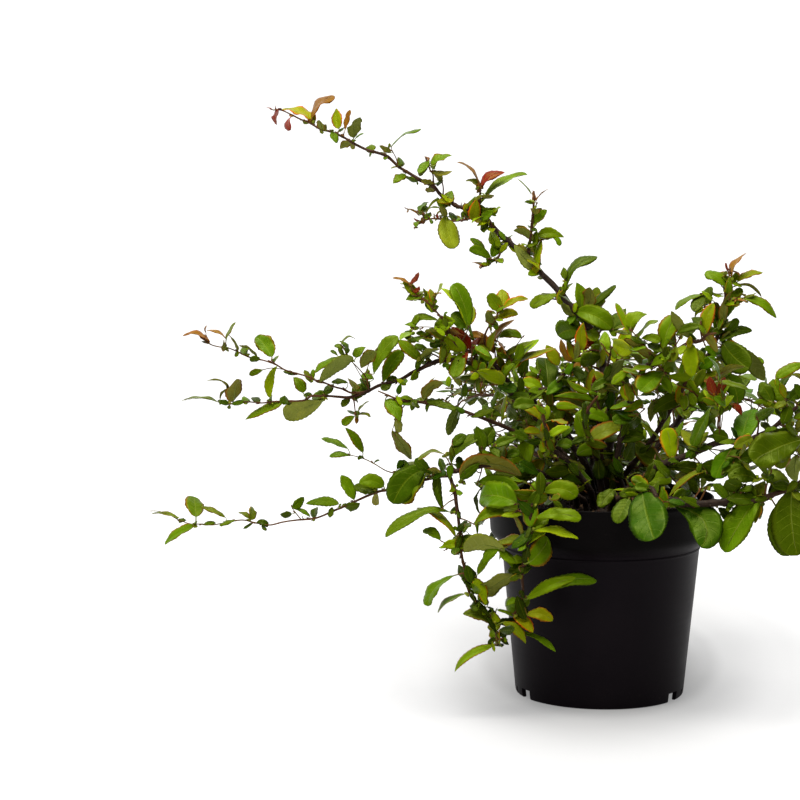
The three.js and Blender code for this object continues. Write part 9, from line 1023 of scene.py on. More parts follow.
(-26.5,20.2,256.1,-23.3,22.3,254.3,-13.8,29.2,249.3,-4.8,35.3,242.5,15.4,0.52,-0.01,0.86,"d"),
(-28.5,19.6,255.8,-27.3,20.1,257.9,-24.4,20.4,262.4,-21.2,22.5,266.2,6,0.26,-0.96,0.05,"d"),
(-18.9,31.4,195,-23,30.9,196.9,-35.9,29.1,203.5,-49.6,26.4,207.9,14.6,0.32,0.42,0.85,"d"),
(-18.2,30.8,194.6,-18.9,33.6,196.4,-22.6,43.4,202.4,-23.6,53.4,208.9,11.3,-0.57,-0.53,0.62,"m"),
(-13.6,30.4,205,-15.1,31.7,205.5,-24.8,39,210.1,-33.6,48.6,209.5,12.3,0.14,-0.09,0.99,"g"),
(-12.5,29.3,203.7,-12.9,27.8,205.3,-13.8,23.9,211.1,-15.4,18.1,214.8,6.5,-0.33,0.72,0.61,"d"),
(1.6,1.6,258.2,2.2,0.5,258.2,8.3,-10.2,259.5,13.5,-21.4,257.7,14.5,0.35,0.2,0.91,"o"),
(1.4,1.6,257.9,2.9,1.3,257.5,11.3,-1.6,256,19.7,-2.2,252.6,8,0.13,-0.43,0.89,"u"),
(-18.6,35.2,221.6,-20.1,36.2,222.2,-33.8,44.3,226.2,-49.1,50.3,225.3,14.2,0.09,-0.05,0.99,"p"),
(-18.7,33.7,218.3,-18.1,36.2,218.2,-16.3,45,218.8,-13.7,53.5,216.7,7.2,-0.02,0.07,1,"d"),
(-17.1,31.8,177.2,-17,32.6,178.1,-17.9,39.4,185.5,-16.4,46.2,192.6,10.2,-0.56,-0.59,0.58,"u"),
(-15.7,31.5,176.8,-16.5,29.5,179.2,-23.1,21.3,191.2,-24.2,9.4,202,13.4,-0.79,0.57,0.22,"d"),
(-14.2,31.1,176.4,-17,30.1,175.6,-26.4,26.8,174.2,-35,23.2,170.3,8.7,-0.3,0.07,0.95,"n"),
(-7,16.3,222,-7.5,18.7,222.3,-9.3,25.7,223.9,-10,33.1,223.3,9,-0.29,-0.15,0.95,"d"),
(-6.7,16.2,221.6,-10.1,14,221.6,-14.2,12,221.9,-17.7,9.1,221.3,3.7,-0.15,0.22,0.96,"d"),
(-47.4,25.8,238.9,-45,28.4,241.1,-34.7,36.2,251.6,-26.7,49.4,258,13.2,0.26,-0.75,0.61,"g"),
(-47.3,25.6,238.5,-49.2,26.7,239.1,-56.7,31.9,243.4,-66,35.9,243.4,9.3,0.29,0.02,0.96,"g"),
(-38.3,23.9,234.6,-37.5,26.5,236.2,-35.9,31,240.1,-34.3,36.6,242.4,5,-0.23,-0.47,0.85,"h"),
(-38,23.6,234,-38.7,26,234.8,-39.6,30.7,236.9,-41.4,35.5,237.3,5.6,-0.04,-0.3,0.95,"m"),
(-29.5,24.7,225.2,-31.4,22.1,226.1,-37.5,14.8,229.9,-43.3,6.6,231.8,11.4,0.23,0.18,0.96,"d"),
(-43.2,28.8,237.6,-43.4,32.6,238.2,-44.2,44.7,241.6,-44.4,57.3,240.5,12.3,-0.31,-0.12,0.94,"d"),
(-43,28.1,236.6,-44.9,29.8,235.9,-57.7,38,235,-66.8,48.5,228.7,17,-0.3,0.02,0.95,"g"),
(-1.1,1.9,251.6,-0.3,-1.9,253.6,1,-8.2,257.2,2.5,-15.1,259.6,7.1,-0.08,0.45,0.89,"o"),
(-34.8,20.7,242.8,-33.6,21.3,242.8,-27.6,25.2,244.2,-20.9,28,242.6,5.8,-0.15,0.23,0.96,"o"),
(-29.3,17.7,259.7,-28.2,16.7,258.4,-24.2,17.6,253.7,-21.2,18.4,248,6.9,0.79,-0.32,0.52,"u"),
(-27.3,12.5,270.3,-25.8,14.8,269.4,-18.9,23.1,267.5,-15.6,32.2,261.8,9.5,0.69,-0.15,0.7,"g"),
(-32.8,32.9,212.2,-34.4,33.3,213.2,-41.6,34.1,216.9,-49.3,34.8,219.5,7.5,0.41,0.06,0.91,"g"),
(-23.5,13.5,291.8,-25.4,15.5,293.2,-29.4,18.8,296.7,-33.5,23.3,298.3,6,0.23,-0.37,0.9,"d"),
(-23.2,13.2,291.2,-21.4,16.4,292.1,-18.7,20.7,294.9,-14.7,24.7,295.5,5.8,-0.27,-0.18,0.95,"d"),
(-22.7,12.8,289.8,-23.7,16.6,289.5,-25.6,21.7,289.3,-26.4,27,288.3,5.1,-0.13,0.04,0.99,"h"),
(0.5,-20,296.4,-1.6,-21.5,296.5,-5.5,-24.2,296.7,-9.3,-27.2,295.8,4.6,-0.02,-0.02,1,"d"),
(-37.4,15.6,259.9,-33.6,16.6,263.1,-40.1,10.4,257.6,-46.8,6.2,251.9,10.5,0.18,-0.82,0.54,"h"),
(2,-2.8,263.4,7.3,-3.1,266.3,-0.7,-7.7,262.1,-8.9,-10.3,257.8,10.3,0.06,-0.81,0.58,"d"),
(-26,10.5,276.3,-24.3,8.4,279.1,-27.3,6.7,274,-30.5,6.2,268.8,6.5,-0.23,-0.92,0.33,"h"),
(0.1,3.1,253.6,4,3.4,257.4,-0.8,-1.9,252.9,-5.7,-5.6,248.2,8.3,-0.12,-0.64,0.76,"m"),
(3.4,-7.3,270.7,2.1,-8.5,266.8,4.6,-11,273.4,6.9,-12.1,279.8,6.2,-0.41,-0.91,-0.1,"d"),
(-1.4,7.8,245.9,1.4,5.9,249.8,-3.4,3,242.9,-8.4,1.7,235.8,9.7,-0.2,-0.89,0.41,"d"),
(-35.5,17.7,255,-41.3,15.6,255,-33.9,14.9,255.3,-26.6,15.7,255.5,8.4,-0.03,-0.64,0.77,"d"),
(-35.6,19.2,237.4,-34.2,19.2,242.5,-36.3,13.5,233.9,-38.5,9.8,225.2,11.4,0.04,-0.88,0.47,"d"),
(-19.3,27.7,205.6,-19.3,28.5,212.4,-19,23.8,203.3,-18.8,21.1,194.1,8.5,0.59,-0.74,0.32,"m"),
(-21.9,9.9,280.5,-24.5,7.4,280,-19.2,5.8,281.5,-14,5.3,282.9,4.8,-0.24,-0.96,0.14,"m"),
(-59.4,20.2,248.3,-62.8,16.3,246.1,-54.6,15.2,251.9,-46.6,16.1,257.4,9.3,-0.4,-0.73,0.56,"o"),
(-34.1,13.3,266.4,-32.1,11.7,268.2,-35.2,9.9,265.4,-38.5,8.9,262.4,5.1,-0.39,-0.58,0.71,"p")]),
("cane_front_left", [(-20,-22,137,4.7),(-20,-22,161.4,4.7),(-20.4,-26.2,169.4,4.3),(-21.3,-36,176.9,3.9),(-43.4,-52,190.5,3.6),(-66,-64,198.5,3.3),(-82,-72,201.8,3.1),(-92.4,-76,202.2,3),(-107.5,-82,199.5,2.8),(-117,-85,198.2,2.7),(-122.5,-87,196.8,2.6),(-120.8,-88,191.2,2.5),(-119.1,-89,186.5,2.4),(-117.4,-90,180.9,2.3),(-116.6,-91,175.4,2.2),(-115.7,-92,169,2.1),(-114.8,-93,163.5,2),(-113.9,-94,156.3,1.9),(-113,-95,149.1,1.8),(-112.9,-96,142.7,1.7),(-112,-97,133.9,1.6),(-110.3,-98,125.9,1.5),(-107.8,-99,114.7,1.4),(-106.1,-100,104.3,1.3),(-102,-101,97.2,1.2),(-97,-102,91.7,1.1),(-92.2,-102,86.9,1),(-88.1,-103,82.2,0.9),(-84.8,-103,73.3,0.8),(-81.5,-103,61.9,0.6)],
[[(-108.5,-82.3,199.4,0.77),(-110.1,-84.5,195.7,0.62),(-111.2,-86.9,190.4,0.42)],
[(-116.7,-90.8,176.4,0.83),(-121.7,-93.9,174.4,0.66),(-126.7,-95.9,170.3,0.45)],
[(-112.9,-96,142.5,0.85),(-119.1,-94.8,139.7,0.68),(-124.4,-93.8,134.8,0.47)],
[(-96.2,-77.5,201.5,0.85),(-97.1,-79.3,196.3,0.68),(-99.3,-81.6,189,0.47)],
[(-114.5,-93.4,160.9,0.85),(-108.8,-97.4,160.3,0.68),(-101.4,-100.1,157.4,0.47)],
[(-88.7,-74.6,202.1,0.89),(-92.5,-76.6,210,0.71),(-96.3,-80.1,215.8,0.49)],
[(-120.1,-94.6,138.8,0.38),(-123.9,-95.1,140.8,0.31),(-126.8,-94.6,141.5,0.21)],
[(-91.4,-76,207.7,0.46),(-88.4,-77.4,213.8,0.36),(-86.6,-79.5,218.3,0.25)],
[(-120.2,-86,195.8,2.2),(-125.1,-85,194,2.1),(-131.7,-84,193.8,2),(-139.9,-83,191.1,1.9),(-150.6,-82,188.4,1.8),(-163,-80,184.6,1.7),(-173.8,-78,180.9,1.6),(-182.2,-76,178.9,1.5),(-198.2,-73,171.6,1.4),(-209.1,-71,166.2,1.3),(-219.3,-69,161.6,1.2),(-233.8,-66,155.1,1.1),(-250,-63,152.7,1),(-262,-61,150.6,0.9),(-273.2,-59,147.6,0.8),(-285.2,-57,148.8,0.75),(-296.4,-55,150.8,0.7),(-309.6,-52,148.5,0.65),(-322.6,-50,145.5,0.6),(-332.2,-48,145.8,0.55),(-341.1,-46,145.4,0.5),(-348.2,-44,146.7,0.5),(-354.4,-43,149,0.45),(-360.5,-42,152.1,0.4),(-367.5,-41,154.4,0.4),(-372.8,-40,155.1,0.35),(-377.9,-40,155,0.3)],
[(-139.9,-83,191.1,0.9),(-152.5,-79,192.9,0.81),(-163.4,-75.5,193.9,0.73),(-174.4,-72,195.7,0.65),(-186.3,-67.7,201.6,0.55),(-195.7,-64.6,205.3,0.48),(-206,-61.3,207.2,0.4)],
[(-246.5,-63.6,153.3,0.61),(-251,-65.4,159.3,0.49),(-253.7,-65.9,163.2,0.34)],
[(-120.4,-86,195.8,0.87),(-121.7,-89.1,204.3,0.7),(-124.6,-92.2,210.5,0.48)],
[(-120.4,-86,195.8,0.52),(-120.8,-82.9,210.1,0.42),(-120.6,-80.8,220.5,0.29)],
[(-50.3,-55.7,192.9,0.75),(-52.4,-57.2,191.7,0.65),(-54.4,-58.9,190.6,0.52)],
[(-84.8,-103,73.3,0.64),(-85.7,-99.2,73.5,0.62),(-87.1,-94.2,74.1,0.5)],
[(-82.2,-103,64.2,0.51),(-81.8,-101.4,65.2,0.47),(-81,-99.4,65.7,0.37)],
[(-148.4,-82.2,188.9,0.68),(-149.3,-78.2,188.1,0.59),(-150.6,-74.7,187.7,0.47)],
[(-97.1,-79.3,196.3,0.54),(-98,-77.6,196.1,0.54),(-98.8,-75.7,195.8,0.43)],
[(-109.8,-98.2,123.7,0.67),(-109.3,-97.2,124.3,0.58),(-108.9,-96.1,124.8,0.47)],
[(-120.6,-84.6,201.9,0.38),(-121,-82.9,203.4,0.56),(-121.2,-81.3,204.8,0.45)],
[(-113,-95.3,147,0.79),(-114.5,-92.7,146.5,0.69),(-115.8,-90.1,146.4,0.55)],
[(-36,-46.7,185.9,0.72),(-43.3,-48.3,186.6,0.63),(-51,-48,187.3,0.5)],
[(-57.3,-59.4,195.4,0.67),(-62.7,-58.2,204.5,0.59),(-70.1,-55.7,212.9,0.47)],
[(-156.8,-81,186.5,0.84),(-158.2,-80.7,189,0.73),(-159.3,-80.3,191.3,0.58)],
[(-83.5,-103,68.7,0.58),(-82.2,-107,71,0.56),(-80.4,-110.6,72.9,0.45)],
[(-98.7,-101.7,93.5,0.56),(-99.1,-103.9,94.7,0.48),(-99.5,-106.9,95.2,0.39)],
[(-21,-32.7,174.4,0.7),(-24.9,-35.4,175.7,0.61),(-28.5,-37.4,177,0.49)],
[(-112,-97,133.9,0.78),(-113.7,-104.6,135,0.68),(-115.2,-113.4,134.6,0.54)],
[(-122.7,-90.1,206.4,0.5),(-123,-89.5,207.9,0.59),(-123.3,-88.4,209.1,0.47)],
[(-88.4,-77.4,213.8,0.29),(-89.6,-77.6,215.6,0.6),(-90.6,-77.5,217.4,0.48)],
[(-127.3,-84.7,193.9,0.78),(-128.6,-82,195,0.68),(-129.6,-79.5,196,0.54)]],
[(-117.9,-85.3,197.6,-120.6,-84.4,204.1,-116,-81.9,216.4,-98.9,-78.8,225.6,13.1,-0.36,-0.74,0.56,"d"),
(-96.2,-80.1,215.7,-94.7,-80,215.8,-97.4,-79.4,225.2,-101.2,-78.7,234.6,11.1,0.24,-0.96,0.15,"d"),
(-96.1,-80,215.5,-96.8,-80.2,216.3,-92.8,-74.5,224.2,-87.6,-68,231.1,13.4,0.53,-0.79,0.32,"d"),
(-106,-81,199.8,-106.3,-77.6,205.8,-96.5,-77.2,209.6,-86.8,-77.6,209.6,8,-0.06,-0.95,0.29,"d"),
(-111,-86.6,190.9,-113.8,-86.6,193.5,-92.9,-81.3,204.9,-64,-76,192.9,18.9,-0.14,0.71,0.68,"o"),
(-111,-86.5,191.1,-111.3,-85.1,190.9,-113.1,-82.4,200.7,-114.9,-79.7,209.8,8.9,0.64,-0.73,0.25,"d"),
(-111.1,-86.8,190.6,-113.9,-87.1,191.5,-104.7,-86.3,198.6,-97.7,-85.7,204.9,7.8,0.12,-0.99,-0.04,"d"),
(-122.4,-87.1,196.5,-126.5,-86.3,196.9,-128.5,-81,202.5,-132.2,-75.2,207.5,7,-0.65,-0.67,0.35,"d"),
(-122.4,-87.1,196.5,-124.2,-86.2,199.9,-125.9,-81.7,200.9,-127.4,-76.4,201.8,4.4,-0.95,-0.29,-0.1,"b"),
(-122.3,-87.1,196,-128.2,-87,194.2,-135.4,-85.7,198.1,-142.3,-84.1,195.3,8.2,0.21,0.87,0.46,"o"),
(-126.6,-95.8,170.3,-126.8,-95.9,169.8,-129.8,-95,177,-131.9,-93.5,187,5,0.44,-0.86,0.25,"d"),
(-119.5,-88.8,187.4,-120.4,-88.6,189.5,-118.8,-92,184.7,-122.2,-96,183.2,5.8,0.74,-0.53,0.42,"m"),
(-118.1,-89.6,182.9,-116.7,-89.6,183.3,-114.1,-92.7,181.7,-113,-96.3,179.5,5.4,0.06,-0.48,0.88,"m"),
(-115.8,-92.1,166.6,-121.3,-92.4,165.7,-146.7,-98.3,164.1,-172.1,-105.1,145.8,13.1,-0.18,-0.56,0.81,"m"),
(-115.1,-95.4,141.5,-116.5,-95.5,145.7,-129.7,-91.7,162.1,-149.3,-87.8,169.2,10.2,0.44,-0.46,0.77,"y"),
(-115.8,-92.2,166.5,-120.7,-93.7,164.1,-118.8,-91,166,-116.8,-87.6,170.2,4.9,-0.26,-0.6,0.76,"d"),
(-115.8,-92.2,166.5,-114.8,-92.4,166.6,-113.9,-95.8,164.5,-114.3,-99.7,162.1,5.5,0.81,-0.27,0.52,"d"),
(-113.8,-94.7,149.3,-108.9,-96.1,150.1,-110.2,-90.3,154.1,-110.5,-83.7,158,8.9,-0.5,-0.51,0.7,"m"),
(-101.6,-100,157.5,-101.8,-98.7,156.9,-85,-94.4,168.1,-65.7,-90.8,169.8,16.1,-0.02,-0.82,0.57,"m"),
(-101.6,-100,157.5,-101.2,-100.2,157.7,-99,-101,156.8,-98.2,-102.8,147.3,4.8,0.74,-0.58,0.36,"m"),
(-99.3,-81.5,189.2,-99.5,-78.6,188.5,-82.3,-79.1,187.3,-66.1,-80.6,177,15.9,0.1,-0.89,0.44,"m"),
(-126.6,-94.6,141.4,-128.9,-94.7,142.8,-135.5,-92.6,148.8,-144.2,-90.1,150.4,9.3,0.15,-0.67,0.73,"m"),
(-112.4,-96.5,137,-108.9,-96.5,136.8,-117.3,-97.9,140.1,-127.3,-99.8,138.7,9,0.21,-0.83,0.52,"l"),
(-123.6,-93.9,135.5,-122.7,-93.7,136.9,-125.2,-95.9,138,-129.5,-98.7,137.4,4.4,0.41,-0.48,0.77,"l"),
(-124.3,-93.8,134.9,-124.4,-93.5,137.4,-127.3,-94.1,137.3,-130.8,-94.8,136.7,3.5,-0.05,-0.33,0.94,"o"),
(-112.4,-96.5,137.3,-114.6,-96.4,138.8,-115.7,-101.7,137.1,-116.7,-108.1,133,7.8,0.07,-0.58,0.81,"d"),
(-112.4,-96.5,137.1,-112,-96.6,137.1,-109.3,-95.1,143,-105.8,-93.4,148.1,7.8,-0.34,-0.83,0.44,"m"),
(-112.3,-96.7,136.1,-110.4,-96.7,136.3,-108.9,-94.6,135.4,-107.5,-92.2,137.3,4.9,0.83,-0.49,-0.26,"l"),
(-113.8,-94.8,149,-107.5,-94.2,150.4,-101.5,-97.5,145.9,-95.7,-100.6,149.9,4,-0.28,-0.45,-0.85,"d"),
(-111.6,-97.2,131.8,-114.8,-97.3,132.6,-112.7,-93.7,135.1,-110.8,-89.7,135.3,5.7,0.35,-0.48,0.8,"d"),
(-108.8,-98.6,117.8,-117.1,-101.4,115.5,-132.9,-104,104.5,-137.4,-106.1,90.8,14.6,-0.64,-0.46,0.61,"m"),
(-108.5,-98.8,116.5,-108.3,-99,113.8,-112.2,-95.5,118.3,-115.1,-91.5,122.4,8,-0.62,-0.77,0.17,"d"),
(-107.4,-99.3,110.9,-103.7,-101.5,109.8,-105.6,-100.9,117.7,-107.1,-99.5,124.1,8.9,0.39,-0.9,0.21,"d"),
(-106.4,-99.8,105.8,-105.3,-99.9,104.5,-106.5,-96.9,111.1,-109.8,-93.7,118,9.1,-0.35,-0.89,0.29,"d"),
(-107.3,-99.4,110.6,-102.1,-98.9,112.1,-95.6,-102.1,105.2,-91.2,-105.4,92,10.3,0.4,-0.79,0.47,"l"),
(-106.8,-99.6,107.9,-104.5,-99.6,108.3,-100.1,-106.4,105.7,-95.6,-114.4,104.7,7.8,-0.86,-0.52,0,"m"),
(-107.8,-99.1,112.8,-98.3,-99.2,116,-91.3,-97.1,129.1,-80.6,-94.5,140.7,8.1,-0.46,-0.75,0.47,"m"),
(-104.3,-100.4,101.3,-108.7,-100.6,100.4,-120.9,-102.6,94.9,-131.3,-104.6,85.9,12.4,-0.47,-0.33,0.82,"m"),
(-93.5,-102.2,88.1,-89.8,-101.6,91.8,-94.4,-97.2,95.5,-98.4,-92.1,98.8,7.8,0.09,-0.54,0.84,"m"),
(-99,-101.4,94,-97.1,-101.4,95.7,-99.6,-105.5,92.1,-97.4,-110.2,88.4,9.3,-0.43,-0.56,0.7,"d"),
(-86.1,-103,76.2,-86.5,-102.8,76.8,-96.4,-104.7,84.4,-109.9,-107,85.8,12.1,0.37,-0.63,0.68,"o"),
(-89.5,-102.8,83.8,-85.7,-101.7,86.9,-87.8,-98,88.4,-90.2,-93.8,89.4,5.5,0.23,-0.17,0.96,"d"),
(-84.2,-103,70.3,-82.4,-103,70.9,-84,-100.9,79,-86.7,-98.5,86.3,10,0.39,-0.85,0.36,"l"),
(-81.9,-103,62.9,-79.9,-103,63.6,-85.1,-98.6,67.1,-87.7,-93.4,71.3,9.3,-0.66,-0.72,0.23,"l"),
(-81.7,-103,62.3,-85.3,-103.3,59,-105.5,-107.2,50.8,-117.1,-110.4,38.3,9.9,-0.32,-0.63,0.71,"l"),
(-81.7,-103,62.3,-78.3,-103.1,57.9,-81.5,-98.7,59.1,-84.4,-93.6,59.8,8.8,0.07,-0.16,0.98,"d"),
(-81.9,-103,63.2,-74.8,-105.3,65.7,-75.8,-108.3,64.8,-75.1,-111.6,63.1,4.4,0.46,-0.37,0.81,"m"),
(-81.7,-103,62.3,-86.4,-103.3,62.4,-85,-104.2,58.3,-84.2,-105.5,54.2,3.4,-0.61,-0.79,0.04,"l"),
(-85.1,-103,73,-78.1,-103.7,78.2,-66.5,-106.6,73,-58.7,-109.8,62.3,10.3,0.27,-0.75,0.61,"y"),
(-86.7,-79.5,218.1,-86.6,-79.5,218.3,-77.9,-77.4,222.1,-68.1,-75,224.4,9.3,0.02,-0.84,0.55,"d"),
(-87.5,-78.8,216.2,-89.8,-78.8,217.3,-85.2,-82.8,214.5,-81.3,-87.5,210.4,8.3,0.02,-0.61,0.79,"d"),
(-82.2,-72.1,201.8,-82,-72,207.5,-73.8,-73.7,211.2,-65.6,-75.7,212.3,8.3,-0.32,-0.83,0.46,"d"),
(-120.6,-80.9,220,-119.7,-82.4,218.3,-116.4,-80.4,222.2,-109.5,-77.3,227.4,9.4,-0.04,-0.85,0.53,"d"),
(-132.5,-84.5,193.6,-131.6,-83.5,196.5,-131.5,-86.6,182,-125.9,-90.3,164.5,8.1,-0.26,-0.95,0.16,"d"),
(-137,-83.9,192.3,-139.2,-81,199,-156.1,-85.9,191.3,-167.7,-91.5,171.5,23.5,-0.03,-0.92,0.39,"d"),
(-138.9,-83.6,191.8,-139.8,-83.7,195.3,-153.7,-86.3,184.8,-163.8,-89.3,172.9,19.8,-0.36,-0.73,0.57,"m"),
(-124.6,-92.2,210.4,-125.8,-92.1,212.6,-137.3,-94.3,214.7,-147.1,-96.7,207.9,10.6,-0.18,-0.17,0.97,"o"),
(-195.9,-64.5,205.3,-194.8,-65.4,209.5,-200.9,-63.6,220.5,-210.1,-61.4,229.6,8.7,0.43,-0.77,0.48,"m"),
(-205.8,-61.4,207.2,-207.8,-59.5,211.9,-219.1,-57.6,217.1,-230.7,-55.5,220.3,7.8,0.22,-0.51,0.83,"m"),
(-205.8,-61.4,207.2,-206,-61.4,206.4,-214.3,-62.7,208,-223.1,-64.2,206.6,7.7,0.12,-0.67,0.73,"m"),
(-143.7,-83,190.4,-144.4,-82.6,190.2,-144.3,-81,187.4,-142.9,-78.4,191.8,5.5,0.92,-0.37,0.12,"d"),
(-353.9,-43.1,149,-353.5,-43.1,149.9,-365.9,-40.5,153.5,-378.4,-37.6,152.9,6.7,0.04,-0.34,0.94,"o"),
(-351.6,-43.5,148,-352.6,-43.4,145.7,-350,-41,147.6,-346.7,-38.2,147.5,5.5,0.18,-0.5,0.85,"d"),
(-337.5,-46.8,145.4,-337.6,-46.8,144.7,-351.7,-48.8,138.3,-363.2,-51.2,128.1,9.9,-0.28,-0.73,0.62,"m"),
(-337.5,-46.8,145.4,-337.2,-48.3,151.7,-339.6,-39.5,159.5,-342.2,-29.3,166.7,17.3,0.36,-0.52,0.78,"m"),
(-310.6,-52.3,147.9,-311.3,-51.5,151.8,-322.2,-49.6,158.1,-333.9,-47.4,161.8,6.5,0.28,-0.49,0.83,"o"),
(-331.3,-48.1,145.4,-331.4,-48.2,145,-325.5,-49.1,146.9,-320,-50.1,147.2,4.6,-0.25,-0.71,0.65,"m"),
(-302.5,-53.8,149.6,-302.5,-53.6,150.5,-309.8,-54.5,148.7,-316.6,-55.5,146.4,5.5,-0.11,-0.7,0.71,"m"),
(-289.8,-56.1,149.9,-289.5,-56.2,151.1,-288.8,-51.6,156.7,-290.1,-46.4,161.4,8.7,0.68,-0.51,0.53,"o"),
(-290,-56.1,149.9,-289.5,-56.1,152,-294.9,-55.2,155.6,-300.7,-54.2,157.4,5.9,0.28,-0.56,0.78,"o"),
(-287.6,-56.5,149.6,-287.8,-56.6,148.7,-291.9,-57.4,146.2,-295.9,-58.4,143.8,3.8,-0.23,-0.72,0.66,"d"),
(-285.1,-56.9,149.3,-285.2,-57,148.8,-279.6,-58,149.6,-274.8,-59.2,145.9,5.8,0.03,-0.73,0.68,"d"),
(-279.9,-57.8,148.5,-280,-57.9,147.3,-278,-60.3,145.2,-275.9,-63.1,143.2,4.4,0.41,-0.35,0.84,"d"),
(-251.5,-65.2,159.9,-253.8,-65.8,158.1,-258.4,-68.7,157.8,-262.9,-72.1,159,6.8,0.48,-0.76,-0.44,"d"),
(-253.6,-65.8,162.9,-253.7,-65.9,163.2,-249.1,-63.3,166.9,-244.4,-60.4,171.7,8.2,0.52,-0.86,-0.02,"m"),
(-238.7,-65.1,154.2,-238.9,-65.1,155.7,-245.6,-63.7,160.5,-253.4,-62,162.6,5.2,0.28,-0.49,0.82,"m"),
(-212.9,-70,164.7,-214.1,-71.3,167.8,-227.5,-68.7,169.5,-242.1,-65.6,166.6,9.3,-0.19,-0.81,0.56,"m"),
(-234.7,-65.8,154.9,-234.7,-65.8,154.2,-235.3,-60.6,157.8,-236.1,-54.5,161.7,8.3,-0.51,-0.51,0.69,"d"),
(-218.9,-68.9,162,-220,-69.9,165.1,-220.6,-72.2,161,-221.1,-74.8,156.7,5.8,-0.38,-0.78,0.5,"d"),
(-200.9,-72.4,170.3,-201.5,-72.5,171.5,-206.2,-70.1,182,-212.8,-67.4,191.4,10.9,0.36,-0.83,0.42,"m"),
(-181.6,-76.1,179.1,-182.2,-76,179.7,-192.2,-74.7,181.6,-202.3,-73.2,183.2,11.4,0,-0.79,0.62,"d"),
(-175.8,-77.2,180.8,-176.2,-78.4,183.4,-186.1,-80,188.6,-196.4,-81.8,186.1,13.3,0.2,-0.88,0.43,"m"),
(-209.6,-70.7,166.3,-210,-70.9,167,-203.2,-72.6,165.9,-196.4,-74.5,169.4,8.7,-0.15,-0.88,-0.45,"d"),
(-183.3,-75.8,178.4,-183.1,-75.9,179.7,-182.9,-68.4,173.5,-188,-59.8,168.1,12.3,0.91,0.38,0.14,"o"),
(-185.9,-68,200.9,-185.5,-68,201.7,-183,-67.5,203.5,-180.6,-66.9,204.1,2.6,-0.26,-0.58,0.77,"d"),
(-194.3,-65,204.6,-194,-65,205.3,-196.7,-66.3,205.8,-198.7,-67.7,204,4.4,0.11,-0.59,0.8,"d"),
(-54.4,-58.8,190.6,-55.6,-58.8,190.7,-71.1,-60.3,192,-86.3,-57.4,194.5,18.5,0.03,-0.91,0.4,"p"),
(-53.6,-58.2,191.1,-57,-56.9,189.1,-66.5,-54.7,183.8,-74.6,-49.5,177.9,10.5,-0.57,-0.47,0.68,"p"),
(-86.9,-94.9,74,-86.3,-93.8,75.9,-85,-91,81.8,-82.4,-87.8,87.1,7.7,-0.93,-0.11,0.35,"n"),
(-86.7,-96.1,73.9,-89.3,-94.3,75.1,-92.7,-91.9,76.9,-96.8,-89.7,77.7,5.3,0.36,-0.06,0.93,"n"),
(-81.1,-99.7,65.6,-79.3,-98.2,65.6,-69.3,-88.8,67.7,-58.2,-80.8,65,13.9,-0.04,0.07,1,"n"),
(-150.3,-75.7,187.9,-151.6,-71.9,189.8,-157.5,-60.2,196,-160.2,-46.8,200.9,16.1,-0.23,-0.49,0.84,"u"),
(-98.8,-75.8,195.8,-100.4,-74.8,196.6,-109.2,-67.8,201.9,-120.3,-63.4,205.4,12.6,0.47,0.07,0.88,"u"),
(-109,-96.3,124.7,-108.5,-94.6,122.7,-105.2,-85.1,115.1,-104,-78.8,104.2,10.7,0.23,0.71,0.67,"n"),
(-121.2,-81.6,204.5,-119.9,-79.3,203.1,-114.8,-70.7,200.1,-111.3,-63.7,193,12.1,0.16,0.46,0.87,"g"),
(-115.8,-90.2,146.4,-113.4,-86.8,145,-106.7,-78.2,142.8,-100.9,-70.5,137.2,10,-0.13,0.47,0.87,"u"),
(-115.3,-91.2,146.5,-114.7,-90.7,144.7,-113.5,-87.5,138.6,-111.2,-87,132,6.9,0.08,0.95,0.3,"d"),
(-159.1,-80.3,190.8,-159.3,-78.3,192.9,-160,-72.3,199.6,-160.7,-65.5,205.3,8.3,-0.08,-0.72,0.69,"h"),
(-158.7,-80.4,190.2,-160.8,-77,190.3,-163.8,-72.8,191.4,-166.1,-68,190.6,5.8,0,-0.05,1,"d"),
(-99.3,-105.9,94.9,-100.8,-107.8,98,-102.8,-110.6,104.1,-106.1,-114.4,109.1,6,0.92,-0.08,0.37,"n"),
(-27.8,-37,176.8,-29.4,-39.7,176,-36.7,-52.1,173.7,-43.5,-64,169.1,16.6,-0.23,-0.14,0.96,"d"),
(-90.4,-77.6,216.9,-92.3,-75.7,219.2,-97.8,-71.5,225.9,-103.4,-65.7,231.2,8.9,0.21,-0.67,0.72,"g"),
(-129.3,-80.3,195.9,-128.3,-77,196.7,-127,-68.6,199.7,-123,-60.6,201.4,7.5,-0.67,-0.01,0.74,"d"),
(-92.2,-102.4,86.7,-87.3,-105.2,82.3,-93.3,-106,88.5,-99.4,-105.1,94.5,7.6,0.62,-0.48,0.62,"n"),
(-52.9,-57.1,193.9,-48.9,-61.2,192.1,-57.7,-62.6,197.6,-66.6,-62,202.9,11.5,0.34,-0.8,0.5,"g"),
(-114,-95.6,142,-112.1,-96.5,147.8,-113.9,-99.2,141.7,-115.8,-100.6,135.4,6.3,0.36,-0.91,0.2,"p"),
(-120.7,-82.3,213.6,-121.8,-82.4,217.2,-120.2,-84.9,213.2,-118.8,-86.5,209.1,4.6,0.22,-0.83,0.51,"p"),
(-107.1,-99.5,109.2,-109.1,-102.1,111.5,-105.3,-102.6,108.2,-101.5,-102.2,104.9,4.4,0.42,-0.76,0.5,"n"),
(-85.6,-103,74.5,-82,-103.7,68.6,-85.8,-107.1,75.9,-89.7,-108.8,82.9,7.5,0.82,-0.52,0.26,"n"),
(-135,-84.2,192.9,-138.2,-86.5,191.4,-131.4,-89.1,195,-124.6,-90.1,198.6,8.3,-0.51,-0.45,0.74,"g"),
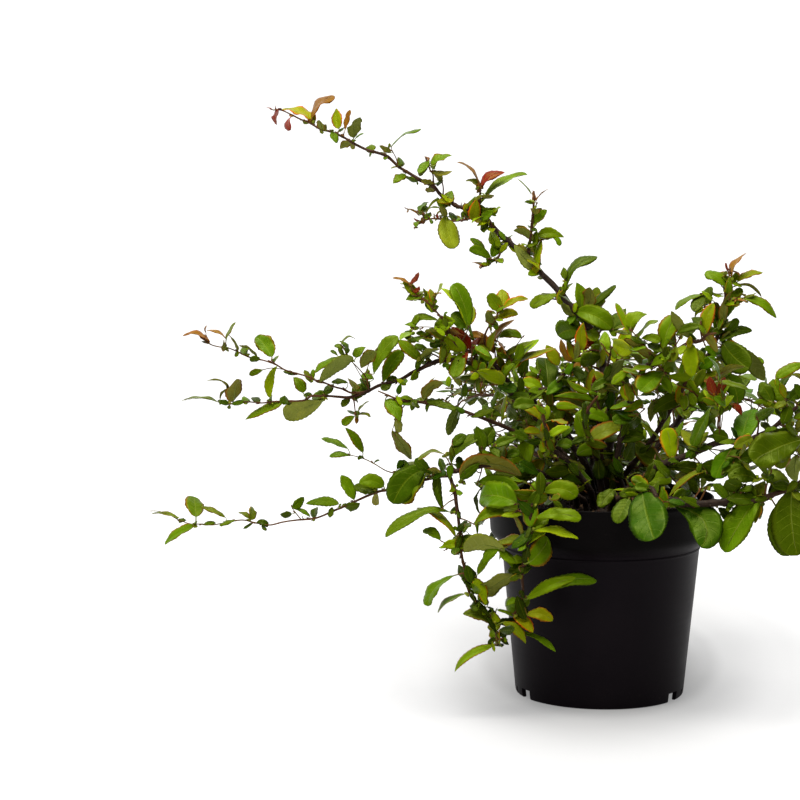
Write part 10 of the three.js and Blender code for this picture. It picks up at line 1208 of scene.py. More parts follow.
(-64.7,-57.5,206.8,-62.9,-58.8,204.8,-66,-61.3,209.2,-69.2,-62.7,213.5,6.7,0.81,-0.43,0.39,"d"),
(-114.2,-94.2,152.9,-116,-97.2,151.4,-111.1,-99.8,155.8,-106.4,-101,160,6.8,-0.62,-0.67,0.41,"n"),
(-121.9,-87.4,194.8,-121.6,-92.2,192.4,-121.4,-91.8,198.1,-121.2,-90.2,203.7,6.3,0.3,-0.94,0.16,"h"),
(-135,-84.2,192.9,-137.5,-87.7,192.8,-132.9,-87.4,193.6,-128.4,-86.3,194.3,4.3,0.01,-0.77,0.64,"d"),
(-94.6,-78.6,213.3,-95.5,-79.9,215.2,-92.3,-81.2,209.8,-89.2,-81.1,204.3,6.9,0.58,-0.7,0.41,"m"),
(-103.5,-100.6,99.8,-104.3,-103.3,101.6,-100.9,-104.5,97,-97.6,-104.6,92.3,4.8,0.45,-0.78,0.44,"n"),
(-67.7,-64.9,198.8,-71.8,-67.7,202.1,-66.8,-70.1,199,-61.9,-71.3,195.9,6.6,0.26,-0.6,0.76,"g"),
(-167.7,-74.2,194.9,-166.2,-73.6,197.2,-163.7,-73,201.1,-161.3,-71.4,204.9,5.6,0.07,-0.97,0.23,"g"),
(-90.9,-102.6,85.2,-89.9,-101.1,85.1,-86.6,-96.5,84.6,-83.4,-90.6,84,6.4,0.79,-0.44,0.43,"n"),
(-83.1,-103,66.7,-84.2,-102.5,65.3,-86.9,-101.6,61.9,-89.8,-99.8,58.3,4.9,-0.42,-0.91,-0.01,"n"),
(-80.4,-110.6,72.9,-79.9,-109.9,71.8,-76.7,-106.6,66,-73.7,-101.8,60.1,8.4,0.91,-0.34,0.25,"n"),
(-86.5,-103,77.4,-84.4,-101.8,77.4,-75.7,-97.9,77.3,-67.2,-92.1,77,8.6,0.36,-0.6,0.72,"n"),
(-134,-84.3,193.2,-136.1,-84.8,195.1,-143.1,-87.2,201.7,-150.2,-87.8,208.2,8.4,0.31,-0.94,0.12,"d"),
(-80.4,-110.6,72.9,-79.6,-111.6,73.2,-73.5,-120,75.3,-67.6,-126.5,77.1,8.5,-0.78,-0.54,0.33,"n"),
(-81.3,-100.3,65.3,-80.1,-100.3,64.5,-76.4,-100.6,61.7,-72.8,-100,58.9,5.2,0.47,-0.65,0.6,"n"),
(-105.1,-98.8,158.9,-105.3,-101.8,158.6,-105.7,-108.5,158.1,-106.2,-114,157.4,6.1,0.17,-0.11,0.98,"p"),
(-115.8,-90.1,146.4,-116.9,-88.8,144.8,-119.2,-86.6,141.5,-121.6,-83.3,138,5,-0.88,-0.37,0.3,"g"),
(-81,-99.4,65.7,-80.3,-98.4,66.4,-77.5,-94.6,69.3,-74.7,-89.7,72.1,6.8,0.25,-0.64,0.73,"n"),
(-145.7,-82.7,189.8,-145.8,-80.1,187.7,-145.9,-77,184.9,-146.1,-73.1,182,5.2,-0.64,-0.5,-0.58,"g")]),
("cane_centre_front", [(-6,-30,137,3.58),(-6,-30,161.4,3.58),(-6.9,-34.2,169.4,3.29),(-8.9,-44,178.2,3),(-21.3,-54,196,2.8),(-33.5,-60,209,2.5),(-40.8,-64,215.2,2.2),(-44.8,-67,222.1,1.8),(-44,-69,228.9,1.5),(-46.5,-71,237.3,1.2),(-47.3,-72,245.5,0.9),(-48.9,-73,252.2,0.6)],
[[(-42.8,-65.5,218.6,0.81),(-47.7,-63.8,223.1,0.7),(-51.6,-62.1,226.4,0.56)],
[(-28.1,-57.3,203.2,0.68),(-33.7,-57.3,205.3,0.59),(-39.4,-56.7,207.1,0.47)],
[(-44,-69,228.9,0.65),(-45.7,-70.2,229.9,0.57),(-47.2,-71.5,231,0.45)],
[(-7.9,-39.1,173.8,0.87),(-12.6,-40.2,176.1,0.76),(-17.4,-41,179.2,0.6)],
[(-47.1,-71.8,243.5,0.55),(-48.2,-73.4,245.3,0.48),(-49.6,-75.1,247.4,0.38)]],
[(-41.8,-64.7,216.9,-45.6,-65.2,214.5,-45.8,-63.7,225.9,-47.5,-62,236.3,8.1,0.37,-0.91,0.17,"y"),
(-44.6,-67.6,224.1,-42.4,-67.6,223.8,-35.7,-65.5,229.8,-24.7,-63.1,232.5,7.8,-0.09,-0.8,0.6,"l"),
(-46.2,-70.8,239.3,-48.9,-71.2,238.9,-55.6,-69.2,245.9,-63.7,-66.9,247.3,7.8,0.13,-0.77,0.62,"y"),
(-44.2,-68.6,227.4,-48.9,-68.3,227.9,-55.9,-70.4,230.2,-62.6,-72.4,229.1,6.8,0.21,-0.92,0.33,"y"),
(-44.8,-67,222.2,-46.5,-67,222.1,-52.4,-68,227.8,-58.6,-69.2,227.9,7.7,0.12,0.83,0.55,"u"),
(-46,-70.6,238.4,-40,-72.1,239.1,-33.8,-79.4,239.8,-28.4,-87.8,237.7,11.8,0.01,-0.08,1,"y"),
(-46.2,-70.7,239,-45.7,-71.2,238.9,-43.8,-70.2,244.8,-44.2,-69.2,251,6.8,0.54,-0.84,0.08,"l"),
(-46.6,-71.1,240.9,-48.9,-71.4,240.6,-46.8,-69.1,244,-45,-66.3,248.2,5.4,0.52,-0.81,0.28,"m"),
(-40.9,-64.1,215.3,-45.6,-64.9,212,-48.1,-62.4,216,-49.1,-59.4,220.3,6.5,-0.53,-0.79,0.3,"l"),
(-40.9,-64.1,215.3,-44.9,-63.4,211.8,-42.8,-59.9,214.9,-42.6,-55.9,218.3,6.5,0.69,-0.57,0.44,"l"),
(-40.9,-64.1,215.3,-45.6,-65,208.7,-43.1,-62.6,210.5,-41.7,-59.9,213,4.9,0.76,-0.65,0.07,"l"),
(-48.8,-72.9,251.7,-53.8,-74,251.4,-63.7,-75.2,252.2,-71.4,-76.7,249.1,11.6,0.07,-0.89,0.45,"d"),
(-18.7,-51.9,192.3,-13.1,-53.2,196.8,-27,-56.9,201.5,-40.8,-61.3,202.5,9.9,-0.12,0.8,0.58,"o"),
(-12.3,-46.7,183,-7.3,-46.5,186.8,-20.4,-50.1,191,-33.5,-54.2,195.9,16.1,0.38,-0.84,0.38,"d"),
(-24.2,-55.5,198.9,-25.3,-55.4,197.8,-34.6,-56.5,194.7,-45.7,-58.1,194.6,12.5,0.16,-0.96,-0.22,"d"),
(-12.9,-47.2,183.9,-9,-48.5,187.1,-15.1,-50.2,181.3,-21.9,-52.1,176.7,8.4,0.62,-0.52,-0.59,"l"),
(-44.8,-67,222.2,-49.7,-66.3,222,-57.1,-61.3,219.3,-63.1,-55.5,218.9,9.9,-0.31,-0.6,-0.73,"d"),
(-39.2,-63.2,213.6,-36.8,-62.8,216.7,-31,-65.1,219.3,-23.7,-67.8,217.5,9.7,-0.31,-0.72,0.62,"d"),
(-51.5,-62.2,226.3,-51.4,-60.7,226.9,-51,-52,230.5,-48.5,-42.9,232.2,9.5,-0.42,-0.23,0.88,"d"),
(-38.8,-56.8,206.9,-39.8,-55.8,208,-45.6,-51.4,214.9,-51,-45,220.5,9.1,-0.28,-0.86,0.42,"d"),
(-36.9,-56.9,206.2,-38.3,-55.8,206.5,-42.8,-53,208.3,-47.2,-49.5,208,6.2,-0.24,-0.57,0.79,"u"),
(-16.6,-40.8,178.7,-17.2,-40.5,180.2,-21.1,-39.2,188.1,-23.6,-36.5,196.3,9.8,-0.45,-0.89,-0.01,"n"),
(-15.7,-40.7,178.2,-17.1,-43.3,177.4,-23.4,-44.1,173,-28.8,-43.2,167.8,7.9,-0.63,-0.02,0.77,"n"),
(-40.1,-63.7,214.5,-38.8,-66.6,212.3,-41.2,-69.4,218.8,-43.7,-70.8,225.1,6.1,0.21,-0.95,-0.24,"p"),
(-22.6,-54.7,197.3,-18.1,-59.9,192.2,-22.4,-60.2,198.2,-26.8,-59.1,204.1,7.5,0.28,-0.92,0.27,"n"),
(-44.5,-67.9,225,-43.1,-70.9,221.7,-44.6,-72.5,227.2,-46.2,-72.9,232.7,5.6,0.57,-0.82,0.02,"n"),
(-47.7,-72,246.3,-44.7,-74.5,244.4,-49.3,-75.2,248.2,-54,-74.6,251.8,5.3,0.18,-0.96,0.22,"m"),
(-30.3,-57.4,203.7,-25.5,-57.5,201.7,-30.3,-60.6,204.1,-35.2,-62.6,206.4,6.2,0.56,-0.45,0.7,"d")]),
("cane_centre_up", [(2,-10,137,3.81),(2,-10,161.4,3.81),(1.2,-8.8,169.8,3.45),(-0.8,-6,181.3,3.1),(-3.4,-12,199,2.8),(-6,-18,209.8,2.5),(-9.4,-24,218.9,2.2),(-12.7,-28,226.1,1.9),(-14.4,-31,234.7,1.6),(-11.2,-33,243.3,1.3),(-7.1,-34,250.1,1),(-3.1,-35,255.2,0.7)],
[[(-0.8,-6,181.3,1.86),(0.5,-7.4,228.6,1.49),(-8.2,-1.1,261.9,1.02)],
[(0,-6.8,208,0.89),(-2.6,-5,210.6,0.78),(-4,-3.2,214.1,0.62)],
[(-0.4,-6.4,195.7,0.68),(-2.7,-5.3,198.4,0.59),(-4.6,-3.8,201.3,0.47)],
[(-9.8,-33.3,245.6,0.62),(-8.5,-33.4,246.1,0.54),(-7.2,-33.6,246.7,0.43)],
[(-13.2,-28.8,228.2,0.83),(-12.6,-29.8,229.3,0.73),(-12.1,-30.8,230.6,0.58)],
[(-0.5,-6.7,232.5,0.67),(-6.1,-5.2,233,0.58),(-11.7,-2.3,233.9,0.46)],
[(-9.4,-24,218.9,0.82),(-10.2,-28.5,219.8,0.71),(-10.9,-32,220.9,0.57)],
[(-2,-5.5,238.4,0.56),(-5.1,-9.2,242.9,0.49),(-6.1,-13.5,246.5,0.39)]],
[(-8,-1.2,261.2,-8.2,-1.1,261.9,-6.8,1,265.3,-5.8,3.5,269,4.4,0.76,-0.63,0.15,"r"),
(-7,-2,257.2,-10.6,-2.3,255.5,-19.9,-0.5,258.3,-29,2,264.6,6.8,-0.15,-0.98,0.16,"m"),
(-11.5,-32.8,242.4,-17.8,-32.4,244.8,-28.4,-34.4,246.9,-37.5,-36.6,246.8,8.3,0.22,-0.83,0.51,"m"),
(-9.5,-23.2,218.2,-13.5,-24.2,216.4,-16.6,-22.5,228.3,-20.4,-20.5,239.4,13.3,0.3,-0.92,0.24,"m"),
(-8.8,-22.2,216.6,-9.4,-22.4,216.2,3.8,-17.6,225,19.6,-11.8,229.6,17.4,-0.06,-0.72,0.7,"o"),
(0.2,-7.2,229.8,6.3,-8.4,231.6,-8.2,-10.2,237.5,-22.9,-12.2,236.7,11.5,0.19,-0.9,0.39,"m"),
(-0.1,-6.8,205.1,1.5,-6.7,205.1,-9.8,-9.1,208,-20.2,-12,203,12.5,0.16,-0.86,0.48,"m"),
(-4.8,-15.2,204.7,-2.7,-15.2,205.3,4.2,-12.2,205,14,-8.7,204.7,2.2,0.27,-0.62,0.74,"l"),
(-0.5,-6.4,193.3,1.6,-6.4,193.2,5,-8.1,196.7,9.9,-10.1,197.2,6.8,0.12,0.83,0.54,"u"),
(0.1,-7,214.5,2.3,-7,214.5,9.4,-0.2,217.3,17.4,7.6,216.3,12.6,0.38,-0.49,0.78,"d"),
(-3.1,-4,212.8,-2.7,-3.4,214.8,-1.6,-1.8,221.4,0.6,0,227.8,7.8,-0.98,-0.01,0.22,"g"),
(-3.7,-4.4,200.1,-4.1,-2.9,202.9,-4.7,-0.4,209.6,-5.5,3.7,215.3,5.9,-0.73,-0.64,0.25,"d"),
(-11.5,-2.4,233.9,-14.4,-1.9,231.5,-27.6,-0.7,223,-36.4,2.1,210,13.5,-0.65,0.11,0.75,"d"),
(-10.7,-2.7,233.8,-12.7,-2.9,235.3,-19.4,-4,241.8,-27.8,-4.3,246.2,8.7,0.62,-0.15,0.77,"p"),
(-10.8,-30.9,220.6,-13.4,-32.7,219.7,-19.3,-36.6,218.4,-25,-40,215.7,6.2,0.29,-0.74,0.61,"n"),
(-6.1,-13.4,246.4,-7.2,-16,246.7,-9.8,-22.7,248.5,-13.1,-29.4,247.6,7.9,0.14,0.02,0.99,"d"),
(-2.7,-10.3,194.1,-2.7,-11.6,202.4,-2.1,-17.1,193.1,-1.7,-20.5,183.5,11.9,-0.28,-0.88,0.39,"n"),
(-7.7,-20.5,213.9,-13,-24,215.4,-3.9,-25,213.7,5.1,-24.2,211.8,8.4,0.01,-0.99,0.12,"p"),
(-14.1,-31.2,235.7,-13.4,-35.1,228.7,-13.9,-34.5,239.2,-14.6,-31.8,249.4,10.2,0.74,-0.65,0.15,"d"),
(-12.1,-27,224.4,-13.7,-29.6,228.2,-11.2,-31.4,224.1,-8.8,-32.3,219.9,4.4,0.19,-0.89,0.41,"p"),
(-9.7,-23.5,218.8,-13.1,-25.5,222.4,-9.3,-27.8,219.2,-5.6,-29.1,215.8,4.6,0.27,-0.68,0.68,"d"),
(-5.2,-16,206.2,-7.8,-19.6,210.4,-4.2,-20.5,206,-0.6,-20.2,201.4,6.8,0.49,-0.75,0.44,"p"),
(-6.2,-2.6,254,-2.9,-3.4,253.3,-6.6,-6,254.6,-10.4,-7.8,255.8,3.9,0.56,-0.68,0.47,"m")]),
("cane_right_front", [(14,-20,137,4.26),(14,-20,161.4,4.26),(14.1,-24.6,169.9,3.88),(15.9,-35.6,171.5,3.5),(31.8,-48,187.6,3.2),(47.1,-56,200.4,3),(57.5,-60,205.1,2.9),(70.2,-64,210.7,2.8),(81.2,-67,216.1,2.7),(93,-70,221.5,2.6),(104.8,-73,223.6,2.5),(117.5,-75,224.8,2.3),(126.8,-77,229.2,2.2),(133,-78,232.6,2.1),(141.5,-80,239.4,1.9),(147.5,-82,246.9,1.7),(155.2,-84,252.8,1.5),(163.5,-86,260.3,1.2),(171.1,-88,265.4,0.8)],
[[(94.6,-70.4,221.8,1.1),(94.5,-70,228.8,0.99),(93.6,-69.5,236.9,0.87),(95.1,-69,246.6,0.72),(92.6,-68.5,254.6,0.59),(91.8,-68.1,261.1,0.49)],
[(148.2,-82.2,247.4,0.78),(147.4,-83.2,253.3,0.62),(146.4,-83.6,257.5,0.43)],
[(139.9,-79.6,238.2,0.79),(144.6,-81.8,237.9,0.63),(149.9,-84.6,236,0.44)],
[(109.9,-73.8,224.1,0.79),(112.4,-73.5,220.3,0.63),(115.3,-73.9,214.9,0.43)],
[(71.5,-64.4,211.4,0.79),(75.6,-67.1,209.1,0.63),(79.7,-68.5,204.9,0.44)],
[(55.9,-59.4,204.4,0.8),(56.1,-58,210.8,0.64),(56.6,-56,215.3,0.44)],
[(94.6,-70.4,221.8,0.66),(95.2,-78.7,250.8,0.53),(95.3,-89,272,0.36)],
[(124.5,-76.5,228.1,0.86),(125.3,-79.4,236.6,0.69),(124.7,-81.2,242.6,0.47)],
[(94.6,-70.4,221.8,0.4),(97.7,-66.9,252.9,0.32),(92.6,-62.9,275.2,0.22)],
[(46.8,-55.9,200.2,0.92),(52.7,-57,196.1,0.74),(59.3,-57.6,189.2,0.51)],
[(97,-67.7,245.4,0.2),(101.8,-66,250.2,0.16),(108.9,-64.8,252.8,0.11)],
[(139.9,-79.6,238.2,0.48),(148.4,-77,237.2,0.38),(158.6,-75.8,233.4,0.26)],
[(148.2,-82.2,247.4,0.47),(142.4,-83.6,253.8,0.37),(134.5,-84.8,257.5,0.26)],
[(71.5,-64.4,211.4,0.48),(77.5,-69.7,206.8,0.38),(84.4,-74.1,199.2,0.26)],
[(139.9,-79.6,238.2,0.29),(149.5,-76.4,228,0.23),(157.8,-70.8,212.6,0.16)],
[(109.9,-73.8,224.1,0.47),(108.3,-76.7,216.9,0.38),(105.4,-81.5,206.9,0.26)],
[(139.9,-79.6,238.2,0.29),(150.7,-84.5,234.5,0.23),(159.3,-87.1,226.8,0.16)],
[(109.9,-73.8,224.1,0.28),(102,-80,214.4,0.23),(96.6,-84.4,199.9,0.16)],
[(148.2,-82.2,247.4,0.28),(144.8,-86.5,264,0.22),(137.8,-89.6,275.6,0.15)],
[(79.4,-66.5,215.2,0.85),(83.2,-64.6,215.8,0.74),(86.6,-63.2,216.4,0.59)],
[(145.4,-77.8,232.3,0.2),(144.7,-79.1,231.5,0.51),(144.6,-80.6,230.7,0.4)],
[(149.5,-76.4,228,0.18),(152.6,-76.9,229.1,0.57),(156.1,-78.4,231.2,0.46)],
[(98.9,-71.5,222.6,0.74),(105.4,-67.7,220.6,0.65),(111.6,-65,218.4,0.52)],
[(144.5,-81,243.2,0.74),(151.3,-76.9,248.5,0.64),(158.4,-73.1,253.1,0.51)],
[(96.8,-66.2,256.9,0.24),(97.1,-66.1,257.3,0.59),(97.4,-65.7,257.8,0.47)],
[(108.3,-76.7,216.9,0.3),(108.6,-75.1,217,0.6),(109,-73.5,217,0.48)],
[(148.4,-77,237.2,0.3),(149.4,-75.8,238.7,0.55),(150.1,-74.8,239.7,0.44)],
[(113.4,-73.6,218.5,0.45),(112.4,-74.4,218.3,0.48),(111.5,-75.4,218.2,0.38)],
[(80.2,-71.5,203.8,0.27),(79.5,-71.5,201.2,0.62),(78.7,-71.3,197.6,0.5)],
[(155.9,-72,216,0.14),(156.3,-67.9,218.2,0.5),(155.9,-64.6,221.1,0.4)],
[(154.1,-73.3,219.4,0.15),(153.7,-71.3,220,0.48),(153.3,-69.5,221.3,0.39)],
[(165.4,-86.5,261.6,0.58),(166.2,-85.1,265.8,0.5),(166.5,-83.5,271.2,0.4)],
[(144.2,-78.3,237.7,0.34),(144.5,-75.4,238.3,0.6),(144.4,-72.7,239,0.48)],
[(155.9,-86.1,229.8,0.15),(155.7,-84.5,229.2,0.59),(155.4,-83,228.2,0.47)],
[(113.3,-74.3,224.4,0.87),(115.2,-75.5,223.6,0.76),(117.2,-76.6,222.7,0.61)],
[(66.5,-62.9,209.1,0.66),(70.6,-61,212.3,0.57),(75.7,-57.8,216.2,0.46)],
[(101.3,-80.6,212.6,0.17),(106.2,-83.4,212.3,0.52),(109.9,-86.1,212.2,0.42)],
[(155.2,-84,252.8,0.7),(154.9,-85.2,254.2,0.61),(154.6,-86.2,255.5,0.49)],
[(92.1,-68.3,258.9,0.42),(87.6,-67.8,261.8,0.47),(82.5,-68.2,265.2,0.38)],
[(156.5,-76,234.2,0.23),(157.4,-74.3,235.2,0.55),(158.3,-72.4,236.3,0.44)],
[(41,-52.8,195.3,0.79),(42.7,-50.9,201.3,0.69),(44.3,-47.8,208.5,0.55)],
[(94.9,-64.7,265,0.21),(95.6,-66,266.6,0.56),(95.8,-67.9,268.6,0.45)],
[(95.2,-81.5,256.6,0.39),(96,-85.7,258.3,0.55),(98,-89,260.6,0.44)],
[(93.6,-63.6,271.1,0.19),(92.7,-61.9,272.5,0.6),(91.8,-58.8,274.1,0.48)],
[(23.9,-41.8,179.6,0.71),(32.6,-44.3,179.7,0.62),(43.2,-45.1,180.8,0.5)]],
[(92.7,-63,274.7,92.6,-62.9,275.2,103.7,-61.3,281.1,115.9,-59.4,282.3,10.5,-0.31,0.69,0.65,"o"),
(92.1,-68.2,259.6,91,-68.2,259.5,88.2,-66.8,267,86.1,-65.2,275.3,9.1,-0.41,-0.91,0.05,"r"),
(91.8,-68.2,260.8,91.7,-69.6,262,95.8,-69,268.1,98.8,-67.7,274.9,8.2,0.6,-0.8,-0.11,"r"),
(108.7,-64.9,252.7,108.9,-64.8,252.8,107.4,-62.8,264.7,100,-60.5,275,15.6,0.15,-0.96,0.25,"d"),
(95.3,-88.8,271.6,93.5,-89,273.3,103.9,-91.1,271.2,117,-92.8,268.1,7.7,0.11,-0.5,0.86,"o"),
(105.1,-65.4,251.4,104.8,-65.4,252,109.5,-66.6,249.7,112.8,-67.8,243.4,6.8,0.29,-0.82,0.49,"r"),
(95.2,-78.5,250,94.6,-78.5,250,99.4,-77.2,256.7,105.7,-75.7,261.2,8.3,-0.25,-0.85,0.47,"l"),
(93.1,-68.5,255.5,93.4,-68.5,255.5,97.1,-67.1,263.5,103,-65.6,269,8.3,-0.32,-0.86,0.41,"m"),
(93.2,-68.5,254.7,90.3,-67.8,253.7,86.7,-65.2,259.8,82.4,-62.2,264.5,8.7,0.26,-0.76,0.59,"l"),
(93.5,-68.6,253.5,91.9,-68.6,253,85.9,-67.8,254.9,80.7,-66.8,257.6,6.8,-0.28,-0.9,-0.34,"m"),
(95.1,-69,246.4,95.1,-69,246.6,99.9,-66.8,250.3,103.2,-64.4,255.1,7.7,0.64,-0.74,-0.21,"o"),
(94.6,-68.8,249,91.9,-68.7,248.2,88.9,-63.6,250.3,86,-57.7,250.2,7.8,-0.21,-0.29,0.93,"d"),
(101.4,-66.1,249.8,101.8,-66,250.7,102.9,-66.6,250.9,102.6,-67.6,246.6,3.6,-0.12,-0.93,0.35,"d"),
(114.3,-74.4,224.4,114.3,-74.5,223.9,116.1,-62.5,236.2,122.8,-48.6,247.9,22.1,-0.25,-0.61,0.75,"h"),
(124.7,-81.1,242.3,122.9,-81.4,241.9,128.7,-75.4,245.1,138.8,-67.7,250.6,10,0.24,-0.7,0.68,"d"),
(134,-78.5,234.2,134.6,-78.3,233.5,130.7,-74.5,237.2,127.9,-70.1,239.8,7.4,-0.04,-0.63,0.78,"d"),
(94.2,-68.7,250.6,88.1,-70.5,251.3,79.8,-73.7,235.2,72.7,-76.9,219.9,14.4,-0.66,-0.6,0.45,"d"),
(94.4,-69.3,241.6,92.8,-69.1,244.2,84.7,-69.2,239.1,77.6,-69.4,229.3,10.8,-0.49,-0.7,0.52,"d"),
(56.1,-58.4,205.6,57.4,-58.8,206,56,-56.8,219.2,53.1,-54.8,231.8,16.2,0.39,-0.9,0.21,"l"),
(56.6,-56.1,215.1,56.7,-54.5,215.1,61.2,-51.2,225.5,66.3,-47.7,237.4,7.8,-0.64,-0.61,0.47,"m"),
(81,-66.3,216,80.4,-66.9,216.9,72.1,-60.5,224.2,64.6,-53.2,229.8,14.6,0.06,-0.65,0.76,"o"),
(76.3,-64.9,213.8,74.9,-63.2,216.4,80.8,-60.2,223,87.1,-57.6,228.9,9.2,-0.3,-0.73,0.62,"o"),
(94.1,-69.9,229.5,89,-71.5,228.6,95.3,-73.2,228,102.1,-74.6,226.3,11.3,-0.19,-0.95,0.23,"d"),
(95.5,-70.5,221.9,97.8,-70.4,222.5,92.6,-68.9,226.8,82.3,-67.9,226.1,5.6,0.07,-0.65,0.76,"d"),
(112.7,-73.7,219.3,112.1,-73.6,218.9,99.1,-76.1,208.7,92.2,-79.1,193.4,17.3,-0.18,-0.92,0.34,"h"),
(159.1,-87.1,226.9,159.3,-87.1,226.8,139.4,-98.5,221.9,119.3,-111.6,212.6,28.6,0.28,-0.78,0.56,"d"),
(134.7,-84.8,257.5,136.3,-84.9,255.6,130.3,-80.9,266.2,125.7,-76.7,271.1,12,-0.04,-0.9,0.44,"d"),
(146.5,-83.6,257.3,146.4,-83.6,257.5,139.6,-78.8,265.8,136.6,-73.2,274.1,13.9,-0.46,-0.85,0.26,"m"),
(143.2,-83.4,253,142.4,-83.8,250.2,132.3,-82.3,256.5,120.7,-80.9,255,5,-0.11,-0.99,0.1,"m"),
(148.9,-84.1,236.2,149.1,-84.1,236.7,146.4,-80.8,251.8,138.2,-77,259.2,8.9,0.39,-0.81,0.44,"l"),
(137.9,-89.5,275.4,137.8,-89.6,275.6,148,-87.7,283.5,162.3,-85.6,287.4,10.9,-0.17,-0.78,0.6,"m"),
(146.5,-83.5,256.9,149.6,-83.4,257.5,155.6,-82,264,163.8,-80.5,269.4,10.7,-0.19,-0.88,0.44,"d"),
(142.7,-83.5,253.4,141,-83.5,251.8,137.6,-78.9,254.3,134.6,-73.4,256.3,6.6,0.04,-0.38,0.92,"b"),
(144.3,-80.9,242.9,145.3,-80.9,242,141.6,-80,246.6,138.2,-78.9,251.3,5.5,0.47,-0.72,0.51,"d"),
(149.2,-82.4,248.2,152.3,-82.6,243.8,157,-85.3,246.1,162,-88.4,246.2,7.4,-0.53,-0.71,0.47,"m"),
(157.6,-70.9,212.9,157.8,-70.8,212.6,155.2,-67,201.1,158,-62.7,190.4,14.6,-0.5,0.81,0.29,"u"),
(79.6,-68.5,205,80,-68.7,202.9,89.8,-70,202.3,98.5,-71.5,197,13.6,-0.05,-0.95,0.32,"d"),
(50,-56.3,197.3,51.1,-56.5,198.9,71.6,-59.5,199.5,93.8,-62.9,192,13.4,-0.05,-0.88,0.47,"d"),
(59.1,-57.6,189.4,59.4,-56.1,189,71,-56.9,195.4,85.9,-58.4,197.1,8.8,-0.1,0.83,0.55,"o"),
(26.5,-43.9,182.3,31.6,-42.1,177.1,20.1,-40.6,178.3,8.7,-38.8,177.9,6.7,-0.02,-0.39,0.92,"l"),
(149.7,-84.5,236,149.9,-84.6,236,145.7,-85.3,234.1,141.1,-86.2,234.5,5.8,0.23,-0.9,-0.37,"d"),
(158.4,-75.8,233.5,158.6,-75.8,233.4,152.8,-76.8,231.4,148.1,-77.9,231.2,5.8,0.26,-0.9,-0.36,"d"),
(121.4,-75.8,226.7,124,-73.7,220.7,129.4,-78.2,223.2,135.2,-83.5,223.6,9.3,-0.64,-0.58,0.5,"d"),
(115.2,-73.9,215.1,115.3,-73.9,214.9,125,-75.5,215.1,135,-77.3,212.4,11.1,-0.08,-0.84,0.54,"d"),
(105.5,-81.3,207.2,105.4,-81.5,206.9,113.3,-79.4,210.6,122.3,-76.9,211.4,11.1,0.06,-0.81,0.59,"d"),
(96.7,-84.4,200.2,96.6,-84.4,199.9,104.8,-86.2,202.9,112.2,-88.2,202.2,10.2,-0.27,-0.81,0.51,"d"),
(56.1,-58.5,205.6,54.2,-59.1,205.8,59.6,-56.8,208.6,65.7,-54.2,209.4,5.8,0.1,-0.73,0.68,"d"),
(80,-66,215.5,80,-66.3,218.9,76.2,-67.4,212.7,70.9,-68.7,207.8,5.7,0.6,-0.73,-0.33,"d"),
(27.9,-44.9,183.6,32.5,-45.4,179.1,43,-42.8,187.6,58.7,-39.9,188.6,15.9,0.01,-0.88,0.47,"m"),
(84.2,-74,199.3,84.4,-74.1,199.2,68.7,-77.3,194.6,53.9,-81,179.4,8.4,-0.42,-0.43,0.8,"o"),
(163.9,-86.2,259.8,163.5,-86,260.3,170.2,-89.7,263.8,178.4,-93.9,264.5,11.1,-0.51,-0.74,0.44,"m"),
(167.3,-87,262.4,166.5,-86.9,263.6,167.8,-85.3,271.5,171.2,-83.4,279.3,10.2,-0.43,-0.85,0.32,"y"),
(170.6,-87.9,265,171.1,-88,266.2,177.4,-86.7,269.6,183.7,-85.3,274.8,7.8,0.36,-0.9,-0.25,"l"),
(157.7,-84.6,254.9,157.4,-84.6,255.3,163.1,-89.4,251.2,170.7,-94.8,250.2,11.6,-0.63,-0.77,-0.08,"d"),
(170.6,-87.9,265,171.1,-88,265.4,178.4,-89.5,260.8,185,-91.3,256.3,8.3,0.11,-0.87,0.49,"m"),
(162.2,-85.7,258.4,161.9,-87.1,258.8,157.1,-86.6,265.8,152.3,-85.6,271.4,8.3,0.29,-0.9,0.33,"d"),
(86.4,-63.3,216.4,89.1,-61.3,213.5,97.8,-55.7,205.9,103.2,-49.7,195.6,11.6,0.7,0.16,0.7,"n"),
(85.2,-63.8,216.2,88.5,-64.9,215.6,97.4,-68,214.8,106,-70.3,211.7,9.1,0.15,-0.12,0.98,"p"),
(144.6,-80.5,230.7,144.4,-80.8,227.3,144.3,-82.4,214.9,143.4,-81.8,202.3,15.1,-0.09,-0.99,0.07,"o"),
(156,-78.4,231.1,157.4,-77.1,235.1,162.4,-74.9,245.8,163.6,-69.1,256.4,9.9,0.65,-0.76,0.06,"m"),
(155,-78.1,230.7,155.5,-78.7,231.7,159.9,-81.4,239.7,163.2,-87.1,246.7,10.1,0.1,0.9,0.43,"m"),
(111.4,-65.1,218.5,113.2,-62.1,219.5,116.3,-57.4,222.9,119.2,-51.5,223.7,6.6,0.49,-0.55,0.67,"d"),
(156.5,-74.2,251.7,156.6,-71.1,250.2,156.7,-64.4,248.1,156.9,-58.8,243.9,7,0.45,0.37,0.81,"g"),
(97.4,-65.7,257.7,97.8,-63.4,256.9,100.9,-52.4,253.8,101.2,-41.9,248.2,13.3,0.13,0.32,0.94,"m"),
(108.9,-73.9,217,110.8,-71.7,219.2,116.6,-66,227.2,122.6,-57.9,232.6,10.8,-0.46,-0.39,0.8,"o"),
(108.9,-74.1,217,109.4,-73.1,215.5,113.3,-65.4,206.1,116.6,-59.2,195.4,13.6,0.35,0.69,0.63,"g"),
(150,-74.9,239.6,151.4,-71.8,239.2,158,-60.5,238.6,161.4,-48.1,235.8,15.6,0.45,-0.09,0.89,"m"),
(78.8,-71.3,198.1,78.5,-68.5,195.4,75.3,-59.4,185.3,76.8,-48.6,176.7,11,-0.45,-0.65,-0.62,"d"),
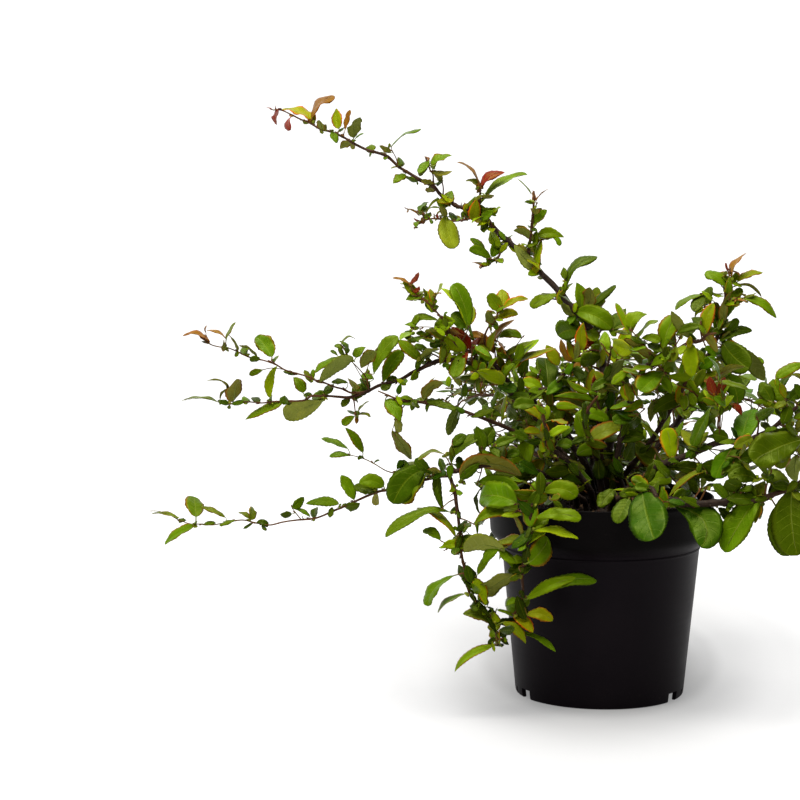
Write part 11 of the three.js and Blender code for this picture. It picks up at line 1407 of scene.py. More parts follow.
(79,-71.3,198.9,77.9,-71.1,198,73.9,-70.4,194.1,69.3,-69.4,191,5.6,0.65,0.11,-0.75,"n"),
(155.9,-64.7,221,154.4,-64.6,221.9,144,-61.5,228.2,132.7,-64.6,233,11.5,0.33,0.75,0.57,"d"),
(155.9,-65.6,220.4,154.6,-63.8,218.8,148.4,-54,213.8,142.7,-47.7,204.3,12.6,-0.45,0.39,0.8,"d"),
(153.3,-69.6,221.2,154.6,-67.4,219.9,157.5,-60.3,217.1,161.7,-55.4,211.9,9.6,-0.31,0.64,0.7,"m"),
(153.4,-69.9,221.1,155,-69.3,222.4,161.6,-66,229.9,170.7,-63.9,235.1,10.2,-0.67,0.32,0.67,"o"),
(166.4,-83.9,269.8,163.4,-81.8,271.5,157.5,-81,276.8,149.9,-82.6,278.8,8.1,0.35,0.58,0.73,"l"),
(144.4,-73.5,238.9,145.3,-71.3,242.6,145.8,-68.3,246.3,147.5,-66.9,250.6,5.4,-0.66,0.71,-0.24,"m"),
(144.4,-73.9,238.8,145.6,-71.6,237.1,148.2,-65.8,234.1,151,-61.3,229.3,7.9,0.32,0.45,0.83,"p"),
(155.4,-83.1,228.2,156.9,-83,224.3,159.9,-81.6,217.7,161.9,-83.4,210.8,8.7,0.32,0.94,0.13,"m"),
(155.4,-83.3,228.3,156.6,-81.3,227.9,159.7,-74.6,227.6,164.1,-69.2,224.8,6,-0.43,0.45,0.78,"m"),
(116.5,-76.1,223,116.6,-78.8,222.7,118.1,-85.2,222.2,116.9,-91.5,220.8,5.1,0.77,-0.07,0.64,"d"),
(75.5,-57.9,216.1,76.3,-55.3,217.7,78.1,-47.8,224.8,80.6,-38.1,228.1,9.1,0.39,-0.55,0.74,"g"),
(74.4,-58.4,215.2,77,-56.5,215.4,84.8,-50.1,218,93,-43.9,215.6,9.2,0.14,-0.27,0.95,"p"),
(109.7,-86,212.2,110.1,-87,213.1,112.1,-94.4,217.6,112.4,-99.2,225.2,7.3,0.73,-0.37,-0.58,"u"),
(109.1,-85.6,212.3,111.9,-87.8,209.5,116,-90.8,206.5,119,-93.4,202,7.2,0.44,-0.42,0.79,"o"),
(154.7,-85.7,255,156,-89.6,254.1,158.3,-95.6,254,160.1,-101.1,251.3,6.9,-0.18,-0.28,0.94,"d"),
(158.1,-72.6,236.1,157.6,-73.5,239.3,156.8,-73.7,244.2,155.7,-76.4,248.4,5.9,0.53,0.79,0.31,"d"),
(157.9,-73.1,235.8,155.3,-70.8,236.3,150.8,-64.2,238.3,144.8,-58.5,237.6,8.8,0.45,0.3,0.84,"m"),
(95.8,-67.8,268.5,94.5,-69,271.9,91.4,-73,282.8,85.3,-75.8,292.9,10.1,0.92,-0.3,0.27,"h"),
(95.7,-67.6,268.3,96.2,-69.5,268.5,97.8,-77.1,271,99.9,-85.1,270.5,7.2,-0.35,0.04,0.94,"p"),
(43,-45,180.8,45.5,-43,180.3,51.9,-34.9,181.8,56.8,-26,179.3,9.5,0.57,-0.36,0.74,"n"),
(40.3,-44.8,180.5,42.5,-44.8,177.9,46.1,-44.7,175,48.4,-45.1,171.1,3.9,0.67,-0.32,0.67,"n"),
(153.8,-85.5,231.7,155.6,-86.7,230.3,150.6,-89.3,235.2,145.6,-90.4,240,7.4,0.64,-0.64,0.42,"d"),
(147.8,-82.5,249.4,149.7,-82.8,254.1,146.9,-86.1,246.6,143.9,-87.8,238.9,10.1,-0.01,-0.95,0.32,"d"),
(39.8,-52.2,194.3,37.2,-57.9,186.3,40.5,-56.9,195.5,43.6,-53.9,204.5,9.4,-0.33,-0.89,0.31,"n"),
(47.1,-56,200.4,42.5,-59.9,206.2,49.3,-62.5,199.3,55.9,-63.2,192.3,10,0.35,-0.78,0.53,"d"),
(116.5,-74.8,224.7,121.4,-76.9,227.3,113.6,-81.2,223.6,105.6,-83.6,219.8,10.7,0.19,-0.89,0.41,"o"),
(81.5,-65.1,215.6,84.5,-66.8,215.3,77,-68.1,216.7,69.3,-67.8,218,6.8,0.15,-0.82,0.54,"p"),
(95.3,-84.9,263.7,94.5,-87,267.1,96.1,-87.5,262.2,97.5,-87,257.2,4.5,0.5,-0.85,0.15,"p"),
(58.6,-59.5,205.7,62.9,-62.3,206.1,58.4,-65.5,206.3,53.7,-67.6,206.3,6.1,0.34,-0.56,0.75,"d"),
(95.1,-77.6,246.9,94.7,-79.3,244.1,95.6,-79.6,248.6,96.3,-79.1,253,4.4,-0.01,-1,0.03,"p"),
(97.9,-71,222.2,94.4,-75.1,222.3,101.6,-76.5,223,108.7,-76.6,223.5,6.3,-0.13,-0.65,0.75,"m"),
(95.2,-80.9,255.4,98.9,-81.8,252.9,94.2,-84.8,256.9,89.3,-86.5,260.7,7.2,0.57,-0.79,0.22,"h"),
(143.7,-87,265.8,146.3,-87,260.4,143.8,-89.3,266.1,141.3,-90.5,271.7,6.8,0.59,-0.81,0.01,"y"),
(141.4,-83.8,254.3,136.9,-85.7,252.2,142.5,-85.7,255,148,-84.5,257.6,7.2,-0.22,-0.74,0.63,"o"),
(70.1,-63,211,67.9,-66.4,208.7,71.2,-67.3,212.2,74.4,-67.3,215.6,5.7,-0.38,-0.9,0.23,"g"),
(107.6,-77.7,214.8,111.9,-78.6,217.2,105.2,-80.4,213.6,98.4,-80.7,209.9,7.9,-0.21,-0.77,0.6,"d"),
(83.3,-67,217,78.6,-71.2,216.5,84.4,-72,217.7,90.2,-71.6,218.8,5,-0.14,-0.79,0.59,"d"),
(132.5,-78.2,233.2,130.2,-80.2,232.6,135.3,-82.5,234.4,140.3,-83.7,236.1,5,-0.44,-0.67,0.6,"m"),
(80,-71.3,204,81,-72.7,206.1,79.2,-75.3,202.1,77.4,-76.9,198,4.4,0.18,-0.9,0.39,"d"),
(138.3,-89.3,274.7,138.3,-89.9,277.6,138.7,-92.7,273.8,139,-94.6,269.9,4.3,0.26,-0.82,0.51,"m"),
(26.7,-44,182.5,29.4,-47.8,182,25.2,-49,183.7,20.9,-49.3,185.3,5.2,0.38,-0.62,0.69,"g"),
(98.6,-82.8,205.3,95.7,-85.7,202.4,99,-85.6,205.7,102.2,-84.5,208.9,4.9,-0.36,-0.79,0.5,"g"),
(110,-73.5,223.8,110,-71.7,224.6,110,-67.5,226.7,110,-62.2,228.7,4.5,0.24,-0.38,0.89,"p"),
(110,-73.5,223.8,109.1,-74.1,225.6,106.4,-76.5,230.8,103.6,-77.7,235.9,5.6,0.69,-0.71,0.12,"g")]),
("cane_right_leafy", [(33,8,137,3.36),(33,8,161.4,3.36),(29.2,8,170.5,3.03),(20.2,8,183,2.7),(39.2,2,209.5,2.4),(52.1,-4,232.4,2.1),(60.1,-9,245.6,1.8),(65.7,-13,255.3,1.5),(67.9,-16,262.3,1.2),(71.1,-18,269.2,0.9)],
[[(67.9,-16,262.3,0.9),(74.6,-16.6,258.2,0.72),(80.4,-17.2,252.5,0.54),(83.7,-17.6,247.6,0.4)],
[(34.4,3.5,202.8,0.8),(31.3,5,208.9,0.64),(29.2,6.5,213.1,0.44)],
[(52.7,-4.3,233.3,0.9),(49.2,-9.4,242.3,0.72),(44.3,-12.6,248.3,0.5)],
[(52.7,-4.3,233.3,0.54),(49.5,-6.2,246.7,0.43),(46,-6.1,256.1,0.3)],
[(62.3,-10.6,249.5,0.69),(65.6,-9.1,251.6,0.6),(69.5,-7.8,254.2,0.48)],
[(49.1,-2.6,227.1,0.76),(46,1.6,237.9,0.66),(43.9,7.2,246,0.53)],
[(60.1,-9,245.6,0.77),(58.1,-10.2,252.4,0.67),(56.3,-10,260.1,0.53)],
[(49.5,-6.2,246.7,0.35),(49.4,-3.1,248.7,0.46),(48.9,0.3,252,0.37)],
[(26.6,8,174.1,0.78),(31.4,7.5,178.7,0.68),(34.8,7.3,184.5,0.54)],
[(45.5,-11.8,246.8,0.44),(46.3,-9.4,251.8,0.48),(46.9,-8.1,257.6,0.39)],
[(74.6,-16.6,258.2,0.58),(74.8,-12.5,257,0.53),(75,-7,254.6,0.42)],
[(25,6.5,189.7,0.87),(28.1,6.6,190.2,0.76),(31.3,6.4,190.4,0.6)],
[(66.4,-14,257.6,0.63),(67,-12.6,262.9,0.55),(66.8,-10.5,267,0.44)],
[(57.1,-7.1,240.6,0.83),(61.5,-5.5,242.9,0.72),(66.8,-4.6,245.4,0.58)],
[(46.1,-1.2,221.8,0.89),(50.9,-5.7,223.6,0.77),(55.8,-9.4,224.9,0.62)],
[(78.9,-17,253.9,0.47),(79.5,-17.6,254.4,0.58),(80.2,-18.2,254.9,0.47)],
[(72.4,-16.4,259.6,0.62),(74.6,-14.6,261.6,0.54),(76.6,-12.9,263.5,0.43)],
[(40.2,1.5,211.3,0.78),(45.4,-0.7,213.8,0.67),(50.8,-3,216.1,0.54)]],
[(31.2,5.4,209.2,30.9,8.1,208.2,29.8,10.8,218.7,29.2,13.4,230.4,12.6,-0.23,-0.95,0.21,"d"),
(29.3,6.5,212.9,26.9,6.2,212.3,39.3,-0.5,201.8,52.8,-7.4,191.5,18.2,0.06,-0.8,0.6,"o"),
(64.3,-12.1,253,66.5,-12.1,251.3,55.8,-14,248.8,42.6,-16.6,240,13.7,0.06,-0.97,0.25,"d"),
(44.4,-12.5,248.2,42.8,-12.5,250.2,49.4,-12,242.6,52.6,-11.9,233.4,9.6,0.47,-0.85,0.24,"d"),
(44.4,-12.5,248.2,44.4,-12.2,250,42,-10.1,240.4,40.9,-7.7,230.4,8.1,-0.23,0.94,0.26,"o"),
(66,-13.3,256.1,68.1,-13.4,255.3,68.4,-17.5,249.1,68,-22.4,242.9,8.9,0.37,-0.76,0.54,"l"),
(73.2,-16.3,259.1,72.1,-16.5,257.4,74.7,-21.3,252.3,77.6,-26.9,247.7,8.9,-0.64,-0.67,0.36,"m"),
(81.1,-17.3,250.7,78.8,-17,249.1,83.5,-18.1,246.1,87.8,-19.3,241.9,6.5,0.17,-0.86,0.48,"d"),
(79.9,-17.2,252.1,81.2,-17.2,253.3,74.1,-15.2,262,70.4,-12.9,270.3,9.2,-0.54,-0.83,-0.13,"l"),
(64.5,-12.2,253.3,61.6,-12.4,255.2,59.1,-6.8,260.4,55.2,-0.3,264,8.7,0.17,-0.52,0.84,"l"),
(69.7,-16.8,265.7,69.5,-17,265.7,64,-18.2,269,57.9,-19.7,269.2,7.8,0.34,-0.79,0.52,"m"),
(46,-6.1,255.9,46,-6.1,256.1,52.1,-2.1,259.2,58.6,2.5,259.6,9.3,0.27,-0.68,0.68,"m"),
(69.3,-7.9,254.1,71.6,-6,252.6,76.9,-2.5,249.8,80.5,1.8,245.6,7.7,0.65,-0.12,0.75,"h"),
(68.5,-8.2,253.5,68.4,-6.8,257.4,68.3,-4.2,266.2,67.9,-0.1,274.5,11.1,0.81,-0.55,0.22,"d"),
(44.6,5.5,243.5,43,5.3,243.9,37.8,3.8,247,31.9,1.9,247.3,6.7,0.29,0.1,0.95,"g"),
(56.4,-10,259.8,55.2,-11.4,261.9,51.2,-16.4,272,44.9,-24.2,278.6,11.1,0.21,0.71,0.67,"o"),
(57,-9.8,257.4,55,-9.3,258.5,47.5,-7.5,264.8,37.9,-5.1,267.1,8.2,0.45,-0.1,0.89,"o"),
(48.9,0.1,251.9,46.7,4,252.7,43.8,11.6,254.8,38.4,18.3,254.6,7.9,0.28,-0.01,0.96,"g"),
(49,-1,251.1,50.4,1.5,250.2,52.1,5.2,249.5,54.4,8.1,247.6,4.9,-0.12,0.38,0.92,"p"),
(34.2,7.4,183.8,37.1,4.7,184.4,44.9,-0.5,186.8,53.9,-3.4,185.9,7.6,-0.3,-0.4,0.87,"g"),
(46.8,-8.5,256.6,45.1,-6.9,257.1,35.8,3.1,262.3,24.1,11.8,263.1,12.7,0.05,-0.27,0.96,"d"),
(46.6,-9,255.1,43.2,-9.5,257.2,38.5,-10.3,261.6,32.3,-11.1,263.7,6.6,0.52,-0.01,0.85,"d"),
(74.9,-7.6,254.9,74.2,-4.4,256.1,73.2,6.1,261.3,68.4,16.7,263.8,11,0.95,0.11,0.29,"d"),
(74.9,-8.3,255.1,76.1,-7.5,254,81.4,-3,249.6,86.5,-0.1,244,9.3,0.62,0.13,0.78,"g"),
(74.9,-9,255.4,71.9,-10.1,254.4,64.2,-9.2,253,57.4,-9.8,248.5,7.3,-0.13,0.8,0.59,"u"),
(30,6.4,190.2,31.2,7,189,39.5,11.4,182,46.7,13.8,173,11.8,0.71,-0.07,0.7,"n"),
(66.8,-10.9,265.7,64.6,-10.2,269.3,61.3,-9.9,275,57.4,-7.7,280.1,7.9,0.7,-0.48,0.53,"o"),
(65.5,-5,244.8,68.2,-7.2,244.2,76.1,-12.1,244.1,82.3,-18.5,241.1,9.9,0.36,0.22,0.91,"d"),
(55.3,-9,224.8,55.3,-12.1,224,56,-22.3,223.1,54.6,-31.4,218.3,11.1,0.65,-0.2,0.74,"m"),
(54.9,-8.6,224.6,58.1,-6.6,223.5,66.2,-2.9,221.7,72.8,2.2,218.3,10.8,0.54,-0.49,0.68,"u"),
(80.1,-18.1,254.8,82,-18.2,255.5,90.9,-18.6,259.8,100.6,-19.2,261.6,10.6,-0.27,-0.73,0.62,"d"),
(76,-13.4,263,76.5,-9.6,261.9,77.6,-5.2,261,77.7,-0.7,259.3,4.3,0.43,0.19,0.88,"m"),
(50.6,-2.9,216,51.4,-4.1,216.7,56.9,-12.5,223.1,61.4,-22.8,227.5,9.6,0.33,0.62,0.71,"d"),
(49.3,-2.4,215.4,50.8,-2.3,214.3,57.4,-2.9,210.1,63.2,-1.8,205,7.1,0.57,-0.34,0.75,"g"),
(39.2,2,209.5,41.1,-1.4,211,36.6,-2.6,207.9,32,-2.6,204.6,5.5,-0.18,-0.89,0.42,"d"),
(80.5,-17.2,251.4,77.8,-19.9,249.8,85.5,-19.7,254.7,93,-17.7,259.5,10.6,-0.07,-0.94,0.33,"m"),
(63.7,-11.7,252,63.1,-14.9,247.3,64.5,-15.2,255,65.9,-13.9,262.6,8.1,0.16,-0.99,0.04,"y"),
(66.7,-12,262.8,62,-14.9,264.4,71.3,-15.3,262,80.4,-13.8,259.3,9,0.24,-0.63,0.73,"o"),
(43.9,7.2,246,41.6,8,246,35.3,9.7,246,28.9,12.7,245.8,6.9,-0.2,-0.53,0.83,"m")]),
("cane_front_pot", [(-12,-42,137,3.81),(-12,-42,161.4,3.81),(-13.5,-48,169.4,3.45),(-16.9,-62,174.9,3.1),(-33,-76,184.9,2.9),(-44.9,-86,187.8,2.7),(-52.7,-94,179.9,2.6),(-55.7,-100,169.4,2.5),(-56.3,-103,158.5,2.4),(-57.8,-104,147.3,2.2),(-59.4,-104,139.2,2),(-60.9,-104,129.4,1.9),(-62.5,-103,117,1.8),(-61.6,-102,103,1.6),(-63.2,-101,96.2,1.3),(-65.7,-100,89.4,1),(-68.9,-100,84.5,0.7)],
[[(-64,-100.7,94,0.72),(-60.3,-102.6,90.3,0.58),(-58.3,-103.7,84.6,0.4)],
[(-53.7,-96.1,176.2,0.85),(-61.1,-100.2,176.6,0.68),(-66.8,-103.1,174.6,0.47)],
[(-53.7,-96.1,176.2,0.51),(-62,-100,173,0.41),(-70.8,-103.1,166.4,0.28)],
[(-64,-100.7,94,0.43),(-62.1,-99.8,84.1,0.35),(-62.5,-96.3,69.9,0.24)],
[(-58.4,-104,144.2,1),(-68.3,-104.2,143.2,0.8),(-77.8,-105,139.1,0.55)],
[(-16.4,-60,174.1,0.77),(-22.5,-63.3,176.1,0.67),(-28.4,-67.6,179.6,0.53)],
[(-25.7,-69.6,180.3,0.84),(-28.6,-71.5,179.3,0.73),(-31.9,-73.7,178.4,0.58)],
[(-55.2,-99,171.2,0.91),(-55.1,-102,172.8,0.8),(-54.9,-105.3,173.7,0.64)],
[(-38.1,-80.3,186.2,0.69),(-40.1,-88.8,181.1,0.6),(-41,-99.4,178.1,0.48)],
[(-41.5,-83.1,187,0.63),(-46,-82.2,189.9,0.55),(-49.5,-80.7,191.5,0.44)],
[(-56.1,-101.8,162.9,0.83),(-56.5,-97.7,162.1,0.72),(-56.6,-94.1,161.3,0.57)],
[(-61.4,-103.7,125.3,0.71),(-64.5,-114.9,125.4,0.62),(-62.9,-125.3,123.9,0.49)],
[(-62.2,-101.7,100.7,0.69),(-60.2,-102.6,99.7,0.6),(-58.4,-104,98.6,0.48)],
[(-62.2,-102.7,113,0.82),(-63.5,-100.9,113.9,0.72),(-64.5,-99.1,114.9,0.57)],
[(-55.8,-100.6,167.2,0.71),(-59.8,-94.4,165.8,0.62),(-64.5,-85.7,166.1,0.49)],
[(-51.4,-92.7,181.2,0.81),(-54.7,-95.6,187.5,0.71),(-59.6,-97.9,191.6,0.56)],
[(-63.7,-100.6,171.7,0.31),(-64.5,-105.1,173.8,0.51),(-65.4,-109.7,175.8,0.41)],
[(-62.2,-103.2,119.1,0.84),(-66.9,-102.2,120.3,0.73),(-72.1,-101.5,121.3,0.59)]],
[(-66.7,-103.1,174.6,-66.8,-103.1,174.6,-82.5,-92.4,179.5,-99.4,-80,176.4,24.4,-0.48,-0.71,0.51,"m"),
(-77.6,-105,139.1,-76.3,-105.2,136.5,-92.6,-108.2,142,-110,-111.9,140.1,19.3,-0.12,0.88,0.46,"u"),
(-77.6,-105,139.1,-80.8,-104.7,139.4,-87.7,-106.4,135.6,-92.6,-108.5,127.4,9.6,-0.24,-0.83,0.5,"m"),
(-77.6,-105,139.1,-81.5,-104.3,139.1,-74.9,-105.9,131.4,-66.8,-107.1,127.5,8.8,0.38,-0.66,0.64,"m"),
(-77.6,-105,139.1,-80.1,-105.7,138.3,-73.4,-101,143.7,-64.5,-95.3,148.2,7.2,-0.05,-0.65,0.76,"m"),
(-62.5,-96.3,70.1,-64.2,-96.5,68.8,-48,-99.6,64.6,-34.7,-103.4,54.9,6.5,0.24,-0.57,0.78,"m"),
(-62.4,-97.1,73.2,-64.8,-97.9,73.4,-71.3,-98.9,73.8,-77.7,-100,76.1,5.8,0.08,-0.93,-0.36,"m"),
(-62.2,-103.1,118.6,-66.4,-101.9,117.8,-81.2,-99.3,109.8,-95.2,-95.9,98.5,20.5,-0.29,0.7,0.65,"u"),
(-62.5,-103,116.7,-63.3,-103,117,-67.7,-106.4,115.5,-71.8,-110.4,114.9,6.8,0.67,-0.7,-0.27,"m"),
(-62.5,-103,116.7,-63.3,-103,117,-61.3,-95.7,122.8,-62.3,-87.4,128.1,12.2,0.46,-0.53,0.71,"m"),
(-60.8,-103.4,127.7,-60.9,-103.9,127.7,-66.9,-103.7,129.8,-72.2,-103.5,127.5,8.3,-0.04,-0.81,0.58,"m"),
(-60.9,-103.3,127.4,-57.4,-112.6,128.5,-48.1,-102,135.2,-41.3,-89.8,146,20.8,0.6,-0.71,0.38,"m"),
(-59.1,-103.7,139.1,-59.9,-103.9,140.7,-51,-101.6,149.4,-43.8,-99.5,150.8,8.2,-0.22,-0.71,0.66,"l"),
(-58.1,-103.9,145.4,-59.4,-104,145.7,-62.3,-108.1,142,-62.3,-112.9,138.2,8.2,-0.22,-0.59,0.78,"m"),
(-64.4,-104.1,143.6,-64.4,-102.6,148.7,-73.9,-102.4,145.1,-86.9,-102.2,142.1,9.7,-0.21,-0.72,0.67,"o"),
(-57.8,-104,147.5,-57.9,-102.5,147.1,-59.9,-96.9,149.4,-62.3,-90.8,151.6,7.8,0.26,-0.26,0.93,"o"),
(-62.3,-101.7,100.6,-57.8,-100.2,99.2,-30.6,-94.1,111,-1.9,-86.9,111.9,15.3,-0.02,-0.65,0.76,"h"),
(-63.2,-101.2,97.9,-58.2,-101.9,97.1,-39.1,-99,108.6,-17.6,-91.2,114,10.5,0.08,-0.87,0.49,"l"),
(-66,-100,88.8,-64.8,-100.1,86.7,-72.4,-92.8,90.9,-76.4,-84.2,93.4,12.9,-0.67,-0.64,0.36,"m"),
(-63.7,-100.4,91.3,-64,-100.4,91.2,-59.8,-96.8,93.7,-56.3,-92.5,97.2,7.8,0.72,-0.7,-0.01,"m"),
(-62.7,-100.1,87.1,-63.2,-100.1,87,-59.6,-95.1,86.6,-56.3,-89.2,84.2,7.8,0.67,-0.24,0.7,"m"),
(-58.3,-103.6,84.7,-58.3,-103.7,84.6,-47.1,-105.1,85.9,-37.3,-106.8,80.7,11.4,0,-0.77,0.64,"y"),
(-68.8,-100,84.5,-69.7,-100,82.8,-60.4,-102.5,78.9,-53.3,-105.3,70.3,11.3,0.29,-0.68,0.67,"y"),
(-68.8,-100,84.5,-68.8,-100.5,82.1,-75.6,-99.3,85.5,-82.7,-97.9,87.1,5.2,0.21,-0.5,0.84,"m"),
(-62.3,-103,118.4,-62.9,-102.9,120.1,-72.7,-101.5,129.6,-83.5,-100,140.2,8,0.16,-0.94,0.3,"m"),
(-63.4,-101.1,96.9,-67.3,-100.4,97.7,-71.2,-103,95.5,-75.1,-105.9,92,6.8,-0.05,-0.68,0.73,"m"),
(-52.8,-94.1,179.7,-55.9,-93.7,181.5,-50.9,-91,188.7,-44.1,-87.9,185.7,8.3,0.14,-0.76,0.64,"m"),
(-49.8,-91,182.8,-48,-90.8,181.1,-33.2,-93,186.1,-19,-95.6,179.8,16.1,-0.12,-0.87,0.48,"m"),
(-48.5,-89.7,184.2,-42.3,-90.6,178.7,-56.7,-93.4,179.2,-71.1,-96.5,184.1,13.4,0.15,-0.96,-0.24,"m"),
(-54.6,-97.7,173.4,-51,-97.7,172.4,-55.7,-101.7,165.7,-55.4,-106.3,156.6,13.3,-0.2,-0.83,0.51,"m"),
(-65.8,-101.3,170.2,-62.8,-102.1,166.4,-71.3,-103.7,166.1,-79.5,-105.6,165.1,6.6,0.08,-0.66,0.75,"l"),
(-70.6,-103,166.6,-70.8,-103.1,166.4,-65.5,-101.2,158.2,-62,-99,147.2,5.5,0.46,0.81,0.38,"o"),
(-56,-101.6,163.6,-53.3,-102.7,162.8,-34.7,-106.2,167.7,-15.2,-109.8,164.7,12.3,-0.17,-0.73,0.66,"m"),
(-56.8,-103.3,154.7,-55.5,-103.3,154.5,-48,-100.2,159.7,-41.3,-96.5,163.4,10.7,0.04,-0.82,0.57,"m"),
(-57.1,-103.5,152.9,-53.9,-103.9,153.8,-35,-107.7,153.5,-17.4,-111.5,148.2,11.7,0.03,-0.49,0.87,"l"),
(-26.7,-66.5,178.8,-28.4,-65.4,179.2,-37.9,-59.6,182.6,-47.2,-52.6,182.9,10.3,-0.25,-0.62,0.74,"d"),
(-25.9,-66,178.4,-27.5,-69.1,177.4,-30.8,-74.3,176.8,-33,-79.2,173.9,6.9,-0.14,-0.25,0.96,"n"),
(-31.5,-73.4,178.5,-35.2,-73.5,180.2,-44.2,-74.6,186.2,-55,-73.9,188.7,11.6,0.32,-0.67,0.67,"g"),
(-30.6,-72.8,178.8,-31.9,-75.8,179.5,-33.6,-81.6,181.3,-36.9,-87.1,181.5,6.4,0.24,0.12,0.96,"g"),
(-41,-99.2,178.1,-39.6,-102.1,178.7,-35.9,-109,181.5,-32,-116.5,182.1,6.9,-0.78,-0.26,0.57,"o"),
(-40.7,-95.7,179.1,-39.1,-96.2,178.1,-34.5,-97.8,174,-30.7,-98.7,169,5.5,-0.13,-0.98,0.15,"d"),
(-56.6,-94.5,161.4,-55.7,-94,157.7,-53.6,-92.3,150.7,-52.1,-92.4,143.3,6.7,0.15,0.97,0.16,"p"),
(-56.6,-94.8,161.4,-57.2,-93.7,161.5,-60.9,-86.5,162.9,-65.7,-79.9,161.6,7.9,0.32,0.15,0.94,"g"),
(-64.4,-99.3,114.7,-66.3,-95.5,114,-71.9,-84.2,114.4,-77,-73.7,109,11.9,-0.15,0.12,0.98,"n"),
(-64.1,-99.8,114.5,-64.1,-97.4,115.4,-65.2,-89.8,119.6,-64,-81.2,121.4,7.4,-0.29,-0.33,0.9,"n"),
(-64.3,-86,166.1,-63.7,-83.3,167,-62,-77.9,169.9,-59.7,-72.1,171.4,6.8,-0.49,-0.17,0.85,"d"),
(-58.2,-97.2,190.5,-59.5,-99,190.8,-65.1,-107.1,194.4,-70,-116.2,196,12.8,0.27,0.15,0.95,"m"),
(-71.2,-101.6,121.1,-72.3,-100.1,119.7,-76.6,-95.4,114.7,-79.4,-89.5,109.8,7.1,-0.86,-0.14,0.48,"n"),
(-51.5,-92.8,181.1,-49.8,-95.6,184.6,-53.7,-98.7,176.1,-57.7,-99.9,167.4,9.3,0.06,-0.98,0.21,"d"),
(-63.4,-100.3,90.1,-66.6,-101.3,99.7,-63.1,-103.4,90.3,-59.8,-103.5,80.8,10.1,0.28,-0.94,0.21,"n"),
(-55.8,-100.6,167.2,-53.6,-100.9,165.3,-59.7,-105.4,171.8,-66,-108.1,178.1,8.9,0.42,-0.9,-0.1,"g"),
(-71.1,-101.6,121.1,-74,-103.6,120.9,-64,-104.8,122.4,-54.2,-104.1,123.7,10,-0.09,-0.86,0.51,"n"),
(-65.3,-104.1,143.5,-70.7,-107.9,139.5,-62.5,-106.5,145.8,-54.4,-103.1,151.9,9.8,-0.26,-0.74,0.62,"g"),
(-49.1,-90.3,183.6,-48.8,-95,179.9,-48.4,-95.9,189.9,-48.2,-94.8,199.7,9.3,0.42,-0.91,0,"d"),
(-60.6,-103.4,129.1,-60.9,-106.7,126.8,-59.2,-109.6,134.1,-57.7,-110.9,141.3,7.9,-0.48,-0.87,-0.15,"n"),
(-56.7,-103.3,155.5,-55.8,-106.2,157.6,-57.3,-110.1,153,-59,-112.8,148.3,5.3,-0.09,-0.8,0.59,"n"),
(-62.3,-101.7,100.7,-60.7,-102.1,97.5,-62.3,-104.3,101.4,-63.9,-105.6,105.3,4.6,0.26,-0.92,-0.29,"n")]),
("cane_right_low", [(26,-28,137,4.26),(26,-28,161.4,4.26),(26.7,-33.4,168.9,3.93),(25.1,-46.5,169.8,3.6),(40,-64.1,175.8,3.4),(54.1,-78,176.5,3.2),(65.1,-84,174.3,3.1),(77.7,-88,174.3,3),(88.7,-90,175.5,2.9),(101.4,-91,176.6,2.8),(114.8,-92,177,2.6),(126.6,-92,178.7,2.4),(136,-92,182.9,2.2),(146.2,-92,186.3,2),(151.6,-93,189.7,1.8),(157.7,-94,193.9,1.6),(166.8,-96,202.3,1.3),(174.3,-98,210.7,0.9)],
[[(109.9,-91.6,176.9,0.9),(111.7,-91.2,185.3,0.72),(115.5,-89.2,191.1,0.49)],
[(109.9,-91.6,176.9,0.54),(115.7,-89.5,187.3,0.43),(124.2,-88.2,194.3,0.3)],
[(71.4,-86,174.3,0.9),(76.1,-83.2,179.9,0.78),(80.6,-80.7,186.2,0.62)],
[(126.6,-92,178.7,0.68),(130.4,-86.9,179.5,0.59),(135.1,-81.9,180.3,0.47)],
[(144.2,-92,185.6,0.64),(148.1,-88,185.7,0.56),(150.4,-84,186.2,0.45)],
[(43.1,-67.1,176,0.74),(43.8,-66.9,181.1,0.64),(45.1,-67.9,186.2,0.51)],
[(103.6,-91.2,176.7,0.88),(106.7,-86.8,185.6,0.77),(106.8,-82.6,193.7,0.61)],
[(61.4,-82,175,0.68),(64.8,-80.6,176.1,0.59),(68.1,-79.4,177.2,0.47)],
[(77.7,-88,174.3,0.85),(81.4,-86.4,180.7,0.74),(84.5,-84.6,187.8,0.59)],
[(31.2,-53.9,172.3,0.74),(33.8,-53.8,172.6,0.64),(36.5,-53.7,172.9,0.51)],
[(84.3,-89.2,175,0.81),(87.7,-88.8,174.4,0.7),(91.4,-89.2,173.5,0.56)],
[(114.8,-89.9,185.6,0.36),(115.4,-89.1,185.8,0.53),(116,-88.4,186.2,0.42)],
[(95.1,-90.5,176.1,0.85),(98.3,-89.1,175.6,0.74),(101.2,-87.4,175.1,0.59)],
[(130.4,-92,180.4,0.91),(131.7,-90.9,190.4,0.79),(135.2,-89,199.9,0.63)]],
[(47.8,-71.8,176.2,47.8,-71.8,176.3,49.4,-70.7,181.1,51,-69.4,185.9,4.4,-0.57,-0.73,0.37,"y"),
(55.2,-78.6,176.3,53.3,-81,169.6,50.4,-79.3,178.3,48.3,-77.3,187,9.5,-0.47,-0.88,0.05,"m"),
(55.7,-78.9,176.2,54.2,-77.4,169.9,61.8,-73.9,175.5,68.7,-69.9,182.9,12.4,0.39,-0.92,0.08,"m"),
(61.6,-82.1,175,58.9,-81.7,171.9,82.4,-93.7,161.4,80.3,-111.1,144.1,27,-0.09,-0.84,0.54,"g"),
(64.2,-83.5,174.5,62.8,-83.4,169.3,72.6,-86,159.9,78.8,-89,147.7,6.7,0.69,-0.39,0.61,"u"),
(125.8,-92,178.7,127.1,-91.6,181.3,113.1,-96,164.7,98.2,-101.7,137.9,24,-0.24,-0.89,0.4,"m"),
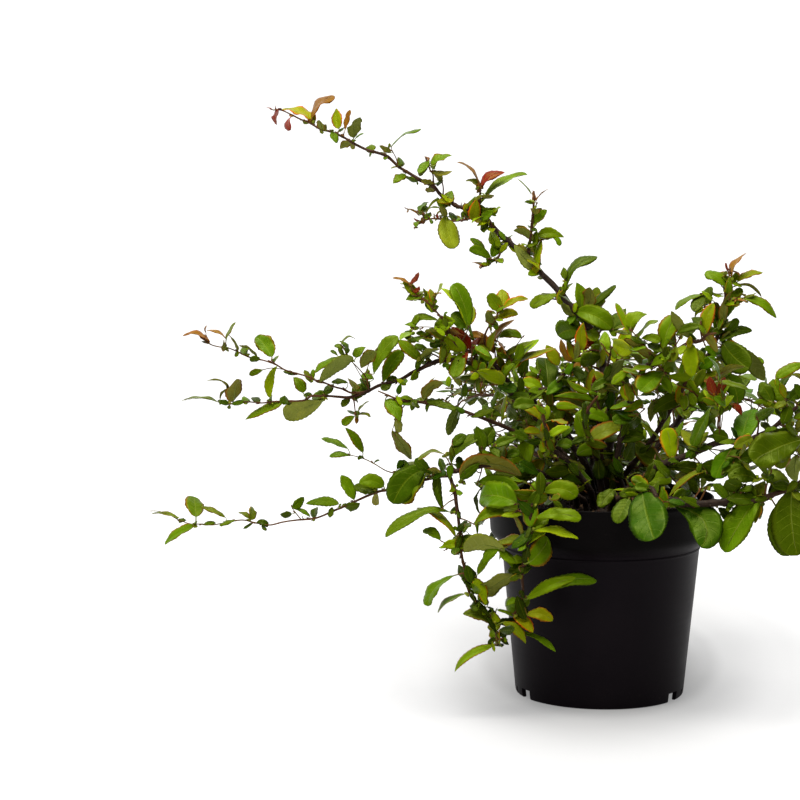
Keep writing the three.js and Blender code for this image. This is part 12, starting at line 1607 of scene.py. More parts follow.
(124.3,-91.9,178.5,124.2,-92,178.7,112.6,-94.4,180.1,100.2,-97.1,180.8,13,0.22,-0.81,0.54,"d"),
(125.2,-91.9,178.6,125,-92,179.5,120.3,-88.6,183.4,120.6,-84.6,190.5,11.4,-0.62,-0.74,0.25,"d"),
(125.9,-92,178.7,125.8,-92,179.5,126.3,-86.1,186.3,131.2,-79.3,192.3,12.5,-0.25,-0.63,0.73,"o"),
(125.7,-92,178.7,125.9,-90.5,177.7,120.4,-90.9,172.9,117.3,-91.8,165.7,8.2,-0.49,-0.76,0.43,"o"),
(125.9,-92,178.7,126.6,-92.9,175.7,124.9,-94,167.7,122.7,-95.4,159.9,6.8,-0.5,-0.83,0.26,"y"),
(127.1,-92,178.9,126.3,-91,177.2,127.5,-91.3,170.5,126.8,-92.2,162.6,6.4,0.82,-0.55,0.15,"d"),
(150.6,-92.8,189.1,151.7,-92.8,187.2,151,-102.2,162.8,154.8,-112.9,138.3,32.7,-0.3,-0.89,0.35,"d"),
(134.3,-92,181.7,139.1,-91.3,174,142.7,-93.3,157.7,149.3,-96.8,134.4,22.8,-0.11,-0.99,0.11,"d"),
(151.5,-92.9,189.7,154,-87.8,187.8,148.7,-87,178.1,141.5,-87.5,170.3,13.4,0.44,-0.83,-0.33,"h"),
(152,-93,190.1,153.2,-93.1,188.1,155.4,-98.1,184,157.9,-103.8,180.1,8.7,0.23,-0.51,0.83,"o"),
(155.9,-93.7,192.7,156.2,-93.7,192.3,160.5,-100.3,189.3,166,-108,188,11.1,-0.83,-0.54,-0.11,"d"),
(166.4,-96.1,202.7,166.8,-96,202.3,176.5,-91.3,197.6,188.3,-85.8,196.4,14.5,0.3,-0.86,-0.41,"d"),
(161.7,-95,198,162.3,-94.9,197.3,171,-97.2,189.4,180.9,-99.8,183.8,13.4,-0.32,-0.94,-0.11,"d"),
(172.7,-97.6,209.1,172.8,-97.6,209,180.4,-96.4,214.5,190.1,-95,218.5,9.7,-0.2,-0.78,0.59,"y"),
(174,-97.9,210.3,174.3,-98,210.7,176.2,-96.1,219.6,175.9,-94,227.8,7.4,0.37,-0.91,0.18,"h"),
(168.4,-96.6,204.7,169.1,-96.5,204,164.9,-93.1,211.5,162.4,-89.1,219,11.1,-0.55,-0.82,0.16,"d"),
(149.7,-92.6,188.6,150.1,-92.7,188,139.2,-87,195.4,129.4,-80.5,200.6,16.5,0,-0.72,0.7,"o"),
(151.2,-92.9,189.6,151.6,-92.9,188.9,143.3,-93.9,191.2,135.7,-95,190.6,9.7,0.17,-0.78,0.6,"d"),
(124.1,-88.2,194.2,124.2,-88.2,194.3,112.6,-89.9,198.4,101.9,-91.9,194.5,15.4,0.15,-0.85,0.5,"d"),
(115.4,-89.2,191,115.5,-89.2,191.1,107.4,-93.8,190.1,99.1,-99,194.7,13.6,0.35,-0.63,-0.7,"d"),
(101.4,-90.7,176.6,101.4,-91,178.3,95.9,-89.2,185.1,89.5,-87.1,190.5,9.3,0.21,-0.85,0.48,"d"),
(111.3,-90.7,179.8,112.4,-91.1,179.2,106.1,-84.1,184.2,98.1,-76.1,185.8,13.9,-0.24,-0.57,0.79,"d"),
(134.6,-92,181.8,134.5,-92,182.1,139.3,-90.7,186.7,145.6,-89.1,189.9,7.8,-0.22,-0.77,0.6,"d"),
(80,-81,185.4,80.2,-81.8,186.4,81.9,-85,191.4,81.8,-89.4,195.7,5.2,0.29,0.78,0.56,"d"),
(79.3,-81.4,184.6,80.5,-80.8,184.9,88.7,-76.7,187.9,96.8,-71.7,189.6,9.4,-0.15,-0.24,0.96,"n"),
(78.7,-81.7,183.7,77.9,-79.8,187.1,77,-77.8,191.1,75.9,-75.1,194.6,3.7,0.66,-0.57,0.49,"n"),
(133.3,-84.1,180,134.1,-83.3,181.2,138.6,-80.9,188.7,142.9,-75.1,194.5,7.4,0.42,-0.88,0.21,"p"),
(149.8,-84.8,186.1,152.1,-85.6,186.1,165,-89.5,188.1,177.4,-94.7,185.4,13.5,0.26,0.68,0.69,"g"),
(106.8,-82.7,193.6,107,-81.2,194,109,-72.3,197,109,-62.6,196.8,10.8,0.15,-0.18,0.97,"g"),
(106.8,-83.4,192.2,109.3,-82.2,194,117,-77.7,201.1,127.5,-74,204.6,11.5,-0.41,-0.32,0.85,"m"),
(106.7,-84.6,189.8,108.5,-80.8,189.9,115.3,-70.8,191.4,121.7,-60.3,190,14.5,-0.04,-0.01,1,"p"),
(67.4,-79.7,177,69.5,-76.6,176.4,75.6,-68.8,176.8,79.9,-60.8,172.6,7.8,0.51,-0.18,0.84,"n"),
(66.8,-79.9,176.8,68.5,-80,175.7,74.4,-80.4,172.8,79.1,-80.5,168.2,6.4,0.54,-0.15,0.83,"g"),
(66.5,-80,176.7,67.2,-78.4,177.5,70.5,-73.7,180.8,71.6,-67.3,182.2,5.5,0.5,-0.54,0.68,"g"),
(83.5,-85,185.9,87.3,-83.3,184.4,94.7,-79.3,182.3,101.7,-76.3,178.1,7.2,0.34,0.08,0.94,"d"),
(36.3,-53.7,172.9,37.3,-53.1,173.6,45.5,-51,176.5,51.8,-46.5,181.1,8.1,0.44,-0.89,-0.14,"n"),
(91.2,-89.2,173.5,92.4,-88.2,173.7,97.9,-83.8,174.5,102.3,-78,175.4,8.6,0.47,-0.61,0.64,"g"),
(90.4,-89.2,173.7,90.5,-87.2,170,91.9,-83.6,164.7,90.6,-80.9,158.9,5.2,1,-0.02,0.01,"n"),
(115.8,-88.6,186.1,116.8,-82.4,184.7,119.3,-72.9,183.7,120.3,-64.7,179.4,9.6,0.45,0.18,0.88,"n"),
(101.1,-87.4,175.2,103.3,-86.1,172.7,110.4,-83.7,165.5,114.9,-78.5,157.5,12.7,0.8,-0.24,0.55,"n"),
(99.8,-88,175.4,103.1,-87,176.7,107.8,-85.5,179.1,113.1,-84,180.3,4.8,-0.42,0.15,0.89,"d"),
(135.1,-89,199.7,134.7,-90.1,201.3,132.7,-93.4,208,131.4,-99.4,212.7,7.2,0.27,0.71,0.65,"p"),
(133.9,-89.7,196.4,133.3,-88.8,197.4,128.3,-85.6,204.4,122.3,-80.7,209.4,9.6,0.41,-0.55,0.73,"p"),
(112.8,-90.6,187,109.8,-92.2,186.3,115,-93.9,187.9,120,-94.6,189.3,6.5,-0.35,-0.74,0.57,"d"),
(74,-86.3,174.8,80.1,-88.8,172.7,71.6,-92.1,176.5,63,-93.6,180.1,9,0.45,-0.64,0.62,"d"),
(64.2,-83.5,174.5,67.5,-87.9,174.7,61.4,-89.6,175.4,55.2,-90.1,176,6.5,0.18,-0.57,0.8,"g"),
(149.8,-92.6,188.6,146.9,-96.1,185.2,151.1,-96.7,190.2,155.2,-96.1,195,6.8,-0.23,-0.95,0.19,"p"),
(62.4,-82.5,174.9,68.5,-86.4,174.3,60.6,-87.5,175.8,52.5,-86.9,177.1,8.1,0.15,-0.64,0.75,"g"),
(124.2,-88.2,194.3,119.9,-91.5,192.8,124.7,-91.3,194.7,129.4,-90.1,196.5,4.9,-0.22,-0.59,0.78,"o"),
(130.4,-92,180.2,132.4,-94,180.6,127,-96.6,180.2,121.5,-98.1,179.7,5.5,0.29,-0.87,0.39,"d"),
(44.9,-67.8,185.1,46.2,-68.5,189.5,44.5,-72.5,182.9,42.6,-74.9,176.1,7,-0.6,-0.64,0.47,"d"),
(133.4,-89.9,195.1,131.7,-93.4,192.3,134.2,-93,196.3,136.6,-91.6,200.1,5.5,-0.44,-0.77,0.46,"d"),
(104.7,-90.8,176.9,109,-93.5,181.1,104.9,-95.4,177.1,100.6,-96.1,173,6.8,-0.27,-0.81,0.53,"g"),
(91.4,-89.2,173.5,93.5,-88.5,171.4,100.7,-87,164.7,107.7,-83.6,157.8,9,0.58,-0.74,0.34,"n"),
(101.2,-87.4,175.1,101.3,-89.9,174.1,101.5,-95,172.3,101.6,-99.2,170.4,4.9,-0.19,-0.37,0.91,"d"),
(128.3,-90.3,179.1,128.4,-89.1,178.1,128.7,-85.2,174.1,128.9,-80.1,169.9,5.4,0.71,-0.49,-0.5,"d")]),
("cane_front_pot2", [(8,-40,137,3.36),(8,-40,161.4,3.36),(10.8,-45.4,169.4,3.08),(17.3,-58,173.9,2.8),(29.9,-78,183.6,2.6),(39.2,-92,187.3,2.4),(43.1,-100,183.7,2.2),(44.6,-103,178.5,1.6)],
[[(17.3,-58,173.9,0.92),(21.2,-59.1,173.9,0.8),(25.9,-60.6,173.9,0.64)],
[(43.6,-101,181.9,0.82),(48.3,-96.1,177.5,0.71),(54.7,-88.7,175.7,0.57)],
[(32.2,-81.5,184.5,0.67),(32.7,-82.4,191,0.58),(34.8,-84.1,198.2,0.46)],
[(25.7,-71.3,180.3,0.73),(22.5,-75.3,186.5,0.63),(20.3,-79.4,192.9,0.51)],
[(39.2,-92,187.3,0.73),(37.8,-94.1,185.7,0.64),(36.2,-95.9,183.7,0.51)]],
[(40,-93.7,186.5,32.8,-94.3,184.3,36.6,-112.6,168.6,42.7,-134,151.4,32.5,-0.33,-0.63,0.7,"g"),
(30.9,-79.5,184,31.5,-80.4,180.7,25.6,-81.7,180.1,19.4,-83.2,182.5,6.7,0.01,-0.58,-0.82,"l"),
(43.7,-101.2,181.6,43.1,-101.2,181.4,46.5,-102.2,178.2,50.2,-103.4,174.6,5.5,0.39,-0.67,0.63,"y"),
(44,-101.7,180.7,43.8,-101.7,180.7,42.2,-102.6,178,43.1,-103.6,174.5,4.4,-0.61,-0.73,0.31,"y"),
(37.5,-89.4,186.6,37.7,-89.4,185.3,31.3,-85,190.6,24.9,-79.9,195.2,11.1,0.01,-0.72,0.7,"m"),
(13.8,-51.3,171.5,10.8,-48.8,179.1,4,-55.2,173.5,-0.6,-62.6,166.9,13.1,0.09,-0.7,0.71,"d"),
(21.4,-64.5,177,22.6,-88.8,177.7,17.5,-96,170.1,13.1,-104.3,160.5,15.2,-0.14,-0.7,0.71,"d"),
(24.9,-70,179.7,26,-70.6,177.5,31.5,-63.7,183.6,36.7,-55.7,190.3,13.2,0.88,-0.41,-0.25,"d"),
(25.3,-60.4,173.9,25.5,-63.6,172.9,25.8,-69.5,171.7,25.9,-75,169.5,5.3,0.8,-0.13,0.58,"g"),
(20.4,-79.3,192.7,22.5,-81.7,194.6,25.8,-86.4,197.9,30.8,-90.3,200.1,6.5,-0.47,0.17,0.86,"p"),
(38.1,-90.4,186.9,42.3,-93.8,186.6,34.5,-94.5,187.9,26.5,-93.6,189,8.5,0.08,-0.81,0.58,"d"),
(27.4,-74,181.6,33,-77.9,183.1,23.9,-79.2,181.4,14.6,-78.6,179.4,9.1,-0.07,-0.86,0.51,"p")]),
("cane_back_left", [(-22,34,137,3.19),(-22,34,161.4,3.19),(-27.4,41.9,170.2,2.79),(-32.7,49.8,179,2.67),(-37,58.4,186.3,2.56),(-42.7,66.7,195.5,2.45),(-48.6,75.6,202.7,2.33),(-56.1,84.1,210.7,2.22),(-64,94.1,218.5,2.11),(-69.1,103.4,224.9,2),(-76.5,114.3,229.1,1.88),(-83.9,123.4,231.2,1.77),(-90.8,132.4,235,1.66),(-95.9,141.4,236.7,1.54),(-101.1,150.8,236.2,1.43),(-107.3,161.4,234.6,1.32),(-112.9,170.5,234,1.2),(-117.6,178.5,232,1.09),(-122.8,185.7,230,0.98),(-126.7,193.2,227.1,0.86),(-130.2,199.7,225.3,0.75),(-133.2,206.3,221.5,0.64)],
[[(-42.7,66.7,195.5,1.22),(-34.6,79.4,209.9,0.98),(-26.5,92,221.1,0.54)],
[(-64,94.1,218.5,1.05),(-78.8,92,229.4,0.84),(-93.5,90,237.3,0.46)],
[(-83.9,123.4,231.2,0.88),(-77.4,141,239.3,0.71),(-70.9,158.7,244.1,0.39)],
[(-101.1,150.8,236.2,0.71),(-121.9,150.2,240.8,0.57),(-142.6,149.6,242.1,0.31)],
[(-117.6,178.5,232,0.55),(-111.5,190.5,234.1,0.44),(-105.4,202.4,234,0.24)],
[(-74.6,148.9,241.4,0.45),(-69.5,150.4,242.2,0.45),(-65.1,151.1,244.4,0.36)],
[(-28.8,89,221.2,0.47),(-29.3,89.7,221.7,0.53),(-29.8,90.5,222,0.42)],
[(-76.7,143,239.8,0.54),(-76.6,145.6,238.5,0.48),(-76.4,147.8,238.1,0.38)],
[(-57.3,85.5,211.8,0.84),(-58.7,88.2,212,0.73),(-59.5,91.7,212.2,0.59)],
[(-105.2,150.7,237.1,0.55),(-106.5,151.8,241,0.55),(-106.8,152.6,245.5,0.44)],
[(-109.6,165.1,234.4,0.69),(-112.4,167.1,239.7,0.6),(-115.3,168.1,243.8,0.48)],
[(-70.3,105.2,225.6,0.86),(-66.8,116.7,224.4,0.75),(-65.4,125.4,225.7,0.6)],
[(-126,150.1,241.1,0.42),(-127,150.9,245.6,0.62),(-127.5,151.9,249.5,0.5)],
[(-66.6,98.7,221.7,0.77),(-61.4,102.4,228.8,0.67),(-56.6,106.5,235,0.54)],
[(-46.5,72.7,200.2,0.66),(-49.3,81.4,200.5,0.58),(-50.8,88.6,201,0.46)],
[(-112.5,188.5,233.7,0.36),(-108.8,187.4,236.6,0.52),(-106.4,187.9,240,0.42)],
[(-78.7,137.5,237.7,0.59),(-80.7,140.3,237.4,0.57),(-82.2,143.3,237.1,0.45)],
[(-68.2,101.9,223.8,0.78),(-70,102,224.3,0.67),(-71.8,102,224.9,0.54)],
[(-30.6,86.2,218.7,0.55),(-30.1,85.9,220.3,0.52),(-29.4,85.6,221.8,0.41)],
[(-94.8,139.6,236.4,0.64),(-95.3,142.6,243.7,0.55),(-95.5,144.4,251,0.44)],
[(-89.4,130.6,234.3,0.75),(-91.8,138,230.8,0.65),(-96,145.7,226.7,0.52)],
[(-130.2,199.7,225.3,0.6),(-133.6,201.8,222,0.56),(-137.2,202.7,219.4,0.45)],
[(-110.5,192.5,234.1,0.32),(-106.1,191.3,235.6,0.5),(-100.9,191.8,236.9,0.4)],
[(-106.4,200.4,234,0.22),(-108.6,204.2,235.6,0.47),(-110.7,207.5,237,0.37)],
[(-115.5,182.5,232.7,0.41),(-117.3,184.3,237.7,0.61),(-118.4,185.8,243,0.49)],
[(-70.6,93.2,223.4,0.62),(-70.8,92.2,225.3,0.54),(-71.3,91,227.1,0.43)],
[(-130.2,150,241.4,0.38),(-133.7,152.7,238.1,0.51),(-137.1,155.5,235.7,0.41)],
[(-71.7,156.7,243.6,0.34),(-70.5,157.5,248.3,0.45),(-68.2,158,252.8,0.36)],
[(-74,110.7,227.7,0.84),(-78.4,111.4,227.4,0.73),(-82.4,112.9,227,0.58)],
[(-73.1,152.8,242.5,0.4),(-75.4,155.2,245.7,0.5),(-79.1,158.1,249.7,0.4)],
[(-38.8,61.3,189.3,0.71),(-41.7,61.2,191.4,0.62),(-44.8,60.4,193.6,0.5)],
[(-82,128.7,233.7,0.59),(-80.9,128.7,235.5,0.52),(-79.8,129,237.6,0.41)],
[(-79.5,118,230,0.85),(-80.7,118.8,229.3,0.74),(-81.9,119.6,228.6,0.59)],
[(-32.7,49.8,179,0.64),(-36.1,47.6,183.4,0.55),(-39,45.3,188.6,0.44)],
[(-86.7,127,232.8,0.87),(-84.9,130.6,240.2,0.76),(-82.8,135.2,248.4,0.61)],
[(-60.7,89.8,215.2,0.9),(-67.4,89.8,222.4,0.78),(-72.1,86.7,228,0.62)]],
[(-28.3,43.9,171.7,-25.2,48.1,173.4,-19.1,56.7,177.3,-12,66.7,174,8.5,-0.14,-0.2,0.97,"d"),
(-32.1,49.9,178,-37,53.4,178.6,-49.4,54.3,182.2,-62.9,53.3,178.4,12.1,0.14,-0.18,0.97,"m"),
(-36.9,57.5,185.9,-35.4,74,189.3,-33.7,78.4,201.5,-26.6,79.5,212.6,9.7,-0.91,-0.3,0.3,"l"),
(-40.8,63.7,192.3,-42.1,70.6,190.4,-44.7,80.2,188.1,-46.8,88.9,183.6,8,-0.24,0.28,0.93,"y"),
(-46.2,71.2,199.2,-48.6,67.7,202.7,-55.6,63.7,211.7,-66.6,59.3,216.5,9.3,0.56,0.13,0.82,"d"),
(-51.9,78.5,205.4,-49.7,81.6,209,-45.2,89.1,219.6,-39,100.7,225.5,13.6,-0.25,-0.64,0.73,"d"),
(-57.6,85.8,211.6,-62.9,86.9,209.7,-73.1,89.2,206.9,-80.2,91.5,196.3,8.2,-0.38,-0.02,0.93,"d"),
(-62.4,92,216.8,-62.8,91,222.5,-63.2,89.6,236.5,-67.7,80.4,248.8,12.1,0.46,0.87,0.18,"m"),
(-67.9,101.2,223.4,-65.2,105.5,223.2,-56.3,119.8,224.7,-47,133.5,217.3,16.4,-0.04,0.08,1,"d"),
(-72.3,108.2,226.8,-76,108,227.9,-89.4,107.4,233.5,-104.8,106.6,232.7,11.6,0.3,0.02,0.95,"d"),
(-79.9,118.3,230,-79.5,121.1,234.2,-78.8,125.9,243.9,-77.9,134.2,251.4,8.5,-0.02,-0.84,0.54,"m"),
(-86,126.4,233.1,-88,129.5,230.1,-94.2,139.7,223.9,-97.2,147,211.5,10.5,-0.43,0.4,0.81,"l"),
(-91.4,133.6,235.1,-93.6,133.8,237.9,-98.3,134,245.2,-105.4,135.1,250.5,7.8,0.73,-0.28,0.62,"d"),
(-98.1,145.5,235.8,-96.2,148.1,237.5,-88,159.1,243.8,-78,173.1,238.7,14.6,-0.16,-0.25,0.95,"d"),
(-102.9,153.7,235.8,-107.5,154.2,233.6,-122.7,155.5,229.3,-132.9,157.7,214.2,14.7,-0.42,-0.07,0.91,"d"),
(-109.4,164.8,234.6,-110.3,166.6,237.9,-112.2,170.2,245.7,-114,177.3,251.7,6.8,-0.05,-0.89,0.46,"m"),
(-115.4,174.3,233,-113.2,177.8,230.1,-108.8,185.5,224.8,-105.4,188.7,213.8,9.1,0.15,0.6,0.78,"d"),
(-122.6,185.4,230.1,-126.5,185.9,231,-139.9,186.8,236.6,-154.9,188.9,235,11.7,0.22,-0.17,0.96,"d"),
(-128.4,196.8,225.4,-127.3,200.4,228.6,-124.3,208,236.2,-119,219.5,237.2,8.6,-0.29,-0.49,0.82,"d"),
(-132.9,205.7,221.8,-134.3,205.8,218.2,-139.4,206.9,205.4,-143.6,204.2,192.2,11.3,-0.21,0.97,0.09,"d"),
(-39.6,72.2,201.7,-41.6,68.9,206.9,-45.5,68,219.2,-54.2,66.1,229.2,9.8,0.92,0.01,0.39,"l"),
(-36.1,77.2,207.4,-33.6,76.1,210.2,-27.2,75.9,213.6,-19.5,75.5,214.4,6,-0.42,0.02,0.91,"d"),
(-33,81.8,212.1,-35.4,83.5,214.1,-41.8,95.5,216.3,-48.9,107.5,215,11,0.18,0,0.98,"l"),
(-29.5,86.5,219.2,-29.9,85.6,222.8,-30,83.5,232.4,-27.5,77.1,240.4,8.4,-0.48,0.82,0.31,"m"),
(-71.2,93.2,223.9,-75.7,95,223.1,-82.6,98,222.5,-88.8,100.7,217.3,6.2,-0.14,0.06,0.99,"l"),
(-78.2,92.1,229,-78.4,89.7,231.3,-78.9,81.8,241,-80,69.3,245.8,10.5,0.1,0.67,0.74,"m"),
(-86.3,91,233.5,-87.1,92.5,235.2,-89.7,97.9,241.9,-93.2,105,246.8,8.2,0.32,-0.64,0.7,"d"),
(-81,131,235.2,-81.8,134.1,233.8,-83.7,142.5,231.8,-86.6,148.8,224.7,8.2,0.18,0.37,0.91,"m"),
(-78,139.5,238.7,-78.3,140.4,242.6,-77.9,141.7,253.5,-82,147.3,263.2,8.4,0.71,-0.67,0.21,"m"),
(-74.7,148.4,241.3,-71.1,149.7,241.2,-60.6,153.3,242.4,-50.3,157.2,238.9,11,0.06,-0.07,1,"m"),
(-71.9,156.1,243.4,-74.8,158.8,244.4,-83.5,167,249.2,-93.1,176,249.5,10.3,0.2,-0.16,0.97,"l"),
(-109.9,150.3,238.2,-111,151.9,241.2,-113.9,155.5,252.3,-120.7,162.6,260.4,10.5,0.64,-0.58,0.49,"b"),
(-117.9,150.2,239.9,-121.1,150.9,237.4,-128.4,152.2,233,-132,152.6,223.8,7.4,-0.6,0.15,0.79,"m"),
(-127.6,150,241.2,-128.7,147.8,244.1,-131.2,142.3,252.4,-135,134.2,258.4,9.4,0.34,0.69,0.64,"m"),
(-136.2,149.8,241.7,-138.3,152.3,242.9,-144.6,160,246.8,-151.4,168.8,247,8.4,0.13,-0.32,0.94,"m"),
(-113.6,186.5,233.4,-114.3,188.6,232.8,-118.4,200.4,231,-123.4,209.3,220.5,10.9,0.11,0.32,0.94,"d"),
(-110.1,193.1,234.1,-109.5,194.2,236.6,-107.8,197.6,247.1,-101.9,206,254.3,9.9,-0.57,-0.69,0.44,"d"),
(-105.9,201.4,234,-103.4,201.3,232.6,-92.3,200.6,226.6,-83.5,199.4,216.8,11.6,0.51,0.11,0.85,"d"),
(-65.3,151,244.3,-62,151.4,241.4,-56.7,151.3,237.5,-53,152.3,232.2,6.5,0.69,-0.13,0.72,"h"),
(-66,150.9,244.1,-66.1,154.1,246.8,-65.2,157.8,250.3,-66.5,161.8,253.3,4.9,0.84,-0.34,0.43,"m"),
(-66.9,150.7,243.8,-62.9,149.5,244.7,-56.9,147.5,246.5,-50.6,145.8,247.3,7.2,-0.17,0.17,0.97,"m"),
(-29.7,90.5,222,-31,90.2,223,-37.3,90,229,-44.4,86,232.4,9.1,0.42,0.53,0.74,"p"),
(-29.6,90.5,221.8,-29,91.4,221,-27,95.8,218.1,-25.3,99.8,214.5,6.3,-0.12,0.62,0.77,"g"),
(-76.4,147.4,238.2,-75.9,147.7,236.2,-72.4,149.3,227.3,-71.8,149.4,217.6,11.7,0.87,0.41,0.28,"m"),
(-76.4,147.1,238.4,-77.5,149.2,238.2,-82.6,157.6,238.8,-86.2,166.5,236.4,10.5,0.05,0.08,1,"m"),
(-76.5,146.8,238.5,-73,149.3,238,-65.7,155.3,237.4,-57.8,160.5,235.7,8.6,-0.56,0.8,0.23,"o"),
(-59.5,91.6,212.2,-58.9,92.6,215.6,-58.6,94.3,223,-56,96.5,229.9,6.5,-0.97,0.24,0.11,"d"),
(-59.2,90.8,212.1,-60.7,90.8,212.6,-68.1,91.1,215.4,-76,90.9,216.7,7.6,0.24,0.51,0.82,"o"),
(-59.1,90.4,212,-58.6,91.8,212.5,-56.9,96.9,214.6,-55.4,102.4,215.1,6.3,-0.19,-0.18,0.97,"g"),
(-106.7,152.4,244.7,-107,151.3,248.7,-107.1,149.3,256.9,-108.6,146.5,264.7,7.5,0.67,0.69,0.26,"h"),
(-106.5,152.2,244,-105,155.5,244.9,-103.1,160.1,246.8,-100.4,164.8,247.3,5.3,-0.12,-0.22,0.97,"m"),
(-114.6,167.8,242.8,-112.9,167.5,246.8,-110.5,166.8,253.4,-106.9,166.4,259.6,7.2,-0.92,-0.05,0.39,"m"),
(-114.3,167.6,242.2,-116.2,169.9,243.2,-119.4,173.1,245,-122.1,177.2,246,5.2,-0.1,-0.47,0.88,"d"),
(-114,167.4,241.7,-115.7,164.6,243,-117.5,160.7,244.9,-120.2,156.9,246.1,4.6,0.39,0.17,0.91,"o"),
(-65.4,125.2,225.6,-66.1,127.6,225,-67.6,137.8,223.8,-71.9,145.8,218.3,10.1,0.21,0.35,0.91,"d"),
(-65.7,123.5,225.4,-64.8,125.3,227,-61,130.4,233.1,-57.3,137.7,236.3,7.6,-0.49,-0.33,0.81,"h"),
(-66,121.7,225.1,-65.6,122.3,223.9,-61.4,126,217.3,-59.4,127.3,208.9,7.4,0.82,0.33,0.48,"g"),
(-127.5,151.9,249.3,-125.6,150.5,252.1,-118.7,146.7,263,-110.9,139.9,271.6,14,-0.79,0.08,0.61,"m"),
(-127.4,151.8,248.7,-127.7,153.5,248.8,-128.9,167.1,252.1,-132.2,180.6,249.4,13.1,-0.05,-0.05,1,"o"),
(-56.8,106.4,234.8,-54.6,106.1,237.4,-50.2,105.5,243.5,-44.8,104.3,248.7,6.6,-0.75,0.13,0.65,"m"),
(-57.3,106,234.1,-55.9,108,233.4,-51.1,114.1,231.9,-47.5,120.3,228.7,6.4,0.24,0.18,0.95,"d"),
(-58,105.4,233.2,-59.5,105.6,235.4,-62.5,106.4,241.8,-67.9,105.8,246.7,7.4,0.65,0.63,0.41,"o"),
(-58.7,104.9,232.2,-54.6,105.2,234.1,-48.6,105.1,237.6,-41.9,106.5,239.4,5.8,-0.36,-0.37,0.86,"o"),
(-50.6,87.9,201,-49.9,90.4,200.3,-45.3,100.7,196.1,-38,107.9,189.6,9.5,-0.24,0.61,0.76,"m"),
(-49.9,84.6,200.8,-50.8,85.5,199.6,-52.3,91.2,191.6,-51.2,94.1,181.8,11.6,-0.18,0.86,0.47,"p"),
(-106.4,187.8,239.9,-105.3,187.5,243.8,-100.6,186.4,253,-100.4,186.1,263.6,10.8,0.86,-0.43,-0.28,"m"),
(-81.8,142.5,237.2,-85.5,143.7,235.9,-91.4,145.2,234.7,-96.7,147,232,5.3,-0.09,0.56,0.82,"p"),
(-71.6,102,224.8,-72.8,102.2,226.1,-76.2,102.4,231.2,-81.1,103.3,234.8,5.5,0.43,-0.77,0.47,"p"),
(-71.3,102,224.7,-73.9,103.7,223.1,-79,106.6,220.6,-83,110.2,217,7.7,-0.65,-0.31,0.7,"h"),
(-29.4,85.7,221.6,-27.3,83.2,223.9,-24.4,79.7,228.8,-20.2,75.3,231.4,8,-0.43,0.39,0.82,"d"),
(-29.4,85.7,221.4,-27.8,89,223.5,-24.5,93.7,227.8,-22.4,100.4,229.8,7,0.2,-0.58,0.79,"p"),
(-95.4,144.1,250,-96.3,146.7,252.4,-97.3,152.1,258.2,-100.1,158.3,262.3,8.1,0.18,-0.62,0.76,"o"),
(-95.4,143.8,249,-96.2,143,252.6,-99.2,142,262.3,-100.9,138.1,271.6,9.6,0.37,0.89,0.28,"m"),
(-95.4,143.5,247.9,-94.3,144.4,248.9,-88.3,150,255.2,-81.8,156.1,260.3,8.9,-0.32,-0.48,0.82,"l"),
(-94.8,142.9,228.1,-94,144.9,227.2,-90.8,153,225.3,-87.7,159.7,220,9.5,-0.28,0.49,0.82,"p"),
(-94.5,142.2,228.5,-97,141.3,225.7,-101.9,140.3,221.2,-105.6,138.1,216,6.5,-0.67,0.61,0.42,"d"),
(-136.7,202.5,219.7,-136.6,204.5,219.3,-137,211.3,218.4,-135.8,217.7,216.1,6.5,-0.68,0.21,0.7,"d"),
(-135.6,202,220.4,-139.5,203.8,221.2,-145,206.6,222.9,-151,208.9,222.8,5.8,0.02,-0.29,0.96,"l"),
(-101.5,191.8,236.7,-100.1,190.1,236.4,-92.7,181.4,236.1,-86.3,172.4,233,9.2,0.4,0.17,0.9,"d"),
(-102,191.9,236.5,-99.8,194,235.9,-90.9,204,235.2,-81.3,212.3,230.4,13.5,0.37,-0.1,0.93,"h"),
(-103.1,191.9,236.2,-101.2,190.7,233.1,-96,187.5,225.2,-92,184.3,216.5,9.9,0.79,-0.25,0.56,"h"),
(-110.6,207.3,237,-110.3,207.4,239.2,-107.3,209.2,254.3,-103.9,206.2,269.2,12.5,-0.44,0.89,0.1,"l"),
(-110.2,206.7,236.7,-113.7,205.9,237.8,-125.7,204.4,242,-137.7,200.6,244.7,13.1,0.25,0.22,0.94,"m"),
(-118.3,185.7,242.7,-120.2,182.2,244.2,-123.6,174.3,248.4,-128.1,165.7,249.1,11.2,-0.02,0.33,0.94,"m"),
(-118.1,185.5,242,-121.6,186.9,242.9,-130.3,190.9,246.2,-139.9,194,247.1,10.5,0.22,-0.09,0.97,"m"),
(-118,185.3,241.5,-117.7,184.5,245,-117.9,182.2,254.6,-115.9,179.5,263.8,7.9,-0.56,0.79,0.24,"m"),
(-117.7,185,240.6,-119.6,184.8,242.6,-123.5,185,247.9,-129.3,186.5,251.5,5.6,0.67,-0.29,0.68,"m"),
(-71.2,91.3,226.6,-68.7,88.9,227.2,-60.2,79.1,232.5,-49.6,69.8,232,14.9,-0.33,-0.08,0.94,"g"),
(-71.1,91.5,226.3,-72.3,93.7,228.9,-75.3,98.9,236.6,-78.7,106.2,242.2,8.7,0.07,-0.74,0.67,"m"),
(-137,155.4,235.8,-138.3,154,234.1,-142.3,150.7,229.9,-144.3,145.9,225.6,7,-0.87,0.17,0.46,"o"),
(-68.3,158,252.6,-66.9,157.7,253.3,-56.7,154.6,259.7,-44.8,152.2,262.1,15,-0.41,-0.15,0.9,"l"),
(-68.9,157.8,251.1,-69.5,155,252.2,-70.5,148.9,254.8,-72.5,142.7,256.6,6.8,0.3,0.29,0.91,"m"),
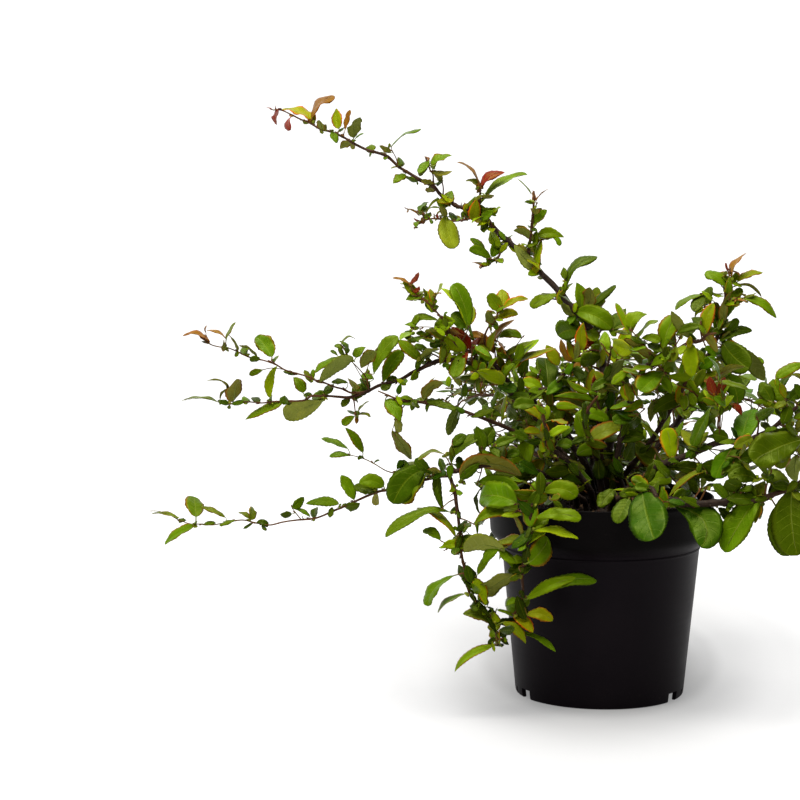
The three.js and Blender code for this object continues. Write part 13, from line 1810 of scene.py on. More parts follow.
(-81.6,112.7,227.1,-81.9,112.5,225.6,-84.1,111.7,220.2,-84.2,110.9,214.2,7.2,-0.94,-0.22,0.26,"h"),
(-80.8,112.5,227.2,-81.7,116.2,225.7,-83.4,120.8,224.6,-83.8,125.1,222.1,4.3,-0.56,0.18,0.81,"p"),
(-80.4,112.4,227.2,-82.8,111.5,226.2,-88,109,224.8,-92.6,107.7,221.4,5.1,-0.37,-0.07,0.93,"m"),
(-79,158,249.5,-78.9,160.7,251.5,-79.1,168.4,259.3,-77,178.4,263.6,9.3,-0.81,-0.31,0.5,"g"),
(-44.6,60.4,193.5,-46.4,64.3,193.3,-51.9,75.9,193.7,-57.3,87.5,192.4,12.5,-0.4,-0.15,0.9,"p"),
(-44.1,60.4,193.1,-45,58.2,192,-51.1,40.9,188,-56.4,25.5,178.7,19,0.03,-0.42,0.91,"n"),
(-80.1,128.9,237,-76,129.3,236.9,-61.6,129.1,237.8,-47.5,132.1,235.9,13.5,0.06,-0.33,0.94,"m"),
(-80.2,128.9,236.8,-81.6,131.4,240.1,-85.3,135.8,248,-88.6,142.9,254.1,8.2,0.54,-0.53,0.65,"h"),
(-81.8,119.5,228.7,-83,119.9,229.2,-88.1,121.3,232.6,-93.8,124,233.6,7.4,0.07,-0.71,0.7,"l"),
(-81.4,119.2,228.9,-84.3,118.8,227.3,-89.1,118.4,225.2,-93.1,117.5,221.9,5.5,-0.5,0.21,0.84,"g"),
(-38.3,45.8,187.6,-38.3,47.3,189.2,-38.6,47.8,196.8,-37.8,48.7,204.3,7,-1,-0.03,0,"g"),
(-37.8,46.3,186.7,-41.1,46.3,186.8,-48.3,44.9,187.8,-55.6,43.4,187.1,8.5,0.07,-0.26,0.96,"n"),
(-82.8,135,248.1,-83.3,134.4,250.9,-83.4,131.4,258.6,-86.9,129.1,265.9,6.9,0.89,0.34,0.3,"h"),
(-72,86.7,227.9,-73.4,86.1,227.6,-80.5,83.5,226.4,-87,80.6,223.4,7.9,-0.26,-0.02,0.96,"u"),
(-71.4,87.1,227.1,-70.4,85.6,229.4,-68.8,81.4,236.7,-64.3,77.9,243.2,7.8,-0.91,0.08,0.4,"h"),
(-132.2,151.6,239.7,-133.8,149.1,239.5,-129.1,149.2,240.6,-124.5,150.3,241.7,5.3,-0.12,-0.56,0.82,"m"),
(-72.1,86.7,228,-73.3,85.1,225.4,-71.2,83.7,229.6,-69.2,83.3,233.8,5.2,-0.44,-0.9,0.03,"d"),
(-139.5,149.7,241.9,-139.4,150,243.6,-139.1,150.4,248.5,-138.9,151.9,253.4,5.8,-0.11,-0.98,0.19,"l"),
(-135,153.9,237.4,-133.9,151.7,237.9,-129.7,142.7,239.7,-125.7,135.5,241.3,9.9,-0.69,-0.2,0.7,"o")]),
("cane_back_middle", [(-6,44,137,3.08),(-6,44,161.4,3.08),(-6.6,52.4,172.8,2.66),(-7.4,60.6,184.4,2.53),(-8.5,68.5,195.2,2.39),(-7.6,77.4,206.9,2.25),(-8.4,87,214.7,2.12),(-6.2,97.4,224.4,1.98),(-5.9,108.1,232.4,1.84),(-4.6,117.9,239.6,1.71),(-2.8,128.8,247,1.57),(0.7,139.1,252.4,1.43),(2.8,148.3,257.6,1.3),(6.3,157,261.9,1.16),(9.3,166.6,264,1.03),(13.2,174.4,267,0.89),(15.7,182.7,267.7,0.75),(19.1,191.3,270.4,0.62)],
[[(-7.6,77.4,206.9,1.13),(7,83.2,219.6,0.9),(21.7,88.9,228.9,0.5)],
[(-5.9,108.1,232.4,0.92),(-20.1,117.4,247.4,0.74),(-34.2,126.6,258.9,0.41)],
[(0.7,139.1,252.4,0.72),(13.9,143.4,267.6,0.57),(27.2,147.7,279.5,0.32)],
[(9.3,166.6,264,0.51),(1,176.9,268.6,0.41),(-7.2,187.1,270.9,0.23)],
[(-3.7,123.3,243.3,0.66),(-3.6,134.2,244.7,0.57),(-2.1,143.8,245.8,0.46)],
[(5.6,155.3,261.1,0.66),(5.5,158.9,261.2,0.58),(5.6,162,261.2,0.46)],
[(12.2,172.4,266.3,0.61),(15.2,173.2,268.9,0.53),(18.1,173.6,271.7,0.42)],
[(18.4,87.7,226.9,0.47),(20.2,87.6,227,0.53),(22,87.7,226.9,0.43)],
[(-24.3,120.1,250.9,0.51),(-22.7,123.6,255.2,0.62),(-21.6,126,259.6,0.49)],
[(-6.8,94.4,221.6,0.82),(-11.2,97.4,226.1,0.71),(-16.4,101,230.8,0.57)],
[(-9.8,110.7,236.5,0.55),(-9.6,111.1,238,0.48),(-9.2,111.6,239.5,0.38)],
[(15.1,180.6,267.5,0.63),(19.1,181.9,267.6,0.61),(23.3,182.7,269,0.49)],
[(-16.2,114.9,243.3,0.54),(-19.8,115.9,244.4,0.47),(-22.8,116.4,246,0.38)],
[(-32.8,125.7,257.7,0.35),(-34.6,125.1,258.8,0.48),(-36.5,124.7,259.3,0.38)],
[(7,83.2,219.6,0.63),(9.3,83.5,220,0.55),(11.7,84,220.2,0.44)],
[(8.1,162.8,263.2,0.71),(11.3,163.8,262.9,0.62),(14.7,165,263.1,0.49)],
[(-7.7,63.3,188,0.75),(-8.9,60.2,194.8,0.65),(-10.1,58.1,201.1,0.52)],
[(-5.8,185.4,270.5,0.21),(-7.4,185.7,271.3,0.51),(-8.7,186.2,272.3,0.41)],
[(13.8,176.5,267.2,0.59),(12.9,178.2,266.5,0.52),(12.2,179.9,265.7,0.41)],
[(17.4,187,269,0.55),(17.7,187.2,269.8,0.49),(17.9,187.4,270.7,0.39)],
[(24.2,146.8,276.9,0.3),(25.1,149.7,276.9,0.56),(26.3,153.3,277.2,0.45)],
[(13.6,85.7,223.7,0.58),(13.1,87.5,226.7,0.56),(13,88.7,229.3,0.45)],
[(-8.3,67.2,193.4,0.7),(-7,72.2,193.5,0.61),(-4.8,77.6,194.2,0.49)],
[(2.8,148.3,257.6,0.57),(4.6,149.9,257.7,0.49),(5.7,151.6,257.6,0.4)],
[(12.6,143,266.1,0.47),(14.9,143,266.3,0.51),(17.4,142.7,266.7,0.41)],
[(-4.8,116.2,238.4,0.71),(-2.9,115.9,240.5,0.62),(-1,115.9,242.9,0.5)],
[(15.4,143.9,268.9,0.44),(18,147.2,268.9,0.53),(20,150.4,269.7,0.42)],
[(-5.2,113,236,0.9),(-1.7,118.5,236.9,0.79),(2.9,123.4,236.6,0.63)],
[(-6.1,102.7,228.4,0.76),(-1.9,107.3,229.2,0.66),(1.2,111.8,230.1,0.53)],
[(-7.9,80.6,209.5,0.72),(-5.2,80.3,220.5,0.62),(-2.8,80.4,229.3,0.5)],
[(-0.3,178.6,268.9,0.3),(2.2,182.6,270.9,0.61),(3.6,186.5,272.5,0.49)],
[(6.5,170,265.5,0.38),(7.1,171.2,266.8,0.49),(8,172.8,268.7,0.39)],
[(-6.2,99.2,225.7,0.84),(-9,98.7,231.3,0.73),(-11.5,98.6,237,0.58)],
[(21.3,145.8,274.2,0.34),(21.1,146.1,274.9,0.6),(21,146.4,275.5,0.48)],
[(2,144.6,255.5,0.62),(1.4,144.3,260.6,0.54),(1.1,144.4,264.9,0.43)],
[(-30,123.8,255.4,0.4),(-29.8,124.1,256.7,0.48),(-29.5,124.5,258.2,0.38)],
[(-12.3,112.3,239.2,0.55),(-15,112.8,239.2,0.48),(-17.3,113.4,239.8,0.38)],
[(-2.2,130.5,247.9,0.92),(4.1,131.4,249.4,0.8),(10.5,133.6,252.7,0.64)],
[(-0.3,80.3,213.2,0.62),(0.1,77.8,218.1,0.54),(0.8,74.5,223.4,0.43)]],
[(-6.9,53.1,174,-12.1,53.1,177.2,-25.3,53.2,187.3,-41.8,52.4,191.8,15.8,0.5,0.14,0.85,"o"),
(-7.7,60.7,184.5,-3.5,59.4,188.7,2.7,57.6,196.4,13,52.7,199.3,8,-0.58,0.43,0.69,"l"),
(-8.5,68.8,195.6,-8.6,74.1,195.6,-9.2,85.5,196.5,-8.4,96.8,190.9,9.4,-0.21,-0.01,0.98,"d"),
(-7.7,76.7,206,-9.8,75.1,209.4,-16.4,70.2,223.9,-27.5,61.2,233.6,13.8,0.58,0.53,0.62,"l"),
(-8.2,83.9,212.2,-4,85.9,214.6,8.1,91.8,223.5,24.9,99.8,222.6,15.3,-0.43,-0.19,0.88,"m"),
(-7.5,91.5,218.9,-10.8,95.1,218.9,-20.2,105.6,220.9,-29.8,115.9,215.1,13,0.01,0.02,1,"d"),
(-5.9,101.6,227.5,-5.8,101.1,231.1,-5.4,99.9,240,-2.9,97.7,248.5,7.6,-0.89,0.44,0.15,"d"),
(-5.2,110.6,234.2,-2.5,113.5,233.7,8,123.2,233.4,17.4,132.5,224.4,12.7,0.14,0.04,0.99,"d"),
(-4.4,119.1,240.5,-7.4,120.7,243,-17.3,125.8,252.8,-30.4,133.5,257.1,11.4,0.48,-0.37,0.8,"d"),
(-2.2,130.6,248,0,130.8,251,5.6,131.1,262,18.5,132.5,267.8,10.7,-0.8,-0.12,0.58,"o"),
(1.6,142.4,254.2,1.4,146.2,252.8,1,154.9,250.4,0.9,162.2,244.3,8.4,-0.07,0.37,0.93,"d"),
(5.3,153.7,260.2,3.3,154.3,264.2,-0.3,155.4,278.3,-13.1,159.4,288,12.1,0.87,-0.28,0.41,"o"),
(9.3,165,263.9,12,165.4,264.3,26.1,166.4,268,41.1,167.4,266.7,11.4,-0.19,0,0.98,"o"),
(12.7,174.2,266.2,10.6,177,266.6,4.7,183.6,267.6,-1.4,189.3,261.8,7.6,-0.13,0.25,0.96,"m"),
(16.1,183.2,268.4,16.9,183.9,271.2,20.7,184.6,285.4,25.2,191.5,298.3,12.2,-0.11,-0.97,0.19,"l"),
(-1.1,80.1,212.6,1.6,78.9,212.8,12.1,74.6,214,22.7,70.3,212.5,10.6,-0.06,0.03,1,"m"),
(6.2,82.8,218.8,6,85.2,220.2,5.2,96.9,228.6,4.4,110.7,233.6,14.4,0.02,-0.52,0.85,"m"),
(12.4,85.3,223,13.1,83.3,226,15.2,78,237.2,18.9,68.3,245.1,11.7,-0.29,0.76,0.58,"l"),
(20.2,88.4,228,23.3,90.4,225.8,28.8,94,222.2,33.1,96.4,215.9,6,0.37,0.39,0.84,"d"),
(-11.4,111.9,238.5,-11.5,111.4,242.6,-11,111.8,256.3,-11.3,106.1,269.4,12.1,0.12,0.99,0.1,"d"),
(-15.9,114.7,243.2,-16.7,118.5,243.6,-18.3,126.4,245.6,-20,134.8,242.4,7.7,0.05,-0.12,0.99,"d"),
(-22.4,118.9,249.3,-24,117.7,250.3,-34.3,110.7,257.5,-46.7,101,258.3,12.1,0.3,0.36,0.88,"m"),
(-29,123.2,254.6,-28.1,124,256.4,-22.7,128.7,268.6,-15.8,135.3,279.1,13.5,-0.52,-0.66,0.55,"b"),
(6.4,141,259.1,10.2,139.7,258.3,21.7,135.5,258,32.5,132.5,251.3,11.3,0.12,-0.2,0.97,"m"),
(11.5,142.6,264.9,10.8,145.1,266.9,8,153.9,275.8,3.6,168,277.7,9.8,0.19,-0.6,0.78,"l"),
(17.4,144.6,270.8,18.3,142.9,272.8,20.2,139,278.7,23.8,132.3,281.6,7.2,-0.38,0.63,0.68,"d"),
(23,146.4,275.8,24.3,147.9,275,30.7,155.5,271.9,36.7,160.9,263.5,10.1,0.06,0.39,0.92,"m"),
(4.1,173.3,267.1,3.8,173.9,269,2.5,176.2,282.1,2.4,187.8,292.2,12.3,-0.12,-0.95,0.3,"l"),
(-1.2,179.7,269.2,-1.2,183.4,267.3,-1.1,195.3,263.2,-1.6,205.2,254.8,9.6,0.12,0.44,0.89,"m"),
(-6,185.6,270.5,-8,185.5,271.9,-16.4,184.8,279.3,-28.6,183.7,280.6,9.9,0.54,0.07,0.84,"y"),
(-2.1,143.4,245.8,-3.3,146.1,242.4,-6,155.6,233,-10.6,159.1,220.3,16.4,-0.03,0.83,0.56,"m"),
(-2.4,140,245.4,-1.7,141,245.1,3,147,244.1,6.5,153.3,241.5,9.3,0.05,0.2,0.98,"m"),
(5.6,161.9,261.2,4.3,162.4,262,-4.2,166.5,268.3,-14.4,167.5,273,13.6,0.53,0.63,0.56,"m"),
(5.6,161.1,261.1,4.4,161.6,259.6,-0.3,163.4,254.4,-3.8,164.6,248,7.9,-0.63,0.47,0.62,"m"),
(17.6,173.5,271.2,19.7,173,271.2,30.9,170.2,272.4,42.1,167.9,271,13.6,-0.07,-0.25,0.96,"m"),
(17,173.4,270.7,18.3,170.8,273.4,22.2,164.6,281.8,25.6,156,288.3,10.4,0.28,0.76,0.58,"m"),
(16.8,173.4,270.4,19.3,174.4,270.1,23.7,176.2,270.6,27.7,178.2,268.6,4.3,0.28,-0.38,0.88,"l"),
(21.7,87.7,226.9,22.5,90.6,227.4,25.6,100,230.8,27.7,110.3,230.1,12.5,0.63,-0.29,0.72,"p"),
(21.4,87.7,226.9,22.6,85.9,227.8,27,81.5,231,29.7,75.2,233,7.6,0.37,0.61,0.7,"d"),
(-21.7,125.6,259.1,-20.7,126,260.1,-16.8,126.8,264.3,-12.5,128.8,267.8,5.6,-0.67,-0.12,0.73,"m"),
(-21.9,125.3,258.6,-21.9,127,259.3,-22.1,132.7,262.5,-21.8,139.1,264.3,7.5,0.1,-0.4,0.91,"m"),
(-22.2,124.7,257.6,-18.5,126.4,256.6,-14.4,128.7,256.1,-10.4,130.2,253.9,3.8,0.21,0.15,0.97,"o"),
(-15.7,100.6,230.2,-18.3,101.1,230.7,-28.9,102,234.3,-39.5,106,234.6,12.8,0.14,-0.25,0.96,"n"),
(-15,100.1,229.5,-15.8,100.7,232.8,-18,100.7,241.7,-19.6,104.7,249.9,10.1,-0.17,-0.97,0.15,"d"),
(-14.4,99.6,228.9,-16.6,102.8,229.4,-20.2,108.8,231.8,-24.5,114.8,230.8,7,-0.22,-0.3,0.93,"g"),
(-9.2,111.6,239.4,-8.9,108.3,241.5,-8.9,101,248.1,-7.6,91.9,251.6,10.1,0.1,0.53,0.84,"g"),
(-9.2,111.5,239.2,-6.9,114.4,241.7,-2.6,120.8,247.9,3.7,127.1,252.1,10.3,-0.3,-0.46,0.84,"g"),
(22.6,182.5,268.9,23.3,182,267.4,26.7,180.6,261.3,28.7,178,254.8,7,0.9,-0.03,0.44,"d"),
(21.8,182.3,268.7,23.8,184.4,269.6,27.7,187.9,272.2,31.3,192.4,272.9,6.3,0.13,-0.5,0.85,"y"),
(-22.7,116.4,246,-25.4,114.4,245.2,-31.3,110,244.2,-36.6,105.4,241.3,8.5,-0.32,0.03,0.95,"m"),
(-36.4,124.8,259.3,-38.4,127,259.8,-46,134.6,262.8,-52.1,143.9,263.1,9.4,-0.57,-0.59,0.56,"g"),
(-36.3,124.8,259.2,-39.5,122.1,258.6,-44.5,117.1,258.9,-50.2,113.3,256.6,6.9,-0.13,-0.06,0.99,"h"),
(-35.8,124.9,259,-37.6,125.7,258,-47.6,130.6,253.7,-56,134.4,246.1,10.6,-0.6,-0.28,0.75,"g"),
(-35.6,125,258.9,-35.5,121.6,259.5,-35.2,116.2,261.5,-35.2,110.5,261.2,5.2,-0.31,0.15,0.94,"y"),
(11.6,84,220.2,12.5,82.9,220.4,19.5,74.2,223.9,25.5,63.9,223.5,11.8,0.27,0.36,0.89,"d"),
(11.5,84,220.2,12.7,85.1,219.2,23.8,93.5,213,30.9,102.2,202.6,14.1,0.72,-0.12,0.68,"p"),
(10.6,83.8,220.1,12.7,82.6,221.6,20,79,228.5,28.1,73.2,232.7,9.6,-0.16,0.65,0.74,"p"),
(14.6,164.9,263.1,17.1,165.2,261.1,27.8,166.1,255.2,35.6,167.4,245.8,11,0.61,-0.39,0.69,"o"),
(13.3,164.4,263.1,13.6,166,261.1,15.2,173.7,254,15,178,244.1,8.9,0.76,0.47,0.45,"m"),
(-10.1,58.2,200.9,-7.8,58.6,203.3,-3.1,59.7,209.7,3.8,61.3,213.8,7.1,-0.55,-0.47,0.68,"g"),
(-10,58.5,200.2,-12.1,58.3,201.8,-16.7,57.5,206.8,-23,57.8,209.5,5.9,0.54,-0.49,0.69,"u"),
(-9.8,58.8,199.3,-7.7,54.9,198.9,-3.7,48.7,199,-0.7,42.3,197,6.3,-0.17,-0.2,0.96,"p"),
(-9.7,59.2,198.4,-9.5,60.3,199.1,-9.2,66.9,205.5,-7,75.1,209.2,8.7,0.09,-0.58,0.81,"h"),
(-8.6,186.1,272.3,-8.5,187.8,272.7,-8.6,197.7,276.8,-5.8,208.1,276.9,9,-0.43,-0.15,0.89,"h"),
(-8.5,186.1,272.2,-10.2,185.9,272.1,-22.1,185.2,272.8,-33.6,183,269.7,10.6,-0.03,-0.18,0.98,"m"),
(-8.3,186.1,272.1,-8.4,185.9,274.5,-9.3,186,285.5,-9.4,184.2,296.4,9.1,-0.91,0.42,-0.02,"m"),
(12.2,179.8,265.7,10.6,180.7,263.8,1.9,185.1,254.7,-5.5,189.2,244.3,11.7,-0.63,0.37,0.68,"m"),
(12.5,179.2,265.9,14.4,181,262.5,18.4,184.1,256.3,20.8,187,249.1,9,0.64,0.49,0.59,"m"),
(17.9,187.4,270.6,19.4,189,271.8,23,192.6,275.2,26.7,196.8,277.5,6.1,-0.28,-0.41,0.87,"o"),
(17.8,187.3,270.4,16.6,187.7,272.8,12.9,187.4,280.1,8.5,189.8,286.7,7.9,0.64,-0.64,0.43,"m"),
(26.2,152.9,277.1,28.4,154.7,276.6,33.3,158.6,276.2,37.9,162.4,274.1,5.3,0.08,0.18,0.98,"l"),
(25.9,152.2,277.1,26.5,152.2,278.4,29,153.8,287.2,34.1,153,295,8.8,-0.73,0.63,0.28,"l"),
(13.1,88.3,228.5,13.1,87.8,230.3,13.1,86.6,237.1,13.3,83.6,243.4,6.6,0.12,0.95,0.27,"g"),
(13.2,88.1,228.1,14.1,91.3,230.3,15.8,98.9,237.2,19.2,108.3,240.9,8.6,-0.1,-0.54,0.84,"m"),
(-5.1,76.6,194.1,-1.4,78.6,193.5,6.2,82.8,193.3,13.6,86.3,190.5,7.9,-0.08,0.43,0.9,"u"),
(-5.4,75.7,194,-7.6,77.2,192.4,-14.6,81.3,188.1,-20.3,85.6,182.2,9.7,-0.28,0.51,0.82,"n"),
(5.6,151.6,257.6,8.2,152.3,256.3,17.3,155.4,252.2,25.9,156.6,246.4,8.4,0.37,0.35,0.86,"o"),
(5.4,151.2,257.6,6.8,151.9,258.3,14.9,155.8,263.6,24.3,159.2,266.4,9.3,-0.48,0.16,0.86,"o"),
(5.3,151,257.6,5.9,151.9,255.2,11,157.8,243.9,12.4,160.1,230.4,13.2,0.75,0.54,0.38,"h"),
(16.6,142.7,266.6,17.7,141.7,266.6,24.5,136.9,267.1,29.2,130.1,265.8,9.4,0.33,0.31,0.89,"d"),
(16.4,142.8,266.6,17.5,143.6,265.9,22.3,146.8,264.2,25.7,150.3,260.6,5.5,0.61,-0.17,0.77,"o"),
(-1.2,115.9,242.7,1,114.7,243.6,11.9,109.9,250.3,23.7,103.1,252,15.3,-0.26,0.2,0.94,"p"),
(-1.7,115.9,242.1,0.9,116.2,241.9,13.7,117.8,243,26,118.4,238.7,14.8,0.1,-0.08,0.99,"o"),
(19,149,269.5,20.6,149.6,268.9,27.3,152.3,266.9,33.4,155,263.4,6.4,0.31,0.15,0.94,"h"),
(2.5,122.9,236.6,2.2,124.9,236.8,1.4,131.3,238.7,0,137.9,238.1,5.4,0.29,-0.09,0.95,"o"),
(1.8,121.9,236.5,2.6,124.8,233.1,4.9,130.6,227.5,5.6,135.1,220.3,9.1,0.68,0.46,0.57,"d"),
(1.4,121.4,236.5,1.6,122.8,237.8,1.8,127.7,242.9,3.6,133,247.3,7.6,-0.35,-0.62,0.7,"m"),
(1.1,111.7,230.1,3.7,112.7,230.1,11.9,115.4,231,20.1,117.8,229.1,9.7,-0.08,0.3,0.95,"g"),
(0.5,111,229.9,0.1,111.9,229.3,-3.9,121.3,224.8,-8.4,128.4,217.4,13.2,0.6,0.64,0.48,"d"),
(-2.9,80.4,228.9,-2.2,79.5,230.7,2.3,74,241.9,7.4,65.2,250.6,12.7,-0.15,0.79,0.6,"d"),
(-3.9,80.4,225.1,-1.9,79.7,225.5,5.2,77,228.2,12.9,74.4,227.3,8.1,-0.29,-0.39,0.87,"d"),
(3.5,186.4,272.4,3.5,187.9,273,2.8,193.2,275.6,2.6,199,277,5.8,-0.32,-0.35,0.88,"m"),
(3.2,185.6,272.1,3.9,188.5,270.4,5.2,193.1,269,5.9,196.7,265.6,5,0.12,0.47,0.88,"o"),
(2.9,185.2,271.9,2.6,187,274.5,2.8,190.7,280.7,1,195,286.3,6.6,0.99,0.12,0.04,"h"),
(2.7,184.7,271.7,4.1,185,271.5,9.7,186.6,271,15.4,186.9,269.7,5.4,0.06,0.4,0.91,"m"),
(7.8,172.2,268,10.9,174.5,268.6,16.1,177.5,270.3,20.6,182,269.8,5.4,0.09,-0.36,0.93,"m"),
(-11.1,98.7,236.2,-10,96.3,237,-6.3,85.3,243.1,0.6,74.2,244.3,12.2,-0.27,0.19,0.94,"h"),
(-10.3,98.8,234.6,-12.9,96.9,234.2,-19.9,92.4,234.6,-26.1,87.5,232,8.5,-0.16,0.02,0.99,"p"),
(21,146.4,275.4,20.8,147.7,275.7,19.1,155.5,277.8,19.3,163.8,279,8.9,-0.22,-0.26,0.94,"o"),
(21,146.3,275.3,19.7,146.3,277,16.3,146.1,284.7,9.7,145.9,289.9,9,0.8,-0.16,0.58,"m"),
(1.1,144.4,264.7,-0.4,142.3,267.2,-3.2,139,272.6,-6.5,134.1,276.3,6.1,0.55,0.42,0.72,"p"),
(1.3,144.4,263.6,-1.5,145.7,265.7,-10.7,149.2,273.5,-20.3,154.3,280,14.4,0.44,-0.41,0.8,"l"),
(-29.5,124.5,258.2,-27.8,128.5,258.3,-24.8,133.8,259.4,-23,139.7,258.4,7.2,0.19,-0.1,0.98,"p"),
(-29.6,124.5,258.1,-30.8,124.1,259,-35.3,122.7,263.2,-40.8,120.6,265.5,6.7,0.49,0.25,0.84,"o"),
(-17.2,113.4,239.8,-18.6,113.2,238.8,-25.2,112.8,235.4,-29.4,111.5,229.3,7.9,-0.61,-0.17,0.77,"p"),
(-17,113.4,239.8,-17.6,112.2,243.4,-19.8,109.4,252,-20,106.5,261,9.5,-0.97,0.22,-0.1,"d"),
(-16.7,113.3,239.8,-16.9,116.4,238,-17.5,128.7,233.2,-16.9,138.7,224.4,13.8,-0.79,0.28,0.54,"o"),
(9.4,133.2,252.1,11.4,134.6,250.3,21.1,140.5,243,28.5,145.6,232.6,15.4,0.7,-0.06,0.71,"m"),
(7.7,132.7,251.3,10.8,135.8,251.9,18.8,142.6,254.1,25.4,151.9,252.4,8.5,-0.23,0.1,0.97,"m"),
(0.7,75,222.4,-1.1,73.1,225.8,-4.3,68.9,233.2,-9.3,65.3,239.9,7.5,0.89,-0.04,0.46,"u"),
(0.6,75.6,221.5,3.5,72.4,220.2,9,67.7,219,13.1,62.2,216.1,5.9,0.11,-0.27,0.96,"u"),
(15.9,173.2,269.5,10.3,172.6,268.6,18.6,169.8,270.3,26.8,168.8,271.7,9.4,-0.28,-0.55,0.79,"m"),
(-8.3,85.4,213.4,-14.8,83.7,216.6,-7.2,80.6,213.6,0.3,79.2,210.5,7.7,0.04,-0.75,0.67,"n")]),
("cane_back_right", [(24,38,137,3.19),(24,38,161.4,3.19),(29.3,46.4,171.3,2.79),(34.4,54.6,181.5,2.67),(40,63.2,190.3,2.56),(46.1,72.2,200,2.45),(54.1,82.1,207.5,2.33),(61,91,215.4,2.22),(70.3,102.2,220.8,2.11),(78,111.4,226.1,2),(85,122,230.3,1.88),(93.7,130.9,232.2,1.77),(100.5,141.2,235,1.66),(108.5,149.9,235.8,1.54),(115.8,158.4,235.1,1.43),(122.1,168.3,234.1,1.32),(128.4,176.3,232.5,1.2),(134.8,184.7,230.3,1.09),(138.6,191.2,227.7,0.98),(142.9,196.5,225.6,0.86),(146,201.3,222.8,0.75),(150.8,206.2,220.1,0.64)],
[[(46.1,72.2,200,1.22),(59.8,68.7,210.1,0.98),(73.5,65.2,217.4,0.54)],
[(70.3,102.2,220.8,1.05),(65.4,112.8,230.1,0.84),(60.6,123.4,237,0.46)],
[(93.7,130.9,232.2,0.88),(109.8,131.9,248.2,0.71),(125.8,132.9,260.6,0.39)],
[(115.8,158.4,235.1,0.71),(109.9,176.9,241.8,0.57),(103.9,195.4,245.1,0.31)],
[(134.8,184.7,230.3,0.55),(152.3,182.2,233.2,0.44),(169.8,179.8,233.2,0.24)],
[(63,118.1,233.6,0.52),(62.1,118.9,233.9,0.59),(61.2,119.9,234.2,0.47)],
[(165.4,180.4,233.2,0.23),(166.5,182.7,233.4,0.52),(167.6,184.5,232.9,0.41)],
[(98.1,131.1,236.6,0.61),(98,130.7,240.1,0.53),(97.1,131,243.4,0.42)],
[(90.8,127.9,231.5,0.91),(90.3,129.4,232,0.79),(89.9,130.9,232.5,0.63)],
[(63.7,67.7,212.2,0.68),(65.7,66.8,211.8,0.62),(67.4,65.6,211.7,0.49)],
[(63.6,94.2,216.9,0.77),(63.1,95.4,225.4,0.67),(62.6,95.9,233.2,0.53)],
[(78,111.4,226.1,0.67),(78,113.1,235.1,0.59),(76.7,113.8,242.6,0.47)],
[(111.7,171.3,239.8,0.49),(109.5,175.1,236.6,0.53),(108.6,179.5,235.3,0.43)],
[(105.2,191.3,244.3,0.3),(104.9,191.6,245.6,0.61),(104.7,191.9,246.8,0.49)],
[(103.7,144.7,235.3,0.86),(102.2,146.4,237.9,0.74),(101,149.1,240.7,0.6)],
[(97.1,136,233.6,0.85),(100.6,135.5,235.7,0.74),(103.9,135.3,237.8,0.59)],
[(118.3,162.3,234.7,0.53),(118,163.2,234.1,0.46),(117.8,164.1,233.5,0.37)],
[(154.5,181.9,233.2,0.33),(155.2,183.3,232.9,0.45),(155.9,184.5,232.5,0.36)],
[(136.7,187.9,229,0.55),(137,189.7,225.9,0.48),(137.1,191.2,222,0.38)],
[(108.3,131.8,246.7,0.58),(109,129.7,251.7,0.51),(111.1,127.9,256.6,0.41)],
[(54.1,82.1,207.5,0.72),(57.5,82.8,208.2,0.63),(61,83.7,209.2,0.5)],
[(75.4,108.4,224.3,0.79),(77.7,108.5,227,0.69),(80.1,108.2,229.4,0.55)],
[(85,122,230.3,0.87),(87.3,133.7,228.3,0.76),(89.3,143.1,226.5,0.61)],
[(69.6,66.2,215.3,0.53),(74.6,66.9,214.7,0.46),(79.2,67,214.8,0.37)],
[(67.6,99,219.3,0.87),(73.9,97.8,226.6,0.76),(78.8,96.1,233.2,0.61)],
[(107.9,183.1,242.9,0.39),(108.5,183.3,243.9,0.48),(108.9,183.7,245.2,0.39)],
[(124.2,132.8,259.4,0.34),(125.7,132.1,260.2,0.46),(127.1,131.1,261,0.37)],
[(147.6,202.9,221.9,0.57),(148.1,203,221,0.59),(148.5,203,220.2,0.47)],
[(150.1,182.5,232.8,0.36),(151.7,182.6,236.4,0.62),(152.4,183.6,241.3,0.49)],
[(82.7,118.5,228.9,0.64),(80.1,124.2,236.2,0.56),(78.1,128,244.9,0.45)],
[(68.2,106.8,224.8,0.68),(68.5,106.6,226.7,0.59),(68.4,106.3,228.6,0.47)],
[(66.8,109.8,227.4,0.68),(65.3,109.1,231.6,0.59),(64.2,107.2,236.4,0.48)],
[(161.1,181,233.2,0.27),(161.8,179.9,234,0.54),(162.5,178.7,234.9,0.43)],
[(102.5,131.4,240.9,0.53),(101.1,133.8,246.2,0.46),(101.4,135.3,250.8,0.37)],
[(145.7,183.1,232.1,0.38),(146.3,182.5,232.8,0.45),(146.8,181.7,233.3,0.36)],
[(141.5,194.7,226.3,0.55),(145.3,195,225.1,0.48),(149.3,195.5,224,0.38)],
[(111.4,153.3,235.5,0.61),(113.3,152.6,235.2,0.53),(115,152.2,235.1,0.42)]],
[(29.8,47.2,172.6,35.3,47.3,172.9,47.3,47.3,174.3,59.5,47,172,9.6,-0.07,0.06,1,"m"),
(33.3,52.9,179.4,29.3,56.9,181.5,21.3,64.5,186.4,12.3,73.6,186.4,10,0.21,-0.27,0.94,"d"),
(38.5,60.8,188,40,58.3,193.3,42.7,54.5,205,46.6,44.4,213.3,10.1,-0.15,0.87,0.46,"m"),
(42.4,66.7,194.2,46.2,70.9,191.6,56.1,81.8,187.4,63.1,88.2,171.5,11.6,0.23,0.35,0.91,"m"),
(46.9,73.3,200.9,44,75.8,205.7,38.6,80.5,218,27.1,90.2,223.8,12.3,0.6,-0.5,0.63,"m"),
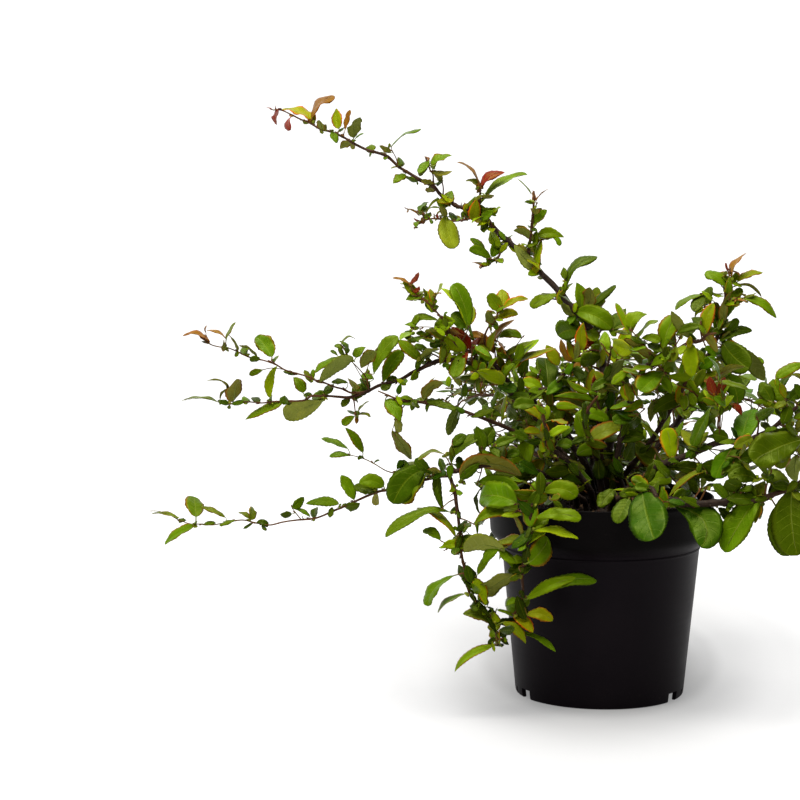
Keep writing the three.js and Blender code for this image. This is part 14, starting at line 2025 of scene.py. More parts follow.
(54,82,208,58.6,79.8,210.7,69.6,74.3,219.5,82.5,67.9,225.1,12,-0.49,0.22,0.85,"y"),
(59.7,89.4,214.1,59,95.5,213.4,57.6,108,212.9,55.4,120,207.9,10.9,0.17,0.11,0.98,"l"),
(65.4,96.7,218.2,65.5,96.9,222.5,66.2,98.4,231,63.3,95.6,239.7,8.5,0.66,0.75,-0.04,"m"),
(70.8,103.6,221.5,74.8,103.5,221,89.8,103.8,220.9,103.9,105.6,212.8,13,0.12,-0.17,0.98,"h"),
(76.7,111.3,225.1,75.6,115.5,228.4,71.1,128.4,236.7,65,144.4,238.6,12.5,0.23,-0.42,0.88,"m"),
(84,120.6,229.6,86.2,120.4,232.5,91.2,120.3,241.7,100.1,119.4,247.7,10,-0.78,0.17,0.6,"d"),
(90.5,127.5,231.5,92.5,130.2,226.8,97.3,136.9,217.4,100.3,140,205,9.8,0.37,0.73,0.58,"d"),
(97.9,137.2,233.9,97.2,138.7,236.9,95.5,143,248.8,91.7,150.8,258.5,9.7,0.46,-0.75,0.47,"b"),
(104.7,145.9,235.1,109.1,145.5,236.3,124.2,144.3,240.1,141.3,144.9,234.2,15,-0.21,-0.18,0.96,"m"),
(112,154.1,235.1,110.3,158.6,234.3,106,169.9,232.2,102.7,179.6,222,11.7,-0.11,0.21,0.97,"d"),
(119.8,163.9,234.1,122,166.5,238.2,128.8,172.2,249.5,137.5,183.6,255.9,13.8,-0.26,-0.74,0.63,"d"),
(127.5,174.5,232.1,130.9,175.2,229.3,138.9,175.9,222.2,144.9,176.8,212.9,8.7,0.69,-0.06,0.72,"d"),
(134.4,184.1,230.4,134.1,189.2,232.1,132.5,203.1,238.8,129.5,220.8,234.9,14.4,0.12,-0.33,0.93,"h"),
(140.3,192.1,226.7,144,193.1,228.7,152.9,194,233.2,162.9,194.8,234.7,8.2,-0.35,0.01,0.93,"h"),
(145.5,199.1,223.5,143.8,201,221,139.4,206,211.8,138.5,207.6,199.4,8.8,-0.6,0.59,0.54,"o"),
(53.2,70.2,205.2,53.5,72.7,209,54.5,78.8,221,56.6,89.1,230.3,11.8,-0.23,-0.82,0.52,"o"),
(60.2,68.6,210.4,61.2,64.3,212.4,62.8,57.2,217.1,64.7,48.2,217.7,6.6,-0.05,0.42,0.91,"d"),
(67.6,66.7,214.3,69.2,68.3,214,77.7,76.2,214,85.5,84,208.2,11.1,0.11,0.02,0.99,"h"),
(67.2,108.6,226.4,69.2,109.7,229.5,73.4,112.3,237.9,80.6,116.6,244,9.5,-0.71,-0.41,0.57,"m"),
(64.8,114.2,231,63,116.4,229.4,58.2,122.4,225.9,54.6,127.3,219.7,8,-0.39,0.35,0.86,"d"),
(62,120.3,235,60.9,120.1,237.8,56.8,119.1,251.5,43.3,120.2,261.6,11.4,0.91,-0.21,0.35,"d"),
(100,131.2,238.6,100,129.4,240.5,99.4,121.4,251.7,98.3,105.2,254.9,12.3,0.04,0.72,0.69,"o"),
(106.6,131.7,245.1,110.4,133.3,244.7,118.4,136.8,245.4,126.3,139.6,240.9,7.7,0.02,0.15,0.99,"o"),
(112.2,132,250.1,111.8,133,254,111.2,134.1,265.7,108.6,141.7,275.6,9.2,0.29,-0.93,0.25,"m"),
(119.7,132.5,255.8,120.8,130.3,256.1,127.1,118.3,259.1,134.4,106.2,256.1,11.7,-0.17,0.02,0.99,"m"),
(113,166.4,238.1,109.9,166.6,240.9,104.1,166.7,246.6,94.7,166.9,248.3,6.8,0.66,0,0.75,"o"),
(110.3,175.4,241.2,112.4,177.1,243.4,116.6,180.5,249.3,122.6,185.2,252.5,7.5,-0.52,-0.38,0.77,"d"),
(108,182.6,242.8,106.1,183.7,241.2,97.2,188.8,235,92.8,192.5,222.4,10.9,-0.57,0.17,0.8,"d"),
(105.3,191.1,244.3,104.1,192.7,247.9,102,196.2,258.6,92.5,203.7,265,10.5,0.79,-0.42,0.45,"m"),
(143.6,183.7,231.6,144.1,180.9,232.9,146.6,169.1,240.1,149.6,154,239.5,10.9,-0.06,0.39,0.92,"o"),
(152.7,182.1,233.2,155.1,184.2,232,165.8,193.2,228.5,172.5,201.2,215.3,14.3,0.38,0.09,0.92,"h"),
(160.8,181,233.2,162.3,180.7,237,165.9,179.1,249.1,175,180,259.2,12.2,-0.88,-0.37,0.31,"d"),
(168.5,179.9,233.2,169.2,177.6,231.8,171.4,170.9,228.1,173.3,166.5,220.5,7.5,0.05,-0.51,0.86,"d"),
(61.4,119.6,234.2,59.6,121.5,232.7,51.4,129.4,228.7,45,135.9,220.6,12.9,-0.41,0.25,0.88,"h"),
(61.6,119.5,234.1,59.6,117.5,237.1,55.8,114.3,243.2,51.6,109.4,247.9,7.5,0.46,0.55,0.7,"h"),
(167.5,184.4,232.9,168.9,185.1,232.1,174.9,188.2,229.2,180.5,190.3,224.9,7.9,0.28,0.46,0.84,"o"),
(167.3,183.9,232.9,169.7,186.4,233.8,174.7,192.2,236.9,180.9,197.7,237.2,7.6,-0.12,-0.23,0.96,"l"),
(97.1,131,243.2,98.6,132.2,245.9,102,134.1,252.4,105.3,138.3,257.8,7.3,-0.56,-0.57,0.6,"m"),
(97.2,131,243,95.6,131.1,243.1,90.9,131.4,243.7,86.2,132.1,243.2,5.5,0.02,-0.25,0.97,"d"),
(97.3,131,242.4,96.9,133.4,245.1,97,136.8,250.8,95.5,142.4,254.4,6.8,0.15,-0.72,0.67,"m"),
(90,130.5,232.3,89.1,130.8,233.1,82.9,133.5,239.2,74.5,135,243,7.6,0.61,0.51,0.6,"m"),
(67.3,65.6,211.7,69.5,65.6,211.1,77.2,65.3,210.8,83.9,66.2,207.1,6.2,0.18,-0.72,0.67,"n"),
(67.1,65.7,211.7,68.7,63.8,212.4,72.2,59.4,214.4,75.9,54.8,215.1,6.5,0.17,0.44,0.88,"u"),
(66.9,65.9,211.7,67,65.7,210.3,69.1,64.8,200.6,68.3,63.6,190.6,8.6,0.73,-0.67,0.16,"d"),
(62.6,95.9,232.9,61.8,94.6,233.7,56.7,83.6,239,49.3,72.9,241.9,14.3,0.05,0.36,0.93,"p"),
(62.7,95.7,231.4,60.6,96.8,234,56.6,98.9,239.2,52.1,101.4,243.9,6.6,0.59,-0.44,0.68,"g"),
(62.8,95.6,230.4,63.2,94.6,232.5,64.2,92.3,239.2,65.8,88.4,244.9,7.7,0.08,0.9,0.42,"h"),
(76.7,113.7,242.2,76.8,115.2,243.8,76.3,118.8,247.8,77.1,123.4,250.6,6.3,-0.33,-0.6,0.73,"g"),
(76.7,113.7,241.8,74.8,112.7,244.6,70.4,109.3,252.1,64.3,107.3,259,9.8,0.76,0.23,0.6,"h"),
(76.9,113.4,238.7,79.2,116.4,240.8,83,121.5,244.8,86.7,127.3,247.8,8.2,-0.02,-0.53,0.85,"h"),
(108.9,178.3,235.6,109.5,179.7,235.2,110.8,185.8,232.8,114,190.7,229.1,6.3,-0.59,0.53,0.6,"o"),
(109,177.6,235.8,108.2,178.2,234.9,104.2,179.4,231,101.5,180.6,226.1,5.2,-0.5,0.63,0.6,"m"),
(104.7,191.9,246.8,104.8,195.6,249.1,105.8,202,253.6,105,209.3,256.7,7.8,0.19,-0.52,0.83,"l"),
(104.7,191.9,246.7,103.5,191.3,247.1,96.7,187.7,250.8,88.8,184.1,250.6,9.1,0.16,0.21,0.96,"m"),
(104.7,191.9,246.6,107.7,191.7,248.4,116,191.3,253.8,125,190.9,257.8,11.6,-0.51,-0.13,0.85,"d"),
(104.7,191.9,246.5,102.7,197.6,248.1,100.1,203.9,250.8,96,209,252.9,6,0.34,-0.19,0.92,"o"),
(104.8,191.8,246.3,107.2,193.1,247.1,110.3,195.2,248.7,113,198.1,248.7,4.9,0.06,-0.34,0.94,"h"),
(101.1,148.9,240.4,99.9,151.1,239.3,93.9,160.8,235.7,89.8,170,228.7,12.3,-0.56,0.11,0.82,"p"),
(101.6,148.2,239.5,98.7,149.1,239.3,92.4,151.1,239.9,86.2,153,238.4,5.6,-0.03,0.12,0.99,"m"),
(103.5,135.3,237.6,105.5,135,236.6,116.4,132.8,231.9,126.5,131.8,225.3,13.4,0.39,-0.27,0.88,"m"),
(103.2,135.4,237.3,105.1,137,240.2,110.4,139.7,248,114.7,145.5,254.8,8.3,0.43,-0.88,0.21,"h"),
(102.8,135.4,237.1,103.7,133.1,237.6,106.9,126.5,239.6,108.9,119.2,240.1,6.8,0.27,0.29,0.92,"m"),
(117.8,164.1,233.5,114.9,165,230.4,104.4,169.5,222.3,96.2,171,211,13.6,-0.3,0.79,0.53,"m"),
(117.8,164,233.5,117.8,166.4,234,116.4,174.2,235.4,117.5,182,236.6,6.9,-0.64,-0.14,0.76,"p"),
(118,163.7,233.7,119.7,166.7,232.9,122.6,175.2,231.3,128.5,181.7,228.5,7.8,-0.69,0.54,0.48,"p"),
(155.8,184.2,232.6,158.8,183.3,230.1,168.7,181.4,224.2,175.7,178.3,215.2,10.6,0.63,0.01,0.78,"o"),
(137.1,191.1,222.1,138.9,190.1,220.4,145.5,186.1,216.3,150.2,182.6,209.8,9.8,0.55,-0.23,0.8,"m"),
(137.1,191,222.5,135,192.2,219.8,131.2,195.2,215.3,127.2,196,209.9,6.7,0.24,0.94,0.24,"h"),
(137.1,190.5,223.4,136.7,187.8,221.3,136.9,182.9,217.5,135.5,178.1,214,6.3,0.39,0.54,-0.75,"p"),
(111.1,128,256.4,109.8,127.3,259.4,106.3,126.3,268.7,100.7,123.6,276.7,9.7,0.91,-0.06,0.41,"o"),
(110.7,128.5,255.2,112.9,125.5,254.8,116.6,120.4,254.8,120.2,115.5,252.8,5.5,0.07,-0.11,0.99,"o"),
(60.5,83.6,209.1,61.4,83.1,208.3,73.5,77.2,202.4,81.9,72.5,191.2,16.4,0.61,-0.05,0.79,"h"),
(79.4,108.3,228.7,82.5,106.2,228.3,89.3,101.4,228.7,96.3,97.6,226.2,8.8,0.07,-0.08,0.99,"g"),
(89.3,142.6,226.6,90.2,143.4,225.4,96.9,146,217.7,101.7,148.2,208.5,9.1,0.69,0.37,0.62,"d"),
(88.9,140.7,226.9,90.5,142.7,227.1,97.7,148.6,228.1,101.7,157.2,228.5,7.8,0.57,-0.54,0.62,"d"),
(88.4,138.3,227.4,87.9,140.7,228.6,85.9,149.1,235,83.6,159.3,237.8,9.1,0.29,-0.41,0.86,"h"),
(78.3,66.9,214.8,81.3,67.4,216.8,88.1,68.5,223.3,96.9,70.2,226.7,11.1,-0.44,-0.44,0.78,"d"),
(77.8,66.8,214.9,79,63.8,211.8,83.4,56.9,205.6,83.4,50.1,197.8,11.2,0.82,-0.22,0.53,"m"),
(78.6,96.1,232.9,80.3,96.1,233.3,89,96.6,235.2,97.9,95.8,233.8,7.2,-0.07,-0.03,1,"d"),
(108.8,183.7,245,108.8,181.2,247.7,110,173.7,258.4,108.2,163.5,266.6,13.5,0.51,0.64,0.58,"m"),
(108.7,183.6,244.7,110.5,184.6,244.3,117.7,189.5,243.5,125.2,192.6,240.1,10.2,0.19,0.11,0.97,"h"),
(126.9,131.2,260.9,125.5,130.4,264.4,122.2,127.5,274.3,116.8,126.4,283.7,11.6,0.88,-0.39,0.28,"y"),
(126.5,131.4,260.7,129,132.1,262.4,135.9,133.6,268.2,143.7,136.7,271.9,10.4,-0.2,-0.77,0.61,"m"),
(148.5,203,220.2,150.9,204,219.7,161.1,207.9,218.4,170.5,212.9,215.4,9.9,0.43,-0.8,0.42,"l"),
(148.4,203,220.4,148.7,205.6,217.4,149.9,209.5,212.5,149.7,213.9,207.8,5.9,0.79,-0.5,-0.34,"m"),
(152.4,183.6,241.1,155.5,186.6,240.8,163.8,193,241.2,170.1,200.9,237.9,9.6,0.32,-0.18,0.93,"m"),
(152.3,183.6,240.7,150.6,183.8,243.1,146,185.2,254.1,136.5,185.9,261.8,11.7,0.8,-0.21,0.57,"m"),
(151.9,183.4,239.5,151.8,186.4,240,152,196.1,242.9,150.7,206.3,242.2,9.2,0.31,-0.13,0.94,"l"),
(78.6,127,242.5,79.5,127.5,246.2,80.3,129,256.4,84.3,132.7,265.3,12.4,-0.78,-0.55,0.3,"m"),
(68.4,106.3,228.5,69.1,107.7,231.8,69.5,110.3,238.7,72.2,114,244.6,6.8,-0.38,-0.81,0.45,"g"),
(68.3,106.3,227.9,71.1,105.4,231.1,73.1,104.1,234.1,76.2,103.8,236.5,3.6,-0.78,-0.23,0.59,"o"),
(64.5,107.6,235.1,65.2,110.1,238.2,66.4,114,246.1,68.3,121.4,251.1,9.3,-0.11,-0.76,0.64,"m"),
(162.5,178.7,234.9,160.4,176.2,237.9,156.7,171.8,244.3,151.7,166.6,249.1,7.8,0.79,0.06,0.61,"m"),
(162.3,179,234.7,162,175.8,235.4,162.6,162.8,240,159.5,149.3,240.7,12,0.28,0.18,0.94,"m"),
(162.3,179.1,234.6,163.6,178.6,234.7,174.7,173.7,236.5,186.6,170.7,236.7,12.3,-0.27,-0.6,0.75,"g"),
(101.4,135.2,250.6,98.9,139.2,253.7,96,141.4,257.6,92.7,144.4,260.7,4.1,0.64,-0.23,0.73,"h"),
(101.6,134.5,248.7,100.5,133.3,250.7,97.8,131.4,256.3,94.5,127,260.1,6.3,0.29,0.72,0.63,"m"),
(146.7,181.8,233.2,147.3,180.9,232.2,152.2,175,227.3,155,170.3,219.9,8.9,0.23,-0.63,0.74,"u"),
(146.6,181.9,233.1,148,182.1,234.8,153.4,181.3,242.2,158.9,184.2,249.2,8.4,0.07,-1,0.05,"o"),
(149.1,195.5,224,152.8,194.6,224.8,157.2,191.6,227.1,162.3,189,227.2,5.8,-0.22,0.03,0.97,"o"),
(148.6,195.4,224.2,149.7,195.1,220.1,151.9,194.7,214.1,152.8,194,207.9,7.4,0.9,-0.33,0.29,"o"),
(147.8,195.3,224.4,148.9,196,224.5,153.9,198.5,225.6,158.6,201.7,224.8,6.8,0.22,-0.41,0.88,"h"),
(114.8,152.2,235.1,115.9,153.5,233.9,122.1,158.6,228,126,165.7,222.3,10.7,0.84,-0.42,0.35,"h"),
(114.3,152.4,235.1,116.2,150.5,232.2,119.3,146.9,228.6,121.6,145,223.5,6.5,0.54,-0.51,0.67,"d"),
(77.6,96.4,231.7,72.1,96.1,230.8,80.3,93.2,232.4,88.5,92.1,233.8,10.1,-0.26,-0.45,0.85,"m")]),
("cane_back_droop", [(10,52,137,2.97),(10,52,161.4,2.97),(12,59.5,168.1,2.61),(14.1,67,175.2,2.52),(16.3,73.7,181.3,2.44),(18.8,82.7,185.2,2.35),(18.9,89.1,188.9,2.26),(20.3,96.8,188.3,2.17),(21.9,105,187.6,2.09),(23.8,112.5,186.4,2),(25,119.3,182.2,1.91),(26.9,124.7,176.1,1.82),(27.3,132,169.8,1.73),(27.9,135.5,161.6,1.65),(28.1,140.6,154.2,1.56),(30,142.4,144.2,1.47),(29.3,144.4,133,1.38),(29.8,145.5,123.2,1.3),(31,146.3,115.2,1.21),(30.6,146.8,105,1.12),(31.2,148.8,96.1,1.03),(30.5,148.4,87.6,0.94),(29.7,148.3,81.3,0.86),(29.8,148,76.6,0.77),(27.7,147.9,70.3,0.68),(28.3,148.7,66.1,0.59)],
[[(18.8,82.7,185.2,1.17),(30.1,87,195,0.94),(41.4,91.2,202.3,0.52)],
[(21.9,105,187.6,1.04),(10,118.4,196.7,0.83),(-1.9,131.7,202.6,0.46)],
[(26.9,124.7,176.1,0.91),(42.7,129.6,178.1,0.73),(58.5,134.5,177.4,0.4)],
[(28.1,140.6,154.2,0.78),(13.9,149.1,155.8,0.62),(-0.3,157.5,154.7,0.34)],
[(29.8,145.5,123.2,0.65),(44.8,134.3,126.1,0.52),(59.7,123.1,125.9,0.29)],
[(14.7,68.7,176.8,0.87),(16.3,67.9,181,0.75),(18.4,68.1,184.9,0.6)],
[(54.7,126.8,126,0.29),(56.5,127.6,128.1,0.55),(58.1,129.4,129.7,0.44)],
[(17.3,77.3,182.9,0.9),(23.2,78.9,186,0.78),(29.3,79.9,187.9,0.62)],
[(30.1,87,195,0.53),(31.9,86.1,197.4,0.46),(34.4,84.5,199.7,0.37)],
[(13.9,149.1,155.8,0.5),(12,149.2,154.8,0.58),(9.9,149.5,153.9,0.46)],
[(44.7,130.2,178,0.55),(45.1,130.1,179.4,0.48),(45.7,130.2,181.1,0.38)],
[(27.2,130.2,171.4,0.76),(25.9,130.9,170.1,0.66),(24.8,131.6,168.7,0.53)],
[(28.9,141.4,150.2,0.75),(31.1,147.6,151.9,0.65),(33.7,153.4,153.3,0.52)],
[(48.1,131.8,126,0.37),(51.9,134.5,127.3,0.61),(55.5,136,127.7,0.48)],
[(22.8,143.8,154.8,0.53),(18.3,142.2,154.7,0.46),(13.9,140.9,155,0.37)],
[(18.8,87,187.7,0.67),(13.6,90.3,189.4,0.59),(9.6,94.2,192.2,0.47)],
[(30.8,126,176.6,0.6),(34.1,127.6,174,0.52),(36.5,128.9,170.9,0.41)],
[(54.5,133.3,177.6,0.39),(56.1,134.8,176.2,0.57),(58.5,135.9,175.2,0.46)],
[(1.5,156.5,154.8,0.3),(0.4,155.9,155.7,0.52),(-0.6,155.4,156.5,0.41)],
[(-0.6,130.3,202,0.4),(-5.9,129.5,202.9,0.54),(-11,129.4,204.8,0.43)],
[(25,119.3,182.2,0.75),(24.1,118.7,180.5,0.65),(23.3,117.6,178.9,0.52)],
[(8.6,152.2,155.4,0.41),(9.4,157.2,155.9,0.6),(10.9,161.9,158,0.48)],
[(15.8,72.1,179.8,0.86),(17.1,75.5,180,0.75),(18,78.9,179.9,0.6)],
[(27.6,133.8,165.7,0.86),(26.5,138.3,167.9,0.75),(24.3,144.4,169.9,0.6)],
[(29.7,142.1,146.2,0.66),(28,144.9,146.5,0.57),(27,147.8,146.7,0.46)]],
[(13.3,63.2,171.7,9.5,66.6,172.5,-2.3,77.4,175.8,-14.5,90,170,15.8,0.03,-0.2,0.98,"m"),
(16.2,73.1,180.8,17.1,75.2,185.7,18.7,75.3,196.7,22.3,73.4,207.2,10.4,-0.81,0.54,0.24,"l"),
(18.5,81.7,184.8,21.9,84.1,182.8,30.5,90,179.4,35.9,95,169.1,9,0.44,0.12,0.89,"d"),
(19.5,92.1,188.6,15.8,95.8,191.2,7.5,104.1,198,-2.2,114.4,199.9,13.2,0.27,-0.36,0.89,"o"),
(22.1,104.2,187.3,24.5,105.8,189.6,36.1,112,198.5,49.9,121.2,201.9,13,-0.33,-0.45,0.83,"d"),
(24.2,114.8,185,22.8,115.4,181.9,14.4,118.7,168.7,17,117.9,149.6,12.4,-0.83,0.32,0.45,"m"),
(25.5,122,179.5,26.4,127.1,179.8,28.1,139.8,182.6,27.9,153.5,176.2,10.6,0.19,-0.1,0.98,"d"),
(27,129.9,171.8,31,130.9,169.2,43.8,134.5,161.7,52.9,137.7,148.5,14,0.54,0.07,0.84,"m"),
(27.7,136.2,162.3,25.3,136.6,160.1,11.3,143.3,153.2,1,148.5,139.7,13.9,-0.47,0.19,0.86,"m"),
(28.9,141.4,150,32.2,142.8,149,45.7,149.3,146.9,58.5,153.8,139.5,14.8,0.13,0.34,0.93,"m"),
(29.6,143.4,138.3,29,140.7,136.3,26.6,130.8,130.8,25.1,123.3,121.6,10,-0.21,-0.54,0.81,"d"),
(29.6,145.2,125.9,28.8,148.5,124.7,25.8,159.8,121.1,23.6,169.2,111.7,9.6,-0.13,0.31,0.94,"m"),
(30.3,146.7,113.7,34.4,144.7,111.6,48.6,138,105.5,58.3,133.3,90.4,15.3,0.44,-0.2,0.87,"m"),
(30.7,147.8,104.7,26.3,146,102.1,12.6,143.2,96.7,3.7,140.9,82.6,14.8,-0.48,-0.05,0.87,"o"),
(30.9,148.7,92.5,32.2,150.2,90.6,38.3,158.3,83.8,42.7,162.5,72.4,9.3,0.28,0.62,0.73,"m"),
(30.3,148.3,83.4,30.3,146.3,82.2,31.9,134,77.4,33.5,125.1,66.7,12.6,0.01,-0.5,0.87,"m"),
(28.7,148,73.3,24.4,146.9,72.1,14.6,144.4,70.1,5.9,142.1,64.7,9.9,-0.26,-0.05,0.96,"d"),
(25.3,85.2,190.9,25.5,83.5,195.4,25.9,79.9,208.3,27.3,68.6,218.4,11.9,-0.12,0.93,0.35,"d"),
(31.5,87.5,195.9,35.1,87.9,194.5,46.7,89,191.5,56.1,90.6,183.2,10.9,0.38,-0.11,0.92,"b"),
(38.8,90.3,200.7,38.1,92.3,203.5,36.6,96.4,210.4,33.8,104.3,214.1,6.3,0.27,-0.74,0.61,"m"),
(16.6,111.1,191.6,17.9,113.4,192,22.1,121.8,193.9,26.6,130.5,191.9,9.4,-0.08,-0.09,0.99,"o"),
(10.7,117.6,196.2,6,116.8,197.3,-0.7,116.9,199.8,-8.8,117.7,197.2,6,-0.01,-0.05,1,"d"),
(6.1,122.7,198.7,6.3,123.7,201,6.8,126.4,210.5,7.7,131.8,219,9,-0.18,-0.91,0.37,"l"),
(0.6,128.9,201.4,0.2,131.5,198.9,-1.2,139.8,192.7,-1.5,144.2,182.3,9.7,-0.18,0.67,0.71,"d"),
(35.3,127.7,177.3,35.7,130.2,178.4,36.7,141.2,185.5,37.4,154.9,186.6,10.1,0.04,-0.41,0.91,"m"),
(44.9,130.3,178,47,129.2,180,52.9,126.1,186.6,61.8,121.5,189.3,8.8,-0.57,0.29,0.77,"d"),
(52.5,132.7,177.6,53.6,133.5,175.7,60.8,138.3,166.4,60.1,142,152,12.4,0.84,0.12,0.54,"d"),
(20.4,145.2,155,19.1,145.5,159,17.4,146.6,167.6,11.9,145.8,175.1,8.1,0.87,0.42,0.26,"d"),
(12.8,149.7,155.7,12.3,153.7,154.4,10.9,167.4,152.2,9.1,178.4,141.9,12.9,0.05,0.31,0.95,"m"),
(4.8,154.4,155.1,2.9,153.3,155.6,-8.1,147.2,159.6,-20.2,139.8,156.4,10.1,0.15,0.16,0.98,"m"),
(36.9,140.2,124.6,37.4,139.6,126.6,39.8,137.8,138.9,44,129.6,149,11.2,-0.27,0.91,0.31,"o"),
(44.5,134.5,126,44.4,131.3,124.2,43.9,124.1,120.5,43.4,119.1,112.9,6.9,0,-0.5,0.87,"m"),
(51.4,129.3,126,53.6,130.5,127.3,59.8,133.8,131.8,68.5,138.7,130.8,6.8,-0.38,-0.25,0.89,"d"),
(58.3,124.1,125.9,58.4,121.7,127.8,58.5,115.1,134.2,60.1,104.9,135.6,7.1,-0.25,0.58,0.77,"o"),
(17.7,68.2,183.4,21.3,68.2,183.6,28.8,68.5,184.6,36.5,68.3,184.1,6.7,-0.05,-0.34,0.94,"n"),
(58.1,129.3,129.6,61.9,129.1,129.3,80.8,127.8,128.4,99.3,126.7,123.4,16,0.11,0.01,0.99,"g"),
(57.5,128.9,129,58.1,128.4,130.1,61.6,125,138.5,67,121.4,145.8,10.2,-0.25,0.84,0.49,"p"),
(27.6,79.6,187.2,28.9,78.4,186,36.5,72.9,179.8,41.9,65.8,173.1,11.1,0.58,-0.18,0.79,"d"),
(34.3,84.6,199.6,36.3,85,199.7,48.5,87.5,200.3,60.5,91.1,199.3,12.2,0.2,-0.83,0.52,"m"),
(10,149.5,154,6.8,146.8,154.9,-0.4,139.4,158.5,-9,132.6,159.2,10.7,-0.15,0.49,0.86,"d"),
(10.8,149.4,154.4,8.9,148.4,153.5,0.3,144.9,150.2,-8,142.7,145,11.1,-0.42,0.14,0.9,"n"),
(45.7,130.2,181,44.2,133.1,183.6,41.7,137.6,188.1,39.1,142.7,191.9,6.8,0.54,-0.38,0.75,"g"),
(45.6,130.2,180.8,46.1,128.7,182.4,47.7,125.3,188.1,48.9,119.4,191.5,7.5,-0.06,0.72,0.7,"p"),
(45.5,130.2,180.5,48.8,132.5,182.4,55.1,136,186.5,61,141,189.3,6.8,-0.18,-0.47,0.86,"p"),
(24.9,131.5,168.8,25.4,133.4,167.9,26.7,139.7,165.5,29,145.2,162.3,8.2,-0.94,0.31,0.1,"d"),
(25,131.4,169,24.6,130,167.7,22.3,124.2,163.8,21.6,119.4,158.1,8.8,-0.89,-0.11,0.44,"g"),
(25.3,131.3,169.3,23.8,132.5,169.1,16.6,136.8,168.3,10.8,143.1,168.2,7.4,-0.6,-0.76,0.25,"h"),
(33.6,153.2,153.3,33.3,154,154.7,32,159.2,167.6,26.2,165.6,178.6,12.5,0.84,-0.38,0.39,"p"),
(33.3,152.6,153.1,34.5,153.3,152.9,43.4,158.8,152.2,52.2,163.6,149.2,11.3,-0.12,0.47,0.87,"n"),
(33,151.7,152.9,31.9,152.8,152.5,25.1,162,150.9,16.1,167.7,146.4,10.9,0.16,0.51,0.84,"g"),
(32.7,150.9,152.7,33.8,150.4,154.8,38.3,149.2,163,42.7,146.2,170.9,9.1,0.2,0.97,0.11,"d"),
(54.8,135.6,127.6,57.1,137.7,125.8,68,149.6,120,78.5,157.2,108.8,15.1,0.48,0.21,0.85,"u"),
(54.1,135.3,127.4,54.8,136.4,129,58.9,142.6,138.8,61.9,150.5,147.9,10.6,0.64,-0.72,0.27,"d"),
(14.4,141,154.9,14,139.8,150.9,12.9,137.9,144.5,12.7,136.1,137.9,7.9,-0.74,-0.62,0.27,"g"),
(15.9,141.5,154.9,15.7,140.2,154.3,14.7,133.8,153.1,14.4,128.6,149,6.8,-0.63,-0.24,0.74,"g"),
(9.8,94.1,192.1,6.2,94,193.9,-10.7,95.1,204.4,-29.3,91.2,210.8,18.3,0.39,0.37,0.84,"n"),
(10.5,93.5,191.8,9.2,94,191.3,-1.5,98,189.2,-10.8,101.7,183.4,9.3,-0.38,-0.07,0.92,"n"),
(35.5,128.5,171.9,37.5,128.5,170.8,50.1,128.3,167.1,60,128.8,158.3,11.2,0.46,-0.22,0.86,"p"),
(58.4,135.9,175.2,59,137.6,174.7,61.9,148.1,173.2,64.8,157.7,168.3,9.2,0.28,0.19,0.94,"n"),
(58.3,135.8,175.3,59.9,135.6,175.2,65.4,134.6,175.5,71,134.6,174.5,6.6,0.07,0.19,0.98,"d"),
(57.9,135.5,175.5,59.2,138.3,178,62,144.7,185.9,65.7,153.3,190.8,11,0.13,-0.69,0.71,"n"),
(57.7,135.4,175.6,60.2,133.6,173.5,66.6,128.3,169.5,72,124.7,162.9,8,0.49,-0.28,0.82,"p"),
(-0.4,155.5,156.3,-0.4,155.3,158.5,-1.2,153.8,167.2,-0.5,153.7,176,7.7,-0.53,-0.84,-0.1,"d"),
(-0.3,155.5,156.3,-3.8,156.7,155,-16.5,159.7,150.8,-28,165.1,145.6,14.5,-0.42,-0.38,0.82,"d"),
(-0.1,155.6,156.1,-1.6,157.2,158.8,-6.9,161.6,168.8,-11.9,168.9,177.2,11.3,-0.27,-0.89,0.37,"g"),
(-10.8,129.4,204.7,-12.9,127.3,201.5,-18.8,121.3,193.9,-23.1,116.4,184.7,13.2,-0.66,-0.38,0.65,"u"),
(-9.5,129.5,204.4,-10.9,131,203.4,-21.5,141.4,196.8,-30.8,152.8,189.6,13.8,-0.77,-0.4,0.5,"u"),
(23.3,117.7,179,25.8,116,177.5,34.8,107.2,173.3,45.8,104.2,166.2,13.1,-0.48,-0.87,0.15,"n"),
(23.7,118,179.6,23.8,115.9,179.2,22.9,104.8,178.4,26,94.7,174.7,9.4,-0.99,-0.1,0.13,"p"),
(10.9,161.8,158,11.6,163.5,157.5,16.2,174.7,155.9,20.9,184.4,150,13.8,0.23,0.21,0.95,"g"),
(10.8,161.5,157.9,7.5,163.6,160,1.8,168.6,165.6,-6.4,172.5,168.3,10.8,0.48,-0.08,0.87,"g"),
(10.4,160.3,157.3,10.6,161.3,158.8,12.3,173.2,173.7,13,189.1,184.7,19.7,-0.09,-0.71,0.7,"g"),
(17.9,78.7,179.9,19.6,79.3,180.7,27,81.4,186.1,35.9,83.1,188.3,10.4,-0.39,-0.14,0.91,"g"),
(17.6,77.7,179.9,21.5,77.3,178.2,28.3,76.9,176.1,34.1,75.8,171.8,6.7,0.42,0.25,0.87,"d"),
(24.6,143.6,169.6,24.7,144.7,168.8,24.5,154,162.7,26.5,161.5,154.6,9.6,-0.28,0.62,0.73,"p"),
(24.8,142.9,169.3,21.1,144,171.5,12.6,145.8,178.9,2.1,149.6,182.1,11.8,0.5,-0.07,0.86,"d"),
(25,142.2,169,26.7,142.9,169.5,31.5,145.4,171.8,36.9,147.4,172.6,7,-0.41,0.3,0.86,"d"),
(27.2,147.4,146.7,28.2,150,145.8,32.6,162.5,142.4,38,174,137.3,15.5,-0.5,0.44,0.74,"m"),
(27.3,147,146.6,25.3,148.6,146.3,15.9,155.8,146.4,7,162.5,141.6,11.2,-0.17,0.02,0.99,"n")]),
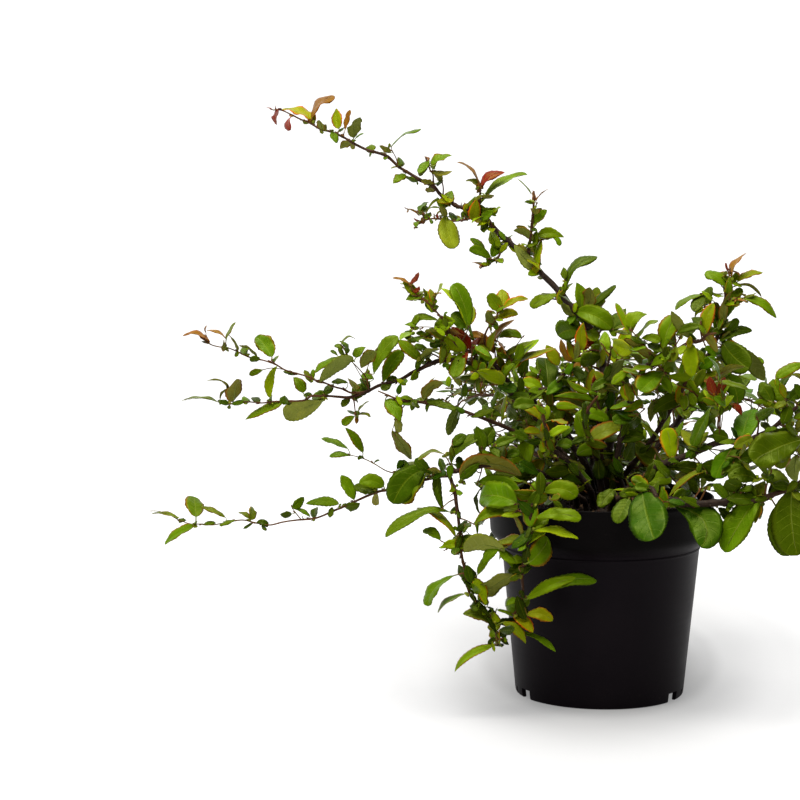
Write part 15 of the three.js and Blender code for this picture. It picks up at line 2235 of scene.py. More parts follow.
("cane_back_droop_left", [(-30,22,137,2.86),(-30,22,161.4,2.86),(-35.6,30.5,169.2,2.5),(-41.3,38.9,177.5,2.4),(-46.3,46.2,184.3,2.3),(-52,54.3,191.1,2.19),(-58.8,63.8,194.7,2.09),(-62.8,73.2,193.9,1.99),(-66.5,83.6,192.4,1.89),(-70.1,92,189.6,1.79),(-73.2,99.6,185.2,1.69),(-74.1,107,180.9,1.59),(-75.8,112.4,174.3,1.48),(-76.3,119,165.4,1.38),(-75.4,121.6,158,1.28),(-75,126.3,148.6,1.18),(-74,130.3,138.2,1.08),(-74,131.1,129.8,0.98),(-73.9,133.4,122.3,0.88),(-73,134.8,113.6,0.77),(-70.4,136.2,106.5,0.67),(-69.8,138.4,100.3,0.57)],
[[(-52,54.3,191.1,1.1),(-43.9,69.2,203.4,0.88),(-35.8,84,212.4,0.48)],
[(-66.5,83.6,192.4,0.95),(-83.3,87.2,203.7,0.76),(-100.2,90.9,211.7,0.42)],
[(-74.1,107,180.9,0.79),(-56.6,118.9,187.7,0.63),(-39.1,130.8,191,0.35)],
[(-75.4,121.6,158,0.64),(-94.5,130.5,158.2,0.51),(-113.6,139.4,154.9,0.28)],
[(-74,131.1,129.8,0.49),(-52.2,132.6,122.2,0.39),(-30.5,134.1,110.9,0.22)],
[(-66,131.6,127,0.36),(-65.1,133.8,129.7,0.54),(-63.3,135.4,132.2,0.43)],
[(-73.9,131.8,127.3,0.67),(-74.2,129.2,127,0.58),(-74.1,126,127.1,0.46)],
[(-73.6,103.3,183,0.87),(-77.1,103.6,181.1,0.76),(-80.2,103.2,179.2,0.61)],
[(-54.3,57.4,192.4,0.65),(-57.9,56.8,194.5,0.56),(-62.3,57,196.4,0.45)],
[(-34.1,133.9,112.8,0.2),(-33,131.8,114.6,0.61),(-32.1,130.5,116.8,0.49)],
[(-73.9,133.4,122.3,0.67),(-79.1,132.5,122.9,0.58),(-84.3,130.7,123.4,0.47)],
[(-45,133.1,118.4,0.27),(-44.7,134.3,119,0.58),(-44.6,135.7,119.6,0.46)],
[(-78.1,86.4,200.1,0.56),(-78.1,83.9,204.2,0.49),(-79.5,81.8,208.5,0.39)],
[(-51.3,122.4,188.7,0.44),(-52.1,126.3,189.2,0.52),(-52.2,130.3,190.4,0.42)],
[(-72.4,97.7,186.3,0.7),(-70.8,105.3,191.8,0.61),(-70.4,113.2,199.2,0.49)],
[(-74.9,109.7,177.6,0.85),(-75.4,118.4,182.9,0.74),(-76.9,126.2,190,0.59)],
[(-39.4,36.1,174.7,0.8),(-42.2,37.7,175.2,0.7),(-45.1,39.3,175.7,0.56)],
[(-76,119.9,162.9,0.67),(-73.9,120.7,164.4,0.58),(-71.2,121.4,166,0.47)],
[(-66.1,112.4,184,0.58),(-64.3,112,184.8,0.51),(-62.6,111.6,185.6,0.41)],
[(-86.9,126.9,158.1,0.45),(-87.4,128.9,157.7,0.52),(-87.7,131.4,157.3,0.42)],
[(-46.1,126,189.7,0.37),(-45.1,126.1,193.4,0.62),(-43.7,126.2,196.8,0.5)],
[(-98.1,90.8,210.6,0.36),(-99,91.5,210.4,0.53),(-99.9,92.3,209.9,0.42)],
[(-62.1,131.9,125.6,0.35),(-60.8,136.3,128.6,0.57),(-60.3,140.5,130.5,0.46)],
[(-75,126.3,148.6,0.54),(-77.3,126.1,148.4,0.47),(-79.8,126,148,0.38)],
[(-75.3,123.5,154.3,0.52),(-81.2,122,153.3,0.45),(-86.1,120.8,152.5,0.36)],
[(-59.9,66,194.6,0.7),(-62.2,68.6,203.6,0.61),(-64.4,71.6,213.1,0.48)],
[(-69.8,84.4,194.6,0.53),(-73.6,82.3,195.4,0.46),(-77.4,81.2,195.6,0.37)],
[(-81.4,87.2,202.4,0.62),(-82.5,90.1,204.2,0.61),(-84,93.7,205.5,0.49)],
[(-107.9,136.7,155.9,0.28),(-108,137.9,155.5,0.6),(-108.2,139.2,155.3,0.48)],
[(-74.2,129.5,140.3,0.61),(-72.1,127.9,140.9,0.53),(-70.2,126.4,141.6,0.42)],
[(-70,131.4,128.4,0.38),(-69.5,131.3,129.9,0.56),(-69.1,131.3,131.3,0.45)],
[(-98.4,132.3,157.5,0.37),(-98.8,133.2,158.3,0.47),(-99.1,134.3,159.5,0.37)],
[(-54.8,120.1,188.1,0.48),(-52.7,120.1,189.8,0.56),(-50.9,119.9,191.5,0.44)],
[(-48.6,132.8,120.3,0.29),(-47.7,136,122.8,0.59),(-46.5,139.1,125.2,0.48)]],
[(-37,32.3,170.8,-38.4,30.5,175.9,-40.8,27.7,187.8,-48.5,19.9,196.3,10.3,0.64,0.63,0.43,"m"),
(-42.3,40.1,178,-40.2,37,180.9,-34.5,41.9,188.4,-27.9,47.8,189.3,11.7,-0.19,-0.46,0.87,"d"),
(-46.7,46.6,184,-50.8,46.1,184.3,-61.1,45.5,184.5,-71.2,45.3,178.8,8,-0.03,-0.09,1,"d"),
(-52.1,54.5,191.1,-51,54.2,195.1,-48.9,54,207.9,-41.6,55.3,219.7,11.6,-0.94,-0.28,0.2,"l"),
(-58,62.7,194.3,-57.3,66.6,192.2,-54.3,81.5,185.6,-51.9,93.6,173.6,15,0.09,0.47,0.88,"o"),
(-62.1,72.3,193.7,-67.2,73.6,196.2,-75.2,75.9,201.1,-85.9,79.4,199.7,8.6,0.38,-0.17,0.91,"d"),
(-66.3,83.2,192.5,-64.6,85.4,194.6,-59.2,92.4,201.9,-53.1,101.3,206.6,9.6,-0.22,-0.57,0.79,"o"),
(-70.7,94.2,188.3,-72.6,94,185.2,-77.4,93.7,178,-77.2,93.8,168.1,8.2,-0.88,-0.07,0.47,"d"),
(-73.6,105.2,181.9,-75.2,107.9,184.3,-78.5,114.1,190.5,-82.4,122.9,193.2,8.6,0.17,-0.58,0.8,"y"),
(-75.4,114.1,171.8,-73.3,114.7,170,-64.6,116.4,164.3,-58.8,117.7,154.6,8.7,0.58,0.1,0.81,"l"),
(-75.9,121,160.5,-79.9,122.2,158.3,-89.1,125.5,155,-95.4,127.3,144.9,8.2,-0.39,0.19,0.9,"m"),
(-75.1,124.9,151.1,-72.6,128.8,151.5,-63.8,142.5,153.6,-54.2,156,151.8,13.2,-0.2,0.06,0.98,"m"),
(-74.4,128.5,142.6,-74.3,126.3,138.9,-74.7,119.7,130.1,-71,119.3,117.6,9.4,-0.48,-0.75,0.46,"d"),
(-73.7,131.6,131,-75.6,134.5,129.5,-80.4,145.4,127,-84.4,153.1,115.7,12,-0.1,0.34,0.94,"m"),
(-73.3,133.3,121.7,-70.7,132.8,120.1,-57.5,129.4,115.4,-47.8,128.1,103.3,11,0.41,-0.25,0.88,"m"),
(-72.3,135.6,110.8,-73.6,135.4,109.1,-85,134.9,100.6,-91.1,136.3,86.8,13.3,-0.69,-0.24,0.68,"o"),
(-69.8,138.3,100.6,-68.9,141.5,99.6,-64.4,156.1,95.7,-62.1,168.9,84.4,12,0.27,0.23,0.94,"d"),
(-48.6,60.7,196.3,-44.2,61.5,196.4,-30.4,64.2,198.2,-16.9,67.1,189.4,12.4,0.03,-0.02,1,"d"),
(-44.7,67.8,202.2,-46.3,69.7,203.1,-53.9,75.4,209.8,-63,82.3,212.5,11.9,0.28,-0.3,0.91,"d"),
(-41.2,74.2,206.4,-38.9,73.5,209.2,-33.4,70.7,220.6,-23.8,66,229.4,13,-0.78,0.36,0.52,"m"),
(-38.1,79.8,209.8,-36.8,82,207.3,-33.7,88.6,202.8,-32.3,92.4,193.8,6.7,0.31,0.51,0.8,"y"),
(-73.7,85.2,197.2,-73.4,83.5,200.5,-73.2,80.6,207.6,-72,73.8,212.3,6.8,-0.2,0.85,0.49,"d"),
(-81.6,87.2,202.6,-82.3,91.6,204.2,-83.2,98.3,208.2,-84.2,106.4,207.3,7,-0.01,-0.21,0.98,"m"),
(-88.4,88.3,206.1,-91.7,85.8,206.1,-98.5,79.9,207.2,-105.4,73.9,204.8,8.5,0.01,0.02,1,"o"),
(-96.8,90.1,210.1,-97.4,91.1,213.1,-99.2,92.6,224.3,-104.2,100.6,233.6,9.2,0.42,-0.87,0.25,"d"),
(-66.9,111.6,183.8,-63.5,110.2,182.3,-56,106.8,180.5,-49.9,104.2,174.4,7.1,0.29,-0.17,0.94,"m"),
(-61.3,115.6,185.9,-61.6,119.1,187.8,-62.4,129,193.9,-63.8,140.3,197.5,10.9,0.18,-0.46,0.87,"d"),
(-55,119.9,188,-53.1,118.9,190.6,-48.9,116.8,197.9,-40.9,112,201.2,7.7,-0.63,0.43,0.65,"d"),
(-46.9,125.5,189.6,-45.4,127.5,186.4,-42.2,132,180.4,-40,135.4,173.2,6.9,0.56,0.55,0.63,"d"),
(-40.9,129.5,190.7,-41,131,193.6,-40.9,134.3,203.5,-42.2,142.2,210.9,8.2,0.26,-0.86,0.44,"d"),
(-83.5,125.5,158.2,-83.2,129.8,157.2,-82.1,143.5,155.3,-81.1,156.1,147.4,11.7,0.02,0.18,0.98,"d"),
(-90.3,128.6,158.2,-93.5,125.6,158.8,-102.1,117.4,162,-111.1,108.5,160,11.8,0.05,0.16,0.99,"d"),
(-99.1,132.6,157.4,-100.2,135.2,160.8,-101.8,138.8,167.9,-106.3,144.9,171.9,8.1,0.51,-0.49,0.71,"m"),
(-107,136.3,156,-107.9,137.1,153,-112.9,140.7,141.7,-108.8,143.2,127.2,10.2,-0.94,0.11,0.33,"d"),
(-65.4,132.1,126.9,-63.2,134.5,127.6,-54.7,144.6,132.8,-46.1,158,127.5,12.1,0,-0.29,0.96,"o"),
(-57,132.4,123.9,-54.4,130.4,124.9,-47.7,125.3,128.7,-39.5,120,128.6,7.1,-0.34,0.08,0.94,"l"),
(-50.4,132.7,121.2,-50.1,134.5,117.4,-49.4,138.3,110.4,-49.9,139.3,102,7.8,0.37,0.84,0.41,"m"),
(-42.5,133.3,117.1,-39.4,134.3,118.5,-31.3,137.2,123.2,-21,140.6,122.4,9.3,-0.38,-0.11,0.92,"d"),
(-34.5,133.8,113,-33.6,132.2,112.3,-29.3,124.6,109.8,-25.6,117.8,104.7,8.2,0.19,-0.27,0.95,"d"),
(-63.3,135.4,132.1,-63.5,134.8,135.3,-63.2,134.6,141.2,-64.3,132.4,146.6,6.6,0.54,0.82,0.2,"n"),
(-63.6,135,131.6,-65.1,136.7,132.6,-68.7,140.8,135.6,-72.7,145.2,137.1,5.2,0.47,-0.07,0.88,"d"),
(-63.9,134.6,131,-62.7,137.7,129.1,-61,144.2,126.2,-58.5,149.3,121.3,6.2,0.24,0.44,0.87,"p"),
(-74.1,126.5,127.1,-73.8,126.1,124.6,-72.2,123.4,116.3,-71.7,124.1,107.4,9.6,0.19,-0.96,0.18,"n"),
(-74,126.8,127.1,-73.2,126.4,128.4,-69.1,124.5,134.9,-63.7,123,140.6,8.8,-0.62,-0.75,0.22,"n"),
(-74,127.1,127.1,-75.3,126.9,126.7,-83.5,124.7,124.9,-91.6,124.8,121.6,8.1,-0.06,-0.81,0.58,"p"),
(-80.1,103.2,179.3,-82.1,99.6,180.3,-90.1,87.3,184.9,-95.8,73.3,187.9,18.3,-0.71,0.52,0.47,"p"),
(-79.6,103.2,179.5,-80.2,104.4,179.4,-87.4,113.4,178.7,-89.9,124.5,176.6,10.5,-0.66,-0.25,0.71,"d"),
(-78.9,103.2,179.9,-80.1,101.5,176.4,-84.1,94.9,168.1,-85.5,92.8,156.7,10.6,-0.75,-0.47,0.46,"n"),
(-62.2,57,196.3,-63.8,55.3,196.8,-68.1,50.6,199,-72.4,45.4,199.4,7.3,-0.22,0.44,0.87,"d"),
(-62,57,196.2,-63.3,58.9,199,-67.4,63.5,208.4,-71.3,71.4,215.5,11.7,-0.19,-0.85,0.49,"d"),
(-61.6,57,196,-65.4,56.8,194.9,-74.3,56.8,193.1,-82.6,56.2,189.1,8.6,-0.26,-0.3,0.92,"p"),
(-32.2,130.6,116.7,-30.6,130.4,119.4,-23.9,127.3,134.4,-12.9,130.2,147.2,18.2,-0.53,-0.8,0.28,"n"),
(-32.3,130.8,116.4,-33.2,129.7,116.8,-37.7,121.3,119.6,-44.7,114.6,121.7,9.4,0.59,-0.19,0.78,"n"),
(-32.5,131.1,116,-28.6,130,115.5,-15.7,126.2,115.4,-3.3,123.1,111.4,12.9,-0.01,-0.47,0.88,"n"),
(-84.1,130.7,123.4,-86.2,129.8,121,-95.8,125.6,111.4,-102.8,122.4,99.2,11.7,-0.67,-0.32,0.67,"n"),
(-82.3,131.1,123.2,-84,132.8,122.7,-90.5,139.5,122.4,-96.5,145.4,118.5,8.7,-0.36,-0.07,0.93,"n"),
(-44.6,135.7,119.6,-45.9,137.8,117.6,-51.5,149.7,108.2,-59.2,158.4,97,15.8,0.13,0.74,0.66,"n"),
(-44.6,135.6,119.5,-45,133.2,123.1,-44.4,132.4,135.4,-48.7,135.2,146.3,11.6,0.99,0.06,0.15,"d"),
(-44.7,135.4,119.5,-42.2,137.5,118.6,-31.9,149.3,115.4,-19.2,157.5,110,19.3,-0.01,0.39,0.92,"d"),
(-44.7,135.2,119.4,-46.6,137.8,120.1,-50.5,144,123,-55.7,150,123,6.4,0.41,0.07,0.91,"g"),
(-79.2,82.8,206.6,-77.5,81.8,210.4,-74.9,80.1,217.7,-70.7,78.4,224.4,9.4,-0.73,-0.67,0.15,"n"),
(-52.2,130.2,190.3,-53.4,131.1,191.7,-57.6,135.3,198,-63.8,137.9,203.5,10.1,0.79,0.12,0.6,"g"),
(-52.2,129.9,190.3,-49.5,131.7,190,-43.2,137.5,189.8,-35.7,141.5,188.4,9.4,-0.13,0.32,0.94,"d"),
(-52.1,129.4,190.2,-53.7,130.6,189.3,-66.3,137.7,185.5,-75.1,146.6,177,17.3,-0.34,0.21,0.92,"h"),
(-52.1,129,190.1,-52,131.9,192.4,-50.2,142.5,203,-51.5,155.4,210.9,18.2,0.94,-0.24,0.26,"d"),
(-52,128.6,190,-51.6,129.6,189,-48.6,138.7,183.7,-45,144.3,174.8,10.3,0.34,0.54,0.77,"d"),
(-70.4,112.9,198.9,-71.3,114.5,202.6,-72.9,117.2,212.7,-76.6,121.7,221.5,12.5,0.65,-0.64,0.42,"g"),
(-70.6,111,197.4,-69,109.5,201.2,-63.1,106,212,-59.6,100.4,222.9,13,-0.21,0.87,0.45,"o"),
(-76.7,124.8,188.7,-77.9,127.8,188.2,-82.2,138.9,188.2,-86.2,149.2,183.8,11.1,0.15,0.24,0.96,"d"),
(-76.4,123.4,187.4,-77.5,124.6,190.8,-78.9,130,204,-85.4,136.2,215.3,15.7,0.89,-0.25,0.38,"p"),
(-71.3,121.4,165.9,-68.9,123.8,164.6,-61.4,130.8,161.1,-54.1,136.3,155,9.8,0.46,0.13,0.88,"u"),
(-72.3,121.1,165.3,-70.1,123.7,166.6,-61.4,132.3,171.5,-54.8,142.9,175.5,12.8,0.19,-0.54,0.82,"p"),
(-62.9,111.6,185.5,-62.5,113.2,187.5,-60.8,120,198.1,-58.6,128.9,206.9,14.4,0.48,-0.74,0.47,"g"),
(-87.7,131.3,157.3,-88.4,132.2,158.1,-92.1,137,165.1,-97.7,143.6,168.7,9.5,0.76,-0.05,0.65,"p"),
(-87.5,130.5,157.5,-90.6,132,155.9,-98.5,136.9,152.5,-106.4,139.5,147.3,11.4,-0.26,0.4,0.88,"d"),
(-43.8,126.2,196.4,-44.3,125.6,198.6,-44.7,123,208.7,-48.9,119.8,217.9,12.7,0.98,-0.03,0.19,"p"),
(-43.9,126.2,196.1,-42.8,126.1,196.8,-29.6,123.2,206.2,-14.9,122.8,213.4,17.8,-0.51,0.01,0.86,"n"),
(-44.1,126.2,195.8,-44.4,128.5,199.6,-45.6,133.3,209.7,-46.3,140.4,218.6,12.3,0.08,-0.85,0.52,"d"),
(-99.9,92.2,210,-100.9,92.9,206.8,-104.3,95,197.4,-106.5,96.5,187.5,11.8,-0.78,0.52,0.34,"d"),
(-99.7,92.1,210,-101,96.1,208.5,-105.3,104.7,206.3,-106.3,113.3,201,8.1,-0.34,0.23,0.91,"o"),
(-99.6,92,210.1,-102.1,92.5,208.4,-112.2,94.4,203.7,-120.1,95.9,195.4,9.6,-0.55,-0.06,0.83,"d"),
(-60.4,139.7,130,-61.2,141.3,129.9,-68.6,155.4,130.8,-74.8,169.5,126.6,18.2,0.41,0.28,0.87,"n"),
(-60.6,138.9,129.6,-59.8,137.9,133.6,-57.3,136.8,144.9,-55.3,132,155.5,9.8,-0.41,0.87,0.29,"d"),
(-79.7,126,148,-83.1,125.7,145,-97.9,125.2,135.3,-108.2,123.4,120.6,21,-0.65,-0.16,0.74,"n"),
(-78.7,126,148.1,-80,127.1,145.8,-85.9,131.5,137.8,-89.8,135.2,128.2,9.1,-0.88,-0.28,0.38,"p"),
(-85.9,120.9,152.5,-88.8,120,149.3,-100.9,116.6,137.3,-108.8,113.7,121.8,15.3,-0.75,-0.16,0.64,"d"),
(-85.4,121,152.6,-86,119.9,153.5,-93.3,110,160.9,-96.8,99,169.7,17,-0.62,0.68,0.39,"g"),
(-63.6,70.6,209.8,-60.3,74.4,212.2,-55.6,79.7,219.8,-48.5,86.3,223.5,11.8,-0.3,-0.53,0.8,"d"),
(-77.2,81.2,195.6,-79.8,78.6,194.4,-85.9,72,193.3,-91.1,66,188.6,8.8,-0.45,0.06,0.89,"n"),
(-75.5,82,195.3,-78,79.9,192.3,-86.1,73.9,184.9,-91.7,68.1,175.4,14.7,-0.47,-0.5,0.73,"h"),
(-83.9,93.6,205.5,-83.3,97.2,205.3,-82.9,104.8,205.6,-80.3,111.9,204.2,8.6,-0.36,0.13,0.93,"u"),
(-83.6,92.6,205,-84.4,95.4,203.2,-87.8,106.8,198,-91,115.9,189,12.7,0.31,0.58,0.75,"d"),
(-108.1,139.2,155.3,-107.4,140.3,154,-104,146,148.8,-100.2,150.3,142.7,10,0.11,0.71,0.69,"p"),
(-70.2,126.4,141.6,-68.3,125.9,143,-58.3,122.6,150.9,-47.6,120.8,158.4,14.7,-0.56,-0.64,0.52,"d"),
(-70.4,126.5,141.6,-71.1,123.8,141.1,-72.9,111.6,138.5,-78.2,100.1,136.8,13.4,0.73,-0.3,0.61,"n"),
(-69.2,131.4,131,-66.5,129.9,132.8,-57.1,126.8,139.8,-47.9,120.5,144.9,10,-0.38,0.38,0.84,"n"),
(-99,134.1,159.3,-99.8,135.9,158.6,-105.2,147.4,155.2,-109.5,158.5,149.3,16.1,-0.02,0.34,0.94,"d"),
(-50.9,119.9,191.4,-47.2,119.2,190.5,-38.1,117.6,189,-29.7,115.8,185,11.2,0.2,-0.24,0.95,"d"),
(-51.6,119.9,190.9,-51.3,117.9,191.3,-50.9,113.3,193,-50.1,108.5,193.5,4.2,0.74,0.25,0.62,"g"),
(-46.5,139,125.1,-43.3,138.9,127.7,-29.3,140.2,142.1,-11.1,135.9,150.4,17.8,-0.55,0.36,0.75,"g"),
(-46.8,138.1,124.4,-45.4,139,124.7,-32.7,145.7,130,-20.7,155.2,130,18.1,-0.22,0,0.98,"n"),
(-110.9,138.1,155.4,-106.7,137.4,152.1,-110.7,135.5,155.7,-114.8,134.7,159.1,4.7,0.63,-0.59,0.5,"d")]),
]

# ------------------------------------------------------------------ mesh helpers
class Pile:
    """Collects vertices and triangles of one piece."""

    def __init__(self):
        self.v, self.f, self.m, self.uv, self.c, self.e, self.n = [], [], [], [], [], [], 0

    def add(self, v, f, mat=0, uv=None, col=(1, 1, 1), edge=None):
        v = np.asarray(v, float).reshape(-1, 3)
        f = np.asarray(f, int).reshape(-1, 3)
        k = len(v)
        self.v.append(v)
        self.f.append(f + self.n)
        self.m.append(np.full(len(f), mat) if np.isscalar(mat) else np.asarray(mat))
        self.uv.append(np.zeros((k, 2)) if uv is None else np.asarray(uv, float))
        c = np.asarray(col, float)
        self.c.append(np.tile(c, (k, 1)) if c.ndim == 1 else c)
        e = c if edge is None else np.asarray(edge, float)
        self.e.append(np.tile(e, (k, 1)) if e.ndim == 1 else e)
        self.n += k

    def make(self, name, mats, smooth=True):
        v, f = np.vstack(self.v) * MM, np.vstack(self.f)
        me = bpy.data.meshes.new(name)
        me.vertices.add(len(v))
        me.vertices.foreach_set("co", v.astype(np.float32).ravel())
        me.loops.add(3 * len(f))
        me.loops.foreach_set("vertex_index", f.astype(np.int32).ravel())
        me.polygons.add(len(f))
        me.polygons.foreach_set("loop_start", np.arange(0, 3 * len(f), 3, dtype=np.int32))
        me.update(calc_edges=True)
        me.polygons.foreach_set("material_index", np.concatenate(self.m).astype(np.int32))
        me.polygons.foreach_set("use_smooth", np.full(len(f), smooth))
        uv = np.vstack(self.uv)
        layer = me.uv_layers.new(name="UVMap")
        layer.data.foreach_set("uv", uv[f.ravel()].astype(np.float32).ravel())
        for key, src in (("tint", self.c), ("edge_tint", self.e)):
            a = np.vstack(src)
            a = np.hstack([a, np.ones((len(a), 1))]).astype(np.float32)
            me.attributes.new(key, "FLOAT_COLOR", "POINT").data.foreach_set("color", a.ravel())
        for m in mats:
            me.materials.append(m)
        me.validate()
        me.update()
        ob = bpy.data.objects.new(name, me)
        bpy.context.scene.collection.objects.link(ob)
        return ob


def unit(a):
    a = np.asarray(a, float)
    n = np.linalg.norm(a, axis=-1, keepdims=True)
    return a / np.maximum(n, 1e-9)


def smooth_line(line, step):
    """Catmull-Rom through [x, y, z, r] points, with a ring about every step mm."""
    p = np.asarray(line, float)
    if len(p) == 2:
        n = max(2, int(np.linalg.norm(p[1, :3] - p[0, :3]) / step) + 1)
        return p[0] + (p[1] - p[0]) * np.linspace(0, 1, n)[:, None]
    q = np.vstack([2 * p[0] - p[1], p, 2 * p[-1] - p[-2]])
    out = []
    for i in range(1, len(q) - 2):
        a, b, c, d = q[i - 1 : i + 3]
        l = np.linalg.norm(c[:3] - b[:3])
        n = max(1, int(round(l / step)))
        # centripetal-like damping keeps short next to long spans from looping
        ta = (c - a) * 0.5
        tb = (d - b) * 0.5
        for t, other in ((ta, a), (tb, d)):
            m = np.linalg.norm(t[:3])
            if m > 1.1 * l:
                t *= 1.1 * l / m
        for j in range(n):
            t = j / n
            h = (2 * t**3 - 3 * t**2 + 1) * b + (t**3 - 2 * t**2 + t) * ta + (-2 * t**3 + 3 * t**2) * c + (t**3 - t**2) * tb
            h[3] = b[3] + (c[3] - b[3]) * t
            out.append(h)
    out.append(p[-1])
    return np.array(out)


def frames(P):
    """Tangents and a steady pair of side vectors along a line."""
    t = np.gradient(P, axis=0) if len(P) > 2 else np.tile(P[-1] - P[0], (len(P), 1))
    t = unit(t)
    u = np.zeros_like(t)
    ref = np.array([0, 0, 1.0]) if abs(t[0][2]) < 0.9 else np.array([1.0, 0, 0])
    for i in range(len(t)):
        ref = ref - t[i] * (ref @ t[i])
        ref = ref / max(1e-9, np.linalg.norm(ref))
        u[i] = ref
    return t, u, np.cross(t, u)


def tube(pile, line, sides, mat, col, knots=(), lump=0.0, seed=0, pointed=False):
    """A closed stem. knots are [x, y, z, swelling] and lump is a share of the radius."""
    line = np.asarray(line, float)
    P, r = line[:, :3], line[:, 3].copy()
    t, u, v = frames(P)
    along = np.concatenate([[0], np.cumsum(np.linalg.norm(np.diff(P, axis=0), axis=1))])
    swell = np.zeros(len(r))
    for k in knots:
        d = np.linalg.norm(P - np.asarray(k[:3]), axis=1)
        i = int(d.argmin())
        if d[i] < 3 + r[i]:
            swell = np.maximum(swell, k[3] * np.exp(-((along - along[i]) ** 2) / (2 * (0.7 + 0.4 * r[i]) ** 2)))
    r = r * (1 + swell)
    a = np.arange(sides) / sides * 2 * np.pi
    rng = np.random.RandomState(seed)
    ph = rng.rand(4) * 6.28
    R = r[:, None] * np.ones((1, sides))
    if lump:
        R = R * (
            1
            + lump * np.sin(2 * a[None] + along[:, None] * 0.21 + ph[0])
            + 0.7 * lump * np.sin(3 * a[None] - along[:, None] * 0.37 + ph[1])
            + 0.5 * lump * np.sin(along[:, None] * 0.9 + ph[2] + a[None])
            + 0.5 * lump * (rng.rand(len(r), sides) - 0.5)
        )
    V = P[:, None] + u[:, None] * (np.cos(a)[None, :, None] * R[..., None]) + v[:, None] * (np.sin(a)[None, :, None] * R[..., None])
    n = len(P)
    V = V.reshape(-1, 3)
    i = np.arange(n - 1)[:, None] * sides
    j = np.arange(sides)[None]
    j2 = (j + 1) % sides
    q = [(i + j).ravel(), (i + j2).ravel(), (i + sides + j).ravel(), (i + sides + j2).ravel()]
    F = np.vstack([np.stack([q[0], q[1], q[2]], 1), np.stack([q[1], q[3], q[2]], 1)])
    ends = np.vstack([P[0] - t[0] * 0.2 * r[0], P[-1] + t[-1] * (0.6 if not pointed else 0.2) * r[-1]])
    V = np.vstack([V, ends])
    jj = np.arange(sides)
    kk = (jj + 1) % sides
    e0, e1 = n * sides, n * sides + 1
    o = (n - 1) * sides
    F = np.vstack([F, np.stack([np.full(sides, e0), kk, jj], 1), np.stack([np.full(sides, e1), o + jj, o + kk], 1)])
    uv = np.stack([np.tile(np.arange(sides) / sides, n), np.repeat(along, sides)], 1)
    uv = np.vstack([uv, [[0, 0], [0, along[-1]]]])
    c = np.asarray(col, float)
    if c.ndim == 2:
        c = np.vstack([np.repeat(c, sides, axis=0), c[0], c[-1]])
    pile.add(V, F, mat, uv, c)
    return r


# ------------------------------------------------------------------ leaves
# linear colours by kind: upper side, underside, margin
KINDS = {
    "m": ((0.070, 0.134, 0.0015), (0.130, 0.165, 0.022), (0.110, 0.155, 0.004)),
    "d": ((0.030, 0.060, 0.0012), (0.075, 0.105, 0.014), (0.046, 0.074, 0.003)),
    "l": ((0.152, 0.242, 0.002), (0.210, 0.255, 0.030), (0.240, 0.270, 0.008)),
    "o": ((0.082, 0.120, 0.005), (0.140, 0.155, 0.026), (0.140, 0.140, 0.012)),
    "u": ((0.110, 0.150, 0.006), (0.175, 0.200, 0.040), (0.180, 0.195, 0.025)),
    "r": ((0.130, 0.007, 0.006), (0.150, 0.022, 0.012), (0.160, 0.012, 0.008)),
    "b": ((0.160, 0.070, 0.006), (0.175, 0.095, 0.020), (0.210, 0.048, 0.010)),
    "y": ((0.145, 0.175, 0.002), (0.195, 0.215, 0.030), (0.290, 0.060, 0.008)),
    "h": ((0.047, 0.118, 0.0015), (0.095, 0.145, 0.020), (0.070, 0.135, 0.003)),
    "g": ((0.017, 0.056, 0.0012), (0.060, 0.095, 0.013), (0.028, 0.066, 0.002)),
    # p and n are partly leaf colour and partly painted shade: very dark blades set where the crown shades them
    "p": ((0.034, 0.057, 0.0020), (0.090, 0.100, 0.016), (0.070, 0.066, 0.004)),
    "n": ((0.012, 0.026, 0.0010), (0.035, 0.048, 0.007), (0.020, 0.028, 0.002)),
}
TOP, UNDER, STALK = 0, 1, 2


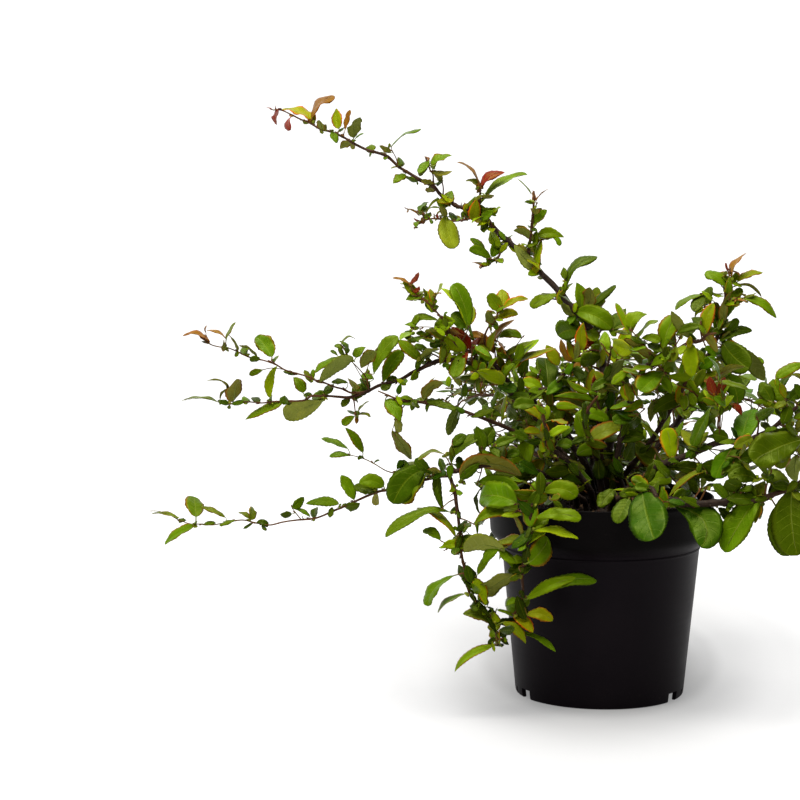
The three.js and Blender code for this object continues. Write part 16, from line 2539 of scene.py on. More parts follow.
def blade(pile, B, M, T, W, N, kind, rng, stip=False, coarse=1.0):
    """One leaf blade: a thin closed sheet with a folded midrib, arched sides, waves and a toothed edge."""
    B, M, T, N = (np.asarray(x, float) for x in (B, M, T, N))
    L = np.linalg.norm(T - B)
    C = 2 * M - (B + T) / 2
    rows = int(np.clip(L / (1.5 * coarse), 6, 34))
    if stip:
        rows = 6
    cols = 8 if W > 10.5 * coarse else 6 if W > 5.5 * coarse else 4
    if rows % 2:
        rows += 1
    s = np.linspace(0, 1, rows + 1)
    s = s - 0.06 * np.sin(2 * np.pi * s)  # rows closer at both ends
    style = rng.random()
    big = W * L > 420
    if W > 0.6 * L and W > 15:
        pa, pb = rng.uniform(0.62, 0.72), rng.uniform(0.42, 0.50)  # nearly round
    elif kind in "mduhgpn" and (big or style < 0.35):
        pa, pb = rng.uniform(0.80, 1.0), rng.uniform(0.42, 0.56)  # obovate, round end
    elif style < 0.75:
        pa, pb = rng.uniform(0.62, 0.80), rng.uniform(0.62, 0.85)  # elliptic
    else:
        pa, pb = rng.uniform(0.60, 0.75), rng.uniform(0.85, 1.05)  # ovate, pointed
    w = np.power(np.clip(s, 1e-9, 1), pa) * np.power(np.clip(1 - s, 1e-9, 1), pb)
    w = w / w.max()
    w[0] = w[-1] = 0
    P = ((1 - s) ** 2)[:, None] * B + (2 * s * (1 - s))[:, None] * C + (s**2)[:, None] * T
    t = unit(2 * (1 - s)[:, None] * (C - B) + 2 * s[:, None] * (T - C))
    n = unit(N[None] - t * (t @ N)[:, None])
    e = np.cross(t, n)
    tw = rng.uniform(-0.35, 0.35) * (s - 0.2)
    n, e = n * np.cos(tw)[:, None] + e * np.sin(tw)[:, None], e * np.cos(tw)[:, None] - n * np.sin(tw)[:, None]
    u = np.linspace(-1, 1, cols + 1)
    half = W / 2
    fold = rng.uniform(0.08, 0.40)
    arch = rng.uniform(0.04, 0.26)
    wave_a, wave_k, wave_p = rng.uniform(0.03, 0.10) * W, rng.uniform(1.2, 2.4), rng.uniform(0, 6.28)
    wave_q = rng.uniform(0.3, 1.8)
    skew = rng.uniform(-0.06, 0.06)
    tip_curl = rng.uniform(-0.03, 0.07) * L
    U, S = np.meshgrid(u, s)
    Wd = half * w[:, None] * (1 + skew * np.sign(U))
    tooth = np.ones_like(U)
    depth = float(np.clip(0.28 / max(W / 2, 1), 0.018, 0.045))
    alt = np.where(np.arange(rows + 1) % 2 == 0, 1 + depth, 1 - depth)
    tooth[:, 0] = alt
    tooth[:, -1] = alt
    x = U * Wd * tooth
    z = Wd * (fold * np.abs(U) - arch * U**2 * (0.6 + 0.8 * S)) + wave_a * np.sin(2 * np.pi * wave_k * S + wave_p + wave_q * np.sign(U)) * U**2 * w[:, None]
    # the side veins press shallow furrows into the upper side
    if W > 7 and not stip:
        z = z - 0.014 * W * np.cos(2 * np.pi * (S * 7 - np.abs(U) * 1.3)) * np.abs(U) * (1 - U**2) * w[:, None]
    z = z - tip_curl * (S**3) * 1.0
    mid = P[:, None] + e[:, None] * x[..., None] + n[:, None] * z[..., None]
    th = (0.17 if W > 9 else 0.14 if W > 4 else 0.11) * np.clip(1 - np.abs(U) ** 4, 0, 1) * np.clip(w[:, None] * 3, 0, 1)
    top = mid + n[:, None] * th[..., None]
    bot = mid - n[:, None] * th[..., None]
    nr, nc = rows + 1, cols + 1
    idx = np.full((nr, nc), -1)
    V, uv = [], []
    # upper grid: the two end rows are single points
    for i in range(nr):
        if i in (0, nr - 1):
            idx[i, :] = len(V)
            V.append(P[i] - (n[i] * tip_curl if i else 0))
            uv.append((0.5, s[i]))
        else:
            for j in range(nc):
                idx[i, j] = len(V)
                V.append(top[i, j])
                uv.append((0.5 + 0.5 * u[j], s[i]))
    low = idx.copy()
    for i in range(1, nr - 1):
        for j in range(1, nc - 1):
            low[i, j] = len(V)
            V.append(bot[i, j])
            uv.append((0.5 + 0.5 * u[j], s[i]))
    F, mt = [], []

    def quads(g, flip, m):
        a, b, c, d = g[:-1, :-1].ravel(), g[:-1, 1:].ravel(), g[1:, :-1].ravel(), g[1:, 1:].ravel()
        t1, t2 = (np.stack([a, c, b], 1), np.stack([b, c, d], 1)) if flip else (np.stack([a, b, c], 1), np.stack([b, d, c], 1))
        t = np.vstack([t1, t2])
        t = t[(t[:, 0] != t[:, 1]) & (t[:, 1] != t[:, 2]) & (t[:, 2] != t[:, 0])]
        F.append(t)
        mt.append(np.full(len(t), m))

    quads(idx, True, TOP)
    quads(low, False, UNDER)
    F, mt = np.vstack(F), np.concatenate(mt)
    V, uv = np.array(V), np.array(uv)
    # outward check: the upper faces look along n
    q = F[mt == TOP][len(F) // 4 % max(1, (mt == TOP).sum())]
    g = np.cross(V[q[1]] - V[q[0]], V[q[2]] - V[q[0]])
    if g @ n[len(n) // 2] < 0:
        F = F[:, [0, 2, 1]]
    up, dn, ed = KINDS[kind]
    gain = rng.uniform(0.82, 1.2)
    warm = rng.uniform(-0.12, 0.16)
    tint = lambda c: np.array([c[0] * gain * (1 + warm), c[1] * gain, c[2] * gain * (1 - warm)])
    if kind in "molpy" and W > 4 and rng.random() < (0.7 if kind == "o" else 0.42):
        # sun-caught blades have a bronze margin
        ed = (ed[0] * 1.65 + 0.03, ed[1] * 0.46, ed[2] * 1.1)
    col = np.tile(tint(up), (len(V), 1))
    col[idx.max() + 1 :] = tint(dn)
    pile.add(V, F, mt, uv, col, np.tile(tint(ed), (len(V), 1)))
    return P, n, w


def petiole(pile, S, B, P, n, W, kind, rng):
    """The stalk from the stem to the blade, running on under the blade as its midrib."""
    S, B = np.asarray(S, float), np.asarray(B, float)
    L = np.linalg.norm(P[-1] - P[0])
    r = float(np.clip(0.22 + 0.022 * W, 0.24, 0.72))
    d = np.linalg.norm(B - S)
    pts = []
    if d > 0.6:
        t0 = unit(P[min(2, len(P) - 1)] - P[0])
        mid = (S + B) / 2 - t0 * d * 0.12 + np.array([0, 0, -0.04 * d])
        pts += [[*S, r * 1.25], [*mid, r * 1.0]]
    else:
        pts += [[*(S), r]]
    k = len(P)
    for f, g in ((0.0, 1.0), (0.22, 0.8), (0.45, 0.6), (0.68, 0.42), (0.86, 0.25)):
        i = int(round(f * (k - 1)))
        q = P[i] - n[i] * (0.12 + 0.1 * (f < 0.8)) * (f > 0)
        pts.append([*q, r * g])
    pts = np.array(pts)
    keep = [0] + [i for i in range(1, len(pts)) if np.linalg.norm(pts[i, :3] - pts[i - 1, :3]) > 0.25]
    pts = pts[keep]
    if len(pts) < 3:
        return
    up, dn, ed = KINDS[kind]
    stalk = np.array([0.135, 0.175, 0.012]) if kind not in "rb" else np.array([0.18, 0.045, 0.012])
    red = rng.random() < 0.35
    c = np.tile(stalk, (len(pts), 1))
    if red:
        c[:2] = (0.20, 0.055, 0.022)
    c[2:] = 0.5 * c[2:] + 0.5 * np.array(dn)
    tube(pile, pts, 5 if W > 6 else 4, STALK, c)


def in_stem(p, lines):
    """The nearest point to p on the stems, with its radius and direction."""
    best = (1e9, None, 1, None)
    for l in lines:
        d = np.linalg.norm(l[:, :3] - p, axis=1)
        i = int(d.argmin())
        if d[i] < best[0]:
            a, b = l[max(0, i - 1), :3], l[min(len(l) - 1, i + 1), :3]
            best = (d[i], l[i, :3], l[i, 3], unit(b - a))
    return best


# ------------------------------------------------------------------ materials
def nodes_of(mat):
    mat.use_nodes = True
    nt = mat.node_tree
    nt.nodes.clear()
    out = nt.nodes.new("ShaderNodeOutputMaterial")
    bs = nt.nodes.new("ShaderNodeBsdfPrincipled")
    nt.links.new(bs.outputs[0], out.inputs[0])
    return nt, bs


class Net:
    """A little shorthand for node trees."""

    def __init__(self, mat):
        self.nt, self.bs = nodes_of(mat)

    def new(self, kind, **kw):
        n = self.nt.nodes.new(kind)
        for k, v in kw.items():
            setattr(n, k, v)
        return n

    def put(self, sock, val):
        if isinstance(val, bpy.types.NodeSocket):
            self.nt.links.new(val, sock)
        elif val is not None:
            sock.default_value = val

    def math(self, op, a, b=None, c=None, clamp=False):
        n = self.new("ShaderNodeMath", operation=op, use_clamp=clamp)
        for i, x in enumerate((a, b, c)):
            self.put(n.inputs[i], x)
        return n.outputs[0]

    def mix(self, f, a, b, mode="MIX"):
        n = self.new("ShaderNodeMix", data_type="RGBA", blend_type=mode)
        self.put(n.inputs[0], f)
        self.put(n.inputs[6], a)
        self.put(n.inputs[7], b)
        return n.outputs[2]

    def ramp(self, x, stops):
        n = self.new("ShaderNodeMapRange", interpolation_type="SMOOTHSTEP")
        self.put(n.inputs[0], x)
        for i, v in enumerate(stops):
            n.inputs[i + 1].default_value = v
        return n.outputs[0]

    def noise(self, vec, scale, detail=3.0, rough=0.55, dist=0.0, dim="3D"):
        n = self.new("ShaderNodeTexNoise", noise_dimensions=dim)
        if vec is not None:
            self.put(n.inputs["Vector"], vec)
        n.inputs["Scale"].default_value = scale
        n.inputs["Detail"].default_value = detail
        n.inputs["Roughness"].default_value = rough
        n.inputs["Distortion"].default_value = dist
        return n.outputs["Fac"]

    def bump(self, h, strength, distance, normal=None):
        n = self.new("ShaderNodeBump")
        n.inputs["Strength"].default_value = strength
        n.inputs["Distance"].default_value = distance
        self.put(n.inputs["Height"], h)
        if normal is not None:
            self.put(n.inputs["Normal"], normal)
        return n.outputs[0]

    def attr(self, name):
        return self.new("ShaderNodeAttribute", attribute_name=name).outputs["Color"]


def leaf_material(name, under):
    mat = bpy.data.materials.new(name)
    k = Net(mat)
    uv = k.new("ShaderNodeUVMap", uv_map="UVMap").outputs[0]
    sep = k.new("ShaderNodeSeparateXYZ")
    k.put(sep.inputs[0], uv)
    obj = k.new("ShaderNodeTexCoord").outputs["Object"]
    a = k.math("ABSOLUTE", k.math("MULTIPLY_ADD", sep.outputs[0], 2.0, -1.0))
    # side veins: slanted lines that fade towards the edge; a net of finer ones between them
    ph = k.math("FRACT", k.math("SUBTRACT", k.math("MULTIPLY", sep.outputs[1], 7.0), k.math("MULTIPLY", a, 1.3)))
    vein = k.ramp(k.math("ABSOLUTE", k.math("SUBTRACT", ph, 0.5)), (0.02, 0.09, 1.0, 0.0))
    vein = k.math("MULTIPLY", vein, k.ramp(a, (0.55, 0.98, 1.0, 0.0)))
    midrib = k.ramp(a, (0.025, 0.085, 1.0, 0.0))
    net = k.new("ShaderNodeTexVoronoi", feature="DISTANCE_TO_EDGE")
    k.put(net.inputs["Vector"], obj)
    net.inputs["Scale"].default_value = 620.0
    fine = k.ramp(net.outputs["Distance"], (0.0, 0.12, 1.0, 0.0))
    mott = k.noise(obj, 240.0, 4.0, 0.6)
    patch = k.noise(obj, 55.0, 3.0, 0.5)
    base = k.attr("tint")
    edge = k.attr("edge_tint")
    col = k.mix(k.ramp(a, (0.64, 1.0, 0.0, 0.9)), base, edge)
    dark = k.mix(0.5, base, (0.0, 0.0, 0.0, 1.0))
    col = k.mix(k.ramp(patch, (0.35, 0.68, 0.0, 0.45)), col, dark)
    lighter = k.mix(1.0, base, (1.75, 1.42, 1.2, 1.0), "MULTIPLY")
    col = k.mix(k.ramp(mott, (0.5, 0.85, 0.0, 0.4)), col, lighter)
    if under:
        pale = k.mix(0.35, base, (0.30, 0.33, 0.12, 1.0))
        col = k.mix(k.math("MULTIPLY", fine, 0.22), col, pale)
        col = k.mix(k.math("MULTIPLY", vein, 0.55), col, pale)
        h = k.math("ADD", k.math("MULTIPLY", vein, 1.0), k.math("ADD", k.math("MULTIPLY", fine, 0.3), k.math("MULTIPLY", mott, 0.25)))
        nrm = k.bump(h, 0.55, 0.00035)
        rough = k.ramp(mott, (0.3, 0.8, 0.50, 0.66))
        k.bs.inputs["Specular IOR Level"].default_value = 0.05
        k.bs.inputs["Specular Tint"].default_value = (0.8, 0.9, 0.08, 1.0)
    else:
        pale = k.mix(0.30, base, (0.34, 0.38, 0.02, 1.0))
        col = k.mix(k.math("MULTIPLY", vein, 0.08), col, pale)
        col = k.mix(k.math("MULTIPLY", midrib, 0.28), col, pale)
        h = k.math("ADD", k.math("MULTIPLY", vein, -0.8), k.math("ADD", k.math("MULTIPLY", midrib, -1.0), k.math("ADD", k.math("MULTIPLY", fine, -0.14), k.math("MULTIPLY", mott, 0.35))))
        nrm = k.bump(h, 0.5, 0.00035)
        rough = k.ramp(mott, (0.3, 0.8, 0.26, 0.42))
        k.bs.inputs["Specular IOR Level"].default_value = 0.17
        k.bs.inputs["Specular Tint"].default_value = (0.75, 0.95, 0.06, 1.0)
    k.put(k.bs.inputs["Base Color"], k.mix(1.0, col, (1.10, 1.04, 0.80, 1.0), "MULTIPLY"))
    k.put(k.bs.inputs["Roughness"], rough)
    k.put(k.bs.inputs["Normal"], nrm)
    return mat


def stalk_material():
    mat = bpy.data.materials.new("leaf_stalk")
    k = Net(mat)
    obj = k.new("ShaderNodeTexCoord").outputs["Object"]
    m = k.noise(obj, 500.0, 3.0)
    col = k.mix(k.ramp(m, (0.35, 0.7, 0.0, 0.4)), k.attr("tint"), (0.07, 0.095, 0.008, 1.0))
    k.put(k.bs.inputs["Base Color"], col)
    k.put(k.bs.inputs["Roughness"], k.ramp(m, (0.3, 0.8, 0.38, 0.6)))
    k.bs.inputs["Specular IOR Level"].default_value = 0.15
    k.put(k.bs.inputs["Normal"], k.bump(m, 0.3, 0.0002))
    return mat


def bark_material():
    mat = bpy.data.materials.new("quince_bark")
    k = Net(mat)
    uv = k.new("ShaderNodeUVMap", uv_map="UVMap").outputs[0]
    obj = k.new("ShaderNodeTexCoord").outputs["Object"]
    fibre = k.noise(obj, 380.0, 5.0, 0.6, 0.6)
    blotch = k.noise(obj, 90.0, 4.0, 0.6)
    vor = k.new("ShaderNodeTexVoronoi", feature="F1")
    k.put(vor.inputs["Vector"], obj)
    vor.inputs["Scale"].default_value = 330.0
    spot = k.ramp(vor.outputs["Distance"], (0.10, 0.24, 1.0, 0.0))  # small corky dots
    base = k.attr("tint")
    dark = k.mix(1.0, base, (0.42, 0.40, 0.42, 1.0), "MULTIPLY")
    col = k.mix(k.ramp(blotch, (0.38, 0.66, 0.0, 0.75)), base, dark)
    grey = k.mix(0.35, base, (0.13, 0.095, 0.060, 1.0))
    col = k.mix(k.ramp(fibre, (0.52, 0.78, 0.0, 0.55)), col, grey)
    col = k.mix(k.math("MULTIPLY", spot, 0.45), col, (0.17, 0.12, 0.075, 1.0))
    h = k.math("ADD", k.math("MULTIPLY", fibre, 0.8), k.math("ADD", k.math("MULTIPLY", spot, 0.6), k.math("MULTIPLY", blotch, 0.5)))
    k.put(k.bs.inputs["Base Color"], col)
    k.put(k.bs.inputs["Roughness"], k.ramp(fibre, (0.3, 0.75, 0.42, 0.72)))
    k.bs.inputs["Specular IOR Level"].default_value = 0.08
    k.put(k.bs.inputs["Normal"], k.bump(h, 0.6, 0.0004))
    return mat


def pot_material():
    mat = bpy.data.materials.new("black_pot_plastic")
    k = Net(mat)
    obj = k.new("ShaderNodeTexCoord").outputs["Object"]
    grain = k.noise(obj, 900.0, 3.0, 0.6)
    cloud = k.noise(obj, 22.0, 4.0, 0.55)
    # long level streaks left by moulding
    mp = k.new("ShaderNodeMapping")
    mp.inputs["Scale"].default_value = (6.0, 6.0, 420.0)
    k.put(mp.inputs["Vector"], obj)
    streak = k.noise(mp.outputs[0], 1.0, 3.0, 0.5)
    # dust and dried soil, more of it low down
    dust = k.noise(obj, 260.0, 5.0, 0.7)
    sep = k.new("ShaderNodeSeparateXYZ")
    k.put(sep.inputs[0], obj)
    low = k.ramp(sep.outputs[2], (0.0, 0.05, 1.0, 0.25))
    dusty = k.math("MULTIPLY", k.ramp(dust, (0.60, 0.78, 0.0, 1.0)), low)
    dusty = k.math("MULTIPLY", dusty, k.ramp(cloud, (0.40, 0.65, 0.1, 0.6)))
    col = k.mix(k.ramp(cloud, (0.3, 0.7, 0.0, 1.0)), (0.0050, 0.0034, 0.0048, 1.0), (0.0066, 0.0046, 0.0060, 1.0))
    # painted shade: the collar band above the crease is painted darker and made less glossy than the wall below
    collar = k.ramp(sep.outputs[2], (0.126, 0.138, 0.0, 1.0))
    col = k.mix(collar, col, (0.0028, 0.0022, 0.0022, 1.0))
    col = k.mix(k.math("MULTIPLY", dusty, 0.5), col, (0.060, 0.048, 0.038, 1.0))
    rough = k.math("ADD", k.ramp(cloud, (0.3, 0.7, 0.36, 0.46)), k.math("ADD", k.math("MULTIPLY", streak, 0.07), k.math("MULTIPLY", dusty, 0.3)))
    h = k.math("ADD", k.math("MULTIPLY", grain, 0.5), k.math("MULTIPLY", streak, 0.6))
    k.put(k.bs.inputs["Base Color"], col)
    k.put(k.bs.inputs["Roughness"], rough)
    k.put(k.bs.inputs["Normal"], k.bump(h, 0.22, 0.00025))
    k.put(k.bs.inputs["Specular IOR Level"], k.math("SUBTRACT", 0.036, k.math("MULTIPLY", collar, 0.013)))
    return mat


def soil_material():
    mat = bpy.data.materials.new("moist_compost")
    k = Net(mat)
    obj = k.new("ShaderNodeTexCoord").outputs["Object"]
    a = k.noise(obj, 420.0, 6.0, 0.65)
    b = k.noise(obj, 110.0, 4.0, 0.6)
    base = k.attr("tint")
    col = k.mix(k.ramp(a, (0.35, 0.7, 0.0, 0.8)), base, k.mix(1.0, base, (0.35, 0.33, 0.34, 1.0), "MULTIPLY"))
    col = k.mix(k.ramp(b, (0.55, 0.8, 0.0, 0.35)), col, (0.060, 0.036, 0.022, 1.0))
    k.put(k.bs.inputs["Base Color"], col)
    k.put(k.bs.inputs["Roughness"], k.ramp(b, (0.3, 0.7, 0.72, 0.95)))
    k.put(k.bs.inputs["Normal"], k.bump(k.math("ADD", a, b), 0.8, 0.0012))
    k.bs.inputs["Specular IOR Level"].default_value = 0.12
    return mat


LEAF_TOP, LEAF_UNDER = leaf_material("quince_leaf_upper", False), leaf_material("quince_leaf_under", True)
LEAF_STALK, BARK, POT, SOIL = stalk_material(), bark_material(), pot_material(), soil_material()

OLD = np.array([0.024, 0.014, 0.009])
MIDDLE = np.array([0.052, 0.022, 0.010])
YOUNG = np.array([0.110, 0.044, 0.010])
GREENISH = np.array([0.120, 0.135, 0.015])


def bark_colour(r, rng_shift):
    """From dark brown on thick wood, over red-brown, to red-green at thin tips."""
    r = np.asarray(r, float)
    out = np.zeros((len(r), 3))
    for i, x in enumerate(r):
        x = x * rng_shift
        if x > 2.4:
            c = OLD
        elif x > 1.2:
            f = (x - 1.2) / 1.2
            c = OLD * f + MIDDLE * (1 - f)
        elif x > 0.6:
            f = (x - 0.6) / 0.6
            c = MIDDLE * f + YOUNG * (1 - f)
        else:
            f = x / 0.6
            c = YOUNG * f + GREENISH * (1 - f)
        out[i] = c
    return out


def thorn(pile, p, t, out, length, r):
    d = unit(out + 0.35 * t)
    a = p
    pts = np.array([[*a, r * 1.3], [*(a + d * length * 0.35), r * 0.75], [*(a + d * length * 0.75 + t * 0.04 * length), r * 0.38], [*(a + d * length + t * 0.08 * length), 0.05]])
    tube(pile, pts, 5, 0, np.array([[0.055, 0.030, 0.022], [0.065, 0.032, 0.022], [0.09, 0.045, 0.025], [0.12, 0.07, 0.04]]), pointed=True)


# ------------------------------------------------------------------ canes
SLIM = {"cane_front_left": 0.72, "cane_front_pot": 0.72, "cane_left_mid": 0.72, "cane_right_up": 0.85, "cane_right_mid": 0.88, "cane_left_long": 0.85}


def build_cane(ci, name, main, shoots, leaves):
    rng = random.Random(1000 + ci)
    lines = [smooth_line(main, 2.6)] + [smooth_line(s, 1.8) for s in shoots]
    wood, green = Pile(), Pile()
    knots = []
    snapped = []
    for lf in leaves:
        S = np.array(lf[0:3], float)
        d, q, r, t = in_stem(S, lines)
        snapped.append((q, r, t))
        knots.append([*q, (0.05 + 0.30 * min(1.0, 0.7 / max(r, 0.35))) * rng.uniform(0.6, 1.2)])
    shift = rng.uniform(0.85, 1.15)
    for li, l in enumerate(lines):
        l = l.copy()
        l[:, 3] = np.maximum(np.minimum(l[:, 3], 0.12 + 0.86 * l[:, 3] * SLIM.get(name, 1.0)), 0.34)
        thick = l[:, 3].max()
        near = [k for k in knots]
        sides = 12 if thick > 3 else 10 if thick > 2 else 8 if thick > 1 else 6
        tube(wood, l, sides, 0, bark_colour(l[:, 3], shift), near, 0.05 if thick > 1.2 else 0.035, seed=ci * 50 + li)
    # thorns and buds
    for li, l in enumerate(lines):
        along = np.concatenate([[0], np.cumsum(np.linalg.norm(np.diff(l[:, :3], axis=0), axis=1))])
        at = rng.uniform(18, 40) + (22 if li == 0 else 0)
        tt, uu, vv = frames(l[:, :3])
        ang = rng.uniform(0, 6.28)
        while at < along[-1] - 12:
            i = int(np.searchsorted(along, at))
            r = l[i, 3]
            if l[i, 2] > 166 or math.hypot(l[i, 0], l[i, 1]) > 98:
                o = uu[i] * math.cos(ang) + vv[i] * math.sin(ang)
                if r > 0.7 and rng.random() < 0.55:
                    thorn(wood, l[i, :3] + o * r * 0.6, tt[i], o, rng.uniform(3.0, 6.5), min(0.62, 0.3 + r * 0.14))
            ang += 2.4
            at += rng.uniform(14, 30)
    for (q, r, t), lf in zip(snapped, leaves):
        S = np.array(q)
        B, M, T = (np.array(lf[i : i + 3], float) for i in (3, 6, 9))
        W, N, kind = lf[12], np.array(lf[13:16], float), lf[16]
        rng = random.Random("%.1f %.1f %.1f %.1f" % (lf[3], lf[4], lf[5], lf[12]))
        P, n, w = blade(green, B, M, T, W, N, kind, rng, coarse=1.2 if "_back_" in name else 1.0)
        petiole(green, S, B, P, n, W, kind, rng)
        out = unit(B - S) if np.linalg.norm(B - S) > 0.3 else unit(T - B)
        out = out - t * (out @ t)
        if np.linalg.norm(out) < 0.15:
            out = np.cross(t, [0.3, 0.5, 0.8])
        out = unit(out)
        # a bud in the axil
        b0 = S + out * (r * 0.85) + t * 0.9
        rb = rng.uniform(0.45, 0.8)
        tube(wood, [[*(b0 - t * 0.5), rb * 0.7], [*(b0 + out * 0.2 + t * 0.3), rb], [*(b0 + out * 0.5 + t * (0.7 + rb)), rb * 0.6], [*(b0 + out * 0.6 + t * (1.1 + 1.6 * rb)), 0.06]], 5, 0, (0.12, 0.045, 0.022), pointed=True)
        # a pair of small kidney-shaped stipules that hug the stem
        if W > 5.5 and rng.random() < 0.42:
            side = np.cross(t, out)
            for sg in (-1, 1):
                l0 = rng.uniform(2.2, 4.6) * (1.0 if W < 12 else 1.25)
                b1 = S + out * r * 0.5 + side * sg * r * 0.7
                d1 = unit(side * sg * 0.9 + out * 0.55 + t * rng.uniform(0.0, 0.7) + np.array([0, 0, rng.uniform(-0.3, 0.2)]))
                n1 = unit(np.cross(np.cross(d1, out + 0.4 * t), d1) + 0.2 * out)
                t1 = b1 + d1 * l0
                blade(green, b1, (b1 + t1) / 2 + n1 * 0.1 * l0, t1, l0 * rng.uniform(0.8, 1.15), n1, rng.choice("lmlmd") if kind not in "rb" else "b", rng, stip=True)
    bark = wood.make(name + "_bark", [BARK])
    foliage = green.make(name + "_leaves", [LEAF_TOP, LEAF_UNDER, LEAF_STALK])
    for ob, sl in ((bark, "bark"), (foliage, "leaf")):
        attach(ob, "root")
        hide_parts(name)
    return bark, foliage


tris = {}
for ci, (name, main, shoots, leaves) in enumerate(CANES):
    b, f = build_cane(ci, name, main, shoots, leaves)
    tris[b.name], tris[f.name] = len(b.data.polygons), len(f.data.polygons)

# ------------------------------------------------------------------ the pot
SEG = 160


def lathe(profile, seg=SEG):
    """A closed solid of revolution: the profile starts and ends on the axis."""
    inner = profile[1:-1]
    m = len(inner)
    V = [(0, 0, profile[0][1]), (0, 0, profile[-1][1])]
    a = np.arange(seg) / seg * 2 * np.pi
    for x in a:
        for r, z in inner:
            V.append((math.cos(x) * r, math.sin(x) * r, z))
    F = []
    for i in range(seg):
        o, p = 2 + i * m, 2 + ((i + 1) % seg) * m
        F += [(0, o, p), (1, p + m - 1, o + m - 1)]
        for j in range(m - 1):
            F += [(o + j, o + j + 1, p + j + 1, p + j)]
    return V, F


def bezier_corner(a, b, c, n):
    """Rounds a corner of a profile."""
    a, b, c = (np.array(x, float) for x in (a, b, c))
    return [tuple((1 - t) ** 2 * a + 2 * t * (1 - t) * b + t * t * c) for t in np.linspace(0, 1, n)]


def raw_object(name, V, F):
    me = bpy.data.meshes.new(name)
    me.from_pydata([tuple(MM * x for x in v) for v in V], [], F)
    me.update()
    ob = bpy.data.objects.new(name, me)
    bpy.context.scene.collection.objects.link(ob)
    return ob


H, RIM, COL_Z, COL_R, STEP_Z, STEP_R, LOW_Z, LOW_R, WALL = 168.0, 95.0, 139.0, 93.2, 124.5, 83.2, 10.5, 72.0, 1.5
FLOOR, FOOT_R, FOOT_IN, PAD = 12.5, 69.8, 67.4, 14.0
tap = (LOW_R - STEP_R) / (LOW_Z - STEP_Z)
outer = []
outer += bezier_corner((RIM - 1.1, H), (RIM - 0.1, H), (RIM, H - 1.0), 6)  # rounded lip
outer += [(RIM, H - 2.6), (RIM - 0.15, H - 3.4), (RIM - 0.35, H - 3.7)]  # a fine bead under the lip
outer += [(RIM - 0.42, H - 8), (94.1, 153), (93.5, 145)]
outer += bezier_corner((COL_R, COL_Z + 1.6), (COL_R - 0.1, COL_Z - 1.6), (COL_R - 1.8, COL_Z - 3.8), 7)
outer += [(COL_R - 3.4, COL_Z - 5.6), (COL_R - 5.2, COL_Z - 7.5), (COL_R - 6.8, COL_Z - 9.2)]
outer += bezier_corner((STEP_R + 2.0, STEP_Z + 4.4), (STEP_R + 0.5, STEP_Z + 2.6), (STEP_R + 0.25, STEP_Z + 1.9), 5)
outer += [(STEP_R + 0.2, STEP_Z + 1.55), (STEP_R + 0.62, STEP_Z + 1.45), (STEP_R + 0.72, STEP_Z + 1.2), (STEP_R + 0.66, STEP_Z + 0.4), (STEP_R + 0.1, STEP_Z - 0.2), (STEP_R - 0.05, STEP_Z - 1.0)]  # the crease's small ledge
for z in (112, 98, 84, 70, 56, 42, 28, 20):
    outer.append((LOW_R + tap * (z - LOW_Z), z))
outer += [(LOW_R, LOW_Z), (LOW_R - 0.45, 5.5), (LOW_R - 0.85, 2.4)]
outer += bezier_corner((LOW_R - 1.0, 1.4), (FOOT_R + 0.7, 0.1), (FOOT_R - 0.2, 0.0), 5)
under = [(FOOT_IN + 0.5, 0.0), (FOOT_IN, 0.5), (FOOT_IN + 0.4, 4.0), (FOOT_IN + 1.0, LOW_Z - 1.6)]
under += bezier_corner((FOOT_IN + 1.1, LOW_Z - 1.2), (FOOT_IN + 1.1, LOW_Z), (FOOT_IN - 0.6, LOW_Z), 4)
under += [(46, LOW_Z), (30, LOW_Z), (PAD + 2.2, LOW_Z), (PAD + 1.4, LOW_Z - 0.8), (PAD + 0.5, 0.5), (PAD, 0.0), (PAD - 5, 0.0)]
inner = [(40, FLOOR), (62, FLOOR), (LOW_R + tap * 2 - WALL - 1.5, FLOOR), (LOW_R + tap * 3.5 - WALL, FLOOR + 1.6)]
for z in (40, 80, 110):
    inner.append((LOW_R + tap * (z - LOW_Z) - WALL, z))
inner += [(STEP_R - WALL, STEP_Z), (STEP_R + 1.4 - WALL * 0.9, STEP_Z + 4.2), (COL_R - 5 - WALL * 0.8, COL_Z - 6.4), (COL_R - WALL, COL_Z), (94.0 - WALL, 153), (RIM - 0.3 - WALL, H - 3)]
inner += bezier_corner((RIM - WALL, H - 0.8), (RIM - WALL + 0.05, H), (RIM - WALL + 0.35, H), 3)
V, F = lathe([(0, FLOOR)] + inner + outer + under + [(0, 0.0)])
pot = raw_object("pot_shell", V, F)

# cutters for the gaps in the foot and the drain holes
CV, CF = [], []


def add_prism(ring, z0, z1):
    o, k = len(CV), len(ring)
    CV.extend([(x, y, z0) for x, y in ring] + [(x, y, z1) for x, y in ring])
    CF.append(tuple(o + i for i in reversed(range(k))))
    CF.append(tuple(o + k + i for i in range(k)))
    for i in range(k):
        j = (i + 1) % k
        CF.append((o + i, o + j, o + k + j, o + k + i))


for c, wide, high in ((-31, 10.5, 7.8), (211, 10.5, 7.8), (90, 10.5, 7.8), (-15, 2.6, 6.5), (195, 2.6, 6.5)):
    a = [math.radians(c + d) for d in np.linspace(-wide / 2, wide / 2, 5)]
    lo = [(math.cos(x) * 58, math.sin(x) * 58) for x in a] + [(math.cos(x) * 90, math.sin(x) * 90) for x in reversed(a)]
    add_prism(lo, -1, high)
for i in range(5):
    a = (i + 0.5) / 5 * 2 * math.pi
    add_prism([(math.cos(a) * 44 + 5 * math.cos(b), math.sin(a) * 44 + 5 * math.sin(b)) for b in np.arange(24) / 24 * 2 * math.pi], 8, 15)
cutter = raw_object("pot_cutter", CV, CF)


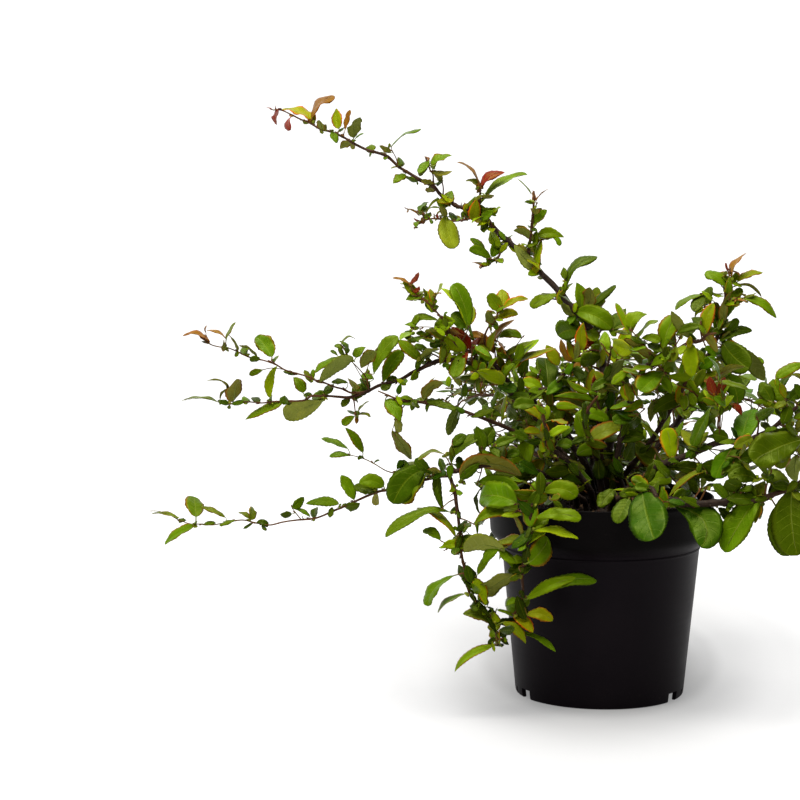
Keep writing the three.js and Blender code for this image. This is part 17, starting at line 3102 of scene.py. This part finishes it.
def fix_normals(ob):
    bm = bmesh.new()
    bm.from_mesh(ob.data)
    bmesh.ops.recalc_face_normals(bm, faces=bm.faces)
    bm.to_mesh(ob.data)
    bm.free()


fix_normals(pot)
fix_normals(cutter)
md = pot.modifiers.new("cut", "BOOLEAN")
md.operation, md.solver, md.object = "DIFFERENCE", "EXACT", cutter
bpy.context.view_layer.update()
dg = bpy.context.evaluated_depsgraph_get()
cut = bpy.data.meshes.new_from_object(pot.evaluated_get(dg))
bpy.data.objects.remove(cutter)
bpy.data.objects.remove(pot)
pot = bpy.data.objects.new("nursery_pot_shell", cut)
bpy.context.scene.collection.objects.link(pot)
cut.materials.clear()
cut.materials.append(POT)
for p in cut.polygons:
    p.use_smooth = True
cut.set_sharp_from_angle(angle=math.radians(38))
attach(pot, "root")
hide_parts("nursery_pot")

# ------------------------------------------------------------------ the compost
rs = np.random.RandomState(5)
soil = Pile()
na, nr = 144, 44
edge_r = RIM - WALL - 0.5


def collar_inside(z):
    return COL_R + (RIM - COL_R) * (z - COL_Z) / (H - COL_Z) - WALL


waves = [(rs.uniform(0.02, 0.45), rs.uniform(0, 6.28), rs.uniform(0, 6.28), rs.uniform(0.15, 1.0)) for _ in range(46)]


def soil_z(x, y):
    r = np.hypot(x, y)
    z = 160.0 - 2.4 * (r / 91.0) ** 2
    for k, a, p, g in waves:
        z = z + 0.55 * g * (0.12 / (0.12 + k)) * np.sin(k * (x * math.cos(a) + y * math.sin(a)) + p)
    return z


V, col = [], []
for i in range(nr):
    r = (collar_inside(158) - 0.35) * (i / (nr - 1)) ** 0.92
    for j in range(na):
        a = (j + 0.5 * (i % 2)) / na * 2 * math.pi
        x, y = math.cos(a) * r, math.sin(a) * r
        V.append((x, y, float(soil_z(x, y)) + rs.uniform(-0.45, 0.45) * (1 if 0 < i < nr - 1 else 0)))
V = np.array(V)
V = np.vstack([V, [0, 0, V[0, 2]]])
ring_low = [(math.cos((j + 0.5 * ((nr - 1) % 2)) / na * 2 * math.pi) * (collar_inside(150) - 0.35), math.sin((j + 0.5 * ((nr - 1) % 2)) / na * 2 * math.pi) * (collar_inside(150) - 0.35), 150.0) for j in range(na)]
V = np.vstack([V, ring_low, [[0, 0, 150.0]]])
F = []
for i in range(nr - 1):
    for j in range(na):
        a, b = i * na + j, i * na + (j + 1) % na
        c, d = a + na, b + na
        if i == 0:
            F.append((nr * na, c, d))
        elif i % 2:
            F += [(a, c, b), (b, c, d)]
        else:
            F += [(a, c, d), (a, d, b)]
o = (nr - 1) * na
lo = nr * na + 1
for j in range(na):
    k = (j + 1) % na
    F += [(o + j, lo + j, o + k), (o + k, lo + j, lo + k), (lo + j, lo + na, lo + k)]
# the first ring is a single point
F = np.array(F)
used = np.unique(F)
remap = np.full(len(V), -1)
remap[used] = np.arange(len(used))
V, F = V[used], remap[F]
tone = 0.6 + 0.5 * rs.rand(len(V), 1)
soil.add(V, F, 0, None, np.array([0.020, 0.013, 0.009]) * tone)

# crumbs, bark chips, and a few pale and orange grains on top
phi = (1 + 5**0.5) / 2
ICO = unit(np.array([(-1, phi, 0), (1, phi, 0), (-1, -phi, 0), (1, -phi, 0), (0, -1, phi), (0, 1, phi), (0, -1, -phi), (0, 1, -phi), (phi, 0, -1), (phi, 0, 1), (-phi, 0, -1), (-phi, 0, 1)]))
ICF = np.array([(0, 11, 5), (0, 5, 1), (0, 1, 7), (0, 7, 10), (0, 10, 11), (1, 5, 9), (5, 11, 4), (11, 10, 2), (10, 7, 6), (7, 1, 8), (3, 9, 4), (3, 4, 2), (3, 2, 6), (3, 6, 8), (3, 8, 9), (4, 9, 5), (2, 4, 11), (6, 2, 10), (8, 6, 7), (9, 8, 1)])
TONES = [(0.018, 0.011, 0.008), (0.034, 0.020, 0.012), (0.058, 0.032, 0.017), (0.010, 0.007, 0.006), (0.040, 0.016, 0.009), (0.10, 0.058, 0.030), (0.26, 0.070, 0.010), (0.22, 0.16, 0.10)]
SHARE = [0.30, 0.26, 0.14, 0.16, 0.06, 0.05, 0.02, 0.01]
for i in range(1500):
    r = 90.0 * math.sqrt(rs.rand())
    a = rs.rand() * 2 * math.pi
    size = min(3.6, 0.55 + rs.gamma(1.6, 0.55))
    if r + size > 90.2:
        r = 90.2 - size
    x, y = math.cos(a) * r, math.sin(a) * r
    chip = rs.rand() < 0.3
    sc = np.array([1.0, rs.uniform(0.45, 0.8), rs.uniform(0.3, 0.6)]) if chip else rs.uniform(0.65, 1.0, 3)
    pts = ICO * (1 + 0.28 * (rs.rand(12, 1) - 0.5)) * sc * size * (1.25 if chip else 0.8)
    az, ti = rs.rand() * 6.28, rs.uniform(-0.5, 0.5)
    ca, sa, ct, st = math.cos(az), math.sin(az), math.cos(ti), math.sin(ti)
    pts = pts @ np.array([[ca, sa, 0], [-sa, ca, 0], [0, 0, 1]]) @ np.array([[1, 0, 0], [0, ct, st], [0, -st, ct]])
    z = float(soil_z(x, y)) + size * rs.uniform(0.0, 0.32)
    k = rs.choice(len(TONES), p=SHARE)
    soil.add(pts + [x, y, z], ICF, 0, None, np.array(TONES[k]) * rs.uniform(0.7, 1.3))
compost = soil.make("compost", [SOIL])
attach(compost, "root")
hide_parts("potting_soil")

# ------------------------------------------------------------------ floor, light, camera
floor_v, floor_f = [], []
prof = [(-6.0, 0.0), (1.6, 0.0)] + [(1.6 + 1.4 * math.sin(t), 1.4 - 1.4 * math.cos(t)) for t in np.linspace(0.1, math.pi / 2, 14)] + [(3.0, 5.0)]
for x in (-7.0, 7.0):
    floor_v += [(x, y, z - 0.0002) for y, z in prof]
k = len(prof)
floor_f = [(i, i + 1, k + i + 1, k + i) for i in range(k - 1)]
fm = bpy.data.meshes.new("studio_floor")
fm.from_pydata(floor_v, [], floor_f)
for p in fm.polygons:
    p.use_smooth = True
floor = bpy.data.objects.new("studio_floor", fm)
bpy.context.scene.collection.objects.link(floor)
mat = bpy.data.materials.new("pale_paper")
k = Net(mat)
o = k.new("ShaderNodeTexCoord").outputs["Object"]
# painted shadow and light: the paper glows, more with distance from the pot, so a painted oval shadow lies round the
# pot and the paper runs out into plain white
flat = k.new("ShaderNodeVectorMath", operation="MULTIPLY_ADD")
k.put(flat.inputs[0], o)
flat.inputs[1].default_value = (1 / 0.17, 1 / 0.37, 0.0)
flat.inputs[2].default_value = (0.0, -0.14 / 0.37, 0.0)
away = k.new("ShaderNodeVectorMath", operation="LENGTH")
k.put(away.inputs[0], flat.outputs[0])
painted_floor_glow = None
for part in FLOOR_PAINTED_SHADOW:
    piece = k.ramp(away.outputs["Value"], part)
    painted_floor_glow = piece if painted_floor_glow is None else k.math("ADD", painted_floor_glow, piece)
oval = k.new("ShaderNodeVectorMath", operation="MULTIPLY_ADD")
k.put(oval.inputs[0], o)
oval.inputs[1].default_value = (1.5, 0.9, 0.0)
oval.inputs[2].default_value = (0.012, 0.0, 0.0)
near = k.new("ShaderNodeVectorMath", operation="LENGTH")
k.put(near.inputs[0], oval.outputs[0])
# painted contact shadow: in a small oval round the pot's foot the emission is cut by up to 0.24
k.put(k.bs.inputs["Emission Strength"], k.math("ADD", painted_floor_glow, k.ramp(near.outputs["Value"], (0.07, 0.24, -0.24, 0.0))))
k.bs.inputs["Emission Color"].default_value = (1.0, 1.0, 1.0, 1.0)
k.put(k.bs.inputs["Base Color"], k.mix(k.noise(o, 60.0, 2.0), (0.158, 0.158, 0.16, 1), (0.168, 0.168, 0.17, 1)))
k.put(k.bs.inputs["Normal"], k.bump(k.noise(o, 900.0, 2.0), 0.05, 0.0002))
k.bs.inputs["Roughness"].default_value = 0.9
k.bs.inputs["Specular IOR Level"].default_value = 0.1
fm.materials.append(mat)

world = bpy.data.worlds.new("studio")
bpy.context.scene.world = world
world.use_nodes = True
bg = world.node_tree.nodes["Background"]
bg.inputs[0].default_value = (1.0, 1.0, 1.0, 1.0)
bg.inputs[1].default_value = WORLD
wn = world.node_tree
ray = wn.nodes.new("ShaderNodeLightPath")
level = wn.nodes.new("ShaderNodeMapRange")
level.inputs[3].default_value = WORLD
level.inputs[4].default_value = 1.0
wn.links.new(ray.outputs["Is Camera Ray"], level.inputs[0])
wn.links.new(level.outputs[0], bg.inputs[1])


def area(name, loc, target, size, power, colour=(1, 1, 1), size_y=None):
    li = bpy.data.lights.new(name, "AREA")
    li.shape = "RECTANGLE"
    li.size, li.size_y = size, size_y or size
    li.energy, li.color = power, colour
    ob = bpy.data.objects.new(name, li)
    bpy.context.scene.collection.objects.link(ob)
    from mathutils import Vector

    d = Vector(target) - Vector(loc)
    ob.location = loc
    ob.rotation_euler = d.to_track_quat("-Z", "Y").to_euler()
    return ob


for args in LIGHTS:
    area(*args)

cam = bpy.data.cameras.new("camera")
cam.lens, cam.sensor_width, cam.sensor_fit = 101.889, 36.0, "HORIZONTAL"
cam.clip_start, cam.clip_end = 0.05, 50
co = bpy.data.objects.new("camera", cam)
bpy.context.scene.collection.objects.link(co)
co.location = (0.0, -1.9, 0.445)
co.rotation_euler = (math.radians(90 - 5.9338), 0.0, math.radians(5.1174))
bpy.context.scene.camera = co
vs = bpy.context.scene.view_settings
vs.view_transform = "Standard"
vs.look = "None"
vs.exposure = 0.0
vs.gamma = 1.0

print("pieces", sorted(tris.items(), key=lambda x: -x[1])[:4], "total", sum(tris.values()) + len(compost.data.polygons) + len(cut.polygons))
